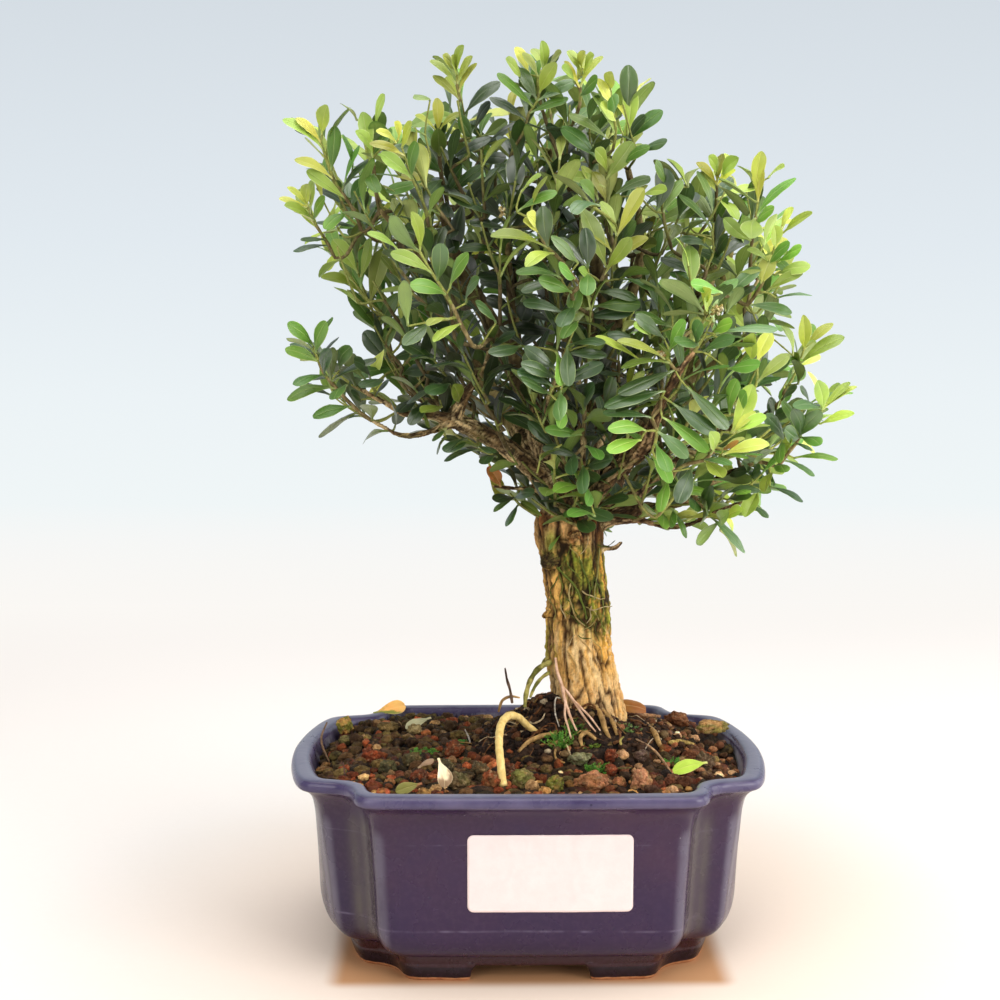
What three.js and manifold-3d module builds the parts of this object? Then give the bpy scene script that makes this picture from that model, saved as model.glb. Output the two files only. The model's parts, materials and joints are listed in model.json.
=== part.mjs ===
// Boxwood bonsai in a glazed tray pot. Millimetres, +Z up, the front of the
// pot faces -Y. The origin is under the middle of the whole plant's outline,
// on the surface that the pot stands on.
import * as THREE from 'three';
import { mergeVertices } from 'three/addons/utils/BufferGeometryUtils.js';
import { ConvexGeometry } from 'three/addons/geometries/ConvexGeometry.js';
import Module from 'manifold-3d';

// ---------------------------------------------------------------- dimensions
const RIM_TOP = 48.7;          // height of the pot's rim
const LIFT = 1.4;              // heights below are counted from this far above the surface
const UNDER = 2.65;            // underside of the pot between its feet
const BAND_TOP = 5.8;          // top of the recessed base band
const FLOOR_TOP = 9.2;         // inner floor of the pot
const SOIL_TOP = 46.4;         // level of the soil bed
const BALL_TOP = 54.2;         // top of the compost mound round the trunk
const GAP = 0.3;               // clearance between touching pieces
const LABEL = { w: 40, h: 19.3, t: 0.35, x: 4.5, z: 28.35 };   // paper label
const DRAIN = { r: 5.5, x: 27, y: 3 };                          // drain holes
const WELD = [0.06, 0.05, 0.04, 0.03, 0.02, 0.012, 0.008, 0.005, 0.003, 0.0015];      // corners of a join closer than this become one
const LEAF_T = 0.56;           // thickness of a leaf's solid at its middle
const POT_AT = [-10.98, -7.41];       // pot's centre from the origin

// One quarter of each outline, from the middle of the front (x = 0) round the
// indented corner to the middle of the side (y = 0). All have the same count.
const RIM = [[0, 49.6], [36, 49.1], [40.2, 48.3], [42.2, 46.0], [43.1, 42.6], [44.4, 39.4], [47.4, 36.8], [52, 35.6], [56, 34], [58.1, 30.3], [59.8, 24], [61.6, 13], [62.4, 0]];
const BODY = [[0, 44], [33.4, 43.5], [37.1, 42.5], [38.7, 40.3], [39.4, 37.5], [40.8, 34.8], [43.6, 32.8], [47.2, 31.6], [50.6, 30.1], [52.6, 27], [54.3, 21], [55.6, 11], [56.1, 0]];
const BODY_LOW = [[0, 43.4], [32.6, 42.9], [36.2, 41.9], [37.6, 39.8], [38.3, 37], [39.6, 34.4], [42.2, 32.4], [45.8, 31.2], [48.6, 29.8], [50.4, 26.6], [52.7, 20.8], [54.7, 11], [55.3, 0]];
const BAND = [[0, 38.4], [28.6, 37.9], [31.4, 37], [32.8, 35.2], [33.6, 32.7], [35, 30.4], [37.5, 28.6], [40.6, 27.7], [43.2, 26.5], [44.8, 23.7], [46.6, 18.6], [48.4, 10], [49, 0]];
const INNER = [[0, 44.9], [34.2, 44.4], [37.6, 43.3], [39.2, 41], [39.9, 38.2], [41.1, 35.6], [43.6, 33.5], [47, 32.3], [50.2, 31], [52.4, 28], [54.2, 21.8], [56.3, 11.4], [57, 0]];
const INNER_LOW = [[0, 38.8], [29.2, 38.1], [31.8, 37.1], [33, 35.3], [33.8, 32.9], [35.2, 30.3], [37.8, 28.1], [41, 27.2], [43.6, 25.8], [45.2, 23], [46.6, 18.2], [48.8, 9.8], [49.6, 0]];

// The woody frame: centre lines and radii [x, y, z, r] of the trunk and limbs.
const LIMBS = {
  trunk: [[16.49,8,52.9,10.6], [16.46,8,58.48,9.7], [15.87,8,65.71,8.9], [14.62,8,71.26,8.9], [14.18,8,76.79,8.6], [13.45,8,86.44,8.4], [12.47,8,94.14,8.3], [12.03,8,101.8,8.7], [11.6,8,106.45,9], [11.09,9,110.71,8.2]],
  L1: [[10.72,7,109.82,6], [7.58,4,116.04,4.4], [3.47,2,121.29,3], [-0.58,0,125.14,2.5], [-7.23,-3,130.06,2.3], [-12.98,-6,133.33,2.25], [-20.96,-9,136.8,1.9]],
  L1a: [[-19.43,-8,135.48,1.9], [-15.49,-12,143.78,1.25], [-10.89,-14,150.64,0.95], [-10.13,-15,154.16,0.8]],
  L1b: [[-20.44,-9,136.55,1.7], [-24.78,-10,137.61,1.3], [-33,-10,138.38,0.95], [-43.39,-8,144.25,0.65]],
  L1c: [[-19.67,-9,135.26,1.3], [-24.8,-10,133.49,0.95], [-30.36,-12,132.3,0.9], [-33.68,-12,132.81,0.8], [-40.05,-12,136.14,0.6]],
  C1: [[10.33,10,110.62,5.5], [8.32,14,119.07,4.6], [5.67,17,127.15,4], [2.68,19,136.75,3.5], [-2.06,18,147.79,3.1], [-18.37,10,178.01,1.9], [-21.5,8,187.61,1.3], [-23.01,6,195.25,0.9]],
  C1b: [[-13.84,12,169.33,1.8], [-20.41,5,171.6,1.4], [-26.81,0,177.27,1.1], [-33.13,-3,184.73,0.9], [-38.19,-4,190.24,0.7]],
  C1c: [[-2.06,18,147.79,2.2], [-3.06,10,158.55,1.8], [-4.06,0,167.42,1.4], [-5.83,-14,184.22,0.8]],
  C2: [[13.52,13,110.33,5.5], [15.71,18,121.55,4.6], [18.71,22,132.47,3.9], [21.8,23,143.6,3.3], [23.32,22,154.7,2.7], [22.08,18,166.94,2.3], [18.7,14,178.86,1.9], [14.32,10,190.49,1.5], [6.57,6,212.18,0.9]],
  C2b: [[23.32,22,154.7,2], [28.32,20,167.03,1.7], [31.33,18,179.17,1.4], [30.27,14,190.92,1.1], [27.09,10,202.36,0.9]],
  C2c: [[21.8,23,143.6,2], [18.94,8,151.82,1.6], [16.41,-8,158.11,1.3], [14.87,-22,162.68,1]],
  C3: [[17.71,14,109.68,4.2], [24.39,22,119.03,3.4], [32.79,28,129.39,2.9], [40.01,30,142.09,2.5], [46.12,28,156.2,2.1], [50.59,25,170.04,1.7], [52.45,20,182.06,1.3], [52.8,16,191.15,0.9]],
  C3b: [[40.01,30,142.09,1.7], [51.01,28,149.17,1.4], [60.13,24,156.13,1.1], [66.26,20,163.48,0.8]],
  C3c: [[46.12,28,156.2,1.5], [44.94,12,162.11,1.2], [43.18,-4,166.22,1], [43.24,-14,169.78,0.8]],
  R1: [[17.84,8,107.53,3.4], [21.55,7,108.72,2.3], [25.29,6.5,109.04,1.7], [30.55,5,108.91,1.05], [38.4,3,107.22,0.85], [43.48,1,108.23,0.8], [57.55,-2,114.64,0.6]],
  R1b: [[24.07,8,109.43,2.2], [32.3,9,111.78,1.5], [37.86,10,112.23,1.15], [44.12,10,113.6,1.05], [48.17,10,117.42,0.95], [51.53,9,119.95,0.85], [57.84,8,122.73,0.7]],
  R1c: [[23.42,10,110.33,2.2], [35.88,17,118.82,1.4], [41.76,20,123.63,1.2], [48.81,21,129.71,1], [56.96,20,134.76,0.8]],
  R2: [[48.81,21,129.71,1], [59.08,16,132.69,0.85], [65.16,12,136.93,0.8], [69.6,10,141.05,0.6]],
  F: [[15.24,2,111.91,2.8], [23.35,-8,123.27,2], [27.48,-13,127.2,1.9], [29.58,-17,130.72,2.1], [33.54,-27,143.48,1.1], [36.28,-30,149.11,0.95], [39.5,-31,153.45,0.8]],
  B1: [[11.15,15,110.14,4.6], [5.86,28,120.88,3.6], [-2.47,38,133.3,3], [-12.63,46,147.72,2.4], [-22.99,50,162.47,1.9], [-31.61,46,176.88,1.3], [-35.6,40,186.47,0.9]],
  B2: [[13.7,16,110.04,4.6], [14.61,32,124.92,3.8], [14.37,44,143.34,3.1], [13.56,52,164.03,2.5], [11.7,52,184.64,1.9], [9.19,44,201.2,1.3], [7.36,36,211.43,0.9]],
  B3: [[16.12,15,109.58,4.4], [25.92,30,122.17,3.5], [37.15,42,134.6,2.9], [48.33,50,149.2,2.3], [56.17,50,165.44,1.7], [59.41,42,180.42,1.2], [59.95,34,190.24,0.8]],
  B4: [[-2.47,38,133.3,1.8], [-12.64,44,137.49,1.5], [-24.37,44,140.42,1.2], [-34.28,38,144.86,0.9]],
  B5: [[37.15,42,134.6,1.8], [50.64,44,133.06,1.5], [61.44,38,131.82,1.2], [68.65,30,132.14,0.8]],
  T1: [[6.28,5,116.5,1.4], [0.75,0,117.71,0.8], [-9.34,-3,118.75,0.6]],
  T2: [[18.34,7,100.82,1.6], [23.77,4,101.45,0.8], [25.64,4,103.07,0.6]],
  FC: [[13.43,3,113.97,1.7], [14.14,-6,121.84,1.1], [13.84,-14,127.52,0.9], [13.42,-20,132.88,0.75]],
  FM: [[6.1,14,125.12,1.7], [4.83,-15,139.01,1.1], [5.18,-24,143.69,0.9], [6.11,-30,147.17,0.7]],
};

// Leafy sprays. twigs: [x, y, z, r] along each twig. leaves: foot x y z,
// tip x y z, direction that the upper face looks in, width.
const SPRAYS = {
  spray_low_left_twig: {
    twigs: [
      [[11.76,-1.45,112.52,0.86], [12.38,-7.08,114.85,0.57], [12.95,-12.22,118.13,0.45]],
      [[11.76,-1.45,112.52,0.86], [7.31,-3.52,113.72,0.72], [6.85,-10.29,117.81,0.65], [6.35,-17.63,124.43,0.45]],
    ],
    leaves: [
      [6.35,-17.63,124.43,7.78,-22.82,130.73,-0.64,0.52,0.57,2.94],
      [12.95,-12.22,118.13,16.62,-20.13,123.29,-0.82,-0.01,0.57,3.63],
      [7.08,-6.98,115.63,-1.69,-11.86,124.98,0.68,0.16,0.72,4.89],
      [6.35,-17.63,124.43,3.91,-25.09,126.33,-0.1,0.28,0.95,2.67],
      [12.95,-12.22,118.13,11.3,-21.29,124.93,0.99,-0.06,0.16,4.08],
      [12.38,-7.08,114.85,4.71,-13.72,125.3,0.83,-0.13,0.54,5.02],
    ],
  },
  spray_right_low: {
    twigs: [
      [[43.46,-9.97,127.73,0.85], [44.04,-8.78,130.63,0.74], [53.44,-9.43,138.67,0.65], [54.63,-4.39,139.68,0.57], [60.48,-7.84,153.36,0.42]],
      [[46.75,0,112.61,0.85], [45.4,0,114.74,0.85], [43.26,0,115.54,0.85], [43.02,0.77,119.88,0.85], [43.78,0.72,121.77,0.85], [49.56,-2.96,124.62,0.85], [49.04,-5.43,124.81,0.85], [44.54,-8.37,126.5,0.85], [43.46,-9.97,127.73,0.85], [40.03,-9.26,129.04,0.85], [46.45,-11.12,137.46,0.85], [43.35,-10.42,142.82,0.82], [47.55,-12.35,149.14,0.57]],
    ],
    leaves: [
      [43.26,0,115.54,43.23,-11.53,113.68,0.55,-0.14,0.83,4.02],
      [46.75,0,112.61,45.08,-11.49,110.3,0.86,-0.02,-0.51,4.02],
      [60.48,-7.84,153.36,60.27,-10.39,163.24,0.58,0.79,0.21,3.77],
      [47.55,-12.35,149.14,50.53,-24.19,155.13,0.16,0.47,0.87,4.66],
      [58.56,-6.71,148.07,60.67,0.8,156.73,0.1,-0.8,0.6,4.21],
      [50.55,-9.23,135.71,52.02,-10.03,147.05,-0.37,0.92,0.11,3.69],
    ],
  },
  spray_left_inner: {
    twigs: [
      [[-37.15,-4.97,167.02,0.68], [-39.94,-6.02,171.93,0.45]],
      [[-27.39,-5.02,141.74,0.8], [-26.1,-1.86,147.09,0.8], [-31.06,-4.35,156.2,0.8], [-30.49,-2.47,158.04,0.77], [-37.15,-4.97,167.02,0.68], [-44.1,-2.93,166.52,0.52], [-47.48,-5.26,175.26,0.45]],
      [[-24.34,-9.21,140.23,0.8], [-25.88,-7.63,141.41,0.8], [-28.7,-2.5,141.83,0.8], [-27.39,2.13,140.43,0.8], [-27.42,4.15,140.52,0.8], [-33.68,3.29,147.82,0.77], [-33.04,4.99,149.65,0.72], [-36.41,2.61,154,0.65], [-40.15,-0.05,160.56,0.45]],
    ],
    leaves: [
      [-37.15,-4.97,167.02,-45.51,2.71,172.97,0.15,-0.44,0.89,3.9],
      [-37.15,-4.97,167.02,-39.55,-14.11,175.44,-0.17,0.66,0.73,4.35],
      [-47.48,-5.26,175.26,-44.26,-4.37,186.77,-0.93,-0.26,0.24,3.95],
      [-40.15,-0.05,160.56,-45.17,-1.15,169.47,0.62,-0.74,0.26,3.62],
      [-39.94,-6.02,171.93,-47.58,-9.6,176.13,0.36,0.28,0.89,3.19],
      [-31.06,-4.35,156.2,-37.4,-9.05,163.16,0.33,0.62,0.72,3.54],
    ],
  },
  spray_right_inner: {
    twigs: [
      [[23.6,30.02,110.03,0.97], [24.94,31.58,110.4,0.77], [24.12,32.26,110.97,0.65], [27.13,39.93,112.81,0.57]],
      [[22.56,39.2,113.05,0.72], [22.48,41.07,114.19,0.45]],
      [[18.15,23.71,109.66,1.03], [23.6,30.02,110.03,0.97], [22.81,33.19,110.48,0.77], [22.56,39.2,113.05,0.72], [19.88,41.64,112.37,0.65], [21.76,47.16,117.56,0.57], [23.35,51.83,123.62,0.45]],
    ],
    leaves: [
      [23.35,51.83,123.62,22.62,56.17,133.37,0.52,-0.77,0.38,3.68],
      [23.35,51.83,123.62,28.49,59.26,127.6,-0.37,-0.23,0.9,3.28],
      [27.13,39.93,112.81,38.64,45.95,113.87,-0.29,0.46,0.84,3.93],
      [25.65,36.15,111.62,36.89,41.83,109.69,0.04,0.2,0.98,4.47],
      [20.86,44.51,114.84,29.9,53.35,119.72,-0.51,0.03,0.86,4.73],
      [22.48,41.07,114.19,25.61,48.57,116.82,-0.4,-0.15,0.91,3.11],
    ],
  },
  spray_right_edge: {
    twigs: [
      [[69.91,10.04,143.13,0.72], [70.69,14.29,144.6,0.52], [77.5,19.3,156.43,0.42]],
      [[70.88,10.07,144.98,0.61], [72.98,7.1,145.4,0.42]],
      [[69.91,10.04,143.13,0.72], [75.11,10.25,154.54,0.45]],
    ],
    leaves: [
      [73.65,10.18,150.6,84.7,6.51,158.21,-0.59,-0.58,0.56,5.12],
      [75.11,10.25,154.54,81.95,7.65,161.71,-0.67,-0.62,0.41,3.63],
      [73.65,10.18,150.6,71.59,-1.23,153.59,-0.85,-0.02,-0.52,4.02],
      [72.98,7.1,145.4,70.53,-2.66,152.27,0.55,0.39,0.74,4.02],
      [75.11,10.25,154.54,73.09,2.88,163.65,0.2,-0.78,-0.59,4.02],
      [77.5,19.3,156.43,80.68,24.58,162.42,-0.03,-0.74,0.67,2.97],
    ],
  },
  spray_centre_mid: {
    twigs: [
      [[7.43,-30.17,151.07,0.68], [6.15,-28.74,153.47,0.45], [-2.34,-27.16,154.95,0.42]],
      [[8.15,-30.25,153,0.61], [15.01,-27.46,155.44,0.42]],
      [[6.75,-30.08,149.13,0.72], [11.37,-30.5,160.92,0.42]],
    ],
    leaves: [
      [-2.34,-27.16,154.95,-10.19,-36.14,153.37,0.47,-0.53,0.7,4.02],
      [8.89,-30.33,154.92,17.03,-38.86,155.93,-0.34,-0.3,0.89,4.02],
      [6.75,-30.08,149.13,-1.5,-32.54,154.86,0.34,-0.93,0.15,3.6],
      [11.37,-30.5,160.92,7.19,-41.17,156.58,-0.02,-0.37,0.93,4.02],
      [15.01,-27.46,155.44,24.06,-29.81,157.57,-0.33,-0.66,0.68,3.6],
      [8.15,-30.25,153,18.26,-32.76,152.94,-0.12,-0.73,0.67,3.6],
    ],
  },
  spray_left_low: {
    twigs: [
      [[-47.75,-12,142.92,0.8], [-46.21,-13.5,145.33,0.42]],
      [[-50.47,-12,146.02,0.79], [-48.1,-12,149.12,0.42]],
      [[-41.75,-12,137.3,0.8], [-44.92,-12,139.93,0.8], [-51.77,-12,147.62,0.72], [-54.9,-12,155.21,0.42]],
    ],
    leaves: [
      [-44.92,-12,139.93,-55.05,-14.64,137.5,0.03,-0.74,0.67,3.69],
      [-49.12,-12,144.46,-61.26,-15.11,141.81,-0,-0.69,0.72,4.35],
      [-53.54,-12,151.32,-61.71,-14.39,154.41,0.3,-0.95,0.06,3.6],
      [-48.1,-12,149.12,-44.56,-22.3,154.54,-0.77,-0.48,-0.41,4.02],
      [-54.9,-12,155.21,-59.53,-20.69,160.73,0.9,-0.44,0.07,4.02],
      [-46.21,-13.5,145.33,-48.65,-24.55,142.47,-0.19,-0.21,0.96,4.02],
    ],
  },
  spray_right_crown: {
    twigs: [
      [[58.01,-7.49,195.74,0.45], [61.27,-7.49,198.04,0.42]],
      [[45.85,-3.84,166.98,0.77], [53.36,-3.19,168.68,0.77], [57.25,-3.49,171.15,0.72], [57.39,-7.44,182.12,0.72], [58.8,-7.49,191.73,0.57], [58.77,-7.49,193.75,0.52], [57.17,-7.49,197.53,0.42]],
    ],
    leaves: [
      [57.17,-7.49,197.53,52.88,-14.28,200.62,0.58,0,0.81,3.6],
      [58.8,-7.49,191.73,59.23,-9.95,200.23,-0.76,-0.64,-0.12,3.6],
      [57.39,-7.44,182.12,49.78,-9.69,187.71,0.06,-0.95,-0.29,3.85],
      [58.2,-7.52,187.89,55.49,-18.13,181.43,0.04,-0.52,0.85,5.13],
      [58.77,-7.49,193.75,59.12,-10.22,204.18,-0.18,-0.95,-0.24,4.1],
      [61.27,-7.49,198.04,64.2,-14.34,199.64,-0.7,-0.14,0.7,3.6],
    ],
  },
  spray_front_right: {
    twigs: [
      [[31.72,-28,141.79,0.8], [32.56,-31,144.02,0.42]],
      [[31.64,-29.61,139.74,0.74], [31.89,-31,137.72,0.42]],
      [[29.8,-29.56,129.57,0.52], [29.38,-28,128.3,0.42]],
      [[32.19,-30.33,124.62,0.45], [39.33,-31,125.29,0.42]],
      [[31.72,-28,141.79,0.8], [31.64,-29.61,139.74,0.74], [29.63,-29.5,137.43,0.72], [30.7,-31,134.32,0.68], [30.24,-31,131.15,0.57], [29.8,-29.56,129.57,0.52], [33.5,-31,122.36,0.42]],
    ],
    leaves: [
      [31.89,-31,137.72,42.9,-34.52,129.38,0.27,-0.7,0.66,4.92],
      [39.33,-31,125.29,34.99,-38.71,117.41,0.13,-0.74,0.66,4.39],
      [32.56,-31,144.02,17.45,-34.75,140.72,0.01,-0.69,0.72,5.24],
      [30.24,-31,131.15,32.54,-40.44,125.19,0.21,-0.48,0.85,4.02],
      [29.38,-28,128.3,33.3,-36.51,122.04,0.35,-0.45,0.82,4.02],
      [33.5,-31,122.36,30.56,-39.9,115.36,-0.52,-0.42,0.75,4.02],
    ],
  },
  spray_left_crown: {
    twigs: [
      [[-43.2,-0.04,185,0.8], [-49.5,9.32,178.96,0.72], [-51.36,10.43,179.08,0.72], [-52.71,8.47,182.15,0.72], [-56.45,6.33,188.55,0.65], [-57.97,6.43,192.13,0.52]],
      [[-44.34,-1.24,188.49,0.8], [-47.03,2.38,190.14,0.68], [-48.18,3.09,192.06,0.65], [-46.61,9.62,192.49,0.52], [-48.73,12.32,193.31,0.42]],
      [[-39.76,-2.46,187.93,0.8], [-41.16,-1.05,185.79,0.8], [-43.2,-0.04,185,0.8], [-45.07,-1.85,190.16,0.77], [-50.04,-4.08,198.07,0.65], [-53.21,-4.04,207.19,0.45], [-52.93,-4.04,209.21,0.42]],
    ],
    leaves: [
      [-52.93,-4.04,209.21,-50.61,-13.15,215.16,-0.6,-0.54,-0.59,4.02],
      [-57.97,6.43,192.13,-62.92,2.42,196.59,0.77,-0.44,0.46,3.6],
      [-56.45,6.33,188.55,-62.94,-1.74,191.73,0.75,-0.38,0.54,4.02],
      [-53.21,-4.04,207.19,-59.26,-6.28,213.11,0.64,-0.64,0.41,3.6],
      [-48.73,12.32,193.31,-54.99,3.92,196.78,0.78,-0.38,0.49,4.02],
      [-52.71,8.47,182.15,-62.01,6.01,180.83,-0.03,-0.45,0.89,3.6],
    ],
  },
  spray_top: {
    twigs: [
      [[9.31,-0.45,201.95,0.8], [4.75,-2.15,199.89,0.74], [0.05,-2.46,198.64,0.74], [-2.19,-2.62,199.1,0.74], [-2.76,-2.53,201.11,0.74], [-5.18,-3.61,200.49,0.65], [-3.74,-5.59,205.72,0.65], [-0.84,-7.49,210.31,0.65], [0.03,-7.62,214.05,0.61], [2.74,-7.61,219.07,0.42]],
      [[2.37,-7.61,223.2,0.61], [0.08,-7.61,223.69,0.45], [-1.69,-7.61,222.94,0.42]],
      [[9.35,4.81,203.42,0.8], [9.31,-0.45,201.95,0.8], [8.51,-5.02,202.43,0.79], [2.58,-6.25,218.71,0.68], [2.37,-7.61,223.2,0.61], [3.63,-7.61,223.7,0.45], [5.15,-7.61,225.94,0.42]],
    ],
    leaves: [
      [0.08,-7.61,223.69,-3.79,-10.9,229.68,0.69,-0.72,0.05,3.6],
      [5.15,-7.61,225.94,7.82,-14.71,227.91,-0.92,-0.27,0.29,3.6],
      [0.03,-7.62,214.05,9.85,-10.37,217.74,-0.42,-0.69,0.59,3.85],
      [-1.69,-7.61,222.94,-5.9,-17.82,225.54,0.93,-0.35,0.12,4.02],
      [2.74,-7.61,219.07,6.55,-15.57,225.06,-0.58,-0.65,-0.48,4.02],
      [3.63,-7.61,223.7,3.28,-16.21,230.01,0.81,-0.37,-0.46,4.02],
    ],
  },
  spray_front_bud: {
    twigs: [
      [[42.34,-12.62,160.26,0.77], [39.77,-15.84,155.93,0.57], [39.23,-17.86,154.85,0.57], [45.11,-20.16,163.18,0.45]],
      [[41.15,-5.22,164.86,0.8], [39.62,-6.71,164.33,0.8], [42.34,-12.62,160.26,0.77], [43.02,-14.72,160.09,0.65], [39.32,-20.7,174.81,0.45]],
    ],
    leaves: [
      [40.58,-18.39,156.36,38.82,-23.01,170.34,0.85,0.45,0.27,5.25],
      [45.11,-20.16,163.18,51.47,-19.65,172.04,-0.52,-0.75,0.41,4.03],
      [39.32,-20.7,174.81,40.69,-24.74,181.69,-0.75,0.5,0.44,2.75],
      [41.94,-16.46,163.62,48.26,-21.16,170.83,-0.5,0.49,0.71,3.93],
      [40.53,-18.74,169.13,36.8,-29.8,175.67,0.05,0.53,0.85,5.14],
      [41.94,-16.46,163.62,33.03,-17.32,170.01,0.61,-0.07,0.79,3.57],
    ],
  },
  spray_right_edge_low: {
    twigs: [
      [[69.63,3.88,126.64,0.8], [71.51,3.58,125.69,0.42]],
      [[75.43,0.69,135.77,0.65], [77.66,0.73,134.88,0.42]],
      [[59.67,7.47,123.42,0.8], [63.41,6.37,124.45,0.8], [67.07,5.26,123.22,0.8], [68.8,4.73,125.08,0.8], [71.57,2.15,129.54,0.8], [73.87,0.65,134.59,0.65], [78.12,0.73,138.58,0.61]],
    ],
    leaves: [
      [78.12,0.73,138.58,84.76,-1.86,146,-0.74,-0.41,0.52,3.62],
      [72.25,1.45,131.23,75.57,-8.89,130.04,-0.29,-0.17,0.94,4.02],
      [71.51,3.58,125.69,82.6,0.67,126.12,-0.15,-0.46,0.88,4.06],
      [78.12,0.73,138.58,68.86,-9.1,140.13,0.61,-0.39,0.69,4.02],
      [71.57,2.15,129.54,74.02,-5.45,128.31,0.15,-0.19,0.97,3.6],
      [77.66,0.73,134.88,84.47,-6.84,138.26,-0.69,-0.33,0.65,4.02],
    ],
  },
  spray_right_shoulder: {
    twigs: [
      [[58.91,-7.36,169.03,0.77], [61.11,-7.99,169.11,0.52], [64.3,-4.99,167.73,0.45]],
      [[61.8,-9.57,176.2,0.65], [63.77,-9.58,176.63,0.42]],
      [[45.97,-7.05,167.31,0.82], [51.24,-8.61,168.05,0.82], [51.89,-5.87,168.47,0.82], [54.42,-5.23,166.84,0.82], [56.95,-5.61,165.9,0.82], [60.48,-9.1,172.37,0.65], [61.8,-9.57,176.2,0.65], [63.16,-9.61,182.18,0.45], [64.92,-9.61,183.95,0.45], [64.39,-9.61,185.21,0.42]],
    ],
    leaves: [
      [64.39,-9.61,185.21,65.83,-15.81,189.57,-0.97,-0.22,0.01,3.6],
      [64.3,-4.99,167.73,73.13,-7.31,168.64,-0.18,-0.3,0.94,3.6],
      [64.92,-9.61,183.95,70.8,-17.32,188.18,-0.82,-0.41,0.4,4.02],
      [63.77,-9.58,176.63,67.52,-19.31,179.61,-0.86,-0.18,0.48,4.02],
      [62.77,-9.64,180.17,60.38,-19.7,184.97,0.51,-0.5,-0.7,4.02],
      [61.8,-9.57,176.2,55.16,-14.57,179.25,0.69,-0.5,0.53,3.6],
    ],
  },
  spray_upper_left: {
    twigs: [
      [[-26.5,-11.2,183.44,0.8], [-21.06,-12.19,183.42,0.72], [-19.14,-12.39,184.43,0.72], [-21.62,-11.97,187.78,0.72]],
      [[-33.65,-3.35,180.86,0.8], [-30.24,-7.92,181.26,0.8], [-26.5,-11.2,183.44,0.8], [-25.32,-12.66,185.24,0.72], [-25.78,-12.84,187,0.72], [-25.5,-12.45,188.09,0.57], [-29.19,-16.38,196.53,0.57], [-31.74,-16.45,204.12,0.42]],
    ],
    leaves: [
      [-31.11,-16.45,202.21,-39.51,-18.73,205.22,0.4,-0.69,0.61,3.6],
      [-31.74,-16.45,204.12,-28.98,-26.31,208.83,-0.95,-0.3,-0.06,4.02],
      [-29.19,-16.38,196.53,-37.04,-18.95,202.52,0.3,-0.95,-0.01,3.6],
      [-29.19,-16.38,196.53,-28.37,-24.41,204.37,-0.73,-0.51,-0.45,4.02],
      [-21.62,-11.97,187.78,-22,-19.97,195.36,-0.2,0.69,0.7,3.82],
      [-25.78,-12.84,187,-29.54,-2.48,196.38,0.16,-0.63,0.76,5.08],
    ],
  },
  spray_front_centre: {
    twigs: [
      [[17.35,-22.55,170.33,0.85], [13.97,-27.09,172.41,0.52], [13.87,-28.4,173.77,0.45]],
      [[15.8,-22.27,166.6,0.85], [20.77,-23.23,179.84,0.61], [21.28,-23.51,183.83,0.52], [18.72,-26.66,186.26,0.52], [14.54,-31.58,188.26,0.52], [13.44,-30.08,188.9,0.42]],
    ],
    leaves: [
      [21.21,-23.37,181.82,27.24,-26.86,193.11,-0.6,-0.79,0.07,4.97],
      [14.54,-31.58,188.26,5.5,-34.55,195.88,0.52,0.39,0.76,4.16],
      [13.87,-28.4,173.77,6.44,-30.94,180.73,0.43,-0.89,0.13,3.6],
      [13.97,-27.09,172.41,12.99,-38.16,167.23,0.01,-0.42,0.91,4.14],
      [13.44,-30.08,188.9,6.88,-40.42,188.66,-0.61,0.37,0.7,4.02],
      [21.21,-23.37,181.82,17.39,-25.66,190.12,0.66,-0.74,0.11,3.6],
    ],
  },
  spray_left_middle: {
    twigs: [
      [[-12.15,-28.6,154.91,0.81], [-11.16,-30.74,156.52,0.42], [-8.5,-33.58,160.33,0.42]],
      [[-9.41,-17.34,155.07,0.81], [-9.14,-18.46,156.6,0.81], [-9.77,-21.18,156.82,0.81], [-12.15,-28.6,154.91,0.81], [-14.27,-32.91,155.09,0.81], [-19.35,-36.4,165.15,0.68], [-22.44,-36.96,170.15,0.61], [-26.49,-36.91,176.89,0.52], [-31.95,-32.41,177.72,0.42]],
    ],
    leaves: [
      [-31.95,-32.41,177.72,-38.41,-41.12,180.93,0.72,-0.3,0.62,4.02],
      [-8.5,-33.58,160.33,-12.99,-43.47,164.86,0.9,-0.25,0.35,4.02],
      [-20.34,-36.67,166.83,-28.53,-44.17,168.74,0.68,-0.73,0.1,4.02],
      [-26.49,-36.91,176.89,-33.12,-39.66,185.24,-0.01,0.95,0.3,3.84],
      [-16.88,-34.7,160.08,-23.02,-43.94,156.05,-0.07,-0.32,0.94,4.02],
      [-22.44,-36.96,170.15,-21.51,-44.88,178.32,-0.03,-0.72,-0.69,4.5],
    ],
  },
  spray_right_back_edge: {
    twigs: [
      [[61.15,18.46,167,0.83], [67.48,24.81,177.06,0.42]],
      [[60.95,19.3,162.29,0.83], [60.09,17.4,165.78,0.83], [61.15,18.46,167,0.83], [61.52,17.23,170.28,0.72], [63.82,18.09,173.61,0.72], [62.64,20.74,175.55,0.61], [65.45,27.03,188.42,0.45]],
    ],
    leaves: [
      [65.45,27.03,188.42,67.89,33.84,194.8,-0.09,-0.66,0.74,2.99],
      [65.45,27.03,188.42,65.93,25.86,197.41,-0.23,0.96,0.14,3.35],
      [64.38,24.63,182.73,55.75,31.19,189.35,0.57,-0.07,0.82,4.17],
      [63.12,21.8,177.29,59.94,14.8,188.83,0.19,0.77,0.6,4.78],
      [64.99,22.32,172.46,72.9,31.55,170.61,0.03,0.12,0.99,4.44],
      [67.48,24.81,177.06,69.06,28.94,183.58,0.32,-0.83,0.45,2.85],
    ],
  },
  spray_top_right: {
    twigs: [
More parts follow.
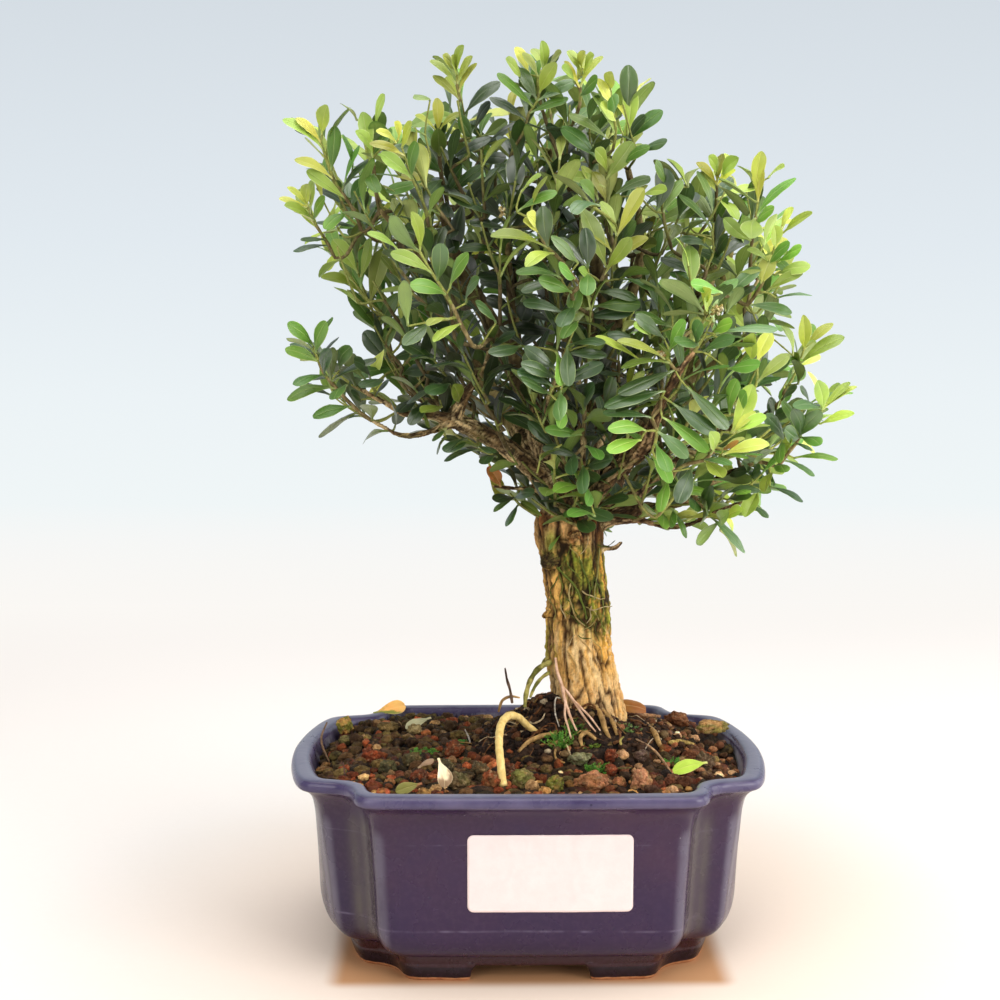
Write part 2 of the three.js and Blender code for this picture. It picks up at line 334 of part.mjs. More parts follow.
      [[20.06,0.52,191.06,0.8], [19.92,-6.77,186.38,0.79], [19.74,-9.25,185.96,0.57], [19.45,-12.38,190.96,0.57], [19.33,-13.25,198.73,0.42]],
      [[17.11,-5.27,194.3,0.8], [17.4,-12.68,191.85,0.45]],
      [[21.3,-14.22,205.75,0.65], [19.78,-13.25,206.64,0.42]],
      [[18.04,7.59,191.68,0.8], [19.29,2.65,190.53,0.8], [20.06,0.52,191.06,0.8], [20.65,0.29,193.01,0.8], [19.64,-1.59,193.92,0.8], [17.11,-5.27,194.3,0.8], [16.11,-6.9,195.1,0.8], [15.72,-9.07,200.95,0.8], [17.3,-13.25,201.7,0.68], [21.06,-13.2,204.18,0.65], [21.5,-15.99,209.05,0.57], [20.79,-16.89,212.63,0.52], [20.12,-17.2,218.21,0.42]],
    ],
    leaves: [
      [20.12,-17.2,218.21,19.78,-23.85,221.25,-0.7,-0.33,-0.63,3.6],
      [19.78,-13.25,206.64,10.05,-16.14,212.78,0.53,-0.68,0.52,4.04],
      [20.79,-16.89,212.63,19.69,-28.16,214.75,0.68,-0.19,-0.71,4.02],
      [19.34,-13.31,196.76,25.78,-16.2,205.71,-0.14,-0.97,-0.21,5.03],
      [17.4,-12.68,191.85,13.42,-14.99,199.97,0.65,-0.76,0.1,3.6],
      [19.33,-13.25,198.73,16.25,-23.65,202.63,0.9,-0.36,-0.24,4.02],
    ],
  },
  spray_left_long: {
    twigs: [
      [[-35.04,37.56,147.77,0.81], [-38.74,34.53,153.94,0.81], [-45.39,25.96,172.59,0.52], [-46.42,24.37,176.02,0.45], [-46.67,24.37,179.04,0.42]],
    ],
    leaves: [
      [-46.67,24.37,179.04,-45.24,21.61,189.74,-0.4,0.87,0.28,3.85],
      [-45.93,25.17,174.29,-42.57,22.16,185.44,-0.61,-0.8,-0.02,4.04],
      [-40.42,32.23,159.09,-49.6,28.27,171.55,0.63,-0.74,0.23,5.4],
      [-44.15,27.55,169.22,-56.68,24.19,175.17,0.51,-0.37,0.77,5.19],
      [-36.12,36.81,149.22,-50.27,33.12,147.18,0.08,-0.73,0.68,5],
      [-41.03,31.45,160.78,-35.6,28.69,170.74,-0.39,-0.92,-0.06,4],
    ],
  },
  spray_top_left: {
    twigs: [
      [[-19.35,13.97,198.62,0.9], [-21.46,13.11,204.45,0.52], [-20.5,12.67,205.3,0.42]],
      [[-12.06,15.12,207.45,0.72], [-11.37,15.28,209.4,0.45], [-13.53,15.84,213.73,0.42]],
      [[-19.98,9.55,191.43,1.04], [-17.85,13.41,193.74,0.95], [-16.77,15.02,193.01,0.93], [-19.35,13.97,198.62,0.9], [-13.8,14.74,203.48,0.74], [-12.06,15.12,207.45,0.72], [-12.36,17.32,208.49,0.65], [-14.17,24.02,209.26,0.65], [-14.84,25.81,210.25,0.65], [-17.6,27.84,223.75,0.45]],
    ],
    leaves: [
      [-13.53,15.84,213.73,-9.77,7.33,219.63,-0.89,-0.44,-0.07,4.02],
      [-20.5,12.67,205.3,-9.77,9.61,210.91,-0.47,-0.71,0.52,4.27],
      [-17.85,13.41,193.74,-9.23,10.71,200.04,-0.14,-0.96,-0.23,4.31],
      [-11.37,15.28,209.4,-2.52,12.52,215.58,-0.56,-0.64,0.52,3.86],
      [-13.8,14.74,203.48,-5.82,6.31,204.95,-0.65,-0.52,0.56,4.02],
      [-17.6,27.84,223.75,-20.78,25.24,234.28,0.69,0.62,0.36,3.77],
    ],
  },
  spray_right_low_front: {
    twigs: [
      [[28.69,-8.3,146.21,0.86], [29.16,-10.11,152.08,0.57]],
      [[29.87,-7.81,136.93,1.06], [28.13,-6.16,140.45,0.9], [28.69,-8.3,146.21,0.86], [32.24,-7.23,148.2,0.72], [36.95,-8.38,154.9,0.65]],
      [[30.57,-11.49,131.72,1.06], [31.49,-10.5,133.41,1.06], [29.87,-7.81,136.93,1.06], [31.68,-2.97,136.07,0.93], [32.65,-1.23,136.63,0.77], [39.33,2.58,138.74,0.65], [43.28,4.65,140.81,0.65], [46.42,7.84,147.84,0.57]],
    ],
    leaves: [
      [36.95,-8.38,154.9,49.64,-15.39,157.51,-0.1,0.17,0.98,4.8],
      [36.95,-8.38,154.9,35.98,-5.28,168.09,0.55,-0.8,0.23,4.4],
      [46.42,7.84,147.84,45.7,18.09,155.72,0.17,-0.59,0.79,4.49],
      [34.69,-7.83,151.48,46.27,-1.6,153.37,-0.01,-0.29,0.96,4.14],
      [29.16,-10.11,152.08,37.73,-8.1,163.77,-0.69,-0.38,0.61,5.17],
      [28.85,-8.95,148.15,24.58,-0.17,155.73,0.25,-0.56,0.79,4.41],
    ],
  },
  spray_upper_right_inner: {
    twigs: [
      [[30.17,24.71,180.93,1.15], [29.94,27.95,176.6,0.82], [23.37,32.72,176.08,0.65], [19.99,35.75,177.91,0.65], [23.25,41.92,191.6,0.45]],
      [[31.52,22.31,181.92,1.15], [30.17,24.71,180.93,1.15], [28.7,26.8,181.11,1], [24.98,27.44,197.03,0.72], [21.23,32.8,197.16,0.65], [24.52,36.57,210.16,0.45]],
    ],
    leaves: [
      [23.25,41.92,191.6,21.59,43.44,202.1,0.99,0.06,0.15,3.88],
      [23.25,41.92,191.6,27.63,46.63,199.4,-0.62,-0.47,0.63,3.46],
      [21.8,33.44,198.96,24.13,27.23,208.5,-0.07,0.79,0.61,3.68],
      [24.52,36.57,210.16,25.79,36.44,220.17,-0.59,0.8,0.09,3.51],
      [23.28,35.14,204.49,33.61,35.71,212.72,-0.61,0.21,0.76,4.32],
      [24.52,36.57,210.16,27.38,42.07,216.44,-0.07,-0.73,0.68,3.23],
    ],
  },
  spray_front_left: {
    twigs: [
      [[-5.07,-5.95,186.95,0.57], [-7.01,-6.09,187.76,0.42]],
      [[-3.94,-2.95,177.24,1.11], [-5.2,-5.35,184.99,0.61], [-4.59,-6.55,188.85,0.45]],
      [[-5.96,-2.95,178.01,1.03], [-10.08,0.44,180.42,0.42]],
      [[-3.77,-2.36,175.28,1.19], [-3.94,-2.95,177.24,1.11], [-5.96,-2.95,178.01,1.03], [-5.78,-3.87,179.77,1.01], [-6.98,-3.74,179.57,0.92]],
    ],
    leaves: [
      [-5.07,-5.95,186.95,-6.58,-13.16,191.02,0.74,0.16,0.65,3.6],
      [-6.98,-3.74,179.57,-17.8,-6.44,180.36,0.22,-0.66,0.72,3.77],
      [-4.59,-6.55,188.85,-2.62,-16.14,193.89,-0.28,-0.51,-0.81,4.36],
      [-7.01,-6.09,187.76,-20.25,-9.81,194.14,0.48,-0.56,0.67,5.19],
      [-5.2,-5.35,184.99,-15.21,-7.77,186.83,0.32,-0.63,0.71,3.6],
      [-10.08,0.44,180.42,-11.37,-10.4,184.31,0.19,0.31,0.93,4.02],
    ],
  },
  spray_inner_left: {
    twigs: [
      [[-15.47,17.15,166.33,1], [-17.21,21.97,166.16,1], [-19.16,26.04,167.38,1], [-22.68,27.48,174.13,0.97], [-21.11,27.95,176.19,0.86], [-12.77,29.22,181.38,0.86], [-11.25,29.45,183.16,0.86], [-10.44,29.69,197.53,0.72], [-13.08,28.82,199.58,0.65], [-19.36,32.51,214.57,0.45]],
    ],
    leaves: [
      [-19.36,32.51,214.57,-22.69,36.87,222.21,0.21,-0.81,0.55,3.03],
      [-17.29,31.29,208.79,-9.52,36.24,215.93,-0.63,-0.23,0.74,4.04],
      [-10.75,29.6,191.37,-18.6,32.74,201.92,0.69,-0.37,0.62,4.67],
      [-17.29,31.29,208.79,-30.92,28.91,211.96,0.29,-0.13,0.95,5.37],
      [-10.54,29.66,195.48,-8.49,37.38,205.39,-0.15,-0.74,0.66,4.04],
      [-19.36,32.51,214.57,-22.82,31.38,224.14,0.37,0.9,0.24,3.56],
    ],
  },
  spray_centre_low: {
    twigs: [
      [[9.32,-11.88,152.87,0.8], [11.38,-13.8,164.14,0.45]],
      [[7.72,-17.41,141.29,0.8], [6.46,-17.81,142.79,0.8], [6.53,-16.14,144.7,0.8], [8.46,-11.07,149.18,0.8], [9.32,-11.88,152.87,0.8], [7.04,-17.37,155.01,0.72], [7.01,-20.53,162.19,0.65], [6.98,-23.69,171.48,0.45]],
    ],
    leaves: [
      [6.98,-23.69,171.48,3.85,-30.3,179.11,0.45,0.57,0.68,3.38],
      [11.38,-13.8,164.14,15.69,-16.66,172.24,-0.81,0.25,0.52,3.53],
      [10.43,-12.91,158.48,5.12,-23.53,164.53,0.44,0.32,0.84,4.55],
      [7.01,-20.53,162.19,-3.52,-28.77,168.1,0.56,-0.14,0.81,4.71],
      [7.01,-20.53,162.19,16.07,-17.96,170.07,-0.59,-0.27,0.76,4.04],
      [7.02,-19.02,158.57,14.69,-28.9,160.52,-0.12,0.12,0.99,3.97],
    ],
  },
  spray_inner_right: {
    twigs: [
      [[48.52,19.25,125.2,0.91], [56.91,20.95,128.56,0.65], [64.48,20.39,125.12,0.61], [71.36,21.73,129.07,0.52], [77.4,22.9,134.29,0.45]],
      [[46.73,18.89,124.9,0.91], [48.52,19.25,125.2,0.91], [52.15,23.78,117.14,0.84], [55.3,25.8,117.82,0.74], [62.85,30.65,120.87,0.65], [61.11,32.03,123.98,0.61], [67.28,35.67,126.96,0.52], [72.81,38.92,131.35,0.45]],
    ],
    leaves: [
      [68.72,36.51,127.96,76.7,30.02,138.35,0.11,0.89,0.44,5.01],
      [72.81,38.92,131.35,77.22,46.47,135.93,0.15,-0.58,0.8,3.47],
      [64.26,33.89,125.29,72.36,27.94,130.55,-0.06,0.63,0.77,4.21],
      [77.4,22.9,134.29,84.9,28.44,139.3,-0.06,-0.62,0.78,3.56],
      [77.4,22.9,134.29,84.29,20.24,138.8,-0.2,0.68,0.7,3.12],
      [72.94,22.04,130.29,75.02,13.53,142,0.11,0.82,0.55,5.41],
    ],
  },
  spray_left_under: {
    twigs: [
      [[-5.09,-7.97,128.29,0.97], [-4.62,-10.61,127.64,0.42], [-3.02,-14.99,125.29,0.42]],
      [[-7.51,-12.92,133.47,0.88], [-8.05,-14.02,134.91,0.52], [-6.85,-15.34,135.73,0.42]],
      [[-4.42,-6.59,127.19,0.97], [-7.51,-12.92,133.47,0.88], [-6.35,-13.59,133.87,0.82], [-10.9,-14.41,140.12,0.77], [-10.06,-15.01,141.03,0.65], [-13.54,-18.84,146.69,0.57], [-16.44,-22.04,153.04,0.45]],
    ],
    leaves: [
      [-6.85,-15.34,135.73,-11.41,-26.01,133.15,-0.88,0.28,0.4,4.02],
      [-3.02,-14.99,125.29,-9.93,-24.79,125.16,-0.69,0.48,0.55,4.02],
      [-11.88,-17.01,143.75,-24.4,-17.75,147.73,0.33,-0.28,0.9,4.62],
      [-11.88,-17.01,143.75,-3.8,-23.38,151.21,-0.57,0.25,0.78,4.47],
      [-14.31,-19.69,148.23,-25.32,-28.1,150.3,0.05,0.23,0.97,4.89],
      [-16.44,-22.04,153.04,-16.34,-28.08,159.23,-0.66,0.53,0.53,3.09],
    ],
  },
  spray_back_right_top: {
    twigs: [
      [[54.35,43.64,174.28,0.82], [50.56,46.1,176.86,0.65], [49.67,47.41,178.57,0.65], [55.82,47.78,190.36,0.45]],
      [[54.35,43.64,174.28,0.82], [53.54,42.08,175.93,0.65], [56.01,41.65,178.87,0.65]],
    ],
    leaves: [
      [55.82,47.78,190.36,58.77,45.4,198.39,-0.07,0.95,0.31,3.16],
      [53.48,47.64,185.15,65.82,44.89,190.68,-0.39,0.08,0.92,4.69],
      [55.82,47.78,190.36,60.29,50.94,197.7,-0.35,-0.77,0.54,2.95],
      [56.01,41.65,178.87,59.76,32.04,182.9,0.11,0.48,0.87,3.61],
      [50.71,47.47,180.16,56.89,58.76,186.39,-0.07,-0.41,0.91,4.64],
      [53.48,47.64,185.15,49.69,51.21,199.13,0.85,-0.41,0.34,4.74],
    ],
  },
  spray_back_left_top: {
    twigs: [
      [[-38.54,38.05,194.52,0.84], [-40.6,36.26,195.53,0.65], [-42.77,34.54,202.77,0.57], [-44.92,32.82,212.06,0.42]],
      [[-35.41,40.54,188.59,0.88], [-36.29,39.93,193.4,0.88], [-38.54,38.05,194.52,0.84], [-42.94,34.17,191.49,0.68], [-50.01,35.83,199.82,0.42]],
    ],
    leaves: [
      [-44.92,32.82,212.06,-44.52,32.92,219.91,-0.92,-0.38,0.05,2.81],
      [-43.67,33.82,206.47,-39.7,25.48,218.33,-0.64,0.48,0.59,5.18],
      [-42.77,34.54,202.77,-39.61,41.98,214.79,-0.49,-0.68,0.55,4.58],
      [-50.01,35.83,199.82,-56.83,37.82,206.05,0.61,-0.26,0.75,3.39],
      [-43.67,33.82,206.47,-53.06,38.14,216.2,0.47,-0.5,0.73,4.96],
      [-44.29,34.48,192.72,-46.93,46.66,200.43,-0.35,-0.53,0.77,5.19],
    ],
  },
  spray_back_left_low: {
    twigs: [
      [[-34.91,19.8,138.04,0.72], [-40.12,15.95,135.38,0.52], [-42.09,15.28,135.14,0.52], [-45.33,16.87,136.83,0.52]],
      [[-30.59,21.11,141.91,0.9], [-34.91,19.8,138.04,0.72], [-41.38,21.02,143.31,0.57], [-48.24,22.31,151.22,0.42]],
      [[-16.19,41.62,139.15,0.98], [-17.3,39.79,140.4,0.98], [-21.22,37,137.67,0.98], [-23.48,30.53,138.79,0.95], [-26.17,27.02,140.59,0.9], [-30.59,21.11,141.91,0.9], [-32.28,19.86,142.94,0.72], [-35.93,20.9,147.65,0.68], [-31.6,21.94,153.12,0.65], [-33.79,23.25,169.39,0.45]],
    ],
    leaves: [
      [-44.24,21.56,146.37,-50.45,31.19,151.66,-0.25,-0.53,0.81,4.07],
      [-45.33,16.87,136.83,-49.92,10.83,147.76,-0.08,0.9,0.44,4.3],
      [-33.79,23.25,169.39,-38.68,28.6,176.79,0.37,-0.62,0.69,3.34],
      [-48.24,22.31,151.22,-59.39,22.93,152.96,0.16,0.31,0.94,4.13],
      [-33.08,22.83,163.27,-27.29,30.3,170.17,-0.34,-0.54,0.77,4.5],
      [-41.38,21.02,143.31,-38.01,20.83,155.63,-0.96,0.08,0.28,4.6],
    ],
  },
  spray_back_left: {
    twigs: [
      [[-26.3,48.4,175.15,1.03], [-29.04,52.47,181.76,0.65], [-31.84,56.63,190.74,0.45]],
      [[-19.49,54.48,187.08,0.65], [-20.39,56.31,190.57,0.45]],
      [[-26.3,48.4,175.15,1.03], [-18.94,50.29,180.63,0.72], [-17.88,51.15,182.28,0.72], [-19.49,54.48,187.08,0.65], [-15.52,53.89,190.17,0.57], [-18.7,52.89,202.32,0.45]],
    ],
    leaves: [
      [-31.84,56.63,190.74,-33.01,57.89,202,0.76,-0.64,0.15,3.99],
      [-18.7,52.89,202.32,-18.04,51.82,211.1,-0.66,0.74,0.14,2.86],
      [-31.84,56.63,190.74,-35.99,63.15,198,0.51,-0.47,0.72,3.35],
      [-16.16,53.69,192.16,-21.51,62.39,203.31,0.05,-0.76,0.65,4.79],
      [-20.39,56.31,190.57,-25.02,59.35,197.32,0.79,-0.13,0.6,2.83],
      [-27.73,50.52,178.38,-37.68,48.5,184.32,0.44,0.33,0.83,4.18],
    ],
  },
  spray_back_right: {
    twigs: [
      [[43.64,52.45,154.32,0.86], [44.61,53.74,160.08,0.52]],
      [[39.08,45.41,169.15,0.68], [42.41,49.26,177.04,0.45]],
      [[45.09,51.39,151.65,0.86], [43.28,51.95,152.43,0.86], [43.64,52.45,154.32,0.86], [42.59,50.97,156.61,0.74], [37.19,43.48,162.66,0.74], [36.67,42.62,164.88,0.74], [39.08,45.41,169.15,0.68], [35.02,46.04,172.81,0.57], [34.95,46.95,183.94,0.45]],
    ],
    leaves: [
      [34.95,46.95,183.94,37.86,50.8,190.48,-0.68,-0.45,0.57,2.76],
      [42.41,49.26,177.04,43.31,54.49,186.7,0.44,-0.81,0.4,3.43],
      [42.41,49.26,177.04,48.58,52.21,183.76,-0.66,-0.25,0.71,3.03],
      [44.61,53.74,160.08,53.54,62.37,166.06,-0.57,0.03,0.82,5.02],
      [34.95,46.95,183.94,33,45.48,192.37,0.51,0.82,0.26,3.16],
      [40.5,47.05,172.22,42.84,40.8,183.64,-0.06,0.89,0.46,4.44],
    ],
  },
  spray_back_mid: {
    twigs: [
      [[4.71,48.3,175.01,1.03], [0.59,47.39,174.09,0.82], [-1.19,51.93,178.1,0.77], [1.14,53.66,178.63,0.65], [-3.64,58.41,193.51,0.45]],
      [[4.69,51.62,184.02,0.77], [4.67,53.23,189.55,0.45]],
      [[8.44,50.18,174.73,1.03], [6.54,49.02,174.37,1.03], [4.71,48.3,175.01,1.03], [4.69,51.62,184.02,0.77], [0,48.47,187.59,0.65], [0.53,51.72,201.48,0.45]],
    ],
    leaves: [
      [0.53,51.72,201.48,-1,58.59,209.68,0.15,-0.74,0.65,3.74],
      [0.09,49.03,189.55,-1.08,61.42,194.4,0.02,-0.31,0.95,4.39],
      [0.33,50.5,195.48,-11.68,53.97,201.46,0.48,0.16,0.86,4.82],
      [4.67,53.23,189.55,3.74,59.9,196.44,0.36,-0.65,0.67,3.02],
      [4.67,53.23,189.55,5.26,53.46,198.55,-1,0.04,0.06,3.04],
      [-3.64,58.41,193.51,-7.27,64.43,198.51,0.13,-0.58,0.8,3.13],
    ],
  },
  spray_back_right_low: {
    twigs: [
      [[41.32,48.08,126.35,0.97], [42.62,49.35,124.87,0.65], [46.76,53.01,130.79,0.57], [50.21,56.07,137.45,0.45]],
      [[44,44.47,123.1,0.86], [44.87,45.47,118.59,0.57], [48.2,47.88,119.34,0.45], [52.87,51.26,121.8,0.45]],
      [[40.25,47.09,131.48,0.97], [41.32,48.08,126.35,0.97], [44,44.47,123.1,0.86], [45.94,43.27,122.4,0.77], [50.2,46.07,125.11,0.57], [55.18,49.35,129.96,0.45]],
    ],
    leaves: [
      [55.18,49.35,129.96,59.59,57.35,136.13,0.22,-0.67,0.71,3.96],
      [47.67,53.82,132.4,56.51,63.28,130.18,0.26,-0.08,0.96,4.95],
      [50.21,56.07,137.45,52.6,61.38,147.54,0.19,-0.89,0.42,3.92],
      [52.87,51.26,121.8,62.19,53.07,126.98,-0.49,0.49,0.72,3.89],
      [51.51,46.93,126.22,54.19,60.22,127.13,0.26,-0.1,0.96,4.17],
      [46.55,46.68,118.89,58.64,43.28,119.59,0.11,0.5,0.86,4.22],
    ],
  },
  spray_back_top: {
    twigs: [
      [[12.25,41.54,201.98,1], [14.08,41.8,201.67,0.79], [16.43,45.61,218.75,0.45]],
      [[6.56,35.79,199.86,1], [2.96,36.4,195.4,0.86], [1.34,37.71,194.29,0.86], [1.38,43.95,208.86,0.45]],
      [[6.96,33.13,200.84,1], [3.53,29.32,201.61,0.82], [-0.32,26.54,202.37,0.82], [-1.92,25.36,203.52,0.61], [-2.32,25.14,205.41,0.61]],
      [[18.13,27.2,211.75,0.68], [23.25,26.45,213.08,0.45], [23.93,26.86,214.83,0.45]],
      [[12.25,41.54,201.98,1], [10.78,39.28,200.26,1], [8.69,37.31,199.33,1], [6.56,35.79,199.86,1], [6.96,33.13,200.84,1], [9.28,28.51,202.62,0.86], [9.58,26.86,204.31,0.86], [16.45,25.74,206.51,0.68], [18.24,25.9,207.79,0.68], [17.87,30.3,223.88,0.42]],
    ],
    leaves: [
      [16.43,45.61,218.75,16.59,44.96,228.48,0.05,1,0.07,3.49],
      [17.87,30.3,223.88,15.74,34.58,232.33,0.62,-0.63,0.47,3.25],
      [23.93,26.86,214.83,27.78,18.04,226.44,-0.02,0.78,0.63,5.13],
      [1.38,43.95,208.86,-1.38,44.78,216.71,0.94,0.08,0.32,2.71],
      [-2.32,25.14,205.41,5.65,28.84,217.63,-0.76,-0.21,0.62,4.96],
      [23.93,26.86,214.83,25.24,35.92,222.02,0.29,-0.6,0.75,4.07],
    ],
  },
  spray_back_low: {
    twigs: [
      [[10.78,46.81,142.38,1.03], [9.28,48.13,142.32,0.77], [9.13,49.9,139.9,0.65], [10.21,52.45,134.77,0.65], [9.54,54.12,133.24,0.65], [4.22,55.85,138.55,0.57]],
      [[4.91,44.31,142.65,0.86], [-0.22,47.56,140.12,0.65], [-5.49,51.72,145.02,0.57], [-10.01,55.29,151.02,0.45]],
      [[10.78,46.81,142.38,1.03], [6.74,44.84,142.11,0.86], [4.91,44.31,142.65,0.86], [1.89,48.67,148.21,0.65], [-1.25,53.21,156.08,0.45]],
    ],
    leaves: [
      [0.57,50.57,151.29,-8.75,50.32,162.12,0.61,0.54,0.58,4.33],
      [-1.25,53.21,156.08,-5.46,61.46,158.6,-0.01,-0.3,0.95,3.47],
      [-6.68,52.66,146.45,-5.61,55.51,159.25,-0.74,-0.64,0.19,4.27],
      [4.22,55.85,138.55,-5.89,62,140.87,0.19,-0.04,0.98,3.95],
      [-2.94,49.71,142.42,0.24,58.16,148.74,-0.33,-0.5,0.8,3.84],
      [-10.01,55.29,151.02,-16.87,56.46,156.13,0.57,0.49,0.65,3.05],
    ],
  },
};
// share of young, yellow-green leaves in each spray
const YOUNG = { spray_low_left_twig: 0.50, spray_right_low: 0.00, spray_left_inner: 0.50, spray_right_inner: 0.17, spray_right_edge: 0.67, spray_centre_mid: 0.00, spray_left_low: 0.00, spray_right_crown: 0.83, spray_front_right: 0.00, spray_left_crown: 0.67, spray_top: 0.83, spray_front_bud: 0.33, spray_right_edge_low: 0.33, spray_right_shoulder: 0.67, spray_upper_left: 0.67, spray_front_centre: 0.33, spray_left_middle: 0.33, spray_right_back_edge: 0.33, spray_top_right: 0.67, spray_left_long: 0.33, spray_top_left: 0.00, spray_right_low_front: 0.00, spray_upper_right_inner: 0.50, spray_front_left: 0.00, spray_inner_left: 0.00, spray_centre_low: 0.33, spray_inner_right: 0.00, spray_left_under: 0.00, spray_back_right_top: 0.00, spray_back_left_top: 0.67, spray_back_left_low: 0.00, spray_back_left: 0.50, spray_back_right: 0.50, spray_back_mid: 0.00, spray_back_right_low: 0.00, spray_back_top: 0.67, spray_back_low: 0.00 };

const LOOP_ROOT = [[-6.8,-34,47.06], [-7.26,-31,51.52], [-7.7,-25,55.79], [-7.14,-19,58.69], [-5.27,-14,59.84], [-2.59,-10,58.62], [0.12,-7,55.48], [2.84,-5,53.1]];
const FORK_ROOT = [[7.62,-4,69.31], [8.59,-6,65.43], [10.49,-10,62.58], [12.62,-14,59.8]];

// ------------------------------------------------------------------- helpers
const wasm = await Module();
wasm.setup();

function solid(geometry) {
  const g = geometry.clone();
  for (const k of Object.keys(g.attributes)) if (k !== 'position') g.deleteAttribute(k);
  const m = mergeVertices(g, 1e-3);
  const idx = m.index.array, pos = m.attributes.position.array;
  const tri = [];
  for (let i = 0; i < idx.length; i += 3) {
    if (idx[i] !== idx[i + 1] && idx[i + 1] !== idx[i + 2] && idx[i] !== idx[i + 2]) tri.push(idx[i], idx[i + 1], idx[i + 2]);
  }
  return new wasm.Manifold(new wasm.Mesh({
    numProp: 3,
    vertProperties: new Float32Array(pos),
    triVerts: new Uint32Array(tri),
  }));
}

// True where every edge of the triangles is shared by exactly two of them.
function closedUp(tri, pos) {
  const key = new Map(), id = [];
  for (let v = 0; v < pos.length / 3; v++) {
    const k = [0, 1, 2].map((c) => Math.round(pos[3 * v + c] * 1e4)).join(' ');
    if (!key.has(k)) key.set(k, key.size);
    id.push(key.get(k));
  }
  const seen = new Set();
  for (let i = 0; i < tri.length; i += 3) {
    const t = [id[tri[i]], id[tri[i + 1]], id[tri[i + 2]]];
    if (t[0] === t[1] || t[1] === t[2] || t[0] === t[2]) continue;
    for (let e = 0; e < 3; e++) {
      const k = t[e] + ' ' + t[(e + 1) % 3];
      if (seen.has(k)) return false;
      seen.add(k);
    }
  }
  for (const k of seen) if (!seen.has(k.split(' ').reverse().join(' '))) return false;
  return true;
}

// Closes up the slivers that a join leaves, where the result stays closed.
function welded(man) {
  for (const tol of WELD) {
    const raw = man.getMesh();
    const g = new THREE.BufferGeometry();
    g.setAttribute('position', new THREE.BufferAttribute(new Float32Array(raw.vertProperties), 3));
    g.setIndex(new THREE.BufferAttribute(new Uint32Array(raw.triVerts), 1));
    const m = mergeVertices(g, tol);
    const idx = m.index.array, tri = [];
    for (let i = 0; i < idx.length; i += 3) {
      if (idx[i] !== idx[i + 1] && idx[i + 1] !== idx[i + 2] && idx[i] !== idx[i + 2]) tri.push(idx[i], idx[i + 1], idx[i + 2]);
    }
    if (!closedUp(tri, m.attributes.position.array)) continue;
    try {
      const out = new wasm.Manifold(new wasm.Mesh({ numProp: 3, vertProperties: new Float32Array(m.attributes.position.array), triVerts: new Uint32Array(tri) }));
      if (out.decompose().length === 1 && Math.abs(out.volume() / man.volume() - 1) < 0.01) return out;
    } catch (e) { /* the weld pinched the surface: try a smaller one */ }
  }
  return man;
}

function geometryOf(joined) {
  const man = welded(joined);
  const m = man.getMesh();
  const g = new THREE.BufferGeometry();
  g.setAttribute('position', new THREE.BufferAttribute(new Float32Array(m.vertProperties), 3));
  g.setIndex(new THREE.BufferAttribute(new Uint32Array(m.triVerts), 1));
  const flat = g.toNonIndexed();
  flat.computeVertexNormals();
  return flat;
}

function union(list) {
  let parts = list.slice();
  while (parts.length > 1) {
    const next = [];
    for (let i = 0; i < parts.length; i += 2) next.push(i + 1 < parts.length ? parts[i].add(parts[i + 1]) : parts[i]);
    parts = next;
  }
  return parts[0];
}

// A tapered round tube: a cylinder whose rings are carried onto the points.
function taperTube(points, sides, extend = 0) {
  const P = points.map((p) => new THREE.Vector3(p[0], p[1], p[2]));
  const R = points.map((p) => p[3]);
  const n = P.length;
  const T = P.map((p, i) => {
    const a = P[Math.max(0, i - 1)], b = P[Math.min(n - 1, i + 1)];
    return b.clone().sub(a).normalize();
  });
  if (extend) {
    P[0].addScaledVector(T[0], -extend);
    P[n - 1].addScaledVector(T[n - 1], extend);
  }
  const U = [];
  let u = new THREE.Vector3(0.31, 0.17, 0.93).cross(T[0]);
  if (u.length() < 0.2) u = new THREE.Vector3(1, 0, 0).cross(T[0]);
  u.normalize();
  for (let i = 0; i < n; i++) {
    u = u.clone().addScaledVector(T[i], -u.dot(T[i])).normalize();
    U.push(u);
  }
  const V = T.map((t, i) => new THREE.Vector3().crossVectors(U[i], t));
  const g = new THREE.CylinderGeometry(1, 1, 1, sides, n - 1, false);
  const pos = g.attributes.position;
  for (let k = 0; k < pos.count; k++) {
    const i = Math.round((pos.getY(k) + 0.5) * (n - 1));
    const x = pos.getX(k) * R[i], z = pos.getZ(k) * R[i];
    pos.setXYZ(k,
      P[i].x + U[i].x * x + V[i].x * z,
      P[i].y + U[i].y * x + V[i].y * z,
      P[i].z + U[i].z * x + V[i].z * z);
  }
  return g;
}

// A smooth pass through the given [x, y, z, r] points.
function refine(points, per) {
  const c = new THREE.CatmullRomCurve3(points.map((p) => new THREE.Vector3(p[0], p[1], p[2])), false, 'catmullrom', 0.5);
  const out = [];
  const n = (points.length - 1) * per;
  for (let i = 0; i <= n; i++) {
    const t = i / n, q = c.getPoint(t);
    const s = Math.min(points.length - 2, Math.floor(t * (points.length - 1)));
    const f = t * (points.length - 1) - s;
    out.push([q.x, q.y, q.z, points[s][3] * (1 - f) + points[s + 1][3] * f]);
  }
  return out;
}

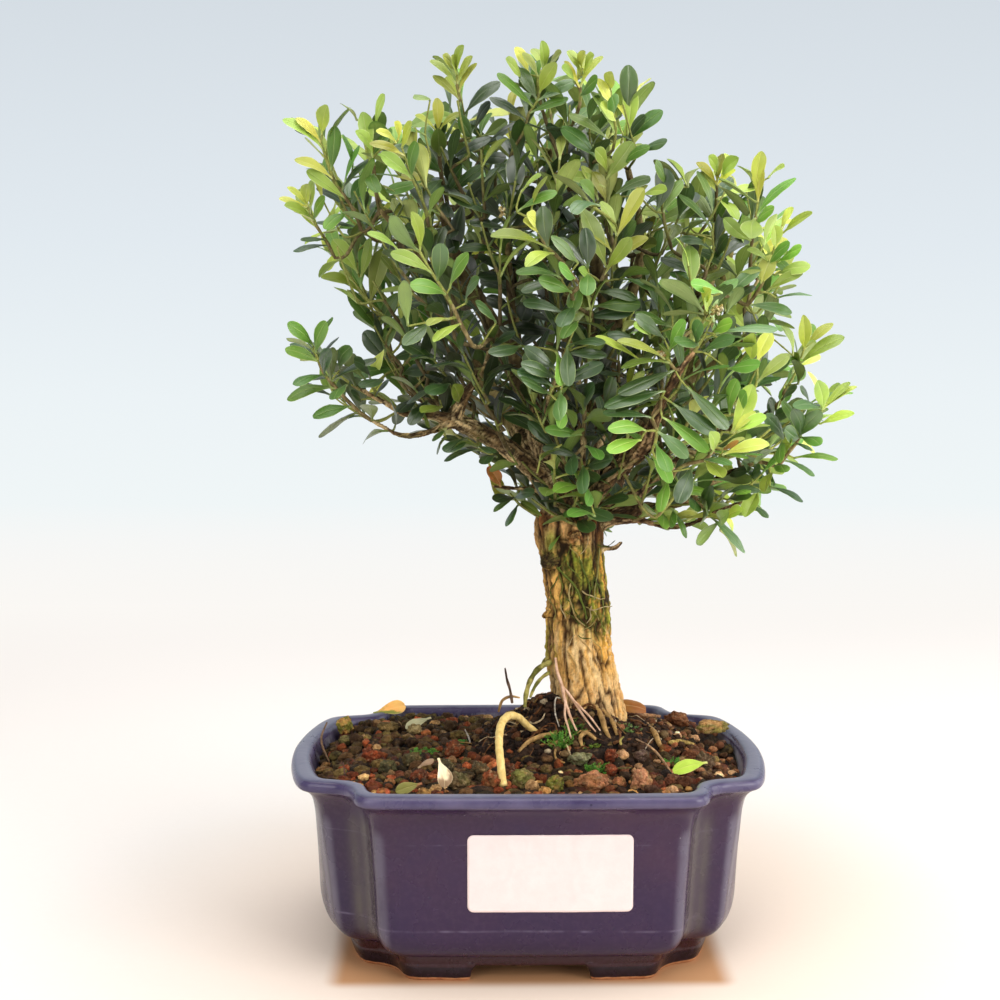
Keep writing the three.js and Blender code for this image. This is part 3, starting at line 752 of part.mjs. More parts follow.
// A thin spatula-shaped leaf: narrow foot, widest past the middle, blunt tip.
function leafGeometry(d) {
  const B = new THREE.Vector3(d[0], d[1], d[2]);
  const tip = new THREE.Vector3(d[3], d[4], d[5]);
  const N = new THREE.Vector3(d[6], d[7], d[8]).normalize();
  const A = tip.clone().sub(B);
  const L = A.length();
  A.normalize();
  N.addScaledVector(A, -N.dot(A)).normalize();
  const S = new THREE.Vector3().crossVectors(N, A);
  const at = (t, s, h) => B.clone().addScaledVector(A, t * L).addScaledVector(S, s * d[9] / 2).addScaledVector(N, h);
  return new ConvexGeometry([
    at(-0.03, 0, 0), at(0.64, 1, 0), at(0.64, -1, 0), at(1, 0, 0), at(0.5, 0, LEAF_T / 2), at(0.5, 0, -LEAF_T / 2),
  ]);
}

// Full closed outline from a quarter outline.
function ring(quarter) {
  const q = quarter;
  const out = [];
  for (let i = 0; i < q.length; i++) out.push([q[i][0], -q[i][1]]);                       // front right
  for (let i = q.length - 2; i >= 0; i--) out.push([q[i][0], q[i][1]]);                   // back right
  for (let i = 1; i < q.length; i++) out.push([-q[i][0], q[i][1]]);                       // back left
  for (let i = q.length - 2; i >= 1; i--) out.push([-q[i][0], -q[i][1]]);                 // front left
  return out;
}
const mix = (a, b, t) => a.map((p, i) => [p[0] * (1 - t) + b[i][0] * t, p[1] * (1 - t) + b[i][1] * t]);
const inset = (a, dx, dy) => a.map((p) => [p[0] * (1 - dx / a[a.length - 1][0]), p[1] * (1 - dy / a[0][1])]);

// A solid through stacked outlines [z, quarter], closed flat at both ends.
// The rings are those of a cylinder with its vertices moved onto the outlines.
function stack(levels) {
  const rings = levels.map((l) => ring(l[1]));
  const n = rings[0].length;
  const g = new THREE.CylinderGeometry(1, 1, 1, n, levels.length - 1, false);
  const pos = g.attributes.position;
  for (let k = 0; k < pos.count; k++) {
    const i = Math.round((pos.getY(k) + 0.5) * (levels.length - 1));
    const x = pos.getX(k), z = pos.getZ(k);
    if (x * x + z * z < 0.25) { pos.setXYZ(k, 0, 0, levels[i][0]); continue; }
    // the cylinder's angle runs from +Z towards +X: keep the turn right-handed
    const a = Math.atan2(x, z);
    const j = ((Math.round(a / (2 * Math.PI) * n) % n) + n) % n;
    const p = rings[i][j];
    pos.setXYZ(k, p[0], p[1], levels[i][0]);
  }
  return g;
}

// -------------------------------------------------------------------- pieces
const outer = [
  [UNDER, inset(BAND, 0.6, 0.6)], [BAND_TOP - 0.2, BAND], [BAND_TOP + 0.2, mix(BAND, BODY_LOW, 0.22)], [6.6, mix(BAND, BODY_LOW, 0.5)],
  [8.5, mix(BAND, BODY_LOW, 0.82)], [13, BODY_LOW], [24, mix(BODY_LOW, BODY, 0.6)], [35, BODY], [38.2, mix(BODY, RIM, 0.08)], [41, mix(BODY, RIM, 0.24)],
  [44, mix(BODY, RIM, 0.55)], [45.9, inset(RIM, 0.3, 0.3)], [47.2, RIM], [48.3, inset(RIM, 0.6, 0.6)], [RIM_TOP, inset(RIM, 1.9, 1.9)],
];
const hollow = [
  [FLOOR_TOP, inset(INNER_LOW, 2.5, 2.5)], [FLOOR_TOP + 3, INNER_LOW], [40, inset(INNER, 2.6, 2.6)], [46.6, INNER], [RIM_TOP + 2, inset(INNER, -1.6, -1.6)],
];
let pot = solid(stack(outer)).subtract(solid(stack(hollow)));

// Four feet that wrap the indented corners, each from the front or back wall
// round to the side wall.
function footShape(sx, sy) {
  const out = [], inn = [];
  const q = inset(BAND, 0.7, 0.7);
  out.push([14.4, q[0][1] + (q[1][1] - q[0][1]) * 0.5]);
  for (let i = 1; i <= 9; i++) out.push(q[i]);
  out.push([q[10][0], q[10][1]], [q[10][0] + 0.8, 14]);
  inn.push([q[10][0] - 7.2, 14], [q[10][0] - 7.8, 20.4], [35.2, 21.8], [29.2, 24.6], [26.8, 30], [14.4, 31]);
  const pts = out.concat(inn).map((p) => new THREE.Vector2(p[0] * sx, p[1] * sy));
  return new THREE.Shape(pts);
}
for (const sx of [-1, 1]) {
  for (const sy of [-1, 1]) {
    const g = new THREE.ExtrudeGeometry(footShape(sx, sy), { depth: LIFT + UNDER + 2, bevelEnabled: false, steps: 1 });
    g.translate(0, 0, -LIFT);
    pot = pot.add(solid(g));
  }
}
for (const sx of [-1, 1]) {
  const c = new THREE.CylinderGeometry(DRAIN.r, DRAIN.r, 12, 14);
  c.rotateX(Math.PI / 2);
  c.translate(sx * DRAIN.x, DRAIN.y, 6);
  pot = pot.subtract(solid(c));
}

// Height of the soil's surface at a point: the bed, or the mound on it.
const MOUND = [[0, BALL_TOP + 0.5], [14, 53.1], [22.5, 50], [27.5, SOIL_TOP + 0.2]];
function groundZ(x, y) {
  const r = Math.hypot((x - 13.5) / 1.12, (y - 6) / 0.98);
  for (let i = 1; i < MOUND.length; i++) {
    if (r < MOUND[i][0]) {
      const f = (r - MOUND[i - 1][0]) / (MOUND[i][0] - MOUND[i - 1][0]);
      return MOUND[i - 1][1] * (1 - f) + MOUND[i][1] * f;
    }
  }
  return SOIL_TOP;
}
const onGround = (pts, r) => pts.map((p) => [p[0], p[1], groundZ(p[0], p[1]) + r + GAP + (p[2] || 0)]);

// Mound of compost: a low dome round the trunk, buried in the bed below.
const ballProfile = (g) => {
  const p = [[0, 22 - g], [16 + g, 22 - g], [25.5 + g, 36], [27.5 + g, SOIL_TOP + 0.2],
    [22.5 + g, 50 + g], [14 + g, 53.1 + g], [0, BALL_TOP + 0.5 + g]];
  const l = new THREE.LatheGeometry(p.map((q) => new THREE.Vector2(q[0], q[1])), 18);
  l.rotateX(Math.PI / 2);
  l.scale(1.12, 0.98, 1);
  l.translate(13.5, 6, 0);
  return l;
};
const soilLevels = [
  [FLOOR_TOP + 0.4, inset(INNER_LOW, 3.2, 3.2)], [FLOOR_TOP + 3, inset(INNER_LOW, 0.5, 0.5)], [40, inset(INNER, 3.1, 3.1)],
  [SOIL_TOP, inset(INNER, 0.7, 0.7)],
];
const trunkFoot = refine(LIMBS.trunk, 2).map((p) => [p[0], p[1], p[2], p[3] + 2 * GAP]);
trunkFoot.unshift([trunkFoot[0][0], trunkFoot[0][1], trunkFoot[0][2] - GAP, trunkFoot[0][3]]);
const soilBed = solid(stack(soilLevels)).subtract(solid(ballProfile(GAP)));
const rootBall = solid(ballProfile(0)).subtract(solid(taperTube(trunkFoot.slice(0, 4), 9))).subtract(solid(tube(LOOP_ROOT, 1.0 + 1.5 * GAP, 14, 6)));

const trunk = union(Object.entries(LIMBS).map(([name, pts]) =>
  solid(taperTube(name === 'trunk' ? refine(pts, 2) : pts, name === 'trunk' ? 9 : pts[0][3] > 2.4 ? 5 : 4))));

// Loose and half-buried things. Heights are those of the soil under them.
function tube(points, r, steps, sides = 8) {
  const c = new THREE.CatmullRomCurve3(points.map((p) => new THREE.Vector3(...p)));
  const s = new THREE.Shape();
  for (let i = 0; i < sides; i++) {
    const a = 2 * Math.PI * i / sides;
    if (i) s.lineTo(r * Math.cos(a), r * Math.sin(a)); else s.moveTo(r, 0);
  }
  s.closePath();
  return new THREE.ExtrudeGeometry(s, { steps, extrudePath: c, bevelEnabled: false });
}
function lump(x, y, z, a, b, c, turn, seed) {
  const g = new THREE.IcosahedronGeometry(1, 1);
  const pos = g.attributes.position;
  for (let k = 0; k < pos.count; k++) {
    const v = new THREE.Vector3().fromBufferAttribute(pos, k);
    const w = 1 + 0.13 * Math.sin(3.1 * v.x + seed) + 0.11 * Math.sin(4.3 * v.y - seed * 1.7) + 0.09 * Math.sin(3.7 * v.z + seed * 2.3);
    pos.setXYZ(k, v.x * a * w, v.y * b * w, v.z * c * w);
  }
  g.rotateZ(turn);
  g.translate(x, y, z);
  return g;
}
// A fallen leaf: the same blade laid on the soil.
const fallen = (x, y, z, len, width, turn, tilt) => {
  const d = [x, y, z, x + len * Math.cos(turn) * Math.cos(tilt), y + len * Math.sin(turn) * Math.cos(tilt), z + len * Math.sin(tilt), -Math.sin(tilt) * Math.cos(turn), -Math.sin(tilt) * Math.sin(turn), Math.cos(tilt), width];
  return leafGeometry(d);
};

const label = new THREE.BoxGeometry(LABEL.w, LABEL.t, LABEL.h);
const loopRoot = solid(tube(LOOP_ROOT, 1.0, 14, 6));
const forkRoot = union([solid(tube(FORK_ROOT, 0.7, 6, 5)), solid(tube([FORK_ROOT[1], [FORK_ROOT[1][0] + 2.6, FORK_ROOT[1][1] - 3, FORK_ROOT[1][2] - 3], [FORK_ROOT[1][0] + 6.4, FORK_ROOT[1][1] - 4.6, FORK_ROOT[1][2] - 5.6]], 0.6, 4, 5))]);

// -------------------------------------------------------------- scene graph
const bonsai = new THREE.Group();
const model = new THREE.Group();
model.position.set(POT_AT[0], POT_AT[1], LIFT);
bonsai.add(model);
function put(name, geometry, color, roughness = 0.6, metalness = 0, at = null) {
  const m = new THREE.Mesh(geometry, new THREE.MeshStandardMaterial({ color, roughness, metalness }));
  m.name = name;
  if (at) m.position.set(...at);
  model.add(m);
  return m;
}
put('pot', geometryOf(pot), 0x2c2a58, 0.25);
for (const [side, sx] of [['left', -1], ['right', 1]]) {
  const plate = new THREE.BoxGeometry(15, 15, 0.8);
  let net = solid(plate);
  for (const dx of [-3.5, 3.5]) for (const dy of [-3.5, 3.5]) {
    const h = new THREE.BoxGeometry(5, 5, 3);
    h.translate(dx, dy, 0);
    net = net.subtract(solid(h));
  }
  const m = put(`drain_mesh_${side}`, geometryOf(net), 0x2b2b2b, 0.6, 0, [sx * DRAIN.x, DRAIN.y, FLOOR_TOP + 0.75]);
  m.userData.side = side;
}
// room under the soil for the two pieces of mesh
let bed = soilBed;
for (const sx of [-1, 1]) {
  const c = new THREE.BoxGeometry(15.8, 15.8, 3);
  c.translate(sx * DRAIN.x, DRAIN.y, FLOOR_TOP + 0.05);
  bed = bed.subtract(solid(c));
}
put('soil_bed', geometryOf(bed), 0x3c3226, 0.95);
put('root_ball', geometryOf(rootBall), 0x2e2119, 0.97);
put('trunk', geometryOf(trunk), 0x8a7350, 0.9);
put('paper_label', label, 0xf1eee6, 0.75, 0, [LABEL.x, -45.12, LABEL.z]);

for (const [name, s] of Object.entries(SPRAYS)) {
  const parts = s.twigs.map((t) => solid(taperTube(t, 3, 0.25)));
  for (const d of s.leaves) parts.push(solid(leafGeometry(d)));
  const c = new THREE.Color(0x2f5524).lerp(new THREE.Color(0x9dbb3a), YOUNG[name]);
  put(name, geometryOf(union(parts)), c.getHex(), 0.45);
}

put('looped_root', geometryOf(loopRoot), 0xc9b075, 0.7);
put('forked_root', geometryOf(forkRoot), 0xa9846a, 0.8);
put('twisted_root', tube(onGround([[33.5, 8, 0.6], [31.5, 2, 0.5], [34, -4, 0.5], [33.2, -9, 0.5]], 0.9), 0.9, 8, 6), 0x6b4a30, 0.85);
put('brown_root', tube(onGround([[-2.5, -13, 0.5], [0.5, -11, 0.7], [4, -10, 0.7], [7.6, -8.5, 0.5]], 0.6), 0.6, 6, 5), 0x8a6a35, 0.8);
put('thin_stick', tube([[-55.2, 14, 51.5], [-55.7, 8, 49.5], [-55.2, 2, 48.0], [-52.0, -8, 47.3]], 0.5, 6, 6), 0x5c4630, 0.85);
put('moss_left', lump(-27, -3.5, SOIL_TOP + 1.6, 4.6, 3.4, 0.95, 0.4, 1.3), 0x6f8f2a, 0.95);
put('moss_front', lump(17.5, -24.5, SOIL_TOP + 1.6, 4.2, 2.6, 0.95, -0.3, 2.1), 0x76962c, 0.95);
put('fallen_leaf_beige', fallen(-22.5, -37, 47.35, 13, 5.2, 1.35, 0.05), 0xd9c08a, 0.6);
put('fallen_leaf_green', fallen(36, -25.5, 47.3, 13, 4.6, 0.45, 0.08), 0x9aa540, 0.5);
put('fallen_leaf_back', leafGeometry([-43.3, 36.5, 50.2, -35.6, 45, 51.1, 0.1, -0.45, 0.9, 4.4]), 0x9a7a3a, 0.6);
put('fallen_leaf_brown', fallen(25.5, 36.3, 47.5, 11.5, 4.6, 0.02, 0.2), 0x8f5a24, 0.6);
put('stone_ochre', lump(-50.7, 21.5, 49.3, 2.1, 2.0, 1.9, 0.2, 0.4), 0x9a7038, 0.9);
put('stone_long', lump(49.0, 12.5, 48.6, 4.3, 2.7, 1.75, 0.5, 3.2), 0xa07a45, 0.9);
put('stone_brown', lump(40.5, 21.5, 48.6, 3.4, 2.6, 1.75, -0.4, 5.0), 0x6a4630, 0.9);
put('stone_round', lump(45.6, -15.5, 48.8, 2.9, 2.8, 1.95, 0, 6.4), 0x775540, 0.9);

put('dead_leaf', leafGeometry([-7.0, -4.1, 119.1, -10.0, -5.2, 123.3, 0.25, -0.95, 0.1, 3.8]), 0xcf8a3a, 0.6);

export default bonsai;
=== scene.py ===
"""Looks of a boxwood bonsai in a glazed tray pot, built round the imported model.

Lengths in this script are millimetres from the pot's centre on the surface it stands on
(X right, Y away from the front, Z up) until put() turns them into metres in the model's frame.
"""
import bpy
import json
import math
import numpy as np
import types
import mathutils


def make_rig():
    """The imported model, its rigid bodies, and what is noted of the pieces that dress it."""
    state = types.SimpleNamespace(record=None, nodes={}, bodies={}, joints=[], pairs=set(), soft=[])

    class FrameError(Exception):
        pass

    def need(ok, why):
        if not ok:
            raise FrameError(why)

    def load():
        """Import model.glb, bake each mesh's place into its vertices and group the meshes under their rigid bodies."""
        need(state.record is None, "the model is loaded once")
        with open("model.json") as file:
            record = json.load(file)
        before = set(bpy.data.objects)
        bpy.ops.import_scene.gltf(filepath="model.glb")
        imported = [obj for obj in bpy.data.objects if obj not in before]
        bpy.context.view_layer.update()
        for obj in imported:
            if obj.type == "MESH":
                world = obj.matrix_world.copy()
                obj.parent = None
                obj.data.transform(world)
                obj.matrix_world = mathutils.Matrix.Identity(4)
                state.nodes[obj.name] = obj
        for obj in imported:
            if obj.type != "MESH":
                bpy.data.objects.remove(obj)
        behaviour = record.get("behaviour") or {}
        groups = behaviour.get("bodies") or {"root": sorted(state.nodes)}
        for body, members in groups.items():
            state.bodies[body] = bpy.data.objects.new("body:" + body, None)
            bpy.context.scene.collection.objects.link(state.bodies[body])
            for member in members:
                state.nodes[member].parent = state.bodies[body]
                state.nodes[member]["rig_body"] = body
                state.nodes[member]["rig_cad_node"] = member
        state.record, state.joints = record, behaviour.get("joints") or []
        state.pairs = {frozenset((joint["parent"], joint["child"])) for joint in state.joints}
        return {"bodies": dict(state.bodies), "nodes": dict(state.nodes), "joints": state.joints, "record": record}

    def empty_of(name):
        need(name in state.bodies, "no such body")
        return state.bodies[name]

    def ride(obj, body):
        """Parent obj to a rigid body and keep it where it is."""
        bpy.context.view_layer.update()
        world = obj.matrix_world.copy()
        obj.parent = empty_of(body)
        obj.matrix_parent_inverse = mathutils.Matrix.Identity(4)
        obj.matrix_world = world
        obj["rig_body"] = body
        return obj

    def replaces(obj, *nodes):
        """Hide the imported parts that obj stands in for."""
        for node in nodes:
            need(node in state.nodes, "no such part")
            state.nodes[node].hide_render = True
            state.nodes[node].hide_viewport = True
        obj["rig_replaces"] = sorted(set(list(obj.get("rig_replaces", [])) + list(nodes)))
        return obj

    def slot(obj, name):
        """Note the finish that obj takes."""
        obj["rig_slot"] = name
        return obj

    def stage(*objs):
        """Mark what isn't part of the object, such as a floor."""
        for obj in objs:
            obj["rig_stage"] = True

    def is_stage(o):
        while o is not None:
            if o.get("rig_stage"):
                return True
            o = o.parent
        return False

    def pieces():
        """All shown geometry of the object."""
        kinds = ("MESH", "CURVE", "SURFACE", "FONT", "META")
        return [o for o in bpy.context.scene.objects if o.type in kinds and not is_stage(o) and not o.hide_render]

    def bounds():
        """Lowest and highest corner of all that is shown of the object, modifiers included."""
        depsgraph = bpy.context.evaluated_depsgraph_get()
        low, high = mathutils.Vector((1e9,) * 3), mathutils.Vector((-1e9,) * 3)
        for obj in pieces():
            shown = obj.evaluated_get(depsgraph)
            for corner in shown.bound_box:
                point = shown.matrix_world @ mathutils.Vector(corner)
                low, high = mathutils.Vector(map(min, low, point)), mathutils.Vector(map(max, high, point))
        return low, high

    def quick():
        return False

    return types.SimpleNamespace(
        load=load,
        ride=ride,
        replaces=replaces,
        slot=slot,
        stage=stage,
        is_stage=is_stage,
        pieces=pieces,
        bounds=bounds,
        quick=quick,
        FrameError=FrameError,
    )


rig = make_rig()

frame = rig.load()
CAD_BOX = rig.bounds()
nodes = frame["nodes"]

POT_AT = np.array([-10.98, -7.41, 1.4])     # pot's centre in the model's frame; its feet reach 1.4 below this zero
MM = 0.001
SOIL_TOP = 46.4
GAP = 0.3


# ------------------------------------------------------------------ mesh tools
def put(name, V, quads=None, tris=None, mats=(), index=None, attrs=None, smooth=True, sharp=None, body="root", node=None, slot=None):
    """One mesh object from arrays. V is in millimetres from the pot's centre."""
    V = (np.asarray(V, float) + POT_AT) * MM
    quads = np.zeros((0, 4), int) if quads is None or len(quads) == 0 else np.asarray(quads, int)
    tris = np.zeros((0, 3), int) if tris is None or len(tris) == 0 else np.asarray(tris, int)
    me = bpy.data.meshes.new(name)
    me.vertices.add(len(V))
    me.vertices.foreach_set("co", V.astype(np.float32).ravel())
    loops = np.concatenate([quads.ravel(), tris.ravel()]).astype(np.int32)
    me.loops.add(len(loops))
    me.loops.foreach_set("vertex_index", loops)
    starts = np.concatenate([np.arange(len(quads)) * 4, len(quads) * 4 + np.arange(len(tris)) * 3]).astype(np.int32)
    me.polygons.add(len(starts))
    me.polygons.foreach_set("loop_start", starts)
    me.update(calc_edges=True)
    if smooth:
        me.polygons.foreach_set("use_smooth", np.ones(len(starts), bool))
    else:
        me.polygons.foreach_set("use_smooth", np.zeros(len(starts), bool))
    for m in mats:
        me.materials.append(m)
    if index is not None:
        me.polygons.foreach_set("material_index", np.asarray(index, np.int32))
    for key, (kind, data) in (attrs or {}).items():
        a = me.attributes.new(key, kind, "POINT")
        field = {"FLOAT": "value", "FLOAT_VECTOR": "vector", "FLOAT_COLOR": "color"}[kind]
        a.data.foreach_set(field, np.asarray(data, np.float32).ravel())
    if sharp is not None:
        E = np.zeros(len(me.edges) * 2, np.int32)
        me.edges.foreach_get("vertices", E)
        E = E.reshape(-1, 2)
        a = me.attributes.new("sharp_edge", "BOOLEAN", "EDGE")
        a.data.foreach_set("value", sharp[E[:, 0]] & sharp[E[:, 1]])
    me.validate(verbose=False)
    me.update()
    ob = bpy.data.objects.new(name, me)
    bpy.context.scene.collection.objects.link(ob)
    if body:
        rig.ride(ob, body)
    if node:
        for n in ([node] if isinstance(node, str) else node):
            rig.replaces(ob, n)
    if slot:
        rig.slot(ob, slot)
    return ob


class Soup:
    """Collects pieces of one mesh."""

    def __init__(self):
        self.V, self.Q, self.T, self.QI, self.TI, self.A, self.n = [], [], [], [], [], {}, 0

    def add(self, V, quads=None, tris=None, index=0, **attrs):
        V = np.asarray(V, float).reshape(-1, 3)
        if quads is not None and len(quads):
            self.Q.append(np.asarray(quads, int) + self.n)
            self.QI.append(np.full(len(quads), index))
        if tris is not None and len(tris):
            self.T.append(np.asarray(tris, int) + self.n)
            self.TI.append(np.full(len(tris), index))
        for k, v in attrs.items():
            v = np.asarray(v, float)
            self.A.setdefault(k, []).append(v)
        self.V.append(V)
        self.n += len(V)

    def arrays(self):
        V = np.vstack(self.V)
        Q = np.vstack(self.Q) if self.Q else np.zeros((0, 4), int)
        T = np.vstack(self.T) if self.T else np.zeros((0, 3), int)
        I = np.concatenate(self.QI + self.TI) if (self.QI or self.TI) else None
        return V, Q, T, I, {k: np.concatenate(v) for k, v in self.A.items()}


def unit(v):
    v = np.asarray(v, float)
    return v / np.maximum(1e-12, np.linalg.norm(v, axis=-1, keepdims=True))


def catmull(P, step):
    """Points along a smooth curve through P; every column is carried."""
    P = np.asarray(P, float)
    Q = np.vstack([2 * P[0] - P[1], P, 2 * P[-1] - P[-2]])
    out = []
    for i in range(len(P) - 1):
        p0, p1, p2, p3 = Q[i], Q[i + 1], Q[i + 2], Q[i + 3]
        k = max(1, int(math.ceil(np.linalg.norm((p2 - p1)[:3]) / step)))
        t = (np.arange(k) / k)[:, None]
        out.append(0.5 * ((2 * p1) + (-p0 + p2) * t + (2 * p0 - 5 * p1 + 4 * p2 - p3) * t**2 + (-p0 + 3 * p1 - 3 * p2 + p3) * t**3))
    out.append(P[-1:])
    out = np.vstack(out)
    if P.shape[1] > 3:
        out[:, 3] = np.maximum(out[:, 3], P[:, 3].min() * 0.9)
    return out


def frames(P):
    """Tangents and carried cross axes along a polyline."""
    P = np.asarray(P, float)
    T = unit(np.gradient(P, axis=0)) if len(P) > 1 else np.array([[0, 0, 1.0]])
    u = np.cross([0.31, 0.17, 0.93], T[0])
    if np.linalg.norm(u) < 0.2:
        u = np.cross([1, 0, 0], T[0])
    U = np.zeros_like(P)
    for i in range(len(P)):
        u = u - T[i] * (u @ T[i])
        u = u / np.linalg.norm(u)
        U[i] = u
    return T, U, np.cross(T, U)


def tube(P, r, sides, cap=True, wobble=None):
    """Closed round tube. Returns vertices, quads, tris, and each vertex's (angle share, length)."""
    P = np.asarray(P, float)
    r = np.broadcast_to(np.asarray(r, float), (len(P),))
    T, U, W = frames(P)
    a = np.arange(sides) / sides * 2 * math.pi
    ring = U[:, None] * np.cos(a)[None, :, None] + W[:, None] * np.sin(a)[None, :, None]
    R = r[:, None] * (np.ones((len(P), sides)) if wobble is None else wobble)
    V = P[:, None] + ring * R[:, :, None]
    n = len(P)
    V = V.reshape(-1, 3)
    i, j = np.meshgrid(np.arange(n - 1), np.arange(sides), indexing="ij")
    q = np.stack([i * sides + j, i * sides + (j + 1) % sides, (i + 1) * sides + (j + 1) % sides, (i + 1) * sides + j], -1).reshape(-1, 4)
    tris = np.zeros((0, 3), int)
    if cap:
        V = np.vstack([V, P[0] - T[0] * r[0] * 0.4, P[-1] + T[-1] * r[-1] * 0.6])
        j = np.arange(sides)
        a0, a1 = n * sides, n * sides + 1
        tris = np.vstack([np.stack([np.full(sides, a0), (j + 1) % sides, j], -1),
                          np.stack([np.full(sides, a1), (n - 1) * sides + j, (n - 1) * sides + (j + 1) % sides], -1)])
    return V, q, tris


# ------------------------------------------------------------------ noise
def _hash(ix, iy, iz, seed):
    with np.errstate(over="ignore"):
        h = (ix.astype(np.uint32) * np.uint32(374761393)) ^ (iy.astype(np.uint32) * np.uint32(668265263)) ^ (iz.astype(np.uint32) * np.uint32(2246822519))
        h = h ^ np.uint32((seed * 2654435761 + 97) & 0xFFFFFFFF)
        h = (h ^ (h >> np.uint32(15))) * np.uint32(2246822519)
        h = (h ^ (h >> np.uint32(13))) * np.uint32(3266489917)
        h = h ^ (h >> np.uint32(16))
    return h.astype(np.float64) / 4294967295.0


def noise(P, seed=0):
    """Smooth noise from 0 to 1 at scaled points."""
    P = np.asarray(P, float)
    I = np.floor(P).astype(np.int64)
    f = P - I
    f = f * f * f * (f * (f * 6 - 15) + 10)
    out = 0
    for dx in (0, 1):
        wx = f[:, 0] if dx else 1 - f[:, 0]
        for dy in (0, 1):
            wy = f[:, 1] if dy else 1 - f[:, 1]
            for dz in (0, 1):
                wz = f[:, 2] if dz else 1 - f[:, 2]
                out = out + wx * wy * wz * _hash(I[:, 0] + dx, I[:, 1] + dy, I[:, 2] + dz, seed)
    return out


def fbm(P, octaves=4, seed=0, gain=0.5):
    s, a, t = 0, 1.0, 0
    for k in range(octaves):
        s = s + a * noise(np.asarray(P) * 2.0**k + 17.3 * k, seed + k)
        t += a
        a *= gain
    return s / t


def cells(P, seed=0, jitter=1.0):
    """Nearest and second nearest distance to scattered points, and a number for the nearest."""
    P = np.asarray(P, float)
    I = np.floor(P).astype(np.int64)
    f1 = np.full(len(P), 9.0)
    f2 = np.full(len(P), 9.0)
    who = np.zeros(len(P))
    for dx in (-1, 0, 1):
        for dy in (-1, 0, 1):
            for dz in (-1, 0, 1):
                cx, cy, cz = I[:, 0] + dx, I[:, 1] + dy, I[:, 2] + dz
                q = np.stack([cx + 0.5 + jitter * (_hash(cx, cy, cz, seed) - 0.5), cy + 0.5 + jitter * (_hash(cx, cy, cz, seed + 31) - 0.5), cz + 0.5 + jitter * (_hash(cx, cy, cz, seed + 57) - 0.5)], -1)
                d = np.linalg.norm(q - P, axis=1)
                near = d < f1
                f2 = np.where(near, f1, np.minimum(f2, d))
                who = np.where(near, _hash(cx, cy, cz, seed + 83), who)
                f1 = np.where(near, d, f1)
    return f1, f2, who


def step(a, b, x):
    t = np.clip((np.asarray(x, float) - a) / (b - a), 0, 1)
    return t * t * (3 - 2 * t)


def srgb(*c):
    """Colour given as 0 to 255 display values, as linear numbers."""
    c = np.asarray(c, float) / 255.0
    return np.where(c <= 0.04045, c / 12.92, ((c + 0.055) / 1.055) ** 2.4)


def mixc(a, b, t):
    a, b = np.asarray(a, float), np.asarray(b, float)
    t = np.asarray(t, float)[..., None]
    return a * (1 - t) + b * t
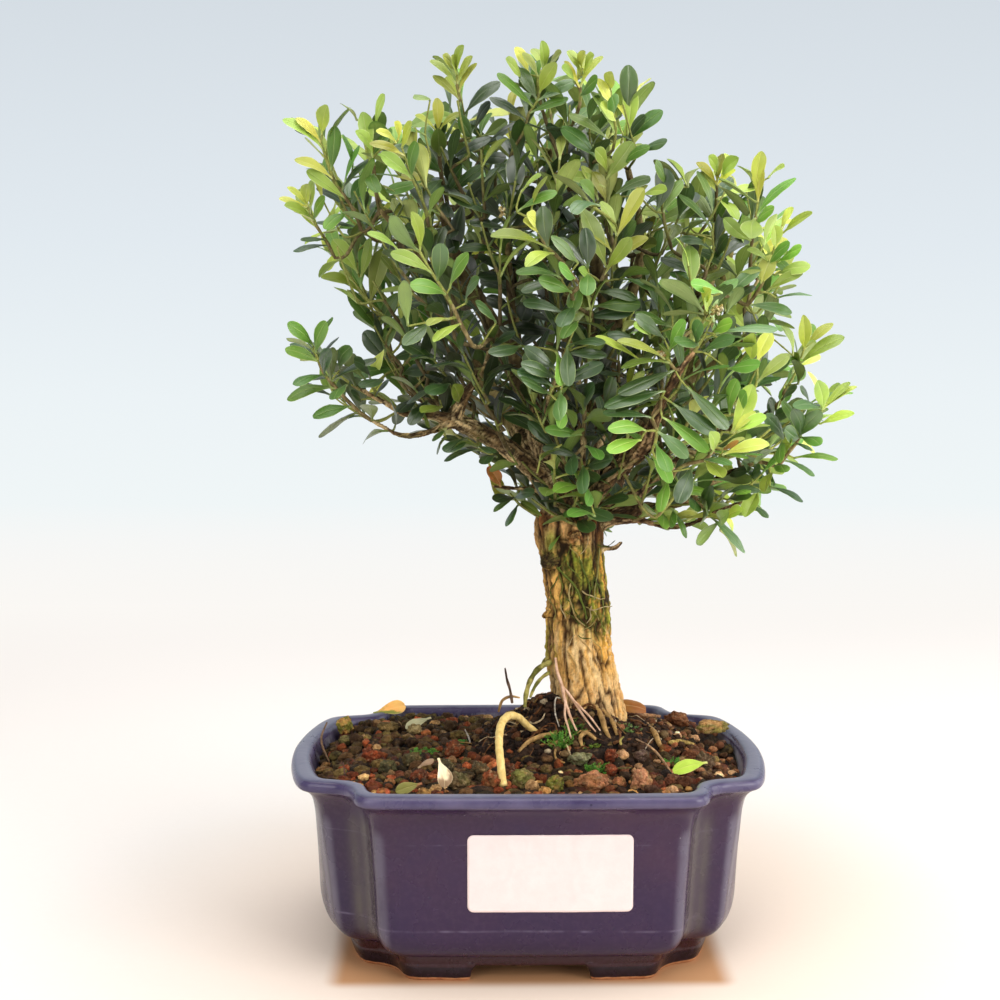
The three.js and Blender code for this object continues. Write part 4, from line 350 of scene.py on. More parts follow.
# Centre lines of the trunk and limbs: [x, y, z, radius], millimetres from the pot's centre.
LIMBS = {
    "trunk": [[16.5, 8.0, 52.9, 10.60], [16.5, 8.0, 58.5, 9.70], [15.9, 8.0, 65.7, 8.90], [14.6, 8.0, 71.3, 8.90], [14.2, 8.0, 76.8, 8.60], [13.5, 8.0, 86.4, 8.40], [12.5, 8.0, 94.1, 8.30], [12.0, 8.0, 101.8, 8.70], [11.6, 8.0, 106.4, 9.00], [11.1, 9.0, 110.7, 8.20]],
    "L1": [[10.7, 7.0, 109.8, 6.00], [7.6, 4.0, 116.0, 4.40], [3.5, 2.0, 121.3, 3.00], [-0.6, 0.0, 125.1, 2.50], [-7.2, -3.0, 130.1, 2.30], [-13.0, -6.0, 133.3, 2.25], [-17.6, -8.0, 135.5, 2.30], [-21.0, -9.0, 136.8, 1.90]],
    "L1a": [[-19.4, -8.0, 135.5, 1.90], [-17.3, -10.0, 140.2, 1.50], [-15.5, -12.0, 143.8, 1.25], [-12.9, -13.0, 147.3, 1.10], [-10.9, -14.0, 150.6, 0.95], [-10.1, -15.0, 154.2, 0.80]],
    "L1b": [[-20.4, -9.0, 136.5, 1.70], [-24.8, -10.0, 137.6, 1.30], [-29.1, -10.0, 137.6, 1.10], [-33.0, -10.0, 138.4, 0.95], [-36.9, -9.0, 140.7, 0.85], [-40.2, -9.0, 142.5, 0.75], [-43.4, -8.0, 144.2, 0.65]],
    "L1c": [[-19.7, -9.0, 135.3, 1.30], [-24.8, -10.0, 133.5, 0.95], [-30.4, -12.0, 132.3, 0.90], [-33.7, -12.0, 132.8, 0.80], [-36.5, -12.0, 134.3, 0.65], [-40.0, -12.0, 136.1, 0.60]],
    "C1": [[10.3, 10.0, 110.6, 5.50], [8.3, 14.0, 119.1, 4.60], [5.7, 17.0, 127.2, 4.00], [2.7, 19.0, 136.7, 3.50], [-2.1, 18.0, 147.8, 3.10], [-8.4, 15.0, 160.0, 2.80], [-13.8, 12.0, 169.3, 2.40], [-18.4, 10.0, 178.0, 1.90], [-21.5, 8.0, 187.6, 1.30], [-23.0, 6.0, 195.2, 0.90]],
    "C1b": [[-13.8, 12.0, 169.3, 1.80], [-20.4, 5.0, 171.6, 1.40], [-26.8, 0.0, 177.3, 1.10], [-33.1, -3.0, 184.7, 0.90], [-38.2, -4.0, 190.2, 0.70]],
    "C1c": [[-2.1, 18.0, 147.8, 2.20], [-3.1, 10.0, 158.5, 1.80], [-4.1, 0.0, 167.4, 1.40], [-5.2, -8.0, 176.7, 1.10], [-5.8, -14.0, 184.2, 0.80]],
    "C2": [[13.5, 13.0, 110.3, 5.50], [15.7, 18.0, 121.5, 4.60], [18.7, 22.0, 132.5, 3.90], [21.8, 23.0, 143.6, 3.30], [23.3, 22.0, 154.7, 2.70], [22.1, 18.0, 166.9, 2.30], [18.7, 14.0, 178.9, 1.90], [14.3, 10.0, 190.5, 1.50], [10.1, 8.0, 202.1, 1.20], [6.6, 6.0, 212.2, 0.90]],
    "C2b": [[23.3, 22.0, 154.7, 2.00], [28.3, 20.0, 167.0, 1.70], [31.3, 18.0, 179.2, 1.40], [30.3, 14.0, 190.9, 1.10], [27.1, 10.0, 202.4, 0.90]],
    "C2c": [[21.8, 23.0, 143.6, 2.00], [18.9, 8.0, 151.8, 1.60], [16.4, -8.0, 158.1, 1.30], [14.9, -22.0, 162.7, 1.00]],
    "C3": [[17.7, 14.0, 109.7, 4.20], [24.4, 22.0, 119.0, 3.40], [32.8, 28.0, 129.4, 2.90], [40.0, 30.0, 142.1, 2.50], [46.1, 28.0, 156.2, 2.10], [50.6, 25.0, 170.0, 1.70], [52.5, 20.0, 182.1, 1.30], [52.8, 16.0, 191.2, 0.90]],
    "C3b": [[40.0, 30.0, 142.1, 1.70], [51.0, 28.0, 149.2, 1.40], [60.1, 24.0, 156.1, 1.10], [66.3, 20.0, 163.5, 0.80]],
    "C3c": [[46.1, 28.0, 156.2, 1.50], [44.9, 12.0, 162.1, 1.20], [43.2, -4.0, 166.2, 1.00], [43.2, -14.0, 169.8, 0.80]],
    "R1": [[17.8, 8.0, 107.5, 3.40], [21.5, 7.0, 108.7, 2.30], [25.3, 6.5, 109.0, 1.70], [30.5, 5.0, 108.9, 1.05], [34.5, 4.0, 107.9, 0.95], [38.4, 3.0, 107.2, 0.85], [43.5, 1.0, 108.2, 0.80], [48.1, 0.0, 110.7, 0.75], [52.4, -1.0, 112.7, 0.70], [57.6, -2.0, 114.6, 0.60]],
    "R1b": [[24.1, 8.0, 109.4, 2.20], [32.3, 9.0, 111.8, 1.50], [37.9, 10.0, 112.2, 1.15], [44.1, 10.0, 113.6, 1.05], [48.2, 10.0, 117.4, 0.95], [51.5, 9.0, 119.9, 0.85], [57.8, 8.0, 122.7, 0.70]],
    "R1c": [[23.4, 10.0, 110.3, 2.20], [31.4, 14.0, 115.7, 1.60], [35.9, 17.0, 118.8, 1.40], [41.8, 20.0, 123.6, 1.20], [48.8, 21.0, 129.7, 1.00], [57.0, 20.0, 134.8, 0.80]],
    "R2": [[48.8, 21.0, 129.7, 1.00], [59.1, 16.0, 132.7, 0.85], [65.2, 12.0, 136.9, 0.80], [69.6, 10.0, 141.1, 0.60]],
    "F": [[15.2, 2.0, 111.9, 2.80], [19.1, -3.0, 117.9, 2.20], [23.3, -8.0, 123.3, 2.00], [27.5, -13.0, 127.2, 1.90], [29.6, -17.0, 130.7, 2.10], [30.7, -20.0, 134.6, 1.50], [32.2, -24.0, 140.0, 1.25], [33.5, -27.0, 143.5, 1.10], [36.3, -30.0, 149.1, 0.95], [39.5, -31.0, 153.4, 0.80]],
    "B1": [[11.2, 15.0, 110.1, 4.60], [5.9, 28.0, 120.9, 3.60], [-2.5, 38.0, 133.3, 3.00], [-12.6, 46.0, 147.7, 2.40], [-23.0, 50.0, 162.5, 1.90], [-31.6, 46.0, 176.9, 1.30], [-35.6, 40.0, 186.5, 0.90]],
    "B2": [[13.7, 16.0, 110.0, 4.60], [14.6, 32.0, 124.9, 3.80], [14.4, 44.0, 143.3, 3.10], [13.6, 52.0, 164.0, 2.50], [11.7, 52.0, 184.6, 1.90], [9.2, 44.0, 201.2, 1.30], [7.4, 36.0, 211.4, 0.90]],
    "B3": [[16.1, 15.0, 109.6, 4.40], [25.9, 30.0, 122.2, 3.50], [37.1, 42.0, 134.6, 2.90], [48.3, 50.0, 149.2, 2.30], [56.2, 50.0, 165.4, 1.70], [59.4, 42.0, 180.4, 1.20], [59.9, 34.0, 190.2, 0.80]],
    "B4": [[-2.5, 38.0, 133.3, 1.80], [-12.6, 44.0, 137.5, 1.50], [-24.4, 44.0, 140.4, 1.20], [-34.3, 38.0, 144.9, 0.90]],
    "B5": [[37.1, 42.0, 134.6, 1.80], [50.6, 44.0, 133.1, 1.50], [61.4, 38.0, 131.8, 1.20], [68.6, 30.0, 132.1, 0.80]],
    "T1": [[6.3, 5.0, 116.5, 1.40], [0.8, 0.0, 117.7, 0.80], [-4.6, -2.0, 118.1, 0.70], [-9.3, -3.0, 118.7, 0.60]],
    "T2": [[18.3, 7.0, 100.8, 1.60], [21.4, 5.0, 101.3, 0.90], [23.8, 4.0, 101.5, 0.80], [25.6, 4.0, 103.1, 0.60]],
    "FC": [[13.4, 3.0, 114.0, 1.70], [14.1, -6.0, 121.8, 1.10], [13.8, -14.0, 127.5, 0.90], [13.4, -20.0, 132.9, 0.75]],
    "FM": [[6.1, 14.0, 125.1, 1.70], [5.1, -3.0, 133.5, 1.30], [4.8, -15.0, 139.0, 1.10], [5.2, -24.0, 143.7, 0.90], [6.1, -30.0, 147.2, 0.70]],
}

# Sprays. "twigs": for each twig point x, y, z in twentieths of a millimetre, the index of
# the point it grows from (-1 at a limb) and its radius in hundredths. "leaves": foot x, y, z,
# tip x, y, z and width in twentieths, the upper face's direction in hundredths, the kind of
# leaf (0 tip growth, 1 young, 2 grown, 3 old, 4 old and shiny, 5 olive back, 6 pale back,
# 7 dead), the bow in hundredths of the length, and 1 where the leaf gets a fine grid.
SPRAYS = {
    "left_crown": {"twigs": [
-764,-80,3805,-1,80,-795,-49,3759,0,80,-823,-21,3716,1,80,-864,-1,3700,2,80,-875,-13,3735,3,80,-887,-25,3770,4,80,-901,-37,3803,5,77,
-920,-50,3835,6,77,-940,-62,3865,7,77,-962,-71,3896,8,74,-983,-78,3927,9,65,-1001,-82,3961,10,65,-1014,-82,3998,11,61,-1026,-81,4034,12,57,
-1039,-81,4071,13,57,-1052,-81,4107,14,52,-1064,-81,4144,15,45,-943,-76,3937,9,45,-915,9,3791,5,68,-941,48,3803,18,68,-908,-43,3673,3,52,
-950,-82,3667,20,52,-973,-66,3698,21,52,-994,-51,3730,22,36,-1014,-37,3763,23,36,-1033,-24,3798,24,36,-1051,-12,3833,25,36,-1068,0,3869,26,36,
-907,-79,3983,17,36,-1059,-81,4184,16,36,-964,62,3841,19,65,-982,66,3881,30,52,-999,67,3921,31,52,-1015,59,3961,32,52,-1029,52,4001,33,45,
-1042,46,4043,34,45,-1054,40,4084,35,45,-1065,35,4126,36,45,-958,107,3852,30,52,-945,150,3851,38,52,-932,192,3850,39,52,-975,246,3866,40,36,
-893,234,3828,40,36,-896,37,3675,3,72,-920,77,3645,43,72,-941,118,3616,44,72,-963,155,3592,45,72,-990,186,3579,46,72,-1027,209,3582,47,72,
-1041,189,3612,48,72,-1054,169,3643,49,72,-1071,153,3674,50,68,-1091,141,3705,51,65,-1111,131,3737,52,65,-1129,127,3771,53,65,-1144,127,3807,54,57,
-1159,129,3843,55,52,
    ], "leaves": [
-1052,-81,4107,-1244,-146,4254,91,57,-69,43,1,6,1,-1064,-81,4144,-1185,-126,4262,72,64,-64,41,0,7,1,
-1059,-81,4184,-1012,-263,4303,80,-60,-53,-58,1,3,1,-1014,-82,3998,-986,-139,4220,82,8,-95,-26,2,4,1,-1039,-81,4071,-912,-153,4313,101,-88,5,45,5,9,1,
-1001,-82,3961,-1191,-136,4055,76,46,-69,54,0,3,1,-940,-62,3865,-1127,-123,4002,82,43,-87,21,1,4,1,-907,-79,3983,-941,-132,4181,74,95,-27,9,2,10,1,
-943,-76,3937,-865,-129,4127,74,-82,-52,20,2,7,1,-962,-71,3896,-825,-126,4062,75,-69,-59,41,3,6,1,-1159,129,3843,-1258,48,3932,72,76,-44,45,0,8,1,
-1159,129,3843,-1304,69,3877,72,40,-53,73,0,5,1,-1129,127,3771,-1259,-35,3835,80,74,-38,54,1,9,1,-1159,129,3843,-1139,10,3948,72,-71,-52,-45,0,5,1,
-1144,127,3807,-1101,-47,3961,80,-88,-40,-19,1,4,1,-1129,127,3771,-1057,-79,3871,80,-90,-39,-12,2,6,1,-975,246,3866,-1100,78,3936,80,78,-38,48,3,6,1,
-941,48,3803,-1041,-146,3711,80,27,-52,80,2,5,1,-932,192,3850,-863,8,3968,80,-73,-53,-40,2,7,1,-893,234,3828,-849,27,3919,80,-86,-34,-35,3,7,1,
-1071,153,3674,-1187,39,3662,72,26,-39,87,3,5,1,-1054,169,3643,-1240,120,3617,72,-2,-44,89,3,7,1,-973,-66,3698,-1041,222,3721,106,-38,-13,90,1,5,0,
-1068,0,3869,-1075,63,4051,63,-21,-92,31,0,8,0,-1015,59,3961,-1169,201,4062,83,18,-42,88,3,10,0,-1065,35,4126,-1075,23,4314,63,-94,30,-3,2,8,0,
-1065,35,4126,-1216,-26,4287,82,64,28,70,3,7,0,-1017,60,3966,-1106,93,4255,144,59,-23,76,1,1,1,-1147,130,3812,-1211,201,3944,70,-47,-22,84,1,1,1,
-1058,42,4088,-1171,103,4193,74,89,-9,42,1,2,0,-995,187,3576,-1116,210,3481,70,-77,-52,35,1,3,1,
    ]},
    "upper_left": {"twigs": [
-751,-78,3791,-1,80,-764,-76,3780,0,74,-771,-89,3819,1,74,-777,-103,3858,2,74,-781,-116,3898,3,74,-784,-129,3937,4,74,-787,-143,3977,5,74,
-789,-156,4016,6,72,-791,-170,4056,7,72,-786,-170,4096,8,52,-639,-51,3667,-1,80,-673,-67,3617,10,80,-711,-86,3588,11,65,-734,-100,3618,12,65,
-756,-114,3649,13,65,-777,-127,3681,14,57,-797,-140,3713,15,57,-816,-152,3747,16,45,-834,-163,3781,17,45,-852,-174,3816,18,36,-869,-185,3851,19,36,
-886,-196,3886,20,36,-782,-170,4140,9,45,-778,-170,4180,22,45,-775,-170,4221,23,45,-822,-170,4239,24,36,-871,-170,4245,25,36,-694,-64,3803,0,74,
-638,-50,3810,27,74,-590,-38,3824,28,74,-559,-28,3857,29,74,-586,-32,3887,30,61,-612,-36,3917,31,61,-637,-39,3949,32,57,-661,-42,3981,33,57,
-683,-46,4014,34,45,-705,-49,4048,35,45,-726,-51,4082,36,36,-746,-54,4116,37,36,-766,-57,4151,38,36,-542,-67,3887,30,57,-535,-110,3907,40,57,
-532,-155,3924,41,57,-526,-199,3942,42,57,-513,-196,4000,43,52,-501,-181,4055,44,52,-508,-169,4097,45,45,-518,-159,4136,46,45,-527,-149,4174,47,45,
-762,-211,4080,8,45,-730,-251,4091,49,45,-697,-290,4098,50,45,-664,-329,4107,51,45,-654,-329,4121,52,36,-643,-117,3617,11,80,-605,-158,3625,54,80,
-565,-193,3642,55,80,-530,-224,3669,56,80,-506,-253,3705,57,72,-516,-257,3740,58,72,-524,-260,3775,59,45,-532,-263,3811,60,45,-539,-266,3847,61,45,
-545,-268,3883,62,45,-510,-249,3762,59,57,-524,-267,3795,64,57,-538,-284,3829,65,57,-553,-300,3862,66,57,-568,-315,3896,67,57,-584,-328,3931,68,57,
-597,-332,3968,69,45,-610,-330,4006,70,45,-622,-329,4044,71,45,-635,-329,4082,72,36,-475,-237,3671,57,72,-421,-244,3668,74,72,-383,-248,3689,75,72,
-408,-244,3722,76,72,-432,-239,3756,77,72,-456,-235,3790,78,65,-478,-232,3825,79,65,-499,-228,3862,80,57,-519,-225,3898,81,57,-538,-221,3935,82,45,
-557,-218,3973,83,45,-575,-215,4010,84,45,-523,-160,4220,48,36,-516,-175,4261,86,36,-507,-193,4299,87,36,-499,-209,4338,88,36,
    ], "leaves": [
-791,-170,4056,-835,-229,4275,83,46,-87,-14,1,7,1,-786,-170,4096,-740,-220,4282,76,-4,95,27,5,8,1,-775,-170,4221,-721,-351,4337,80,-87,-41,-24,1,5,1,
-871,-170,4245,-934,-292,4313,72,59,13,79,6,4,1,-787,-143,3977,-753,-368,3871,82,-17,-45,87,2,9,1,-791,-170,4056,-856,-353,4156,80,94,-32,2,1,8,1,
-791,-170,4056,-701,-211,4199,72,-62,-76,12,2,7,1,-664,-329,4107,-749,-457,4145,72,77,-36,50,0,9,1,-622,-329,4044,-790,-375,4104,72,40,-68,60,0,7,1,
-584,-328,3931,-741,-379,4050,72,30,-94,-1,1,10,1,-635,-329,4082,-580,-526,4177,80,-94,-29,-6,1,4,1,-654,-329,4121,-660,-473,4185,72,95,-14,-22,0,7,1,
-584,-328,3931,-567,-488,4087,80,-73,-51,-44,2,6,1,-501,-181,4055,-701,-233,4101,73,33,-70,62,4,5,1,-527,-149,4174,-670,-220,4208,72,42,-50,75,2,7,1,
-526,-199,3942,-721,-249,3886,72,9,-87,45,2,5,1,-499,-209,4338,-567,-361,4320,72,37,-27,88,6,9,1,-612,-36,3917,-701,92,4101,79,13,-78,60,3,3,0,
-661,-42,3981,-598,-109,4203,88,-71,57,38,3,4,0,-661,-42,3981,-947,-5,3973,91,-5,-15,98,2,6,0,-705,-49,4048,-874,110,4230,88,1,-71,69,3,6,0,
-705,-49,4048,-777,-286,4230,98,4,57,81,2,11,0,-756,-114,3649,-610,-149,3903,106,-86,-9,48,2,4,0,-797,-140,3713,-899,-399,3771,97,8,18,97,2,5,1,
-834,-163,3781,-799,-239,4048,89,-86,42,27,2,10,1,-432,-239,3756,-585,8,3813,96,14,-15,97,1,5,0,-519,-225,3898,-666,15,3994,104,-26,-44,85,0,6,1,
-519,-225,3898,-564,-377,4102,90,0,77,63,0,11,1,-575,-215,4010,-577,-165,4208,72,-50,-83,21,0,6,1,-575,-215,4010,-738,-236,4098,58,46,11,87,0,4,0,
-516,-257,3740,-591,-50,3928,102,16,-62,76,3,10,1,-545,-268,3883,-694,-347,4041,78,64,23,72,3,9,0,
    ]},
    "top_left": {"twigs": [
-389,188,3618,-1,138,-421,192,3597,0,138,-415,185,3636,1,138,-411,178,3675,2,138,-410,171,3714,3,138,-413,164,3753,4,137,-418,158,3793,5,126,
-421,151,3832,6,97,-424,144,3871,7,97,-430,137,3910,8,95,-439,130,3948,9,92,-450,123,3986,10,92,-457,116,4025,11,88,-460,108,4064,12,86,
-462,101,4103,13,86,-464,94,4143,14,84,-466,87,4182,15,52,-467,80,4221,16,52,-468,73,4261,17,36,-400,191,3829,6,104,-378,230,3852,19,104,
-357,268,3875,20,95,-335,300,3860,21,93,-354,293,3897,22,93,-371,286,3934,23,90,-387,279,3972,24,90,-402,273,4011,25,68,-416,268,4050,26,61,
-429,262,4089,27,52,-442,257,4128,28,45,-410,253,4106,28,36,-378,126,3775,5,82,-337,87,3780,31,82,-301,50,3785,32,82,-281,13,3808,33,82,
-303,4,3841,34,82,-324,-4,3875,35,82,-345,-12,3910,36,77,-364,-20,3945,37,77,-382,-27,3982,38,72,-400,-34,4018,39,72,-417,-41,4055,40,36,
-433,-48,4092,41,36,-449,-54,4130,42,36,-349,-39,4054,40,61,-304,-44,4088,44,61,-314,-53,4125,45,61,-324,-61,4163,46,52,-333,-69,4201,47,52,
-341,-77,4239,48,52,-349,-84,4277,49,45,-356,-90,4316,50,45,-363,-97,4355,51,45,-355,283,4013,25,74,-315,289,4041,53,74,-276,295,4070,54,74,
-255,299,4110,55,72,-241,302,4149,56,72,-227,306,4188,57,45,-246,311,4234,58,36,-271,317,4275,59,36,-423,102,4170,15,77,-379,113,4184,61,77,
-335,125,4193,62,77,-291,137,4204,63,36,-323,168,4220,63,74,-323,197,4255,65,74,-328,171,4287,66,72,-335,149,4321,67,72,-344,131,4357,68,68,
-353,118,4394,69,68,-361,114,4434,70,65,-369,117,4475,71,61,-369,117,4526,72,52,-379,117,4541,73,36,-435,308,4072,27,45,-451,354,4080,75,45,
-465,398,4088,76,45,-478,434,4110,77,45,-483,439,4151,78,45,-488,444,4192,79,36,-492,448,4233,80,36,-496,452,4274,81,36,-499,456,4315,82,36,
-503,459,4356,83,36,-342,230,4285,66,36,-365,260,4309,85,36,-388,288,4331,86,36,-411,317,4354,87,36,-411,277,3865,20,65,-452,318,3868,89,65,
-497,353,3867,90,65,-543,383,3868,91,65,-589,408,3878,92,65,-630,429,3901,93,65,-646,424,3938,94,52,-660,420,3976,95,52,-673,417,4014,96,52,
-686,413,4053,97,52,-697,410,4092,98,36,-709,407,4131,99,36,-720,404,4170,100,36,-616,470,3938,94,52,-596,505,3974,102,52,-605,523,4013,103,52,
-612,539,4052,104,36,-619,553,4093,105,36,-625,566,4133,106,36,-631,579,4174,107,36,-247,346,4170,57,65,-257,393,4177,109,65,-270,438,4179,110,65,
-283,480,4185,111,65,-297,516,4205,112,65,-306,523,4243,113,65,-315,530,4281,114,57,-324,536,4320,115,57,-331,542,4358,116,57,-338,547,4397,117,45,
-345,552,4436,118,45,-352,557,4475,119,45,
    ], "leaves": [
-369,117,4475,-508,69,4593,72,60,-66,44,0,4,1,-353,118,4394,-488,70,4517,72,58,-71,37,0,6,1,-379,117,4541,-438,-17,4596,72,92,-34,15,0,5,1,
-374,117,4526,-387,-20,4595,72,91,-24,-31,0,4,1,-369,117,4526,-324,-64,4636,80,-91,-34,-19,1,9,1,-369,117,4475,-284,74,4615,72,-72,-64,23,0,6,1,
-361,114,4434,-269,70,4578,72,-70,-64,26,0,4,1,-335,149,4321,-148,88,4490,93,-61,-69,37,3,8,1,-411,317,4354,-436,270,4530,72,92,-36,4,3,4,1,
-271,317,4275,-195,147,4393,80,-88,-44,-7,3,9,1,-291,137,4204,-345,-68,4278,80,80,-38,-45,2,5,1,-467,80,4221,-472,36,4393,72,51,-82,-20,0,3,1,
-462,101,4103,-463,-104,4207,89,5,-41,-90,1,4,1,-457,116,4025,-536,-68,4101,80,81,-49,-27,2,5,1,-467,80,4221,-584,-20,4291,72,62,-40,66,0,6,1,
-467,80,4221,-351,-16,4307,72,-69,-48,52,0,9,1,-410,253,4106,-195,192,4218,85,-47,-70,52,3,8,1,-227,306,4188,-50,250,4312,77,-56,-63,52,3,5,1,
-430,137,3910,-238,74,4060,84,-48,-80,34,2,3,1,-450,123,3986,-558,-71,3882,80,41,-59,68,2,4,0,-276,295,4070,-116,126,4099,80,-64,-51,56,3,10,1,
-450,123,3986,-537,-75,3867,80,28,-58,75,2,6,1,-430,137,3910,-346,-44,4039,80,-84,-50,-14,2,8,1,-357,268,3875,-185,214,4001,86,-14,-95,-22,4,3,1,
-424,144,3871,-403,-83,3769,80,20,-36,90,4,3,1,-413,164,3753,-404,-62,3659,96,-5,-42,90,4,9,0,-410,171,3714,-378,-49,3598,85,-27,-43,85,2,7,0,
-605,523,4013,-610,750,4094,79,5,-32,93,3,9,0,-605,523,4013,-652,414,4270,99,17,88,41,2,9,0,-631,579,4174,-751,696,4322,78,68,-18,70,2,4,0,
-483,439,4151,-557,615,4352,88,13,-70,69,2,4,0,-483,439,4151,-457,330,4375,81,-47,75,44,3,7,0,-686,413,4053,-577,529,4214,74,-39,-59,69,1,9,0,
-686,413,4053,-889,263,4139,87,20,26,93,1,6,1,-720,404,4170,-792,433,4320,55,76,-44,45,1,7,0,-306,523,4243,-235,658,4461,89,-56,-57,59,3,6,1,
-306,523,4243,-459,426,4389,70,48,32,81,6,4,0,-331,542,4358,-223,553,4565,81,-87,14,45,3,8,0,-331,542,4358,-548,578,4415,83,26,10,95,2,4,0,
-352,557,4475,-378,643,4674,73,-1,-91,39,2,7,0,-352,557,4475,-416,505,4686,75,69,62,36,2,6,1,-324,-4,3875,-499,131,3961,88,7,-48,87,3,9,0,
-400,-34,4018,-369,-192,4205,76,-54,55,62,3,7,1,-354,293,3897,-497,486,4058,102,18,-49,84,3,6,1,-354,293,3897,-384,71,4107,105,-11,66,73,3,7,1,
-402,273,4011,-297,337,4202,78,-72,-42,53,3,10,0,-402,273,4011,-654,147,4070,97,14,18,96,6,8,1,-442,257,4128,-544,296,4278,59,57,-60,54,2,5,0,
-442,257,4128,-465,175,4299,63,-22,88,40,3,10,0,-326,-3,3870,-392,36,3620,124,-31,-71,61,4,6,1,-405,274,4016,-525,306,4185,100,-45,-88,-7,3,2,1,
-241,311,4237,-104,300,4324,76,12,-93,32,1,0,1,-312,523,4246,-511,493,4349,100,84,-47,23,0,2,0,-355,559,4480,-444,625,4614,73,-67,-29,67,1,-2,0,
-245,314,4239,-194,388,4382,75,-39,-35,84,2,6,1,-709,409,4137,-727,489,4326,102,9,-97,-17,2,6,1,-325,543,4359,-51,598,4401,142,-11,-50,85,0,5,1,
-341,148,4320,-612,100,4265,117,-18,-85,47,1,2,1,-374,117,4529,-499,117,4617,69,25,15,95,1,5,0,-352,117,4389,-342,87,4240,70,91,-37,13,2,5,0,
-488,447,4228,-387,411,4100,85,-8,-37,92,3,2,0,-614,552,4089,-490,512,4003,72,13,-97,-15,6,5,0,-458,110,4070,-379,174,4307,123,-87,-28,37,2,6,1,
-429,137,3904,-393,134,3691,96,-77,-5,62,0,3,0,-622,469,3937,-769,450,3934,64,-38,16,90,2,6,0,
    ]},
    "top": {"twigs": [
131,120,4244,-1,79,77,108,4210,0,57,28,97,4179,1,57,-19,84,4179,2,57,-9,83,4220,3,57,1,83,4260,4,57,10,82,4300,5,45,19,81,4341,6,45,27,81,4381,7,45,
34,80,4422,8,45,42,80,4462,9,36,49,79,4503,10,36,56,79,4544,11,36,147,66,4237,0,68,162,14,4227,13,68,176,-35,4218,14,68,190,-82,4212,15,68,
204,-128,4212,16,68,220,-174,4221,17,68,232,-202,4250,18,68,244,-229,4278,19,68,254,-253,4310,20,68,257,-259,4350,21,68,254,-254,4390,22,65,
229,-254,4420,23,57,254,-254,4454,24,52,274,-254,4454,25,36,269,-254,4489,25,36,189,153,4080,-1,80,187,96,4068,28,80,187,42,4052,29,80,
186,-9,4039,30,80,182,-57,4036,31,79,170,-100,4049,32,79,154,-104,4084,33,79,139,-107,4119,34,79,125,-110,4155,35,77,111,-113,4191,36,77,
98,-115,4227,37,74,86,-118,4264,38,74,74,-120,4300,39,68,63,-123,4337,40,68,52,-125,4374,41,68,48,-138,4421,42,61,47,-152,4464,43,61,
73,-152,4474,44,45,2,-152,4474,44,45,-34,-152,4459,46,36,103,-152,4519,45,36,142,-32,4020,31,74,95,-43,3998,49,74,48,-47,3980,50,74,1,-49,3973,51,74,
-44,-52,3982,52,74,-55,-51,4022,53,74,-66,-49,4063,54,36,-76,-48,4104,55,36,-84,-46,4144,56,36,-93,-45,4185,57,36,-101,-44,4227,58,36,
-104,-72,4010,54,65,-96,-85,4045,60,65,-89,-99,4081,61,65,-75,-112,4114,62,65,-54,-125,4144,63,65,-34,-139,4174,64,65,-17,-150,4206,65,65,
-10,-152,4244,66,65,1,-152,4281,67,61,24,-152,4312,68,57,44,-152,4344,69,52,55,-152,4381,70,36,63,-152,4419,71,36,
    ], "leaves": [
2,-152,4474,-76,-218,4594,72,68,-71,5,0,5,1,-34,-152,4459,-118,-356,4511,80,92,-35,12,1,5,1,47,-152,4464,-31,-243,4564,72,81,-56,13,0,4,1,
73,-152,4474,66,-324,4600,80,80,-36,-45,1,4,1,103,-152,4519,156,-294,4558,72,-91,-26,29,0,3,1,55,-152,4381,131,-311,4501,80,-58,-65,-48,1,9,1,
24,-152,4312,-161,-215,4471,88,58,-71,37,2,6,1,44,-152,4344,-45,-200,4499,72,37,-92,-7,4,4,1,-10,-152,4244,-197,-206,4354,75,47,-70,52,3,8,1,
44,-152,4344,232,-207,4439,77,-42,-83,33,4,4,1,1,-152,4281,197,-207,4355,77,-42,-68,59,2,3,1,254,-254,4454,187,-364,4544,72,85,-51,1,0,7,1,
269,-254,4489,264,-404,4535,72,-90,-10,-41,0,9,1,274,-254,4454,308,-469,4503,80,-98,-16,-2,1,3,1,254,-254,4390,365,-303,4537,72,-75,-52,39,0,9,1,
229,-254,4420,148,-473,4444,80,90,-31,26,1,4,1,254,-254,4390,165,-322,4504,72,77,-56,27,0,4,1,257,-259,4350,319,-466,4403,80,-95,-25,12,2,3,1,
139,-107,4119,110,141,4235,97,-7,-44,89,2,4,1,111,-113,4191,-97,-137,4261,79,31,4,94,2,4,0,86,-118,4264,-36,86,4440,95,10,-58,80,2,8,1,
52,-125,4374,57,-107,4563,69,-62,-76,9,2,10,1,52,-125,4374,-56,-159,4526,64,74,28,59,2,7,0,-55,-51,4022,-143,121,4215,96,17,-67,71,3,11,1,
-55,-51,4022,-52,-197,4252,83,-12,81,55,3,11,1,1,83,4260,-19,257,4456,98,41,-66,61,3,6,1,1,83,4260,71,-67,4442,82,-26,69,65,3,5,1,
34,80,4422,-25,236,4669,103,40,-70,58,3,5,0,34,80,4422,154,-45,4613,84,-57,43,68,3,8,0,232,-253,4425,306,-228,4559,73,22,-87,42,0,1,1,
272,-251,4459,219,-176,4597,70,17,-44,87,2,5,0,
    ]},
    "top_right": {"twigs": [
542,200,4047,-1,80,510,200,4074,0,74,519,188,4110,1,74,528,176,4147,2,61,531,164,4185,3,61,531,152,4223,4,52,529,140,4261,5,36,528,128,4299,6,36,
526,116,4337,7,36,521,223,4144,2,57,518,265,4165,9,57,516,306,4185,10,57,518,339,4213,11,57,530,348,4252,12,57,541,356,4293,13,52,551,363,4333,14,52,
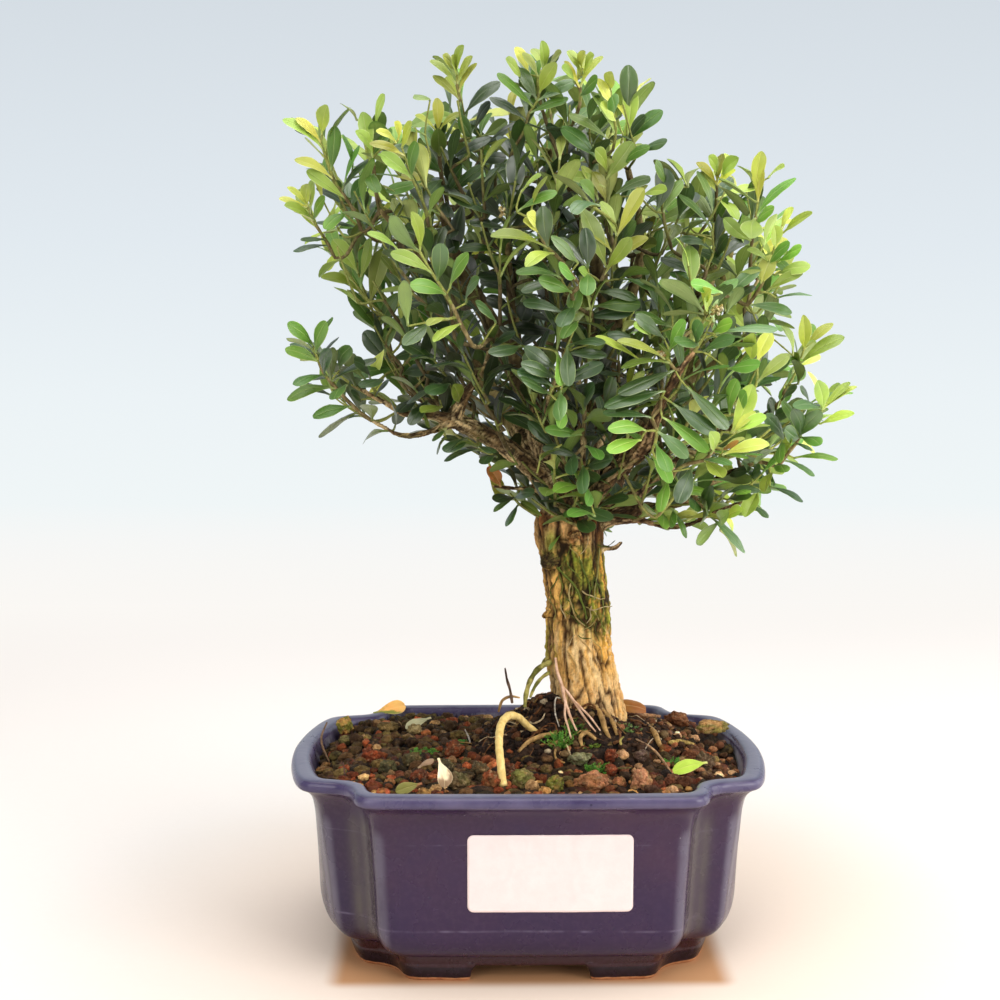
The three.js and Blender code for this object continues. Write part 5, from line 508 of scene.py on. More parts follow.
560,370,4374,15,45,569,377,4415,16,45,577,383,4456,17,45,279,195,3829,-1,80,332,198,3841,19,80,381,200,3851,20,65,417,203,3878,21,65,
407,207,3915,22,65,397,210,3953,23,65,388,213,3990,24,57,380,216,4028,25,57,372,219,4066,26,57,365,221,4104,27,45,358,224,4142,28,45,
351,226,4181,29,45,361,152,3834,20,80,376,102,3819,31,80,386,53,3811,32,80,401,10,3821,33,80,413,6,3860,34,80,424,1,3899,35,57,435,-3,3939,36,52,
444,-7,3979,37,52,454,-11,4018,38,52,462,-14,4058,39,45,471,-18,4099,40,45,479,-21,4139,41,45,548,150,4061,0,57,555,100,4070,43,57,561,54,4080,44,57,
564,13,4097,45,57,561,-21,4124,46,57,548,-20,4161,47,52,535,-19,4199,48,36,524,-18,4236,49,36,514,-18,4274,50,36,504,-17,4312,51,36,
494,-16,4350,52,36,393,-32,3878,35,80,367,-69,3883,54,80,342,-105,3886,55,80,322,-138,3902,56,80,319,-153,3941,57,80,317,-168,3980,58,80,
314,-181,4019,59,80,312,-194,4059,60,57,310,-206,4098,61,57,308,-217,4139,62,45,306,-228,4179,63,45,304,-239,4219,64,45,329,-224,4031,60,72,
346,-265,4034,66,68,339,-158,3872,56,45,343,-206,3854,68,45,348,-254,3837,69,45,329,-245,3813,70,36,387,-266,4056,67,65,421,-264,4084,72,65,
426,-284,4115,73,65,430,-304,4147,74,61,430,-320,4181,75,57,424,-330,4217,76,57,416,-338,4253,77,52,408,-344,4289,78,45,404,-346,4327,79,36,
402,-344,4364,80,36,396,-265,4133,74,36,272,-158,3957,58,65,224,-157,3960,83,65,185,-152,3978,84,65,189,-140,4018,85,65,193,-129,4057,86,65,
196,-118,4097,87,57,200,-108,4137,88,57,203,-99,4177,89,45,206,-90,4218,90,45,208,-81,4258,91,36,211,-73,4298,92,36,214,-64,4339,93,36,
559,-75,4125,47,36,558,-124,4118,95,36,558,-171,4107,96,36,557,-218,4094,97,36,557,-265,4084,98,36,372,-245,4022,66,36,415,-255,4008,100,36,
457,-265,3995,101,36,404,-44,3795,34,79,402,-91,3758,103,79,398,-135,3728,104,79,395,-185,3719,105,57,393,-207,3752,106,57,391,-229,3784,107,57,
389,-248,3819,108,57,388,-259,3857,109,52,387,-265,3896,110,52,387,-266,3935,111,45,387,-265,3975,112,36,408,-156,3673,105,68,420,-168,3620,114,68,
437,-195,3584,115,68,431,-188,3623,116,68,425,-181,3662,117,68,419,-175,3700,118,61,414,-169,3739,119,61,409,-163,3778,120,57,404,-158,3818,121,57,
399,-152,3857,122,45,395,-147,3896,123,45,390,-142,3935,124,45,
    ], "leaves": [
408,-344,4289,322,-421,4402,72,69,-70,5,0,5,1,402,-344,4364,396,-477,4425,72,-70,-33,-62,0,8,1,416,-338,4253,394,-563,4295,80,67,-19,-70,2,6,1,
430,-304,4147,297,-368,4345,84,63,-74,21,1,9,1,424,-330,4217,333,-540,4261,80,91,-37,13,1,5,1,526,116,4337,524,55,4567,105,-9,-95,-25,4,5,1,
531,152,4223,538,86,4470,90,-10,-95,-25,1,5,1,531,152,4223,652,73,4494,108,-61,63,46,5,10,1,531,164,4185,709,99,4344,84,-43,-87,17,2,10,1,
531,164,4185,598,-3,4301,80,-92,-37,1,3,5,1,387,-266,3935,516,-324,4114,101,-14,-96,-21,1,6,1,387,-265,3975,325,-473,4053,80,90,-35,-23,1,5,1,
457,-265,3995,585,-420,4080,80,-79,-44,40,2,8,1,557,-265,4084,658,-463,4103,80,-75,-33,55,4,3,1,346,-265,4034,161,-326,4191,86,39,-90,10,2,3,1,
396,-265,4133,201,-323,4256,81,52,-67,51,6,6,1,348,-254,3837,268,-300,3999,72,64,-75,10,0,5,1,387,-265,3896,188,-316,3943,72,27,-87,38,1,9,1,
389,-248,3819,319,-290,3971,72,48,-86,-3,0,8,1,329,-245,3813,249,-445,3902,80,92,-38,-3,1,7,1,530,348,4252,381,327,4480,87,78,22,57,1,4,0,
551,363,4333,514,532,4492,74,20,-60,76,0,5,0,577,383,4456,685,435,4576,57,-65,-26,70,0,4,0,577,383,4456,570,395,4614,51,83,-53,8,0,8,0,
425,-181,3662,377,28,3791,81,1,-53,83,1,8,1,425,-181,3662,434,-341,3861,85,-28,74,59,1,7,1,414,-169,3739,192,-118,3860,87,49,8,86,1,6,0,
404,-158,3818,383,45,4034,90,7,-70,70,0,4,0,404,-158,3818,375,-351,4040,98,4,72,68,0,10,1,390,-142,3935,413,-113,4129,66,-76,-60,18,0,7,0,
390,-142,3935,318,-125,4094,61,90,-7,41,0,9,0,317,-168,3980,241,-69,4241,109,36,-84,39,3,10,1,317,-168,3980,382,-384,4122,95,-22,51,82,3,9,1,
310,-206,4098,470,-205,4273,89,-76,0,63,3,8,0,310,-206,4098,81,-319,4191,92,33,20,91,3,11,1,304,-239,4219,256,-210,4434,76,71,-65,25,2,7,1,
304,-239,4219,334,-381,4336,62,-20,60,77,3,4,1,548,-20,4161,447,177,4202,71,8,-12,98,2,11,0,193,-129,4057,289,26,4195,75,-15,-61,77,3,9,0,
193,-129,4057,103,-238,4226,82,50,59,62,3,8,1,200,-108,4137,367,-218,4281,77,-40,44,79,2,11,1,200,-108,4137,71,47,4238,79,25,-38,88,2,10,0,
206,-90,4218,349,130,4373,93,-2,-53,84,2,3,1,206,-90,4218,99,-218,4439,93,49,59,63,2,3,1,424,1,3899,350,190,4086,98,7,-71,69,2,5,0,
454,-11,4018,307,-91,4205,93,65,42,62,1,7,1,397,210,3953,271,400,4118,101,8,-64,75,3,10,0,397,210,3953,465,25,4109,82,-22,61,75,3,9,0,
372,219,4066,507,327,4241,84,-77,-14,61,6,8,0,372,219,4066,195,132,4149,74,40,18,89,3,11,0,351,226,4181,281,298,4321,61,51,-62,57,6,10,0,
351,226,4181,365,148,4376,74,-34,85,37,2,6,0,522,190,4115,612,261,4268,80,-7,-26,95,0,5,0,520,265,4171,566,265,4326,81,-78,-59,-17,1,1,0,
    ]},
    "upper_right_inner": {"twigs": [
628,349,3623,-1,115,634,317,3647,0,61,642,285,3669,1,61,651,254,3690,2,61,660,222,3711,3,61,667,190,3733,4,36,674,158,3754,5,36,680,126,3776,6,36,
703,217,3735,4,45,746,225,3751,8,45,784,241,3771,9,45,798,270,3792,10,45,812,298,3815,11,36,825,325,3840,12,36,837,349,3867,13,36,849,373,3895,14,36,
861,396,3924,15,36,649,389,3649,0,115,668,427,3673,17,61,687,462,3696,18,61,705,495,3724,19,61,721,517,3758,20,61,736,537,3792,21,52,
749,557,3828,22,52,762,574,3865,23,45,774,591,3903,24,45,786,607,3941,25,45,630,446,3638,17,115,603,494,3619,27,115,574,536,3622,28,100,
563,538,3662,29,100,552,540,3701,30,93,542,541,3741,31,90,533,543,3780,32,82,524,545,3820,33,77,516,546,3860,34,77,508,547,3901,35,72,
500,549,3941,36,72,492,550,3981,37,45,542,526,3652,30,57,554,521,3691,39,57,565,516,3729,40,45,575,512,3768,41,45,584,509,3808,42,45,
593,505,3847,43,45,602,502,3886,44,45,362,267,3613,-1,88,407,235,3613,46,88,448,205,3611,47,88,487,178,3621,48,88,508,164,3649,49,88,
528,150,3677,50,61,547,137,3707,51,52,564,126,3738,52,52,581,114,3769,53,36,597,104,3801,54,36,613,93,3834,55,36,598,530,3576,28,82,
599,559,3532,57,82,606,597,3511,58,65,618,615,3546,59,65,628,632,3582,60,65,639,648,3618,61,57,648,664,3655,62,57,657,678,3693,63,57,
666,691,3730,64,45,674,705,3768,65,45,682,717,3806,66,45,470,584,3946,37,65,443,621,3937,68,65,425,656,3943,69,65,436,669,3979,70,65,
447,681,4016,71,57,456,692,4052,72,57,466,703,4090,73,57,474,713,4127,74,45,482,722,4165,75,45,490,731,4203,76,45,864,-245,3383,-1,77,
886,-226,3436,78,77,906,-209,3485,79,77,925,-192,3532,80,52,945,-175,3579,81,52,942,-183,3639,82,45,935,-197,3693,83,36,897,-196,3660,83,36,
851,-208,3668,85,36,804,-220,3676,86,36,868,-193,3521,80,68,821,-180,3545,88,68,775,-172,3565,89,68,734,-175,3594,90,68,721,-198,3626,91,68,
707,-222,3658,92,68,694,-245,3692,93,68,683,-259,3729,94,68,677,-259,3771,95,68,671,-255,3812,96,52,641,-259,3777,96,52,677,-254,3864,97,52,
686,-255,3912,99,52,597,-257,3811,98,45,560,-255,3847,101,45,735,-255,3913,100,45,782,-255,3902,103,45,802,-255,3902,104,36,551,136,3644,50,77,
592,111,3626,106,77,630,87,3604,107,77,668,65,3590,108,77,706,43,3593,109,77,724,35,3627,110,77,741,28,3662,111,77,757,20,3698,112,72,
772,14,3733,113,52,787,8,3770,114,52,800,2,3806,115,36,813,-4,3843,116,36,826,-10,3880,117,36,807,23,3700,113,61,854,28,3690,119,61,
898,31,3692,120,61,924,27,3726,121,61,948,23,3761,122,52,971,20,3797,123,52,991,17,3835,124,36,1011,14,3872,125,36,1030,11,3910,126,36,
558,596,3521,58,65,512,627,3517,128,65,467,654,3522,129,65,428,683,3535,130,65,400,715,3558,131,65,409,733,3591,132,65,419,751,3624,133,65,
427,767,3657,134,57,436,783,3691,135,57,444,798,3726,136,57,451,812,3761,137,45,458,825,3797,138,45,465,838,3832,139,45,498,569,3754,32,57,
453,597,3752,141,57,409,625,3744,142,57,371,654,3744,143,57,342,683,3763,144,57,352,691,3798,145,57,361,698,3834,146,45,369,705,3870,147,45,
376,712,3906,148,45,383,718,3942,149,45,390,723,3979,150,45,512,-255,3854,102,36,468,-255,3853,152,36,424,-255,3852,153,36,862,-103,3331,-1,72,
801,-105,3343,155,72,741,-106,3349,156,72,685,-107,3356,157,72,637,-111,3373,158,72,601,-121,3406,159,72,619,-131,3442,160,57,636,-141,3477,161,57,
652,-150,3514,162,57,667,-159,3551,163,57,682,-168,3588,164,57,695,-176,3626,165,45,708,-183,3664,166,45,721,-191,3702,167,45,561,-106,3436,160,57,
523,-85,3460,169,57,489,-65,3486,170,57,463,-54,3520,171,57,463,-63,3556,172,57,464,-72,3593,173,45,464,-79,3629,174,45,465,-86,3666,175,45,
465,-93,3703,176,45,465,-99,3739,177,45,
    ], "leaves": [
667,190,3733,902,123,3823,91,-38,-82,41,1,8,1,660,222,3711,628,86,3767,72,93,-26,-20,0,8,0,660,222,3711,674,77,3782,72,-99,-10,1,0,8,1,
628,349,3623,693,130,3640,80,-80,-21,54,1,9,1,628,349,3623,548,130,3687,80,85,-39,-32,1,4,0,782,-255,3902,628,-306,4038,72,49,46,73,6,7,1,
686,-255,3912,620,-461,3997,80,93,-33,-8,2,4,1,641,-259,3777,678,-315,3988,111,-13,-95,-23,3,6,1,677,-259,3771,764,-306,3930,72,-50,-85,3,6,9,1,
802,-255,3902,832,-459,3983,80,-46,27,84,6,9,1,804,-220,3676,853,-432,3729,80,-9,22,96,5,8,1,424,-255,3852,609,-308,3940,74,-41,-82,37,6,3,1,
560,-255,3847,662,-455,3863,80,-63,-27,71,1,6,1,935,-197,3693,766,-258,3877,86,71,-50,48,2,4,1,945,-175,3579,763,-338,3640,80,62,-45,63,4,10,1,
419,751,3624,562,970,3720,100,-4,-40,90,3,9,0,419,751,3624,373,701,3836,76,57,76,26,3,4,0,444,798,3726,563,758,3912,74,-66,54,50,3,6,0,
444,798,3726,381,964,3844,71,30,-50,80,3,11,0,465,838,3832,553,933,3988,69,-61,-46,62,3,5,0,465,838,3832,432,869,4042,78,98,6,15,3,4,0,
436,669,3979,477,947,4080,102,13,-30,93,2,8,0,436,669,3979,483,545,4170,74,-6,78,60,2,4,0,466,703,4090,672,714,4254,86,-61,21,75,1,8,0,
466,703,4090,357,794,4311,84,69,-46,53,1,9,0,490,731,4203,548,841,4329,65,-7,-73,67,1,9,0,490,731,4203,516,729,4403,70,-58,80,8,1,4,1,
628,632,3582,579,832,3658,83,17,-35,91,1,8,0,628,632,3582,728,547,3756,74,-22,84,48,1,7,1,657,678,3693,830,760,3800,73,-55,-5,82,0,8,0,
657,678,3693,525,702,3924,103,87,17,44,0,3,0,682,717,3806,683,867,3909,62,16,-55,81,0,3,0,682,717,3806,739,741,3979,59,-92,22,28,0,7,0,
798,270,3792,1020,340,3840,73,-27,36,88,3,6,0,798,270,3792,634,409,3959,90,62,-13,76,3,5,0,352,691,3798,242,621,3997,82,81,16,54,3,4,0,
352,691,3798,530,822,3979,92,-50,-36,78,3,4,0,390,723,3979,393,870,4150,73,32,-71,61,2,7,0,390,723,3979,445,701,4175,74,-51,81,24,2,7,0,
554,521,3691,754,572,3847,92,-58,-6,80,1,4,0,554,521,3691,404,406,3929,98,61,45,63,1,4,0,602,502,3886,669,411,3994,55,-48,49,71,0,5,0,
602,502,3886,613,543,4046,51,41,-88,20,0,11,0,721,517,3758,948,484,3905,92,-48,23,84,2,8,0,721,517,3758,624,705,3935,95,70,-22,66,2,10,0,
749,557,3828,916,794,3807,88,3,14,98,1,3,0,786,607,3941,900,637,4067,54,-73,36,57,1,4,0,786,607,3941,802,725,4104,70,5,-80,57,1,4,0,
552,540,3701,412,757,3833,103,18,-43,87,2,8,0,552,540,3701,614,343,3859,83,-17,59,78,2,8,0,533,543,3780,667,552,4040,104,-88,7,45,2,6,0,
533,543,3780,283,546,3803,91,9,0,99,2,7,0,516,546,3860,446,767,4027,99,8,-54,82,1,9,0,516,546,3860,508,324,4019,89,8,53,83,1,8,1,
492,550,3981,509,581,4172,62,-69,-69,17,1,10,0,492,550,3981,404,538,4160,71,82,34,43,1,11,0,528,150,3677,422,12,3895,90,51,61,59,3,9,0,
564,126,3738,547,210,3997,86,42,-84,31,2,3,0,613,93,3834,763,109,3927,62,-37,-59,70,2,11,0,971,20,3797,903,113,4033,90,69,-53,47,6,4,1,
463,-63,3556,322,47,3735,84,49,-47,72,3,3,0,463,-63,3556,611,-254,3744,102,-29,52,79,3,6,1,465,-99,3739,503,-98,3923,64,-86,-45,18,2,4,0,
465,-99,3739,421,-173,3906,68,63,62,44,2,7,0,682,-168,3588,782,2,3753,85,-10,-69,70,1,4,1,741,28,3662,630,60,3891,83,87,-21,41,3,6,0,
741,28,3662,974,-56,3746,88,-36,2,92,3,11,0,787,8,3770,898,203,3948,105,-12,-66,73,3,5,0,787,8,3770,812,-195,3930,94,-1,64,75,3,4,1,
679,705,3772,879,708,3956,114,-5,-85,51,2,-1,1,487,550,3978,314,533,3899,92,43,-58,67,5,1,0,807,22,3694,816,2,3534,76,35,-73,57,0,-2,1,
880,-224,3437,726,-154,3481,73,2,-65,75,2,0,1,467,839,3826,523,855,3676,67,40,-31,85,2,6,0,599,507,3848,763,565,3862,77,-17,-96,15,1,3,1,
798,-254,3907,695,-227,4044,77,41,-35,83,1,6,1,
    ]},
    "right_crown": {"twigs": [
1051,391,3662,-1,82,1046,383,3667,0,77,1042,361,3701,1,77,1038,339,3734,2,77,1035,317,3767,3,77,1030,296,3801,4,72,1026,273,3834,5,72,
1023,251,3867,6,72,1020,229,3901,7,72,1018,206,3934,8,68,1016,184,3967,9,65,1043,184,3993,10,45,1010,184,4019,11,36,1098,393,3680,0,45,
1146,394,3694,13,45,1189,396,3708,14,45,1227,398,3728,15,45,1256,403,3758,16,45,1247,411,3798,17,45,1240,419,3837,18,36,1232,425,3877,19,36,
1226,431,3917,20,36,1220,437,3957,21,36,1213,443,3997,22,36,891,162,3264,-1,57,883,178,3313,24,57,875,193,3357,25,57,870,206,3400,26,57,
875,215,3443,27,57,902,212,3474,28,57,927,209,3505,29,45,950,206,3539,30,45,972,203,3573,31,45,993,201,3608,32,45,1013,199,3643,33,45,
864,-80,3324,-1,77,917,-77,3340,35,77,970,-72,3351,36,77,1020,-67,3361,37,77,1067,-64,3374,38,77,1109,-64,3393,39,72,1145,-70,3423,40,72,
1146,-84,3459,41,72,1146,-98,3495,42,72,1147,-112,3532,43,72,1147,-126,3568,44,72,1146,-139,3605,45,72,1148,-149,3642,46,72,1152,-153,3681,47,68,
1158,-152,3719,48,68,1164,-150,3758,49,65,1170,-150,3796,50,57,1176,-150,3835,51,57,1175,-150,3875,52,52,1160,-150,3915,53,45,1143,-150,3951,54,36,
1191,-150,3942,54,36,1225,-150,3961,56,36,1107,-29,3357,39,45,1137,10,3332,58,45,1162,50,3306,59,45,1190,84,3288,60,45,1228,110,3285,61,45,
1256,100,3316,62,45,1283,91,3349,63,36,1307,82,3383,64,36,1329,74,3419,65,36,1350,67,3455,66,36,
    ], "leaves": [
1016,184,3967,900,123,4074,72,64,-69,31,0,4,1,1018,206,3934,930,145,4040,72,67,-73,6,0,5,1,1010,184,4019,944,-34,4083,80,88,-35,-28,1,6,1,
1016,184,3967,1034,143,4124,72,-83,-53,-5,0,3,1,1043,184,3993,1089,-9,4081,80,-96,-25,-6,1,9,1,1016,184,3967,1092,69,4030,72,-85,-38,33,0,7,1,
1016,184,3967,1185,125,3803,82,69,47,54,6,4,1,1020,229,3901,1108,49,3779,80,10,-45,88,1,6,1,1035,317,3767,928,270,3924,72,53,-83,11,6,4,1,
1035,317,3767,1063,136,3893,80,-92,-30,-23,2,7,1,1175,-150,3875,1182,-204,4084,82,-18,-94,-24,1,5,1,
1176,-150,3835,1185,-199,4005,72,-75,-63,-12,0,3,1,1143,-150,3951,1058,-286,4012,72,57,0,81,6,4,1,1225,-150,3961,1284,-287,3993,72,-70,-14,69,1,7,1,
1164,-150,3758,1354,-220,3957,98,-70,-41,56,2,7,1,1164,-150,3758,1110,-363,3629,103,4,-52,84,1,5,1,1148,-149,3642,996,-194,3754,77,6,-95,-29,1,8,1,
1158,-152,3719,1220,-347,3788,80,-93,-21,25,2,5,1,1247,411,3798,1212,623,3946,93,-6,-55,82,2,4,0,1247,411,3798,1227,215,4014,95,2,71,69,3,8,1,
1256,100,3316,1236,37,3587,100,87,44,18,2,7,1,1350,67,3455,1413,123,3620,63,-28,-86,40,1,6,0,902,212,3474,880,132,3705,83,68,65,32,3,3,0,
902,212,3474,1176,285,3531,94,-19,6,97,3,3,0,1013,199,3643,1082,225,3855,71,-30,-92,21,3,7,1,1013,199,3643,1179,117,3720,67,-32,21,91,3,4,0,
1171,-150,3838,977,-155,3963,107,17,-25,94,1,-2,0,1026,230,3902,1255,284,3971,114,-26,-42,86,1,3,1,1261,101,3312,1376,129,3196,71,49,-62,59,2,2,0,
1044,187,3998,1079,257,4140,76,36,-29,88,1,4,0,
    ]},
    "right_shoulder": {"twigs": [
862,-124,3338,-1,82,869,-120,3384,0,65,876,-116,3425,1,65,883,-112,3466,2,65,931,-124,3483,3,61,976,-138,3498,4,57,991,-149,3535,5,57,
1004,-158,3572,6,45,1017,-166,3609,7,45,1028,-174,3647,8,45,1039,-181,3686,9,45,962,-85,3515,4,36,981,-40,3543,11,36,919,-141,3346,0,82,
972,-157,3354,13,82,1025,-172,3361,14,82,1038,-117,3369,15,82,1064,-113,3398,16,72,1089,-109,3427,17,72,1113,-106,3457,18,61,1135,-102,3488,19,61,
1157,-99,3520,20,61,1177,-96,3552,21,45,1197,-93,3585,22,45,1216,-89,3619,23,45,1089,-91,3458,18,36,1088,-105,3337,16,82,1139,-112,3318,26,82,
1160,-130,3349,27,77,1178,-147,3381,28,77,1195,-166,3413,29,68,1210,-182,3447,30,65,1223,-189,3485,31,65,1236,-191,3524,32,65,1247,-193,3563,33,52,
1255,-193,3603,34,52,1263,-192,3644,35,45,1222,-160,3382,29,52,1275,-192,3533,33,36,1167,-113,3274,27,45,1187,-112,3230,39,45,1258,-132,3369,37,45,
1286,-100,3355,41,45,1285,-79,3376,42,36,1202,-98,3512,21,36,1240,-99,3492,44,36,1279,-100,3473,45,36,1298,-192,3679,36,45,1288,-192,3704,47,36,
886,122,3274,-1,68,910,93,3230,49,68,931,68,3184,50,68,954,41,3148,51,68,984,9,3134,52,68,997,-3,3171,53,68,1010,-14,3207,54,68,1022,-25,3244,55,61,
1034,-35,3281,56,61,1044,-44,3319,57,52,1055,-54,3357,58,52,1065,-62,3395,59,36,1074,-71,3433,60,36,1084,-79,3471,61,36,1228,-102,3188,40,36,
1268,-90,3152,63,36,1309,-77,3120,64,36,1349,-65,3089,65,36,1390,-52,3056,66,36,
    ], "leaves": [
1288,-192,3704,1317,-316,3791,72,-96,-22,1,0,4,1,1298,-192,3679,1416,-346,3764,80,-81,-40,39,1,5,1,1255,-193,3603,1208,-394,3699,80,51,-49,-69,1,6,1,
1236,-191,3524,1284,-390,3616,80,-97,-19,8,2,9,1,1236,-191,3524,1103,-291,3585,72,68,-49,53,1,4,1,1275,-192,3533,1350,-386,3592,80,-85,-18,47,2,4,1,
1195,-166,3413,1241,-209,3567,87,-22,-95,-19,0,7,1,1222,-160,3382,1395,-212,3476,72,-48,-72,48,1,10,1,
1279,-100,3473,1427,-250,3508,80,-67,-55,47,6,9,1,1025,-172,3361,1177,-226,3500,77,-23,-96,-12,4,8,1,1089,-91,3458,871,-153,3596,87,49,-73,45,2,3,1,
883,-112,3466,674,-167,3554,77,41,-73,53,4,9,1,981,-40,3543,1007,-226,3666,80,-95,-22,-14,3,8,1,1285,-79,3376,1362,-203,3420,72,-15,25,95,6,4,1,
1286,-100,3355,1463,-146,3373,72,-18,-30,93,4,6,1,1139,-112,3318,1356,-169,3280,80,-10,-79,59,4,3,1,1187,-112,3230,1375,-161,3198,72,23,29,92,5,9,1,
1390,-52,3056,1326,-94,3216,72,78,-59,16,1,8,1,1089,-109,3427,1250,87,3474,84,5,-31,94,2,9,0,1089,-109,3427,1113,-236,3621,76,-8,83,53,2,9,1,
1157,-99,3520,1358,-162,3585,85,-21,38,89,1,10,0,1157,-99,3520,1096,25,3736,85,58,-64,49,1,7,0,1216,-89,3619,1321,-32,3757,59,-27,-79,53,1,7,0,
1216,-89,3619,1279,-134,3778,61,-52,74,41,1,8,1,1010,-14,3207,1045,147,3400,81,-17,-74,63,1,9,1,1010,-14,3207,1043,-234,3257,73,8,24,96,1,8,0,
1034,-35,3281,1203,103,3413,81,-23,-50,82,1,4,0,1034,-35,3281,970,-226,3444,81,45,48,74,1,10,1,1055,-54,3357,1059,57,3567,77,16,-84,49,0,8,1,
1055,-54,3357,1166,-288,3497,90,-8,44,88,0,8,0,1084,-79,3471,1187,-94,3648,65,-84,-24,47,0,4,0,991,-149,3535,1147,-27,3674,79,-17,-63,75,3,8,1,
1202,-94,3582,1352,-147,3491,79,-23,-58,77,2,7,1,
    ]},
    "left_long": {"twigs": [
-653,781,2882,-1,81,-658,781,2897,0,81,-679,766,2926,1,81,-701,751,2955,2,81,-722,736,2984,3,81,-743,721,3014,4,81,-760,706,3046,5,81,
-775,691,3079,6,81,-787,675,3113,7,81,-797,660,3147,8,81,-808,645,3182,9,81,-821,629,3216,10,81,-833,614,3249,11,81,-846,598,3283,12,79,
-858,582,3317,13,65,-871,567,3351,14,61,-883,551,3384,15,57,-896,535,3418,16,52,-908,519,3452,17,52,-919,503,3486,18,52,-928,487,3520,19,45,
-755,682,3076,7,81,-766,706,3109,21,79,-776,729,3143,22,79,-785,751,3179,23,74,-794,771,3214,24,74,-803,791,3251,25,72,-811,809,3289,26,72,
-819,827,3326,27,65,-826,845,3364,28,45,-650,735,2870,0,72,-648,691,2858,30,72,-813,556,3274,12,61,-802,504,3299,32,61,-830,500,3326,33,61,
-857,495,3355,34,61,-883,490,3384,35,57,-908,486,3414,36,57,-932,482,3446,37,52,-954,478,3478,38,52,-976,474,3510,39,45,-997,470,3543,40,45,
-1018,467,3577,41,45,-621,656,2885,31,68,-590,628,2915,43,68,-561,608,2949,44,68,-541,594,2986,45,68,-535,586,3029,46,68,-566,601,3050,47,68,
-595,616,3073,48,68,-624,630,3097,49,61,-651,644,3122,50,61,-678,657,3149,51,57,-703,669,3177,52,57,-728,681,3207,53,45,-752,693,3236,54,45,
-776,705,3266,55,45,-796,606,3324,13,61,-757,626,3361,57,61,-781,644,3386,58,61,-804,662,3413,59,61,-826,678,3441,60,52,-847,694,3471,61,52,
-867,709,3501,62,52,-886,723,3532,63,45,-905,737,3564,64,45,-923,751,3596,65,45,-777,844,3360,28,57,-744,860,3392,67,57,-763,877,3425,68,57,
-780,893,3459,69,45,-796,908,3494,70,45,-810,922,3530,71,45,-824,935,3567,72,45,-933,487,3581,20,36,-762,697,2976,4,57,-794,658,2954,75,57,
-824,622,2927,76,57,-857,591,2903,77,57,-899,568,2892,78,57,-935,571,2906,79,57,-970,574,2922,80,57,-1005,578,2939,81,45,-1038,581,2958,82,45,
-1070,584,2979,83,45,-1101,587,3002,84,36,-1132,590,3026,85,36,-1161,592,3050,86,36,-712,800,3729,-1,72,-736,754,3724,88,72,-757,710,3716,89,72,
-777,667,3709,90,72,-798,627,3704,91,72,-822,590,3704,92,72,-850,557,3712,93,72,-882,547,3737,94,65,-912,538,3763,95,65,-942,528,3790,96,57,
-970,519,3818,97,57,-997,511,3848,98,52,-1023,502,3879,99,52,-1048,494,3911,100,45,-1073,487,3943,101,36,-1097,479,3976,102,36,-1031,521,3949,101,45,
-1014,547,3984,104,45,-1033,554,4021,105,45,-1050,560,4059,106,45,-1065,565,4097,107,45,-1079,570,4136,108,45,-1093,575,4175,109,45,
-1106,580,4214,110,45,-900,554,3679,94,45,-942,563,3638,112,45,-983,575,3602,113,45,-1031,578,3588,114,45,-1057,566,3618,115,45,-1082,555,3650,116,36,
-1104,545,3684,117,36,-1124,535,3719,118,36,-1144,526,3754,119,36,-730,637,3096,21,57,-709,591,3118,121,57,-694,547,3141,122,57,-686,506,3168,123,57,
-688,472,3198,124,57,-701,446,3234,125,57,-731,462,3250,126,57,-761,477,3268,127,57,-789,492,3288,128,45,-817,507,3309,129,45,-843,520,3332,130,45,
-868,534,3357,131,36,-893,547,3382,132,36,-917,559,3408,133,36,
    ], "leaves": [
-928,487,3520,-1060,434,3697,100,17,-96,-18,1,6,1,-933,487,3581,-905,432,3795,77,-40,86,28,5,8,1,-919,503,3486,-851,443,3709,81,-60,-79,-2,1,5,1,
-871,567,3351,-789,488,3652,108,-12,-96,-22,1,9,1,-883,551,3384,-1134,484,3503,104,51,-37,77,1,6,1,-808,645,3182,-992,565,3431,108,63,-73,23,2,7,1,
-821,629,3216,-712,574,3415,80,-38,-91,-6,2,8,1,-858,582,3317,-808,403,3159,80,72,-32,59,3,7,1,-743,721,3014,-911,656,3205,103,19,-96,-15,3,5,1,
-722,736,2984,-1005,662,2944,100,8,-73,67,2,10,1,-760,706,3046,-610,523,3090,80,-77,-47,40,2,4,1,-701,751,2955,-572,547,2978,80,-85,-44,26,3,5,1,
-648,691,2858,-743,640,2676,75,15,-96,19,3,7,1,-804,662,3413,-852,889,3440,88,20,-9,97,2,5,0,-804,662,3413,-897,476,3582,87,-13,72,67,2,9,0,
-867,709,3501,-820,749,3759,100,-97,-13,17,1,3,0,-923,751,3596,-1003,881,3727,64,-30,-75,57,1,4,0,-923,751,3596,-1033,760,3733,59,63,60,47,1,8,0,
-912,538,3763,-1173,625,3818,100,6,-41,90,3,6,1,-912,538,3763,-883,383,3959,92,-57,60,55,3,11,1,-970,519,3818,-999,590,4040,85,-2,-94,31,3,7,1,
-1023,502,3879,-1057,312,4013,81,-48,51,70,3,9,0,-776,729,3143,-670,906,3288,86,-34,-48,80,3,7,0,-776,729,3143,-968,702,3328,86,50,64,56,3,6,0,
-794,771,3214,-728,703,3424,86,-53,76,35,3,5,0,-811,809,3289,-687,980,3443,97,-39,-47,78,3,11,0,-811,809,3289,-993,824,3445,81,67,12,72,3,5,0,
-826,845,3364,-830,869,3575,79,37,-91,11,2,10,0,-826,845,3364,-885,971,3493,64,22,-64,72,3,7,0,-843,520,3332,-857,693,3475,80,-55,-57,60,3,3,0,
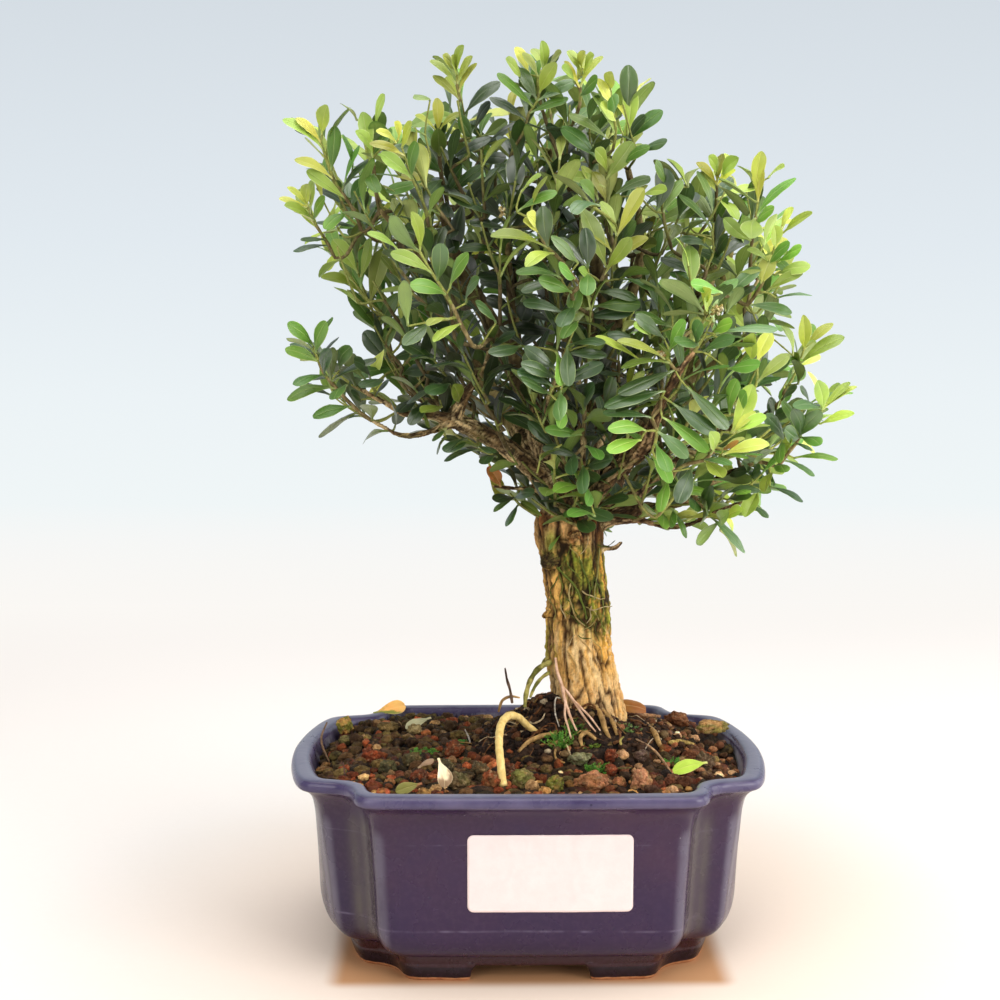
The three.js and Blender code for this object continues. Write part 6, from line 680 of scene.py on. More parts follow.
-917,559,3408,-1039,567,3540,59,44,81,36,2,8,1,-763,877,3425,-800,1147,3461,96,-16,-14,97,3,9,0,-763,877,3425,-847,717,3606,88,20,67,70,2,8,0,
-824,935,3567,-813,969,3751,63,-86,-47,14,2,10,0,-824,935,3567,-989,1035,3654,66,43,-7,89,2,4,0,-595,616,3073,-646,882,3187,107,-50,-42,74,3,7,0,
-595,616,3073,-762,468,3222,84,7,66,73,3,7,0,-651,644,3122,-698,649,3351,72,97,8,18,3,7,0,-703,669,3177,-757,877,3271,77,-30,-40,86,3,5,0,
-703,669,3177,-892,573,3315,82,11,67,72,3,11,0,-776,705,3266,-832,762,3426,65,-12,-94,29,2,9,1,-776,705,3266,-952,748,3312,63,27,11,95,3,5,0,
-970,574,2922,-1096,799,2994,93,-44,-50,73,3,11,0,-970,574,2922,-1099,367,3032,99,1,47,87,3,7,0,-1070,584,2979,-1165,775,3111,95,-31,-65,68,3,7,0,
-1161,592,3050,-1336,683,3143,69,6,-64,75,3,5,0,-908,486,3414,-934,589,3690,101,-20,-91,33,2,9,1,-1018,467,3577,-1082,514,3788,84,-23,-95,14,2,8,1,
-1018,467,3577,-1172,402,3670,63,48,10,86,2,7,0,-1106,580,4214,-1099,599,4386,53,-85,-49,9,3,9,0,-1106,580,4214,-1281,600,4332,71,56,21,79,3,9,0,
-1144,526,3754,-1280,489,3861,56,61,4,78,0,10,0,-957,481,3482,-1024,551,3600,64,-7,-48,86,2,6,1,-1147,528,3759,-1255,571,3922,87,-32,-61,71,1,3,1,
-1141,525,3749,-1070,494,3617,79,33,-53,77,0,5,1,-1109,582,4219,-1202,675,4368,86,24,-8,96,1,5,0,-1160,594,3045,-1106,628,2881,78,20,-95,-19,1,6,1,
-790,676,3108,-866,707,2961,70,-3,-91,40,0,7,1,-1097,479,3982,-1094,483,4175,89,-70,-49,50,2,6,0,-832,845,3366,-981,848,3411,75,34,-87,33,1,1,0,
-805,793,3256,-861,843,3383,72,37,-77,50,2,7,0,-1099,587,2997,-1046,578,2823,75,22,-94,24,1,6,1,-1050,495,3905,-1090,520,3765,75,-70,-69,11,1,1,0,
-1156,592,3052,-979,587,3110,90,53,19,81,2,0,0,-797,659,2949,-881,683,2813,75,-36,-82,42,0,2,1,-1091,575,4169,-1048,588,4028,64,-77,-37,50,1,6,0,
-1071,567,4099,-1212,608,4145,73,4,-37,92,2,5,0,-1107,588,3004,-1270,637,3043,74,50,22,82,1,5,0,-783,843,3363,-985,812,3469,113,45,-15,87,0,-1,0,
    ]},
    "left_middle": {"twigs": [
-218,-280,3013,-1,81,-207,-302,3042,0,81,-196,-324,3071,1,81,-188,-347,3101,2,81,-183,-369,3132,3,81,-259,-280,2962,0,45,-238,-280,2932,5,36,
-163,-331,3174,4,81,-147,-297,3213,7,81,-148,-317,3250,8,81,-148,-337,3287,9,81,-148,-356,3325,10,81,-148,-374,3363,11,81,-148,-391,3402,12,77,
-148,-407,3441,13,57,-148,-422,3480,14,45,-149,-437,3519,15,45,-149,-452,3559,16,45,-139,-361,3112,3,57,-90,-367,3112,18,57,-52,-375,3131,19,57,
-65,-379,3165,20,57,-76,-383,3200,21,45,-87,-387,3235,22,45,-97,-390,3271,23,45,-106,-393,3306,24,45,-115,-396,3342,25,45,-153,-354,3441,13,65,
-162,-320,3476,27,65,-178,-330,3514,28,65,-193,-339,3553,29,57,-206,-348,3593,30,57,-218,-356,3632,31,45,-230,-363,3673,32,45,-241,-370,3713,33,45,
-117,-280,3684,-1,65,-64,-296,3696,35,65,-13,-311,3702,36,65,35,-326,3710,37,65,79,-339,3724,38,65,116,-349,3751,39,65,122,-348,3789,40,65,
127,-347,3828,41,57,132,-346,3867,42,57,137,-345,3905,43,57,141,-344,3944,44,45,145,-344,3983,45,45,149,-343,4022,46,45,316,-256,3195,-1,77,
267,-241,3216,48,77,218,-225,3233,49,77,172,-211,3250,50,77,132,-200,3272,51,77,97,-194,3305,52,77,94,-202,3343,53,77,91,-210,3381,54,77,
89,-217,3420,55,72,86,-224,3458,56,57,84,-231,3497,57,57,81,-237,3535,58,45,79,-242,3574,59,45,77,-248,3613,60,45,144,-223,3443,56,57,
197,-228,3463,62,57,209,-236,3501,63,57,221,-244,3538,64,45,231,-252,3577,65,45,241,-258,3615,66,45,250,-265,3654,67,45,259,-271,3693,68,45,
-195,-424,3136,4,81,-209,-476,3127,70,81,-225,-525,3112,71,81,-243,-572,3098,72,81,-263,-616,3092,73,81,-285,-658,3102,74,81,-303,-670,3135,75,81,
-320,-682,3168,76,81,-338,-694,3202,77,81,-354,-707,3235,78,79,-369,-719,3269,79,72,-387,-728,3303,80,68,-407,-733,3337,81,68,-427,-737,3370,82,61,
-449,-739,3403,83,61,-471,-739,3435,84,57,-492,-738,3469,85,52,-511,-738,3503,86,52,-530,-738,3538,87,52,-394,-710,3224,79,52,-389,-735,3369,82,36,
-313,-721,3299,80,36,-223,-615,3130,73,36,-196,-643,3169,92,36,-170,-672,3207,93,36,-432,-685,3219,89,45,-463,-655,3216,95,45,-493,-626,3213,96,36,
-511,-672,3207,96,36,-550,-701,3199,98,36,-589,-729,3190,99,36,-569,-710,3551,88,36,-604,-679,3553,101,36,-639,-648,3554,102,36,
    ], "leaves": [
-530,-738,3538,-662,-793,3705,77,-1,94,30,5,3,1,-530,-738,3538,-559,-887,3704,80,79,-51,-31,1,4,1,-471,-739,3435,-663,-793,3533,77,43,-80,40,1,9,1,
-639,-648,3554,-768,-822,3619,80,71,-30,62,1,8,1,-589,-729,3190,-599,-783,3404,76,27,92,25,5,7,1,-407,-733,3337,-571,-883,3375,80,67,-72,10,2,9,1,
-449,-739,3403,-430,-898,3566,90,-2,-71,-69,3,8,1,-389,-735,3369,-310,-891,3521,80,-87,-47,-3,2,5,1,-394,-710,3224,-489,-843,3187,72,7,-31,94,0,8,1,
-338,-694,3202,-460,-879,3121,80,-7,-32,93,1,5,1,-313,-721,3299,-250,-923,3400,80,-95,-24,12,3,8,1,-170,-672,3207,-260,-869,3297,80,89,-25,34,3,6,1,
-493,-626,3213,-609,-798,3099,80,3,-56,82,3,4,1,-188,-347,3101,-184,-561,3201,80,-54,34,76,5,7,1,-238,-280,2932,-99,-448,3027,80,-24,31,91,5,4,1,
-188,-347,3101,-86,-549,3167,80,-85,-30,41,3,3,1,122,-348,3789,68,-184,3989,85,40,-61,67,1,7,1,122,-348,3789,224,-511,4013,102,-37,62,68,1,7,1,
137,-345,3905,-3,-318,4131,94,84,-3,52,0,6,1,149,-343,4022,161,-261,4157,52,-12,-84,52,0,4,1,91,-210,3381,-89,-115,3551,86,41,-57,70,2,9,1,
91,-210,3381,223,-341,3547,94,-55,41,71,2,3,0,84,-231,3497,257,-162,3671,83,-60,-40,68,1,6,0,84,-231,3497,-35,-312,3661,79,73,27,61,1,6,1,
77,-248,3613,14,-233,3807,75,91,-25,31,1,10,0,77,-248,3613,143,-346,3776,65,-45,66,58,1,6,1,-148,-337,3287,100,-439,3399,100,-41,4,90,2,7,0,
-148,-407,3441,42,-483,3638,99,-66,12,73,1,8,1,-149,-452,3559,-95,-453,3734,65,-91,-28,28,1,6,1,-206,-348,3593,-29,-399,3803,91,-72,2,68,3,3,0,
209,-236,3501,239,-436,3656,81,-23,55,79,2,11,1,209,-236,3501,279,-17,3682,106,10,-62,76,2,3,0,259,-271,3693,207,-287,3875,62,94,-17,25,1,9,0,
259,-271,3693,361,-306,3817,54,-74,15,65,1,4,0,
    ]},
    "left_low": {"twigs": [
-801,-240,2723,-1,80,-835,-240,2746,0,80,-868,-240,2771,1,80,-898,-240,2799,2,80,-927,-240,2828,3,80,-955,-240,2858,4,80,-982,-240,2889,5,80,
-1009,-240,2920,6,79,-1035,-240,2952,7,72,-1056,-240,2988,8,65,-1071,-240,3026,9,65,-1084,-240,3065,10,57,-1098,-240,3104,11,36,-710,-240,2676,-1,45,
-720,-240,2672,13,45,-689,-240,2677,14,36,-924,-270,2907,5,36,-989,-240,2955,7,36,-962,-240,2982,17,36,
    ], "leaves": [
-1098,-240,3104,-1191,-414,3215,80,89,-43,6,2,9,1,-1084,-240,3065,-1224,-282,3149,72,39,38,83,5,8,1,-1071,-240,3026,-1234,-288,3088,72,29,-94,6,2,8,1,
-1084,-240,3065,-1022,-411,3220,80,-70,-59,-38,2,7,1,-1084,-240,3065,-990,-291,3249,72,-84,-44,30,2,8,1,
-1071,-240,3026,-962,-280,3149,72,-74,-29,59,3,6,1,-1035,-240,2952,-992,-431,3081,80,-71,-49,-49,3,7,1,
-1009,-240,2920,-992,-287,3098,72,-47,84,23,5,3,1,-962,-240,2982,-891,-446,3091,80,-76,-48,-41,2,7,1,
-1035,-240,2952,-1175,-413,2908,80,12,-35,92,2,9,1,-982,-240,2889,-1225,-302,2836,87,0,-68,72,2,8,1,-898,-240,2799,-1101,-293,2750,74,3,-73,67,2,9,1,
-868,-240,2771,-1071,-302,2644,87,-51,33,78,5,6,1,-720,-240,2672,-837,-433,2630,80,-70,28,64,5,9,1,-801,-240,2723,-823,-456,2824,80,8,41,90,5,4,1,
-689,-240,2677,-694,-312,2831,72,95,25,15,5,9,1,-1009,-240,2920,-773,-304,3043,89,-54,-37,74,3,6,1,-924,-270,2907,-973,-491,2849,80,-18,-20,95,2,4,1,
    ]},
    "left_inner": {"twigs": [
-788,-181,2841,-1,77,-792,-187,2878,0,45,-800,-195,2910,1,36,-812,-202,2942,2,36,-829,-180,2834,0,36,-866,-180,2829,4,36,-496,-200,2752,-1,80,
-465,-214,2771,6,80,-444,-229,2796,7,36,-453,-243,2830,8,36,-747,-194,2931,1,36,-540,-201,2752,-1,36,-339,-208,2819,-1,80,-361,-235,2819,12,80,
-487,-184,2805,7,80,-518,-153,2828,14,80,-385,-243,2865,13,36,-402,-243,2911,16,36,-389,-160,2710,-1,57,-416,-127,2676,18,57,-444,-130,2702,19,57,
-470,-133,2730,20,45,-495,-136,2760,21,45,-519,-138,2790,22,45,-541,-141,2822,23,45,-562,-143,2854,24,45,-335,-186,2847,13,80,-313,-143,2874,26,80,
-332,-149,2909,27,80,-351,-155,2945,28,80,-368,-160,2981,29,80,-385,-165,3018,30,80,-401,-170,3056,31,77,-416,-174,3093,32,77,-431,-179,3131,33,72,
-445,-183,3169,34,72,-459,-187,3207,35,72,-548,-100,2835,15,80,-574,-50,2837,37,80,-541,-70,2868,37,80,-526,-49,2903,39,80,-522,-37,2942,40,80,
-545,-49,2976,41,80,-567,-60,3011,42,80,-586,-69,3048,43,80,-604,-78,3086,44,80,-621,-87,3124,45,80,-610,-49,3161,46,77,-634,-59,3189,47,77,
-658,-68,3217,48,77,-681,-76,3247,49,74,-703,-84,3277,50,74,-723,-92,3309,51,68,-743,-99,3340,52,68,-762,-107,3373,53,45,-780,-114,3406,54,45,
-799,-120,3439,55,45,-506,-208,3248,36,65,-518,-213,3285,57,65,-530,-218,3322,58,65,-541,-222,3360,59,57,-551,-226,3398,60,57,-560,-230,3436,61,57,
-569,-233,3474,62,45,-578,-237,3512,63,45,-586,-240,3551,64,45,-796,-129,2840,0,65,-799,-78,2838,66,65,-803,-31,2837,67,65,-814,12,2840,68,65,
-837,47,2850,69,65,-873,43,2871,70,65,-909,40,2894,71,65,-943,36,2918,72,57,-976,33,2944,73,57,-1008,30,2972,74,52,-1038,27,3001,75,52,
-1068,24,3031,76,36,-1097,21,3061,77,36,-300,-138,2686,-1,72,-289,-98,2730,79,72,-279,-61,2770,80,72,-284,-42,2815,81,72,-308,-67,2834,82,72,
-332,-92,2854,83,72,-356,-116,2875,84,65,-378,-139,2898,85,65,-400,-161,2923,86,57,-421,-182,2949,87,57,-441,-203,2976,88,57,-461,-223,3004,89,45,
-481,-243,3032,90,45,-203,-300,3083,-1,80,-252,-309,3096,92,80,-299,-316,3106,93,80,-341,-325,3118,94,80,-375,-339,3141,95,80,-380,-360,3177,96,80,
-384,-379,3214,97,72,-388,-396,3251,98,72,-392,-412,3290,99,72,-395,-427,3328,100,45,-369,-321,3217,97,80,-407,-328,3235,102,80,-445,-335,3255,103,77,
-481,-342,3278,104,77,-515,-348,3303,105,77,-547,-354,3331,106,72,-579,-360,3359,107,72,-403,-355,3312,100,65,-421,-371,3348,109,65,
-438,-387,3385,110,57,-454,-401,3422,111,57,-469,-414,3461,112,45,-482,-426,3500,113,45,-496,-438,3540,114,45,-564,-1,2823,38,80,-548,43,2809,116,80,
-548,83,2810,117,80,-576,79,2837,118,80,-603,75,2865,119,80,-628,72,2894,120,80,-651,69,2925,121,80,-674,66,2956,122,77,-695,63,2988,123,45,
-716,60,3021,124,45,-661,100,2993,123,72,-684,83,3021,126,72,-707,67,3050,127,72,-728,52,3080,128,65,-748,38,3112,129,65,-767,25,3144,130,45,
-785,12,3178,131,45,-803,-1,3211,132,45,-587,111,2776,118,65,-632,117,2751,134,65,-666,98,2767,135,65,-698,80,2785,136,45,-729,63,2806,137,45,
-759,46,2830,138,45,-787,30,2856,139,45,-815,15,2882,140,45,-597,-317,3398,108,65,-612,-280,3435,142,65,-637,-283,3466,143,65,-661,-287,3497,144,65,
-683,-290,3530,145,57,-703,-293,3563,146,57,-722,-296,3597,147,45,-741,-298,3632,148,45,-759,-301,3666,149,45,-524,8,3532,-1,65,-510,-44,3522,151,65,
-496,-93,3509,152,65,-483,-140,3498,153,65,-472,-186,3494,154,65,-465,-232,3503,155,65,-471,-257,3536,156,65,-476,-282,3570,157,65,
-480,-305,3606,158,57,-485,-326,3642,159,57,-489,-347,3679,160,45,-493,-366,3717,161,45,-497,-385,3754,162,45,-716,118,2748,136,52,
-755,147,2721,164,52,-801,165,2705,165,52,-836,154,2718,166,52,-870,142,2733,167,52,-904,131,2750,168,36,-936,121,2770,169,36,-967,111,2792,170,36,
-997,101,2815,171,36,-1026,91,2839,172,36,-793,-86,3340,53,52,-839,-68,3327,174,52,-882,-59,3330,175,52,-897,-69,3364,176,52,-911,-79,3399,177,52,
-925,-88,3434,178,45,-938,-97,3469,179,45,-950,-105,3505,180,45,-961,-113,3541,181,36,-972,-120,3578,182,36,-982,-128,3614,183,36,-739,71,3163,130,52,
-721,113,3204,185,52,-724,140,3247,186,52,-759,125,3264,187,52,-793,111,3282,188,52,-826,96,3302,189,36,-858,83,3325,190,36,-888,69,3350,191,36,
-918,57,3376,192,36,-947,44,3403,193,36,
    ], "leaves": [
-866,-180,2829,-888,-341,2872,72,95,-5,28,3,7,1,-812,-202,2942,-865,-411,3032,80,95,-14,23,3,6,1,-788,-181,2841,-713,-309,2932,72,-86,-19,46,3,6,1,
-747,-194,2931,-847,-400,2903,80,29,-27,91,3,9,1,-444,-229,2796,-542,-438,2764,80,34,-26,89,1,4,1,-518,-153,2828,-602,-336,2711,80,9,-56,81,3,7,1,
-402,-243,2911,-516,-446,2878,80,37,-35,85,4,6,1,-361,-235,2819,-382,-457,2908,80,75,-30,-57,1,7,1,-537,-200,2757,-525,-358,2701,72,87,-10,47,1,6,1,
-574,-50,2837,-667,-253,2769,80,11,-36,92,3,4,1,-909,40,2894,-1059,247,2966,98,-3,-37,92,3,9,0,-909,40,2894,-1009,-121,3011,74,-16,66,72,3,6,1,
-976,33,2944,-1246,90,2916,97,-13,-32,93,3,5,0,-1038,27,3001,-1184,221,3137,88,-29,-70,64,3,3,1,-1038,27,3001,-1157,-146,3080,75,-7,48,86,3,9,1,
-1097,21,3061,-1212,-8,3202,63,67,39,62,3,9,0,-444,-130,2702,-645,-52,2780,73,18,-36,91,3,9,0,-444,-130,2702,-417,-268,2958,99,-44,75,48,3,3,1,
-562,-143,2854,-704,-212,2958,60,41,38,82,2,10,1,-661,-287,3497,-735,-84,3650,87,-10,-66,73,3,6,0,-661,-287,3497,-709,-475,3579,72,-2,46,88,3,10,1,
-703,-293,3563,-626,-305,3832,89,-95,-2,28,3,6,0,-407,-328,3235,-538,-161,3353,77,-40,-67,61,2,6,0,-407,-328,3235,-499,-545,3307,78,-37,39,83,3,7,1,
-515,-348,3303,-579,-145,3484,99,-16,-71,67,2,10,1,-515,-348,3303,-659,-533,3292,81,-16,13,97,3,6,0,-579,-360,3359,-732,-482,3380,70,-12,32,93,2,5,1,
-351,-155,2945,-479,33,3136,97,31,-57,75,3,9,1,-351,-155,2945,-395,-325,3081,81,-4,63,76,3,4,1,-385,-165,3018,-242,-118,3244,85,-80,-19,55,3,5,1,
-385,-165,3018,-613,-237,3058,80,22,-16,95,3,4,0,-416,-174,3093,-517,1,3201,79,-25,-55,78,3,10,0,-416,-174,3093,-465,-371,3287,86,-11,68,71,3,9,1,
-459,-187,3207,-438,-171,3429,72,-97,-19,10,2,7,0,-459,-187,3207,-622,-243,3325,72,56,5,81,2,3,0,-658,-68,3217,-609,-215,3397,81,-54,57,60,1,3,0,
-476,-282,3570,-647,-314,3705,75,66,-31,67,3,10,0,-485,-326,3642,-639,-498,3740,84,43,12,89,3,7,0,-497,-385,3754,-430,-531,3870,73,-42,43,79,2,8,1,
-421,-371,3348,-561,-214,3514,87,11,-63,75,3,8,0,-421,-371,3348,-415,-594,3490,79,-23,49,83,3,6,1,-454,-401,3422,-435,-308,3702,98,-56,-74,34,3,9,1,
-454,-401,3422,-599,-594,3478,84,11,12,98,3,4,1,-496,-438,3540,-595,-444,3721,76,84,-28,45,2,9,0,-496,-438,3540,-517,-596,3663,72,-29,61,73,3,4,1,
-530,-218,3322,-635,-45,3481,86,22,-61,75,3,8,0,-530,-218,3322,-480,-449,3474,105,-18,54,81,3,5,1,-560,-230,3436,-387,-196,3622,90,-69,-33,63,3,4,0,
-560,-230,3436,-746,-278,3571,80,62,-3,77,3,8,0,-586,-240,3551,-677,-155,3736,69,34,-77,52,3,10,0,-586,-240,3551,-598,-329,3719,64,-4,88,46,3,9,0,
-380,-360,3177,-507,-320,3439,91,59,-69,40,3,8,1,-380,-360,3177,-277,-555,3281,89,-58,11,79,3,4,1,-395,-427,3328,-396,-458,3535,73,-58,79,12,2,10,1,
-395,-427,3328,-438,-583,3454,74,26,55,78,3,5,1,-545,-49,2976,-497,-209,3221,105,-69,52,48,3,4,1,-621,-87,3124,-659,-74,3321,69,18,-97,10,2,11,1,
-621,-87,3124,-748,-181,3263,71,32,61,71,2,9,1,-332,-92,2854,-539,-88,2963,76,43,-33,83,3,6,1,-378,-139,2898,-317,-155,3134,85,-95,-5,27,3,8,0,
-378,-139,2898,-625,-302,2830,100,-23,-8,96,3,10,0,-441,-203,2976,-650,-89,3133,96,22,-68,69,2,8,1,-441,-203,2976,-436,-436,3011,84,-36,19,90,2,9,0,
-481,-243,3032,-528,-289,3223,73,84,42,31,2,10,1,-481,-243,3032,-603,-369,3037,61,-12,15,97,2,10,0,-870,142,2733,-1070,240,2680,86,-29,-18,93,3,10,0,
-870,142,2733,-918,7,2946,89,-19,84,49,3,4,1,-1026,91,2839,-1220,73,2924,68,39,-47,78,3,4,0,-666,98,2767,-887,154,2843,73,3,-70,70,1,10,1,
-887,-57,3334,-1012,-12,3417,77,3,-17,98,1,1,1,
    ]},
    "left_under": {"twigs": [
-111,801,2693,-1,92,-119,804,2693,0,92,-123,767,2706,1,92,-127,730,2718,2,92,-131,693,2731,3,52,-135,656,2743,4,45,-138,619,2755,5,36,
-139,581,2768,6,36,-140,544,2780,7,36,-139,507,2793,8,36,-139,469,2805,9,36,-136,720,2678,3,65,-145,733,2645,11,65,-151,766,2663,12,65,
-156,798,2682,13,65,-162,829,2703,14,57,-167,859,2725,15,57,-172,887,2749,16,57,-177,915,2775,17,45,-181,941,2801,18,45,-186,968,2828,19,45,
-24,-6,2513,-1,105,-9,6,2543,21,105,-38,-12,2560,22,105,-66,-29,2580,23,105,-94,-46,2601,24,57,-120,-63,2623,25,57,-146,-79,2648,26,57,
-170,-94,2674,27,45,-194,-108,2700,28,45,-217,-123,2727,29,45,-23,366,2917,-1,72,-81,401,2896,31,72,-80,396,2938,32,72,-80,391,2980,33,72,
-79,387,3022,34,65,-78,383,3065,35,65,-78,379,3107,36,57,-77,375,3149,37,57,-77,372,3191,38,45,-76,368,3233,39,45,99,-123,2699,-1,86,
70,-89,2754,41,86,77,-109,2788,42,77,84,-127,2822,43,45,91,-143,2857,44,45,97,-158,2892,45,45,103,-173,2928,46,45,108,-187,2964,47,45,
24,-136,2753,42,57,0,-144,2784,49,57,-23,-152,2816,50,45,-44,-159,2850,51,45,-63,-166,2884,52,45,-82,-172,2919,53,45,-100,-179,2955,54,45,
97,355,2597,-1,86,163,385,2611,56,86,141,388,2642,57,65,120,391,2674,58,65,100,394,2707,59,57,81,397,2741,60,57,63,399,2775,61,57,46,402,2810,62,45,
30,404,2844,63,45,14,406,2879,64,45,171,446,2614,57,57,167,502,2625,66,57,168,525,2660,67,57,170,548,2695,68,45,171,568,2732,69,45,172,587,2769,70,45,
173,605,2807,71,45,174,623,2845,72,45,-80,-82,2560,24,97,-88,-132,2544,74,97,-102,-159,2566,75,97,-115,-186,2589,76,95,-127,-212,2614,77,92,
-139,-236,2641,78,92,-150,-258,2669,79,88,-161,-280,2698,80,52,-172,-302,2727,81,45,-127,-272,2677,80,82,-152,-276,2707,83,82,-175,-280,2738,84,82,
-197,-284,2770,85,77,-218,-288,2802,86,77,-238,-292,2836,87,45,-256,-295,2870,88,45,-275,-298,2904,89,45,293,665,2529,-1,90,263,690,2509,91,90,
238,717,2496,92,90,227,754,2511,93,65,216,791,2528,94,65,205,827,2548,95,57,195,861,2570,96,57,185,894,2594,97,45,176,926,2620,98,45,
166,957,2646,99,45,-137,-307,2715,81,36,-461,-192,2681,-1,45,-446,-251,2675,102,45,-431,-306,2669,103,45,-421,-306,2639,104,36,-162,-69,2612,-1,65,
-194,-19,2582,106,65,-234,17,2563,107,65,-272,4,2579,108,65,-308,-8,2597,109,57,-343,-20,2619,110,57,-377,-31,2643,111,57,-409,-42,2669,112,45,
-440,-52,2696,113,45,-162,713,2746,3,72,-199,706,2772,115,72,-236,706,2797,116,72,-273,713,2821,117,72,-302,735,2837,118,72,-331,756,2855,119,72,
-359,777,2874,120,65,-386,798,2895,121,65,-412,818,2919,122,57,-438,837,2943,123,57,-463,855,2969,124,57,-487,873,2995,125,45,-510,891,3022,126,45,
206,366,2648,57,57,237,338,2686,128,57,262,322,2731,129,57,266,335,2772,130,57,270,348,2813,131,45,273,359,2854,132,45,276,369,2895,133,45,
279,379,2937,134,45,-201,-300,2821,87,65,-220,-320,2847,136,65,-238,-340,2875,137,65,-255,-359,2904,138,57,-271,-377,2934,139,57,
-286,-394,2965,140,57,-301,-410,2996,141,45,-315,-425,3028,142,45,-329,-441,3061,143,45,-260,-120,2667,-1,61,-259,-158,2632,145,61,
-259,-192,2601,146,61,-249,-226,2573,147,57,-220,-248,2562,148,52,-190,-270,2551,149,52,-164,-296,2542,150,52,-191,-307,2558,151,45,
-225,-306,2575,152,45,-259,-306,2593,153,45,-277,-234,2607,147,36,-296,-270,2623,155,36,-315,-306,2639,156,36,245,751,2459,93,77,261,777,2421,158,65,
279,804,2389,159,65,291,840,2369,160,65,287,876,2386,161,65,283,912,2405,162,65,279,946,2426,163,57,276,979,2450,164,57,272,1010,2475,165,45,
269,1040,2501,166,45,265,1070,2528,167,45,1,709,2593,-1,97,-46,692,2569,169,97,-90,676,2546,170,97,-135,676,2536,171,97,-154,704,2552,172,65,
-173,731,2570,173,65,-192,757,2590,174,57,-209,782,2612,175,57,-226,805,2635,176,45,-243,828,2660,177,45,-259,851,2685,178,45,-168,637,2507,172,86,
-202,605,2490,180,86,-233,623,2515,181,86,-263,639,2541,182,82,-291,655,2571,183,82,-318,669,2602,184,45,-343,683,2635,185,45,-329,636,2582,184,77,
-364,650,2591,187,77,-399,664,2602,188,77,-434,678,2615,189,52,-467,692,2631,190,52,-499,705,2649,191,36,-530,717,2669,192,36,-561,730,2690,193,36,
-409,671,2629,189,65,-431,698,2647,195,65,-453,724,2666,196,65,-474,749,2687,197,57,-494,773,2709,198,57,-513,796,2734,199,57,-531,819,2759,200,45,
-549,840,2786,201,45,-567,862,2813,202,45,204,758,2428,158,57,160,754,2404,204,57,115,750,2390,205,57,71,757,2388,206,57,52,780,2415,207,57,
35,801,2444,208,45,19,821,2474,209,45,4,840,2506,210,45,-10,858,2538,211,45,-24,875,2571,212,45,-92,-212,2553,76,36,-76,-256,2529,214,36,
-60,-300,2506,215,36,73,-84,2832,43,65,66,-48,2868,217,65,58,-10,2899,218,65,46,21,2931,219,65,31,34,2969,220,65,14,6,2994,221,65,-2,-21,3021,222,65,
-17,-47,3049,223,57,-31,-71,3079,224,57,-44,-94,3111,225,45,-57,-117,3143,226,45,-70,-138,3176,227,45,
    ], "leaves": [
-315,-306,2639,-426,-508,2593,80,30,-36,87,3,6,1,-421,-306,2639,-462,-453,2576,72,-93,13,31,5,7,1,-249,-226,2573,-433,-273,2525,72,-15,-37,91,4,9,1,
-431,-306,2669,-472,-465,2636,72,-43,-8,89,2,9,1,-60,-300,2506,-199,-496,2503,80,-68,47,54,5,4,1,-164,-296,2542,-233,-535,2530,80,0,-7,99,3,7,1,
-259,-306,2593,-173,-450,2575,72,-2,-13,98,3,7,1,-259,-306,2593,-396,-499,2598,80,-54,40,73,5,9,1,-135,656,2743,-207,447,2800,80,91,-21,33,2,5,0,
-131,693,2731,-78,460,2788,80,-94,-16,26,1,7,0,-139,507,2793,-251,313,2830,80,86,-40,28,3,7,1,-331,756,2855,-376,1009,2892,90,-11,-16,97,3,8,0,
-331,756,2855,-482,670,2998,80,52,36,76,3,8,0,-386,798,2895,-330,1055,3024,91,-31,-35,87,3,3,0,-386,798,2895,-598,697,2979,87,9,48,86,3,5,0,
-463,855,2969,-534,1062,2851,92,-28,33,89,3,8,0,-463,855,2969,-573,825,3193,85,37,88,27,3,5,0,-510,891,3022,-575,1049,3076,65,-23,-40,88,2,7,0,
-510,891,3022,-677,933,3157,72,62,46,62,2,8,0,-399,664,2602,-601,527,2700,99,1,59,79,3,10,1,-467,692,2631,-515,945,2750,94,-24,-43,86,3,9,0,
-467,692,2631,-687,563,2616,82,-19,17,96,3,7,0,-561,730,2690,-709,742,2779,59,29,88,36,2,6,0,52,780,2415,51,1008,2487,72,-30,-25,91,3,9,0,
52,780,2415,-113,708,2610,90,47,58,65,3,8,0,-24,875,2571,-41,966,2768,79,-50,-79,32,2,4,0,-24,875,2571,-150,974,2704,71,69,-7,71,2,4,0,
-156,798,2682,-5,1044,2718,94,-50,16,84,3,7,0,-156,798,2682,-366,799,2861,88,55,54,62,3,6,0,-172,887,2749,-109,971,3015,94,-90,-27,30,3,11,0,
-172,887,2749,-293,1147,2804,93,25,-10,95,3,3,0,-186,968,2828,-131,1168,2921,72,-70,-13,69,2,9,0,-186,968,2828,-272,1053,2985,72,88,9,44,2,9,0,
-453,724,2666,-488,987,2723,102,-35,-26,89,3,11,0,-453,724,2666,-611,698,2857,83,57,59,54,3,8,1,-513,796,2734,-530,1088,2737,97,-41,-6,90,3,8,0,
-513,796,2734,-653,717,2964,93,30,84,44,3,10,1,-567,862,2813,-643,1024,2872,61,-8,-37,91,3,10,0,-567,862,2813,-673,930,2956,71,82,19,52,3,10,0,
216,791,2528,368,920,2714,95,-64,-29,70,3,4,0,216,791,2528,-4,895,2585,82,27,1,95,3,10,0,195,861,2570,332,1029,2717,83,-71,-1,69,3,7,0,
195,861,2570,-53,955,2609,86,30,56,76,3,3,1,166,957,2646,170,1127,2792,70,-70,-44,54,2,10,0,166,957,2646,63,1104,2730,63,71,12,68,2,7,0,
-173,731,2570,-186,954,2563,85,-15,-2,98,3,9,0,-173,731,2570,-284,734,2778,78,86,14,47,3,10,0,-209,782,2612,-207,1073,2674,92,-5,-20,97,3,10,0,
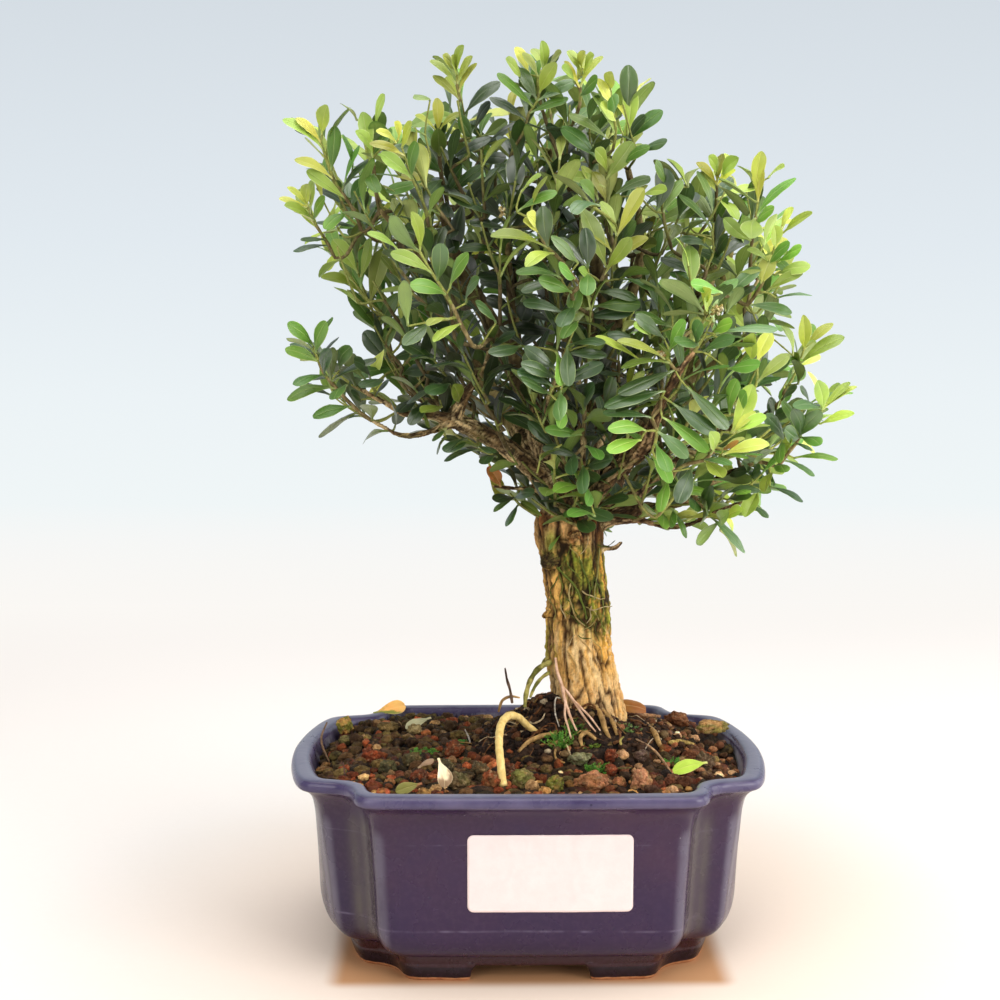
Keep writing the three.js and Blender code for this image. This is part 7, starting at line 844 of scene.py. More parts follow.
-209,782,2612,-386,774,2773,74,55,51,65,3,11,0,-259,851,2685,-339,1056,2753,82,-21,-38,89,2,10,0,-259,851,2685,-354,915,2817,64,81,44,37,2,3,0,
-233,623,2515,-407,860,2521,91,-31,-24,91,3,7,0,-233,623,2515,-313,543,2740,86,-5,93,33,2,8,1,-343,683,2635,-389,803,2829,82,-36,-82,42,2,8,1,
-343,683,2635,-507,717,2729,70,51,23,82,2,5,0,283,912,2405,459,1080,2383,79,-9,16,97,3,4,0,283,912,2405,85,929,2523,81,53,34,76,3,8,0,
276,979,2450,442,1146,2588,94,-54,-13,82,3,10,0,276,979,2450,58,1121,2577,101,57,21,78,3,5,0,265,1070,2528,349,1208,2639,64,-73,-9,67,2,4,0,
265,1070,2528,190,1230,2661,76,60,-32,72,2,7,0,-238,-340,2875,-76,-468,3024,89,-56,25,77,3,7,1,-286,-394,2965,-506,-562,3006,98,5,23,96,3,11,1,
-329,-441,3061,-474,-473,3190,71,67,-26,68,2,7,1,-329,-441,3061,-327,-562,3185,62,-66,53,52,3,11,1,-66,-29,2580,-232,112,2712,91,12,-61,77,3,4,0,
-146,-79,2648,-146,-93,2872,79,-76,64,3,3,8,1,77,-109,2788,-86,-170,2977,90,73,3,67,2,4,0,77,-109,2788,251,-223,2936,83,-59,8,79,3,5,0,
108,-187,2964,160,-186,3141,67,-76,-59,23,2,11,0,108,-187,2964,91,-363,3109,76,13,62,76,2,9,1,-218,-288,2802,-174,-325,3070,98,-75,61,21,3,3,1,
-275,-298,2904,-336,-253,3064,63,18,-92,33,3,3,1,-275,-298,2904,-368,-394,3035,68,31,64,69,2,8,1,0,-144,2784,-180,19,2909,87,32,-28,89,3,4,1,
0,-144,2784,-13,-385,2940,91,-28,50,81,3,11,1,-100,-179,2955,-162,-189,3152,70,68,-70,18,2,9,0,-2,-21,3021,-183,-24,3142,83,57,-24,77,3,7,0,
-2,-21,3021,116,-233,3081,87,-58,-2,80,3,9,0,-31,-71,3079,-199,-223,3076,81,14,-20,96,3,3,0,-272,4,2579,-451,158,2620,83,-29,-48,82,1,9,0,
-377,-31,2643,-502,141,2753,91,-10,-63,76,0,7,1,-377,-31,2643,-469,-264,2649,95,-44,26,85,0,4,1,-440,-52,2696,-595,-38,2800,62,46,-46,75,0,4,0,
-440,-52,2696,-538,-192,2761,63,-30,56,76,0,4,1,-139,-236,2641,-120,-250,2912,92,-98,13,8,2,11,1,-80,391,2980,-235,492,3116,85,39,-52,74,3,4,0,
-80,391,2980,84,264,3100,91,-52,20,82,3,10,0,-78,383,3065,105,508,3231,99,-28,-64,70,3,3,1,-78,383,3065,-251,236,3150,79,49,4,86,3,7,0,
-77,375,3149,-276,482,3290,94,55,-17,81,3,9,0,-77,375,3149,69,272,3322,89,-62,35,68,3,4,0,-76,368,3233,-22,397,3397,55,-87,-33,34,2,6,0,
-76,368,3233,-156,287,3381,68,66,44,60,3,4,0,120,391,2674,-69,537,2791,85,21,-45,85,3,9,1,120,391,2674,158,258,2874,81,-38,74,53,3,5,0,
63,399,2775,159,533,2933,78,-64,-40,64,3,10,1,63,399,2775,-125,289,2761,83,-15,27,94,3,8,0,14,406,2879,-139,475,3005,72,53,-27,79,3,4,0,
14,406,2879,-3,354,3066,69,-19,94,25,3,4,0,266,335,2772,370,503,2910,75,-21,-53,81,3,7,0,266,335,2772,178,239,2966,78,61,55,55,3,8,0,
279,379,2937,328,397,3126,70,-93,24,22,3,4,0,279,379,2937,261,448,3102,61,33,-85,39,3,5,0,168,525,2660,4,721,2830,104,51,-24,81,3,8,0,
168,525,2660,361,507,2884,100,-67,35,64,3,4,0,174,623,2845,218,773,3002,74,-44,-58,67,3,10,0,174,623,2845,153,665,3016,63,89,-39,21,2,8,0,
-418,819,2919,-631,857,2944,91,12,-91,36,5,7,0,-186,940,2805,-336,907,2917,85,-11,-44,88,2,4,0,-313,671,2600,-188,725,2523,68,-6,-49,86,1,7,0,
-174,916,2769,-61,957,2526,120,60,1,79,1,6,0,
    ]},
    "low_left_twig": {"twigs": [
177,101,2276,-1,123,166,153,2298,0,82,175,195,2312,1,82,208,180,2297,2,82,241,165,2283,3,57,275,150,2271,4,45,309,134,2261,5,45,344,118,2254,6,45,
379,102,2249,7,36,415,86,2246,8,36,450,69,2245,9,36,230,146,2323,3,72,251,157,2358,11,72,271,167,2392,12,72,290,177,2428,13,65,309,187,2464,14,65,
326,195,2501,15,57,342,204,2538,16,57,358,212,2575,17,45,373,220,2613,18,45,389,228,2651,19,45,207,56,2253,0,95,231,10,2239,21,86,235,-29,2250,22,86,
239,-68,2263,23,65,244,-105,2279,24,57,248,-142,2297,25,57,252,-177,2317,26,45,255,-211,2340,27,45,259,-244,2363,28,45,152,109,2237,0,77,
130,118,2201,30,77,100,116,2177,31,57,72,94,2193,32,57,45,73,2209,33,57,17,55,2227,34,57,-13,43,2248,35,57,-42,37,2271,36,57,-68,34,2299,37,52,
-90,36,2330,38,36,-39,-25,2359,-1,36,-58,36,2357,40,36,189,-51,2262,23,72,146,-70,2274,42,72,144,-105,2293,43,72,142,-140,2313,44,72,
139,-173,2333,45,65,137,-206,2356,46,65,135,-237,2381,47,57,133,-267,2406,48,57,131,-296,2433,49,57,129,-324,2461,50,45,127,-353,2489,51,45,
106,56,2384,-1,57,110,-11,2375,53,57,79,-26,2396,54,57,50,-40,2419,55,45,22,-54,2446,56,45,-4,-66,2474,57,45,-29,-78,2503,58,45,226,60,2203,21,61,
239,77,2155,60,61,261,73,2119,61,61,278,37,2135,62,61,295,3,2153,63,57,311,-30,2174,64,57,326,-62,2197,65,57,341,-92,2223,66,45,355,-121,2250,67,45,
147,148,2157,31,65,173,178,2122,69,65,186,218,2099,70,65,164,250,2108,71,65,143,282,2119,72,65,121,314,2130,73,61,101,345,2144,74,61,
80,375,2161,75,57,61,404,2179,76,57,41,433,2199,77,57,23,461,2220,78,45,4,489,2241,79,45,
    ], "leaves": [
-68,34,2299,-177,-184,2317,80,42,-17,88,3,6,1,-68,34,2299,30,-181,2348,80,-81,-22,52,3,6,1,-68,34,2299,-176,-76,2239,72,-36,-26,88,2,9,1,
-42,37,2271,-113,-65,2164,72,-58,-28,75,3,6,1,-58,36,2357,-103,-98,2462,72,96,-23,12,3,9,1,143,282,2119,193,552,2133,94,-52,6,84,3,6,0,
101,345,2144,190,627,2161,92,-55,15,81,3,9,0,41,433,2199,87,659,2220,76,-59,-1,80,2,6,0,41,433,2199,-167,394,2343,92,45,50,73,2,5,1,
4,489,2241,-7,696,2322,75,-55,-33,76,2,7,0,4,489,2241,-163,568,2313,64,51,37,76,2,5,0,239,-68,2263,60,-272,2318,89,27,4,95,3,4,0,
239,-68,2263,390,-194,2349,79,-63,-20,74,2,9,0,248,-142,2297,94,-274,2506,100,82,-13,54,2,11,0,248,-142,2297,432,-293,2234,85,-16,-57,79,3,3,1,
259,-244,2363,226,-426,2499,82,98,-6,16,2,5,0,259,-244,2363,332,-403,2466,73,-81,-1,56,2,8,0,79,-26,2396,-110,94,2462,82,2,-43,89,3,5,0,
241,165,2283,352,-19,2402,85,66,64,37,3,9,0,241,165,2283,443,184,2080,90,69,-29,65,3,9,1,450,69,2245,592,-98,2322,83,32,60,72,2,3,1,
142,-140,2313,282,-313,2341,74,-28,-8,95,1,4,1,137,-206,2356,186,-202,2606,84,-85,-48,19,1,9,1,137,-206,2356,79,-473,2356,98,11,-4,98,1,7,1,
131,-296,2433,314,-419,2435,77,-18,-14,96,0,10,0,127,-353,2489,156,-456,2615,59,-63,51,56,0,9,0,127,-353,2489,78,-502,2527,53,-10,27,95,0,5,0,
278,37,2135,150,-116,2253,79,55,12,81,3,5,0,326,-62,2197,244,-225,2366,83,70,33,62,3,7,0,326,-62,2197,573,-176,2219,98,-10,4,98,3,8,1,
355,-121,2250,354,-274,2368,69,43,54,71,2,3,1,355,-121,2250,517,-236,2326,78,-58,-36,72,3,10,1,271,167,2392,452,9,2523,98,-10,57,81,3,10,0,
271,167,2392,229,351,2583,86,61,-50,60,3,6,0,309,187,2464,225,178,2676,78,92,-6,36,3,4,0,309,187,2464,558,273,2533,97,-22,-12,96,3,11,0,
342,204,2538,532,113,2763,97,-42,62,64,3,10,1,342,204,2538,331,370,2747,80,32,-70,62,3,8,0,389,228,2651,384,239,2859,76,78,-61,5,2,10,1,
389,228,2651,526,291,2805,72,-70,-14,68,3,11,0,
    ]},
    "front_left": {"twigs": [
-81,0,3348,-1,119,-65,0,3348,0,119,-67,-12,3388,1,119,-70,-23,3427,2,119,-72,-35,3466,3,119,-75,-47,3506,4,119,-79,-59,3545,5,111,-84,-71,3584,6,65,
-91,-83,3622,7,61,-100,-95,3661,8,61,-104,-107,3700,9,61,-101,-119,3739,10,57,-92,-131,3777,11,45,-78,-143,3814,12,36,-64,-156,3850,13,36,
-49,-168,3887,14,36,-46,-44,3308,1,88,-59,-68,3339,16,86,-72,-91,3371,17,86,-83,-112,3405,18,82,-94,-132,3439,19,57,-105,-151,3474,20,45,
-115,-169,3510,21,45,-124,-187,3546,22,45,-113,-245,3640,-1,65,-125,-230,3643,24,65,-117,-248,3676,25,65,-109,-264,3710,26,65,-102,-280,3744,27,57,
-95,-295,3779,28,57,-89,-309,3814,29,57,-83,-322,3849,30,45,-77,-335,3885,31,45,-71,-347,3921,32,45,-119,-59,3560,6,103,-116,-77,3595,34,101,
-112,-95,3631,35,57,-109,-111,3667,36,57,-106,-126,3704,37,57,-103,-140,3741,38,45,-101,-154,3778,39,45,-98,-167,3815,40,45,-140,-75,3591,35,92,
-24,14,3342,1,36,14,30,3334,43,36,-55,0,3260,16,36,-50,-24,3530,5,88,-24,2,3546,46,88,-182,-65,3632,42,90,-198,-83,3662,48,90,-214,-102,3693,49,90,
-229,-119,3724,50,86,-244,-136,3757,51,86,-257,-152,3790,52,57,-270,-167,3823,53,57,-283,-181,3858,54,45,-295,-195,3892,55,45,-307,-209,3926,56,45,
-140,-122,3755,11,36,342,247,3667,-1,82,298,230,3651,59,82,259,221,3651,60,57,256,239,3688,61,57,253,256,3726,62,45,251,272,3765,63,45,
248,286,3805,64,45,246,299,3844,65,45,-222,-150,3757,52,72,-225,-154,3799,67,72,-228,-158,3841,68,72,-230,-162,3884,69,65,-233,-165,3926,70,65,
-235,-168,3968,71,57,-237,-171,4010,72,57,-239,-174,4052,73,45,-241,-177,4094,74,45,-164,-27,3585,34,36,-202,9,3608,76,36,-39,-140,3432,19,72,
13,-159,3446,78,72,56,-184,3467,79,72,64,-210,3494,80,72,72,-235,3521,81,72,79,-259,3550,82,65,87,-282,3579,83,65,93,-303,3609,84,57,
100,-324,3640,85,57,106,-344,3672,86,45,112,-364,3704,87,45,118,-383,3736,88,45,18,0,3588,47,72,53,-14,3629,90,72,77,-29,3675,91,72,73,-40,3715,92,72,
69,-50,3755,93,72,66,-60,3796,94,65,62,-69,3836,95,65,59,-78,3877,96,57,56,-86,3918,97,57,53,-93,3959,98,45,50,-101,4000,99,45,47,-108,4041,100,45,
27,9,3548,47,65,75,9,3543,102,65,120,3,3542,103,65,157,-9,3557,104,65,153,-27,3595,105,65,149,-45,3633,106,57,146,-62,3672,107,57,142,-77,3711,108,57,
139,-92,3751,109,45,136,-106,3791,110,45,133,-119,3831,111,45,344,-49,3122,-1,36,300,-36,3135,113,36,260,-24,3147,114,36,221,-12,3159,115,36,
182,0,3171,116,36,263,267,3633,60,72,240,310,3615,118,72,222,356,3602,119,72,208,402,3596,120,72,192,447,3603,121,72,185,471,3638,122,72,
178,493,3673,123,72,171,514,3709,124,65,165,534,3746,125,65,159,553,3783,126,57,153,571,3821,127,57,148,589,3860,128,45,143,606,3898,129,45,
    ], "leaves": [
-140,-122,3755,-405,-196,3883,104,48,-55,67,4,3,1,-104,-107,3700,-304,-155,3737,72,32,-62,70,4,5,1,-92,-131,3777,-52,-323,3878,87,-27,-51,-81,4,8,1,
-101,-119,3739,-132,-263,3820,72,73,16,64,6,8,1,-92,-131,3777,-82,-290,3803,72,-79,6,60,6,6,0,-202,9,3608,-227,-208,3686,80,18,31,92,5,5,1,
-140,-75,3591,-356,-129,3607,75,22,-65,71,2,9,1,-84,-71,3584,-152,-299,3524,80,3,-31,94,1,5,1,-75,-47,3506,-127,-274,3545,80,28,11,94,5,3,1,
-72,-35,3466,-253,-199,3465,80,43,-57,68,4,5,1,-67,-12,3388,-249,-56,3449,72,42,-73,51,4,3,1,-70,-23,3427,-45,-246,3332,80,83,29,-46,5,9,1,
-55,0,3260,-212,-151,3351,80,69,-71,1,3,4,1,14,30,3334,-33,-189,3238,95,38,-44,80,3,10,1,182,0,3171,-103,-71,3211,99,27,-74,61,3,4,1,
-24,2,3546,57,-212,3591,80,-89,-27,34,3,5,1,-244,-136,3757,-136,-178,4012,94,-91,-2,39,1,7,0,-244,-136,3757,-468,-252,3878,98,45,3,88,1,10,1,
72,-235,3521,-103,-341,3613,74,52,-13,83,3,5,0,72,-235,3521,258,-294,3652,75,-60,-19,77,3,6,0,87,-282,3579,111,-226,3832,83,3,-96,22,3,11,0,
87,-282,3579,123,-507,3575,73,4,-2,99,3,8,0,100,-324,3640,-35,-437,3865,94,85,-10,50,3,10,0,100,-324,3640,297,-436,3749,84,-39,10,90,3,7,0,
118,-383,3736,173,-402,3920,62,-86,-44,21,3,5,0,118,-383,3736,128,-543,3832,65,-13,50,84,3,6,1,153,-27,3595,67,56,3796,82,48,-67,55,3,9,0,
153,-27,3595,226,-235,3670,74,-49,6,86,3,10,0,142,-77,3711,289,-22,3958,100,-85,6,50,3,8,0,142,-77,3711,-50,-281,3805,92,30,14,93,3,11,0,
133,-119,3831,105,-108,4049,78,70,-69,13,2,4,0,133,-119,3831,136,-274,3966,65,-7,65,75,3,6,0,-109,-264,3710,67,-382,3836,90,-29,48,81,3,10,1,
-89,-309,3814,-77,-237,4062,99,9,-96,24,3,10,1,-71,-347,3921,-83,-419,4124,71,86,44,20,3,8,1,-71,-347,3921,-5,-425,4060,63,-81,23,52,3,9,1,
-116,-77,3595,-243,-100,3791,69,79,-21,56,2,11,0,-116,-77,3595,121,-223,3725,96,-48,-12,86,2,8,0,-106,-126,3704,-31,-6,3937,92,-45,-72,52,1,7,0,
-98,-167,3815,-166,-206,3987,65,92,4,37,1,4,0,-98,-167,3815,0,-247,3948,61,-53,49,68,1,9,1,-228,-158,3841,-60,-330,3927,96,-19,34,91,2,4,1,
-233,-165,3926,-91,38,4056,94,-32,-40,84,2,8,1,-237,-171,4010,-108,-311,4129,76,-47,34,81,1,7,1,69,-50,3755,-97,45,3955,103,49,-56,66,3,7,0,
69,-50,3755,221,-243,3898,105,-29,42,85,3,5,0,62,-69,3836,96,36,4052,82,-6,-89,44,3,9,0,62,-69,3836,-25,-322,3900,86,-11,28,94,3,5,1,
56,-86,3918,-91,0,4163,90,64,-48,59,3,8,1,56,-86,3918,191,-280,4074,92,-35,37,85,3,4,1,47,-108,4041,60,-108,4244,74,-95,-26,6,3,4,1,
47,-108,4041,-3,-198,4228,72,51,70,47,2,3,1,-94,-132,3439,7,-102,3672,84,-89,-16,41,3,4,0,-94,-132,3439,-245,-290,3568,87,38,33,85,3,7,1,
-124,-187,3546,-107,-346,3683,73,-25,61,74,3,7,1,256,239,3688,348,389,3844,86,-50,-44,73,3,3,0,256,239,3688,112,193,3905,89,79,18,57,3,5,0,
246,299,3844,277,314,4042,65,-96,-17,16,2,6,0,246,299,3844,183,435,4002,79,31,-65,68,2,10,0,178,493,3673,274,701,3812,88,-37,-41,82,3,4,0,
178,493,3673,3,425,3885,95,61,47,62,3,8,0,165,534,3746,275,569,3923,72,-85,-8,50,3,10,0,165,534,3746,-49,626,3775,83,22,4,97,3,6,0,
153,571,3821,259,718,3965,83,-59,-33,72,3,6,0,153,571,3821,-37,521,3956,88,48,42,76,3,7,0,143,606,3898,140,625,4098,70,-91,38,-5,3,10,0,
143,606,3898,103,723,4029,62,25,-68,68,2,6,0,17,-1,3582,-35,-43,3337,122,77,-50,38,1,-1,1,338,247,3672,160,222,3870,129,51,-59,61,4,-1,1,
    ]},
    "front_centre": {"twigs": [
297,-440,3254,-1,85,304,-443,3294,0,85,316,-445,3332,1,85,332,-448,3369,2,85,347,-451,3407,3,85,362,-454,3444,4,77,376,-456,3482,5,74,
389,-459,3520,6,68,403,-462,3559,7,68,415,-465,3597,8,61,424,-467,3636,9,61,426,-470,3677,10,52,265,-410,3245,0,36,256,-482,3277,0,85,
218,-522,3299,13,85,192,-554,3276,14,36,171,-582,3248,15,36,285,-433,3374,2,36,249,-418,3407,17,36,205,-568,3326,14,84,198,-612,3353,19,84,
236,-612,3391,20,77,211,-627,3420,21,77,187,-642,3449,22,74,163,-658,3480,23,72,137,-674,3508,24,72,109,-687,3534,25,72,78,-692,3561,26,68,
55,-692,3595,27,61,34,-692,3631,28,61,13,-692,3666,29,57,-8,-692,3702,30,52,169,-598,3380,20,45,141,-576,3403,32,36,143,-644,3422,32,36,
224,-651,3493,23,36,399,-424,3426,4,45,449,-395,3433,36,45,316,-497,3434,4,52,279,-542,3448,38,52,277,-568,3475,39,45,433,-419,3578,8,36,
460,-374,3588,41,36,321,-219,3183,-1,65,359,-215,3207,43,65,393,-211,3230,44,65,420,-212,3259,45,65,420,-224,3296,46,65,420,-236,3333,47,57,
420,-246,3370,48,57,420,-255,3408,49,57,420,-264,3446,50,45,420,-273,3483,51,45,420,-281,3521,52,45,-70,-692,3730,31,45,-66,-692,3779,54,36,
-51,-692,3824,55,36,401,-501,3706,11,52,374,-533,3725,57,52,346,-566,3739,58,52,318,-599,3751,59,52,291,-632,3765,60,52,269,-602,3778,61,36,
325,-685,3759,61,36,
    ], "leaves": [
424,-467,3636,545,-537,3862,99,-60,-78,7,0,4,1,424,-467,3636,348,-513,3802,72,66,-73,10,0,6,1,376,-456,3482,254,-535,3762,108,46,-88,-5,1,5,1,
403,-462,3559,276,-505,3673,72,58,-74,32,0,7,1,362,-454,3444,577,-527,3623,103,-62,-60,49,0,9,1,376,-456,3482,481,-612,3620,84,-45,-72,-52,1,6,1,
332,-448,3369,229,-649,3460,80,85,-32,39,1,4,1,460,-374,3588,509,-564,3697,80,-92,-33,-15,4,7,1,449,-395,3433,573,-580,3470,80,35,40,83,5,3,1,
454,-395,3433,595,-566,3370,80,-3,-36,92,4,6,1,332,-448,3369,524,-497,3330,72,-8,-77,62,4,5,1,304,-443,3294,543,-504,3310,84,-21,-82,52,2,6,1,
265,-410,3245,512,-473,3282,89,-28,-77,56,3,3,1,279,-542,3448,260,-763,3345,83,2,-42,90,2,7,1,304,-443,3294,117,-495,3222,84,22,-96,8,1,7,1,
249,-418,3407,198,-616,3271,84,21,-58,77,2,8,1,13,-692,3666,-27,-841,3705,72,95,-29,4,0,10,1,34,-692,3631,-45,-828,3670,72,81,-35,45,0,5,1,
78,-692,3561,51,-741,3753,86,-2,-96,-25,4,8,1,224,-651,3493,96,-814,3606,80,80,-57,8,4,6,1,277,-568,3475,129,-619,3615,72,43,-88,13,3,5,1,
277,-568,3475,259,-616,3663,92,-5,-96,-25,3,9,1,109,-687,3534,-28,-886,3471,80,19,-43,87,1,8,1,143,-644,3422,-75,-698,3452,76,25,-61,74,2,10,1,
198,-612,3353,32,-778,3409,80,72,-64,23,2,9,1,141,-576,3403,-49,-624,3361,72,2,-68,72,4,9,1,171,-582,3248,-40,-635,3308,75,33,-83,42,4,4,1,
211,-627,3420,128,-830,3471,80,90,-32,26,2,3,1,-51,-692,3824,39,-810,3883,72,-73,-25,62,1,4,1,-8,-692,3702,60,-744,3892,73,-92,-26,26,1,6,1,
78,-692,3561,-194,-758,3611,92,25,-57,77,1,8,1,-70,-692,3730,117,-744,3818,73,-46,-63,61,2,6,1,325,-685,3759,185,-886,3710,80,35,-45,81,4,7,1,
291,-632,3765,110,-691,3918,83,51,38,76,6,8,1,269,-602,3778,138,-808,3773,80,-61,37,69,5,3,1,218,-522,3299,134,-728,3195,80,-10,-41,90,3,8,1,
420,-224,3296,478,-124,3522,85,-63,-60,48,3,5,1,420,-224,3296,339,-474,3433,103,43,27,85,3,4,1,420,-255,3408,514,-430,3503,73,-17,40,89,3,10,1,
420,-255,3408,310,-131,3638,98,55,-58,58,3,11,1,420,-281,3521,514,-239,3731,80,-73,-51,43,2,4,0,420,-281,3521,359,-388,3653,59,46,56,67,3,5,1,
    ]},
    "front_bud": {"twigs": [
790,-620,3069,-1,74,766,-591,3101,0,74,744,-565,3131,1,74,722,-540,3159,2,52,700,-514,3188,3,52,701,-501,3261,4,36,776,-536,3166,2,65,
817,-516,3193,6,65,852,-514,3227,7,65,852,-548,3253,8,61,851,-581,3281,9,52,845,-600,3318,10,36,834,-594,3359,11,36,902,-514,3217,8,36,
884,-601,3340,11,36,926,-597,3354,14,36,864,-80,3324,-1,80,823,-104,3297,16,80,792,-134,3287,17,80,807,-153,3320,18,57,820,-170,3354,19,45,
832,-186,3390,20,45,844,-201,3426,21,45,855,-215,3463,22,45,865,-228,3499,23,45,802,-178,3258,18,77,824,-216,3227,25,77,847,-252,3205,26,77,
860,-294,3202,27,65,849,-312,3237,28,65,839,-329,3272,29,65,829,-345,3309,30,57,820,-360,3345,31,57,811,-375,3383,32,57,802,-388,3420,33,45,
794,-401,3458,34,45,786,-414,3496,35,45,641,-510,3168,4,36,588,-514,3139,37,36,826,-288,3160,27,57,795,-317,3119,39,57,785,-357,3097,40,57,
812,-368,3127,41,57,837,-378,3159,42,45,860,-387,3193,43,45,882,-395,3228,44,45,902,-403,3264,45,45,649,-493,2815,-1,72,655,-449,2846,47,72,
661,-405,2873,48,72,667,-362,2898,49,72,672,-321,2923,50,72,677,-284,2950,51,72,681,-253,2982,52,72,682,-229,3022,53,72,679,-237,3062,54,72,
675,-244,3102,55,72,672,-251,3142,56,65,669,-258,3183,57,65,666,-264,3223,58,57,664,-270,3264,59,57,661,-275,3304,60,45,658,-281,3345,61,45,
656,-286,3386,62,45,
    ], "leaves": [
852,-548,3253,629,-603,3430,100,33,67,65,6,8,1,701,-501,3261,536,-560,3433,82,65,23,71,6,7,1,852,-548,3253,632,-584,3253,74,-3,34,93,6,3,1,
926,-597,3354,758,-784,3395,80,70,-52,48,2,3,1,851,-581,3281,843,-821,3356,80,-96,-4,-25,1,6,1,851,-581,3281,804,-798,3324,80,88,-27,-36,1,9,1,
902,-514,3217,885,-645,3318,72,-70,48,51,6,9,1,700,-514,3188,513,-563,3268,72,43,-65,61,2,6,1,588,-514,3139,487,-732,3195,80,89,-35,26,1,9,1,
675,-244,3102,539,-72,3299,95,21,-66,71,2,11,0,675,-244,3102,744,-399,3291,90,-53,55,63,2,6,1,669,-258,3183,876,-189,3387,102,-64,-24,72,2,7,0,
669,-258,3183,444,-368,3284,91,36,11,91,3,6,0,664,-270,3264,630,-109,3450,87,17,-69,69,2,9,1,664,-270,3264,677,-472,3393,85,7,49,86,2,9,1,
656,-286,3386,582,-346,3559,72,61,62,48,2,8,1,807,-153,3320,743,-314,3471,76,55,41,71,1,9,1,807,-153,3320,1042,-83,3499,93,-40,-48,76,1,3,1,
865,-228,3499,901,-244,3657,55,-96,-15,20,0,6,0,812,-368,3127,776,-460,3407,105,84,45,26,6,6,1,812,-368,3127,1069,-340,3162,86,-10,-19,97,3,4,0,
902,-403,3264,1029,-393,3441,81,-51,-74,41,2,9,1,902,-403,3264,993,-480,3406,64,-4,86,49,3,10,1,839,-329,3272,661,-346,3400,71,60,-7,78,2,6,0,
839,-329,3272,965,-423,3417,79,-50,49,71,2,3,0,811,-375,3383,814,-241,3608,96,20,-85,46,1,5,1,786,-414,3496,713,-436,3633,49,87,-22,43,1,10,0,
    ]},
    "front_right": {"twigs": [
790,-620,3069,-1,68,811,-620,3100,0,61,831,-620,3131,1,52,848,-620,3164,2,36,862,-620,3198,3,36,875,-620,3233,4,36,838,-590,3069,0,45,
886,-680,3154,3,36,862,-591,3145,2,45,890,-560,3152,8,45,726,-600,2982,-1,72,699,-620,2982,10,72,674,-620,3016,11,65,659,-620,3040,12,61,
650,-620,3035,13,45,669,-620,3074,13,45,664,-528,2854,-1,80,634,-560,2836,16,80,640,-593,2856,17,45,651,-620,2880,18,36,686,-620,2822,18,36,
722,-625,2941,11,36,753,-620,2905,21,36,633,-592,2795,17,74,638,-620,2754,23,36,593,-590,2749,23,72,614,-620,2686,25,68,560,-620,2686,26,45,
928,-571,3127,9,36,960,-590,3098,28,36,661,-591,3107,15,36,651,-560,3133,30,36,536,-620,2643,27,36,605,-620,2623,26,57,883,-585,3044,6,36,
922,-588,3015,34,36,961,-590,2987,35,36,595,-620,3026,14,36,543,-620,3021,37,36,596,-591,2591,33,52,588,-560,2566,39,36,617,-593,2538,39,45,
644,-607,2492,41,45,670,-620,2447,42,36,694,-613,2489,42,36,740,-617,2497,44,36,787,-620,2506,45,36,
    ], "leaves": [
699,-620,2982,416,-694,2872,103,-12,-65,74,3,3,1,651,-620,2880,349,-695,2814,105,1,-69,71,3,6,1,634,-560,2836,394,-619,2788,83,-7,-42,89,3,10,1,
593,-590,2749,348,-650,2780,83,23,-55,79,4,3,1,560,-620,2686,371,-783,2707,80,59,-62,50,2,10,1,536,-620,2643,362,-791,2603,80,39,-56,71,2,7,1,
753,-620,2905,953,-692,2704,101,30,-75,57,3,4,1,686,-620,2822,892,-685,2674,90,9,-85,49,3,6,1,638,-620,2754,858,-690,2588,98,27,-70,65,2,4,1,
614,-620,2686,760,-669,2558,73,-21,-96,13,4,8,1,605,-620,2623,651,-809,2504,80,20,-48,84,2,7,1,588,-560,2566,666,-730,2441,80,35,-44,82,2,5,1,
543,-620,3021,300,-685,3135,91,47,-36,80,1,5,1,650,-620,3035,411,-681,3121,86,40,-53,73,0,9,1,674,-620,3016,436,-678,3001,80,3,-35,93,1,8,1,
811,-620,3100,675,-832,3122,80,66,-36,64,4,6,1,659,-620,3040,611,-775,3100,72,68,7,72,5,6,1,670,-620,2447,611,-798,2307,80,-51,-41,74,2,8,1,
787,-620,2506,700,-774,2348,88,13,-74,65,3,10,1,669,-620,3074,712,-794,3217,80,-85,-43,-27,2,4,1,651,-560,3133,502,-723,3243,80,75,-64,7,4,4,1,
811,-620,3100,788,-822,3207,80,-80,-26,-52,4,6,1,886,-680,3154,1169,-754,3181,103,-19,-41,88,4,7,1,838,-590,3069,954,-768,3133,80,-84,-43,31,4,3,1,
960,-590,3098,1083,-684,3106,72,18,31,92,5,3,1,961,-590,2987,1083,-771,3010,80,-77,-46,42,2,5,1,890,-560,3152,937,-776,3208,80,-96,-15,21,2,6,1,
    ]},
    "right_low_front": {"twigs": [
644,-480,2800,-1,57,678,-477,2831,0,57,708,-474,2859,1,57,735,-473,2890,2,57,749,-477,2929,3,57,763,-480,2968,4,45,775,-483,3008,5,45,
786,-486,3048,6,45,796,-489,3088,7,45,592,-340,2614,-1,103,648,-341,2579,9,103,700,-350,2561,10,103,718,-372,2586,11,88,735,-392,2613,12,68,
750,-412,2642,13,68,765,-429,2672,14,68,779,-446,2702,15,68,792,-463,2734,16,68,574,-302,2579,-1,106,594,-265,2608,18,106,611,-230,2634,19,106,
630,-210,2668,20,106,640,-230,2701,21,65,650,-249,2734,22,65,660,-267,2768,23,57,669,-284,2802,24,57,677,-301,2837,25,57,685,-316,2873,26,45,
693,-331,2909,27,45,701,-345,2945,28,45,617,-183,2706,21,106,597,-156,2739,30,106,577,-135,2771,31,90,563,-123,2809,32,90,566,-138,2847,33,90,
570,-152,2886,34,90,574,-166,2924,35,86,577,-179,2963,36,65,580,-191,3002,37,57,583,-202,3042,38,57,586,-213,3081,39,45,589,-224,3121,40,45,
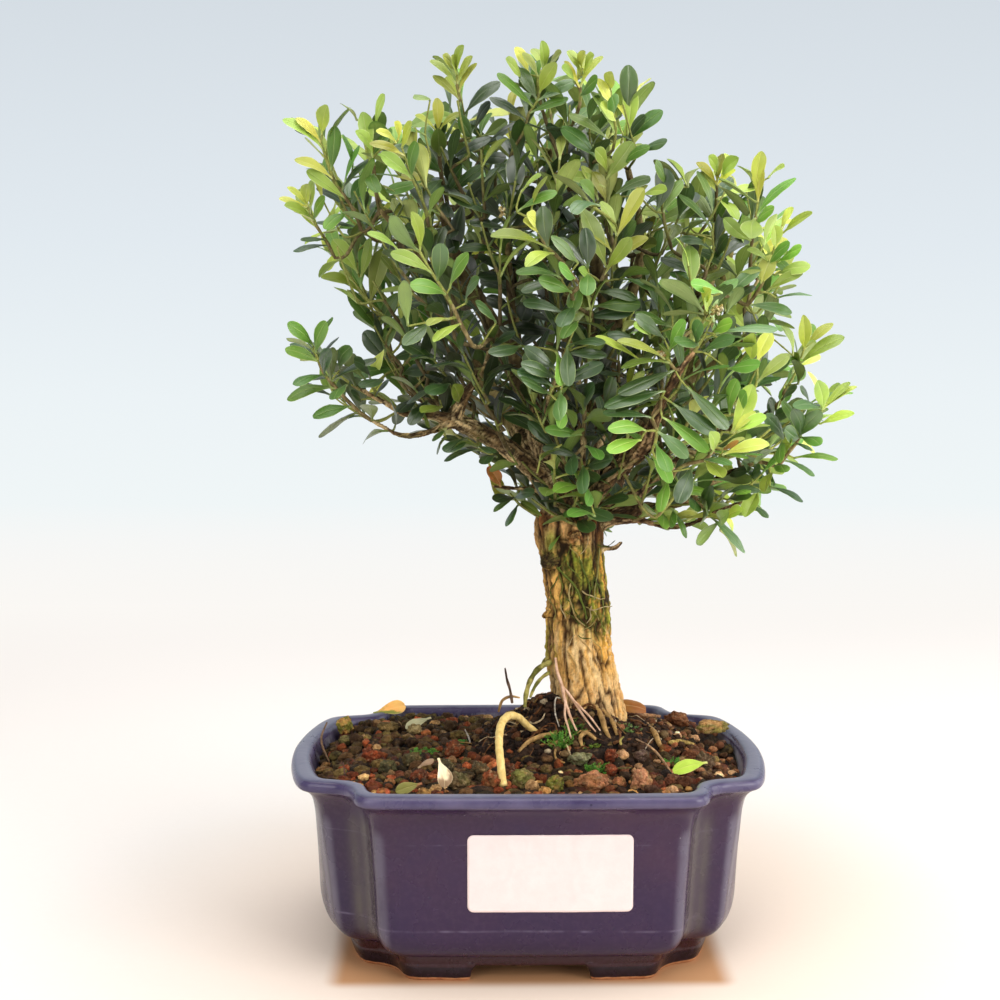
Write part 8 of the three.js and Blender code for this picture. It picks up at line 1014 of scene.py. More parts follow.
592,-234,3160,41,45,609,-155,2946,36,72,645,-145,2964,43,72,670,-151,2996,44,72,694,-157,3030,45,72,717,-162,3063,46,65,739,-168,3098,47,65,
759,-173,3134,48,57,779,-177,3170,49,57,798,-182,3206,50,45,817,-187,3243,51,45,835,-191,3279,52,45,612,-105,2735,31,93,634,-59,2721,54,93,
653,-25,2733,55,77,646,-48,2767,56,57,640,-70,2802,57,45,634,-90,2839,58,45,628,-108,2876,59,45,623,-126,2914,60,45,618,-143,2952,61,45,
711,-390,2524,11,74,708,-428,2486,63,74,702,-468,2457,64,74,703,-513,2449,65,74,716,-529,2484,66,74,744,-547,2507,67,74,778,-564,2524,68,74,
814,-580,2532,69,74,851,-592,2542,70,74,879,-595,2571,71,68,901,-593,2606,72,65,920,-593,2642,73,52,935,-593,2680,74,52,941,-593,2597,73,52,
937,-593,2568,76,36,979,-593,2675,75,52,989,-593,2675,78,45,1009,-593,2685,79,36,762,-346,2610,12,65,800,-308,2623,81,65,836,-272,2636,82,65,
873,-254,2661,83,65,885,-277,2688,84,65,896,-300,2716,85,65,907,-321,2745,86,57,917,-341,2775,87,57,927,-361,2806,88,57,936,-379,2838,89,45,
945,-397,2870,90,45,954,-414,2902,91,45,593,-35,2731,55,72,550,-23,2742,93,72,507,-21,2757,94,72,469,-25,2778,95,72,453,-43,2809,96,72,
438,-60,2839,97,72,423,-77,2871,98,65,410,-93,2903,99,65,397,-108,2936,100,57,384,-123,2969,101,57,372,-137,3003,102,45,361,-150,3037,103,45,
349,-164,3071,104,45,842,-477,2750,17,61,891,-487,2755,106,61,940,-494,2757,107,61,988,-503,2761,108,61,1047,-533,2776,109,57,1074,-556,2824,110,52,
1088,-575,2874,111,52,1103,-593,2924,112,52,1109,-566,2976,113,45,1113,-533,3021,114,45,1093,-503,3031,115,36,697,7,2748,56,65,742,31,2761,117,65,
787,52,2775,118,65,828,71,2792,119,65,866,93,2816,120,65,883,110,2850,121,65,899,127,2885,122,57,914,142,2920,123,57,928,157,2957,124,57,
942,170,2994,125,45,954,183,3031,126,45,967,196,3069,127,45,478,-173,2477,-1,65,509,-181,2426,129,65,536,-187,2373,130,65,561,-191,2322,131,65,
588,-199,2278,132,65,619,-211,2243,133,65,658,-233,2223,134,65,678,-253,2248,135,65,698,-272,2274,136,65,717,-291,2301,137,61,735,-309,2330,138,61,
752,-326,2359,139,57,769,-343,2389,140,57,785,-358,2420,141,45,801,-374,2451,142,45,816,-389,2483,143,45,
    ], "leaves": [
937,-593,2568,1155,-651,2619,81,-33,-69,62,0,10,1,941,-593,2597,1011,-720,2666,72,-9,43,89,6,6,1,989,-593,2675,1080,-675,2780,72,-81,-46,34,0,8,1,
1009,-593,2685,1126,-768,2754,80,-83,-41,36,1,6,1,979,-593,2675,1067,-656,2910,108,-24,-95,-16,1,4,1,
1047,-533,2776,1022,-751,2877,80,-91,-7,-38,2,7,1,851,-592,2542,911,-790,2474,80,-7,-31,94,1,4,1,851,-592,2542,947,-802,2532,80,-24,-19,94,4,8,1,
879,-595,2571,834,-807,2689,80,78,-41,-45,1,9,1,946,-593,2597,988,-743,2643,29,-82,-36,-42,7,9,1,988,-503,2761,983,-667,2934,80,-81,-41,-41,2,6,1,
1103,-593,2924,1251,-644,3054,72,-53,-78,30,0,4,1,1113,-533,3021,1171,-573,3167,83,-24,-95,-16,0,9,1,
1093,-503,3031,1065,-702,3158,80,-70,-30,-63,1,9,1,650,-249,2734,542,-412,2885,85,61,31,72,3,4,0,650,-249,2734,832,-222,2849,78,-53,-17,82,2,8,1,
677,-301,2837,661,-235,3040,81,21,-93,27,3,10,1,677,-301,2837,761,-497,2895,85,2,34,93,3,6,1,701,-345,2945,655,-444,3116,66,69,52,49,2,5,1,
701,-345,2945,801,-387,3098,58,-84,-19,49,2,4,0,718,-372,2586,693,-420,2818,74,96,-21,9,1,6,0,718,-372,2586,940,-546,2629,94,-25,-12,95,1,6,0,
792,-463,2734,883,-491,2854,50,-77,-38,49,0,10,0,792,-463,2734,810,-620,2843,68,17,57,79,0,5,1,570,-152,2886,387,-278,3007,80,52,9,84,3,7,0,
570,-152,2886,734,-117,3032,83,-57,-39,71,3,6,0,577,-179,2963,492,-3,3115,88,25,-55,78,2,6,0,577,-179,2963,651,-368,3110,83,-47,42,77,2,6,1,
583,-202,3042,441,-359,3193,92,32,44,83,2,7,0,583,-202,3042,755,-162,3275,103,-68,-38,61,2,6,0,592,-234,3160,571,-185,3349,68,43,-85,27,2,8,0,
592,-234,3160,629,-358,3289,64,-24,66,70,2,4,0,646,-48,2767,518,19,2971,77,31,-79,50,1,8,0,646,-48,2767,722,-261,2906,83,-65,21,72,1,5,0,
618,-143,2952,645,-164,3120,54,-96,18,18,0,10,0,618,-143,2952,550,-262,3073,64,47,48,73,0,3,0,698,-272,2274,643,-378,2507,88,86,34,35,2,8,1,
735,-309,2330,812,-257,2548,73,-21,-92,30,3,3,1,769,-343,2389,622,-435,2587,91,68,23,68,2,3,0,769,-343,2389,1021,-394,2420,92,-5,11,98,2,10,0,
816,-389,2483,920,-365,2652,71,-58,-66,45,2,5,0,816,-389,2483,878,-536,2572,64,40,59,69,2,7,1,749,-477,2929,700,-367,3204,97,62,-67,38,2,9,1,
749,-477,2929,952,-670,3004,97,-30,4,94,2,6,0,796,-489,3088,894,-416,3242,72,-59,-51,61,1,5,1,796,-489,3088,806,-591,3244,65,2,83,54,1,11,1,
694,-157,3030,620,-292,3197,83,48,56,66,2,4,1,694,-157,3030,925,-32,3067,83,-1,-29,95,3,9,0,739,-168,3098,720,-106,3362,88,55,-79,23,2,10,0,
739,-168,3098,993,-308,3150,96,-10,16,97,2,11,0,779,-177,3170,748,-339,3397,91,36,70,60,2,5,1,779,-177,3170,1002,-76,3264,79,-31,-7,94,2,3,0,
835,-191,3279,876,-130,3451,66,7,-94,31,2,8,0,835,-191,3279,948,-266,3407,66,-47,50,71,2,6,0,438,-60,2839,298,49,2977,81,34,-54,76,3,9,0,
438,-60,2839,519,-284,2958,93,-40,32,85,3,7,0,410,-93,2903,407,20,3164,104,-33,-85,37,3,5,0,410,-93,2903,284,-348,2981,91,34,11,92,3,11,0,
384,-123,2969,167,-11,3143,90,31,-51,79,3,9,1,384,-123,2969,432,-318,3110,85,-38,43,81,3,3,1,349,-164,3071,319,-219,3289,75,43,85,28,3,4,1,
349,-164,3071,248,-264,3188,66,55,33,76,3,8,0,896,-300,2716,799,-356,2906,84,88,11,45,3,10,0,896,-300,2716,1095,-409,2797,90,-29,20,92,3,8,0,
927,-361,2806,1018,-280,3065,101,-32,-87,35,3,5,1,927,-361,2806,934,-620,2854,90,-7,21,96,3,10,1,954,-414,2902,955,-506,3070,68,72,59,32,2,6,1,
954,-414,2902,1096,-505,3024,73,-53,26,80,2,9,0,883,110,2850,1140,215,2921,100,-23,5,96,3,7,0,928,157,2957,1095,36,3141,98,-50,43,74,2,9,1,
967,196,3069,1154,250,3187,74,-52,-2,84,2,11,0,967,196,3069,989,270,3253,65,59,-76,24,3,8,1,630,-88,2835,512,-41,2720,84,7,-46,87,3,2,0,
    ]},
    "right_edge": {"twigs": [
1392,200,2821,-1,77,1398,201,2863,0,72,1418,201,2900,1,61,1441,202,2934,2,57,1459,203,2972,3,57,1473,204,3012,4,57,1488,204,3051,5,45,
1502,205,3091,6,45,1460,142,2908,2,36,1404,244,2879,1,52,1414,286,2892,9,52,1436,302,2923,10,52,1458,318,2954,11,52,1479,333,2987,12,45,
1498,347,3022,13,45,1516,361,3057,14,36,1533,374,3093,15,36,1550,386,3129,16,36,1303,240,2739,-1,45,1346,260,2711,18,45,1362,230,2690,19,36,
    ], "leaves": [
1502,205,3091,1462,58,3273,80,20,-78,-58,1,10,1,1502,205,3091,1639,153,3234,73,-66,-61,41,0,7,1,1473,204,3012,1694,130,3164,102,-59,-57,56,1,8,1,
1460,142,2908,1411,-53,3045,80,54,38,74,5,6,1,1473,204,3012,1432,-25,3072,80,-84,-2,-52,1,4,1,1392,200,2821,1408,-26,2888,80,-93,2,35,3,5,1,
1346,260,2711,1281,47,2824,80,85,-41,-29,3,5,1,1362,230,2690,1370,6,2761,80,-96,-10,-22,4,8,1,1458,318,2954,1542,163,3149,99,-17,76,61,6,5,1,
1498,347,3022,1417,393,3270,83,90,-22,34,3,10,0,1550,386,3129,1614,492,3248,59,-3,-73,66,2,10,1,1363,229,2696,1405,214,2865,79,-37,13,91,1,5,0,
1457,319,2949,1414,326,2804,73,-5,-95,29,2,1,0,1484,334,2990,1622,337,3068,74,-66,-73,11,0,2,1,1418,288,2895,1543,363,2991,89,-10,-97,14,2,7,1,
    ]},
    "right_edge_low": {"twigs": [
1157,160,2455,-1,80,1193,149,2468,0,80,1230,139,2482,1,80,1268,127,2489,2,80,1306,116,2481,3,80,1341,105,2464,4,80,1377,94,2448,5,36,
1145,160,2509,0,68,1221,149,2401,1,45,1310,111,2425,4,45,1031,180,2399,-1,45,1017,160,2390,10,45,1376,95,2502,5,80,1393,78,2533,12,80,
1411,60,2563,13,80,1431,43,2591,14,80,1445,29,2625,15,79,1455,18,2661,16,65,1477,13,2692,17,65,1509,14,2715,18,65,1538,15,2742,19,61,
1562,15,2772,20,61,1054,189,2396,11,36,1086,220,2407,22,36,1430,72,2514,13,36,1170,131,2551,7,65,1204,102,2583,25,65,1238,93,2601,26,65,
1272,84,2620,27,65,1306,74,2640,28,57,1338,65,2662,29,57,1369,57,2686,30,52,1399,49,2711,31,52,1429,41,2738,32,52,1457,33,2765,33,45,
1485,25,2793,34,45,1309,100,2356,9,36,1332,129,2515,4,36,1348,146,2553,37,36,1377,55,2595,14,45,1366,55,2611,39,36,1218,152,2352,8,36,
1211,156,2308,41,36,1203,160,2264,42,36,1553,15,2698,19,36,1501,75,2802,35,36,1235,287,2684,-1,36,1206,264,2725,46,36,1178,243,2764,47,36,
1152,222,2801,48,36,1126,203,2838,49,36,1101,183,2873,50,36,1076,163,2909,51,36,1050,143,2945,52,36,
    ], "leaves": [
1562,15,2772,1496,-173,2921,80,36,-65,-66,1,6,1,1562,15,2772,1467,-39,2972,75,84,-45,27,0,10,1,1562,15,2772,1695,-37,2920,72,-74,-41,52,0,4,1,
1562,15,2772,1732,-40,2894,77,-61,-40,67,0,6,1,1553,15,2698,1689,-137,2765,80,-68,-32,64,1,4,1,1445,29,2625,1527,-120,2765,90,-53,-71,-43,4,10,1,
1430,72,2514,1652,13,2522,81,-15,-45,87,2,6,1,1376,95,2502,1537,40,2419,72,35,-48,79,4,5,1,1445,29,2625,1511,-178,2601,80,-29,-17,93,2,4,1,
1431,43,2591,1480,-109,2566,72,15,-18,96,4,7,1,1562,15,2772,1377,-182,2803,80,61,-38,68,4,6,1,1445,29,2625,1352,-23,2825,76,66,-73,10,2,4,1,
1377,55,2595,1243,-103,2749,80,63,-73,-20,4,3,1,1366,55,2611,1310,-154,2506,80,-76,-11,62,2,6,1,1376,95,2502,1381,-130,2619,80,-98,-6,-16,1,7,1,
1445,29,2625,1326,-191,2684,80,82,-50,-23,3,7,1,1445,29,2625,1374,-151,2776,80,50,-66,-54,3,9,1,1501,75,2802,1426,-66,2889,72,90,-31,27,3,9,1,
1341,105,2464,1342,-128,2452,80,-12,-5,98,2,10,1,1310,111,2425,1232,-110,2357,80,-47,-10,86,1,9,1,1221,149,2401,1220,-81,2470,80,-98,4,11,3,6,1,
1017,160,2390,1219,108,2404,73,20,89,39,5,7,1,1086,220,2407,1187,25,2453,80,-70,-21,66,3,6,1,1145,160,2509,1206,42,2425,72,54,-28,78,4,6,1,
1348,146,2553,1183,-49,2510,80,-70,48,50,5,3,1,1309,100,2356,1483,52,2290,72,21,-43,87,3,5,1,1203,160,2264,1292,53,2198,72,31,-30,89,3,3,1,
1272,84,2620,1493,239,2694,102,4,-46,87,3,5,0,1338,65,2662,1569,152,2734,78,-9,-44,88,3,10,0,1429,41,2738,1604,170,2798,75,-15,-32,93,3,10,0,
1485,25,2793,1689,73,2866,70,-27,-27,91,2,10,0,1353,147,2555,1500,183,2626,79,-5,-88,44,2,7,0,1483,15,2694,1644,93,2751,79,-23,-20,94,1,2,0,
    ]},
    "right_low": {"twigs": [
962,0,2215,-1,85,1000,0,2201,0,57,1037,0,2188,1,57,935,0,2252,0,85,908,0,2295,3,85,1027,0,2134,2,36,971,48,2217,0,65,989,85,2224,6,65,
1025,77,2244,7,65,1061,69,2266,8,65,1095,61,2289,9,57,1129,54,2314,10,57,1160,47,2341,11,52,1191,40,2370,12,52,1221,33,2400,13,36,1250,27,2430,14,36,
865,0,2311,4,85,1000,0,2262,0,52,1035,0,2305,17,52,1068,0,2295,18,45,1104,0,2337,19,36,1232,0,2353,13,36,857,8,2356,16,85,860,15,2398,22,85,
876,14,2435,23,85,906,-5,2446,24,85,935,-24,2459,25,85,964,-42,2474,26,85,991,-59,2492,27,85,1017,-76,2513,28,45,1043,-92,2534,29,45,
709,75,2153,-1,52,709,52,2192,31,52,710,30,2228,32,52,765,0,2252,33,45,785,30,2244,34,36,981,-109,2496,28,85,1018,-119,2513,36,57,
1054,-129,2531,37,57,1090,-139,2551,38,52,1124,-148,2573,39,52,1158,-157,2597,40,52,1189,-166,2623,41,45,1221,-174,2650,42,45,1251,-183,2677,43,45,
937,-143,2512,36,85,891,-167,2530,45,85,869,-199,2555,46,85,904,-213,2567,47,52,938,-227,2582,48,36,971,-240,2600,49,36,1002,-252,2620,50,36,
1032,-264,2643,51,36,1062,-276,2667,52,36,881,-176,2613,47,74,915,-178,2636,54,74,948,-180,2661,55,74,980,-183,2687,56,68,1011,-185,2714,57,68,
1040,-187,2743,58,65,1069,-189,2773,59,65,1096,-191,2804,60,36,1123,-192,2836,61,36,1149,-194,2868,62,36,801,-185,2581,47,85,830,-194,2612,64,85,
857,-202,2644,65,85,883,-209,2678,66,85,906,-216,2713,67,85,929,-222,2749,68,85,951,-229,2786,69,45,1082,-134,2781,60,57,1093,-88,2794,71,57,
1110,-98,2826,72,57,1127,-108,2859,73,57,1142,-117,2893,74,45,1157,-126,2927,75,45,1171,-134,2961,76,45,1184,-142,2997,77,36,1197,-149,3032,78,36,
1210,-157,3067,79,36,895,-214,2805,69,82,867,-208,2856,81,82,890,-219,2887,82,65,912,-229,2918,83,65,932,-238,2950,84,57,951,-247,2983,85,57,
969,-255,3017,86,45,986,-263,3051,87,45,1003,-271,3085,88,45,849,-176,2894,82,65,831,-139,2924,90,65,817,-101,2951,91,65,811,-67,2981,92,65,
816,-44,3018,93,65,846,-53,3045,94,65,875,-63,3073,95,65,903,-72,3103,96,57,930,-81,3134,97,57,955,-89,3166,98,57,979,-97,3200,99,45,
1003,-105,3234,100,45,1026,-112,3268,101,45,
    ], "leaves": [
765,0,2252,845,-45,2097,72,70,-48,50,2,6,1,710,30,2228,710,-197,2177,80,54,-18,81,2,8,1,785,30,2244,761,-117,2174,72,-88,-7,44,2,6,1,
1037,0,2188,873,-148,2082,80,-68,72,5,5,6,1,1027,0,2134,1118,-42,2000,72,82,29,47,6,8,1,962,0,2215,1150,-70,2020,97,52,-51,68,4,4,1,
865,0,2311,865,-231,2274,80,54,-13,82,3,3,1,908,0,2295,928,-225,2252,80,96,4,22,5,7,1,935,0,2252,902,-230,2206,80,85,-2,-50,5,7,1,
962,0,2215,947,-188,2379,80,-73,-41,-53,3,9,1,962,0,2215,1029,-203,2312,80,11,46,87,5,6,1,1037,0,2188,1024,-236,2248,80,-91,-5,-39,1,9,1,
1037,0,2188,1112,-207,2256,80,-89,-19,40,1,3,1,1232,0,2353,1127,-182,2232,80,-11,-50,85,1,3,1,1068,0,2295,1147,-209,2328,80,-60,-10,78,3,7,1,
1104,0,2337,1127,-231,2346,80,-30,0,94,2,5,1,1035,0,2305,1039,-229,2382,80,-36,29,88,5,3,1,830,-194,2612,750,-302,2821,86,61,55,56,3,11,1,
830,-194,2612,1109,-116,2657,103,-12,-3,98,3,9,0,883,-209,2678,912,-127,2951,92,4,-94,31,3,10,1,883,-209,2678,1081,-364,2784,80,-14,37,91,3,4,0,
951,-229,2786,969,-313,2949,66,52,77,34,2,9,0,951,-229,2786,1122,-202,2928,81,-53,-44,72,2,10,0,1061,69,2266,1308,188,2364,98,-22,-31,91,3,11,0,
1250,27,2430,1377,58,2559,62,-53,-52,65,2,9,1,948,-180,2661,1017,-436,2800,95,29,51,80,3,7,1,948,-180,2661,1078,-16,2761,80,28,-65,69,3,6,0,
1011,-185,2714,1040,-201,2941,74,-36,92,11,3,3,0,1069,-189,2773,1186,-19,3001,103,6,-78,60,2,7,1,1149,-194,2868,1220,-203,3045,60,55,80,-18,2,8,1,
906,-5,2446,893,-164,2651,92,79,43,42,2,9,0,1043,-92,2534,1143,-207,2657,72,25,79,54,2,6,0,1043,-92,2534,1231,-139,2548,65,-8,-5,99,2,3,0,
1054,-129,2531,1099,-287,2715,89,45,73,50,3,7,1,912,-229,2918,828,-302,3148,88,91,21,34,3,6,1,912,-229,2918,1188,-202,2891,99,3,9,99,3,4,0,
951,-247,2983,1091,-100,3201,95,-30,-68,65,3,4,1,951,-247,2983,1011,-484,3103,93,16,47,86,3,6,1,1003,-271,3085,1031,-284,3255,57,-29,94,12,3,5,1,
1003,-271,3085,1183,-354,3167,70,-35,14,91,2,9,0,875,-63,3073,887,-200,3289,94,50,74,42,6,11,0,875,-63,3073,1109,47,3114,99,-14,-12,97,2,5,0,
955,-89,3166,1188,-244,3087,98,30,5,94,6,10,0,1026,-112,3268,1085,-238,3408,67,10,75,63,6,11,1,1026,-112,3268,1178,-84,3424,80,-51,-60,60,3,11,1,
904,-213,2567,899,-409,2738,86,46,55,68,2,11,0,904,-213,2567,1150,-148,2539,88,20,-22,94,2,3,0,1062,-276,2667,1228,-286,2706,59,-23,-26,93,1,5,0,
1127,-108,2859,997,-214,3039,93,72,27,63,3,9,0,1127,-108,2859,1318,-88,2950,80,-39,-40,82,3,6,1,1171,-134,2961,1213,16,3135,84,10,-79,59,3,10,0,
1210,-157,3067,1205,-208,3265,75,57,78,21,3,5,1,
    ]},
    "centre_mid": {"twigs": [
122,-600,2943,-1,80,135,-602,2983,0,72,149,-603,3021,1,68,163,-605,3060,2,61,178,-607,3098,3,52,193,-608,3137,4,36,208,-610,3175,5,36,
108,-600,2900,0,65,93,-600,2866,7,52,152,-600,2905,7,45,145,-630,2881,9,36,123,-575,3069,2,45,137,-600,2827,8,45,227,-610,3218,6,36,
160,-540,2801,12,36,209,-588,3084,3,36,255,-569,3097,15,36,300,-549,3109,16,36,80,-563,3084,11,36,38,-555,3091,18,36,-5,-550,3094,19,36,
-47,-543,3099,20,36,
    ], "leaves": [
227,-610,3218,144,-823,3132,80,-2,-37,92,2,7,1,178,-607,3098,177,-756,2911,82,-7,-77,62,3,5,1,123,-575,3069,134,-756,2916,80,58,-50,63,2,6,1,
135,-602,2983,-30,-651,3097,72,34,-92,15,3,4,1,122,-600,2943,-42,-763,3015,80,73,-63,24,3,6,1,108,-600,2900,-61,-755,2977,80,70,-56,42,3,3,1,
93,-600,2866,-48,-779,2949,80,77,-37,50,3,5,1,163,-605,3060,365,-655,3059,72,-12,-72,66,3,9,1,152,-600,2905,346,-656,3011,78,-27,-95,-1,3,5,1,
145,-630,2881,126,-831,2756,80,-59,-38,70,4,5,1,137,-600,2827,132,-807,2713,80,63,-38,66,2,8,1,160,-540,2801,216,-756,2730,80,94,29,-14,5,9,1,
-47,-543,3099,-204,-723,3067,80,46,-53,70,3,5,1,178,-607,3098,341,-777,3119,80,-34,-30,88,3,6,1,300,-549,3109,481,-596,3151,72,-33,-65,67,4,8,1,
    ]},
    "centre_low": {"twigs": [
268,-400,2658,-1,80,270,-415,2689,0,80,271,-430,2721,1,80,272,-444,2753,2,79,274,-459,2784,3,74,279,-400,2602,0,80,229,-400,2557,5,80,
259,-400,2537,6,74,264,-400,2477,7,68,296,-370,2500,8,65,265,-460,2506,7,36,308,-340,2538,9,36,321,-440,2773,3,36,371,-429,2783,12,36,
288,-340,2478,9,57,97,-360,2810,-1,80,154,-348,2826,15,80,129,-356,2856,16,80,105,-364,2886,17,65,81,-371,2918,18,57,59,-378,2951,19,57,
38,-385,2984,20,57,19,-391,3019,21,45,0,-397,3053,22,45,-19,-403,3088,23,45,159,-406,2797,16,65,147,-461,2786,25,65,144,-469,2827,26,65,
141,-477,2869,27,57,139,-484,2911,28,57,137,-490,2953,29,57,135,-496,2995,30,45,133,-502,3037,31,45,131,-508,3079,32,45,179,-371,2564,6,57,
136,-340,2579,34,57,275,-455,2845,4,72,276,-448,2902,36,72,278,-454,2943,37,72,281,-460,2984,38,72,284,-466,3026,39,65,286,-471,3067,40,65,
288,-476,3108,41,57,290,-480,3150,42,57,292,-485,3191,43,45,294,-489,3232,44,45,296,-493,3274,45,45,90,-366,2568,35,52,53,-400,2552,47,52,
53,-400,2532,48,45,38,-400,2467,49,36,279,-236,2518,-1,77,240,-249,2487,51,77,204,-267,2471,52,77,188,-292,2503,53,77,173,-315,2535,54,72,
160,-337,2570,55,72,147,-357,2605,56,65,134,-376,2641,57,65,122,-394,2678,58,65,81,-397,2671,59,57,63,-410,2708,60,57,45,-423,2745,61,45,
30,-434,2784,62,45,15,-445,2824,63,45,2,-455,2864,64,45,286,-350,2431,14,52,287,-370,2388,66,52,272,-370,2383,67,36,489,-185,2487,-1,80,
436,-191,2514,69,80,397,-203,2546,70,80,410,-227,2576,71,80,423,-250,2607,72,80,435,-273,2639,73,80,446,-294,2672,74,80,457,-314,2706,75,80,
467,-334,2740,76,80,477,-352,2775,77,45,487,-370,2811,78,45,496,-388,2846,79,45,333,-124,3149,-1,65,268,-113,3146,81,65,212,-108,3157,82,65,
194,-120,3192,83,65,178,-130,3228,84,57,162,-140,3264,85,57,148,-149,3302,86,57,135,-158,3339,87,45,122,-166,3377,88,45,109,-174,3416,89,45,
131,-323,2894,17,80,141,-283,2922,91,80,155,-246,2948,92,80,169,-221,2984,93,80,178,-230,3020,94,80,186,-238,3057,95,80,194,-245,3095,96,57,
202,-252,3132,97,57,209,-258,3170,98,57,215,-264,3207,99,45,221,-270,3245,100,45,228,-276,3283,101,45,464,-282,2779,77,80,457,-238,2816,103,80,
456,-256,2850,104,80,455,-273,2883,105,77,454,-288,2918,106,77,453,-302,2953,107,77,452,-316,2988,108,72,451,-329,3024,109,72,450,-341,3060,110,45,
97,-217,2741,-1,57,158,-202,2748,112,57,213,-189,2753,113,57,259,-198,2768,114,57,253,-234,2784,115,57,246,-269,2802,116,45,240,-302,2823,117,45,
234,-334,2847,118,45,228,-364,2872,119,45,223,-393,2898,120,45,172,-275,3076,96,72,155,-313,3084,122,72,141,-347,3100,123,72,141,-364,3136,124,72,
140,-380,3171,125,72,140,-396,3207,126,65,140,-411,3244,127,65,140,-424,3281,128,57,140,-437,3318,129,57,140,-450,3355,130,45,140,-462,3392,131,45,
140,-474,3430,132,45,300,-383,2339,67,36,316,-391,2294,134,36,331,-400,2249,135,36,398,-331,3041,110,65,415,-349,3071,137,65,431,-366,3101,138,65,
446,-382,3133,139,57,460,-397,3165,140,57,473,-412,3199,141,45,486,-425,3232,142,45,498,-439,3266,143,45,
    ], "leaves": [
272,-444,2753,203,-637,2905,80,49,40,77,5,9,1,274,-459,2784,298,-658,2915,80,-91,-28,-26,3,7,1,371,-429,2783,395,-599,2948,80,-67,-56,-48,3,4,1,
271,-430,2721,395,-612,2759,80,61,55,54,5,4,1,268,-400,2658,76,-448,2695,72,30,-79,52,2,8,1,259,-400,2537,66,-449,2600,72,36,-78,49,3,8,1,
136,-340,2579,-7,-390,2727,72,44,-88,13,3,9,1,265,-460,2506,247,-662,2392,80,-59,-35,72,3,8,1,279,-400,2602,337,-618,2550,80,14,-19,96,2,6,1,
272,-370,2383,116,-560,2389,80,33,-24,90,2,9,1,287,-370,2388,277,-596,2328,80,77,-19,59,2,8,1,331,-400,2249,188,-601,2279,80,42,-17,88,2,7,1,
229,-400,2557,201,-622,2482,80,-55,-20,80,3,8,1,53,-400,2532,132,-532,2604,72,-28,32,89,5,5,1,308,-340,2538,422,-537,2589,80,-83,-39,37,3,6,1,
288,-340,2478,332,-567,2443,80,-35,-20,90,3,8,1,296,-370,2500,400,-573,2552,80,-83,-31,44,3,10,1,188,-292,2503,-2,-321,2660,80,62,-4,77,2,5,0,
188,-292,2503,260,-463,2696,91,-51,51,67,2,7,1,160,-337,2570,202,-228,2831,97,-43,-76,46,3,4,1,122,-394,2678,-16,-463,2848,75,77,-4,62,2,7,0,
122,-394,2678,145,-514,2850,77,-38,72,56,2,11,0,105,-364,2886,-153,-322,3007,94,38,-29,87,3,9,0,105,-364,2886,249,-510,3099,93,-76,20,61,3,11,0,
38,-385,2984,87,-350,3188,69,-79,-54,23,3,4,1,-19,-403,3088,-148,-354,3203,60,31,-69,64,3,5,1,431,-366,3101,286,-490,3226,73,63,14,75,1,5,0,
431,-366,3101,608,-367,3223,74,-59,-10,79,1,9,0,460,-397,3165,509,-294,3372,79,-6,-88,46,0,8,1,460,-397,3165,520,-634,3221,80,0,22,97,0,7,1,
456,-256,2850,227,-326,2993,94,50,-10,85,3,4,0,456,-256,2850,682,-336,3031,97,-58,1,80,3,8,0,453,-302,2953,541,-173,3130,84,-31,-67,65,3,8,1,
453,-302,2953,352,-557,2961,100,18,-4,97,3,6,0,450,-341,3060,367,-393,3230,66,82,27,49,2,4,0,450,-341,3060,543,-435,3222,69,-81,15,55,2,5,0,
186,-238,3057,348,-318,3168,80,-54,14,82,1,11,0,209,-258,3170,378,-78,3277,92,-30,-33,89,0,5,0,209,-258,3170,102,-471,3291,91,44,32,83,0,6,0,
228,-276,3283,205,-283,3470,65,98,-2,12,0,9,0,228,-276,3283,314,-333,3445,71,-81,25,52,0,10,0,253,-234,2784,2,-315,2903,89,44,-18,87,3,6,0,
253,-234,2784,455,-429,2913,106,-56,-8,81,3,5,0,223,-393,2898,139,-543,3052,74,91,-13,37,2,4,0,223,-393,2898,276,-562,2906,65,-29,-5,95,3,3,0,
423,-250,2607,259,-370,2794,87,54,40,72,2,6,1,423,-250,2607,678,-317,2703,89,-34,5,93,2,7,0,446,-294,2672,435,-158,2936,108,9,-87,46,2,4,0,
446,-294,2672,534,-561,2641,91,19,-6,97,2,8,0,467,-334,2740,363,-455,2996,92,83,23,49,1,8,0,467,-334,2740,717,-401,2823,91,-30,-18,93,1,6,1,
496,-388,2846,518,-409,3015,56,-90,-41,6,1,4,1,496,-388,2846,555,-514,2974,66,-32,59,73,1,6,0,140,-380,3171,-8,-286,3372,91,54,-53,64,3,7,0,
140,-380,3171,294,-578,3210,79,-11,12,98,3,10,0,140,-411,3244,321,-359,3401,81,-58,-27,75,3,9,0,140,-411,3244,-70,-575,3362,94,56,-13,81,3,9,0,
140,-437,3318,6,-317,3552,93,49,-58,63,2,10,1,140,-474,3430,174,-501,3608,58,-97,-4,18,2,10,0,140,-474,3430,77,-606,3582,68,45,57,68,2,7,1,
194,-120,3192,-17,-9,3291,86,7,-48,86,3,7,1,194,-120,3192,287,-321,3372,98,-56,33,75,3,6,0,148,-149,3302,239,-92,3501,77,-68,-54,47,3,8,1,
148,-149,3302,-53,-276,3371,88,25,12,95,3,10,0,109,-174,3416,-12,-203,3606,74,83,-23,49,2,10,0,109,-174,3416,135,-257,3622,75,-73,58,33,2,3,0,
63,-410,2708,-154,-350,2847,93,40,-39,81,3,9,1,63,-410,2708,171,-587,2902,90,-59,39,69,2,8,1,2,-455,2864,-8,-447,3083,72,-18,-97,3,2,5,0,
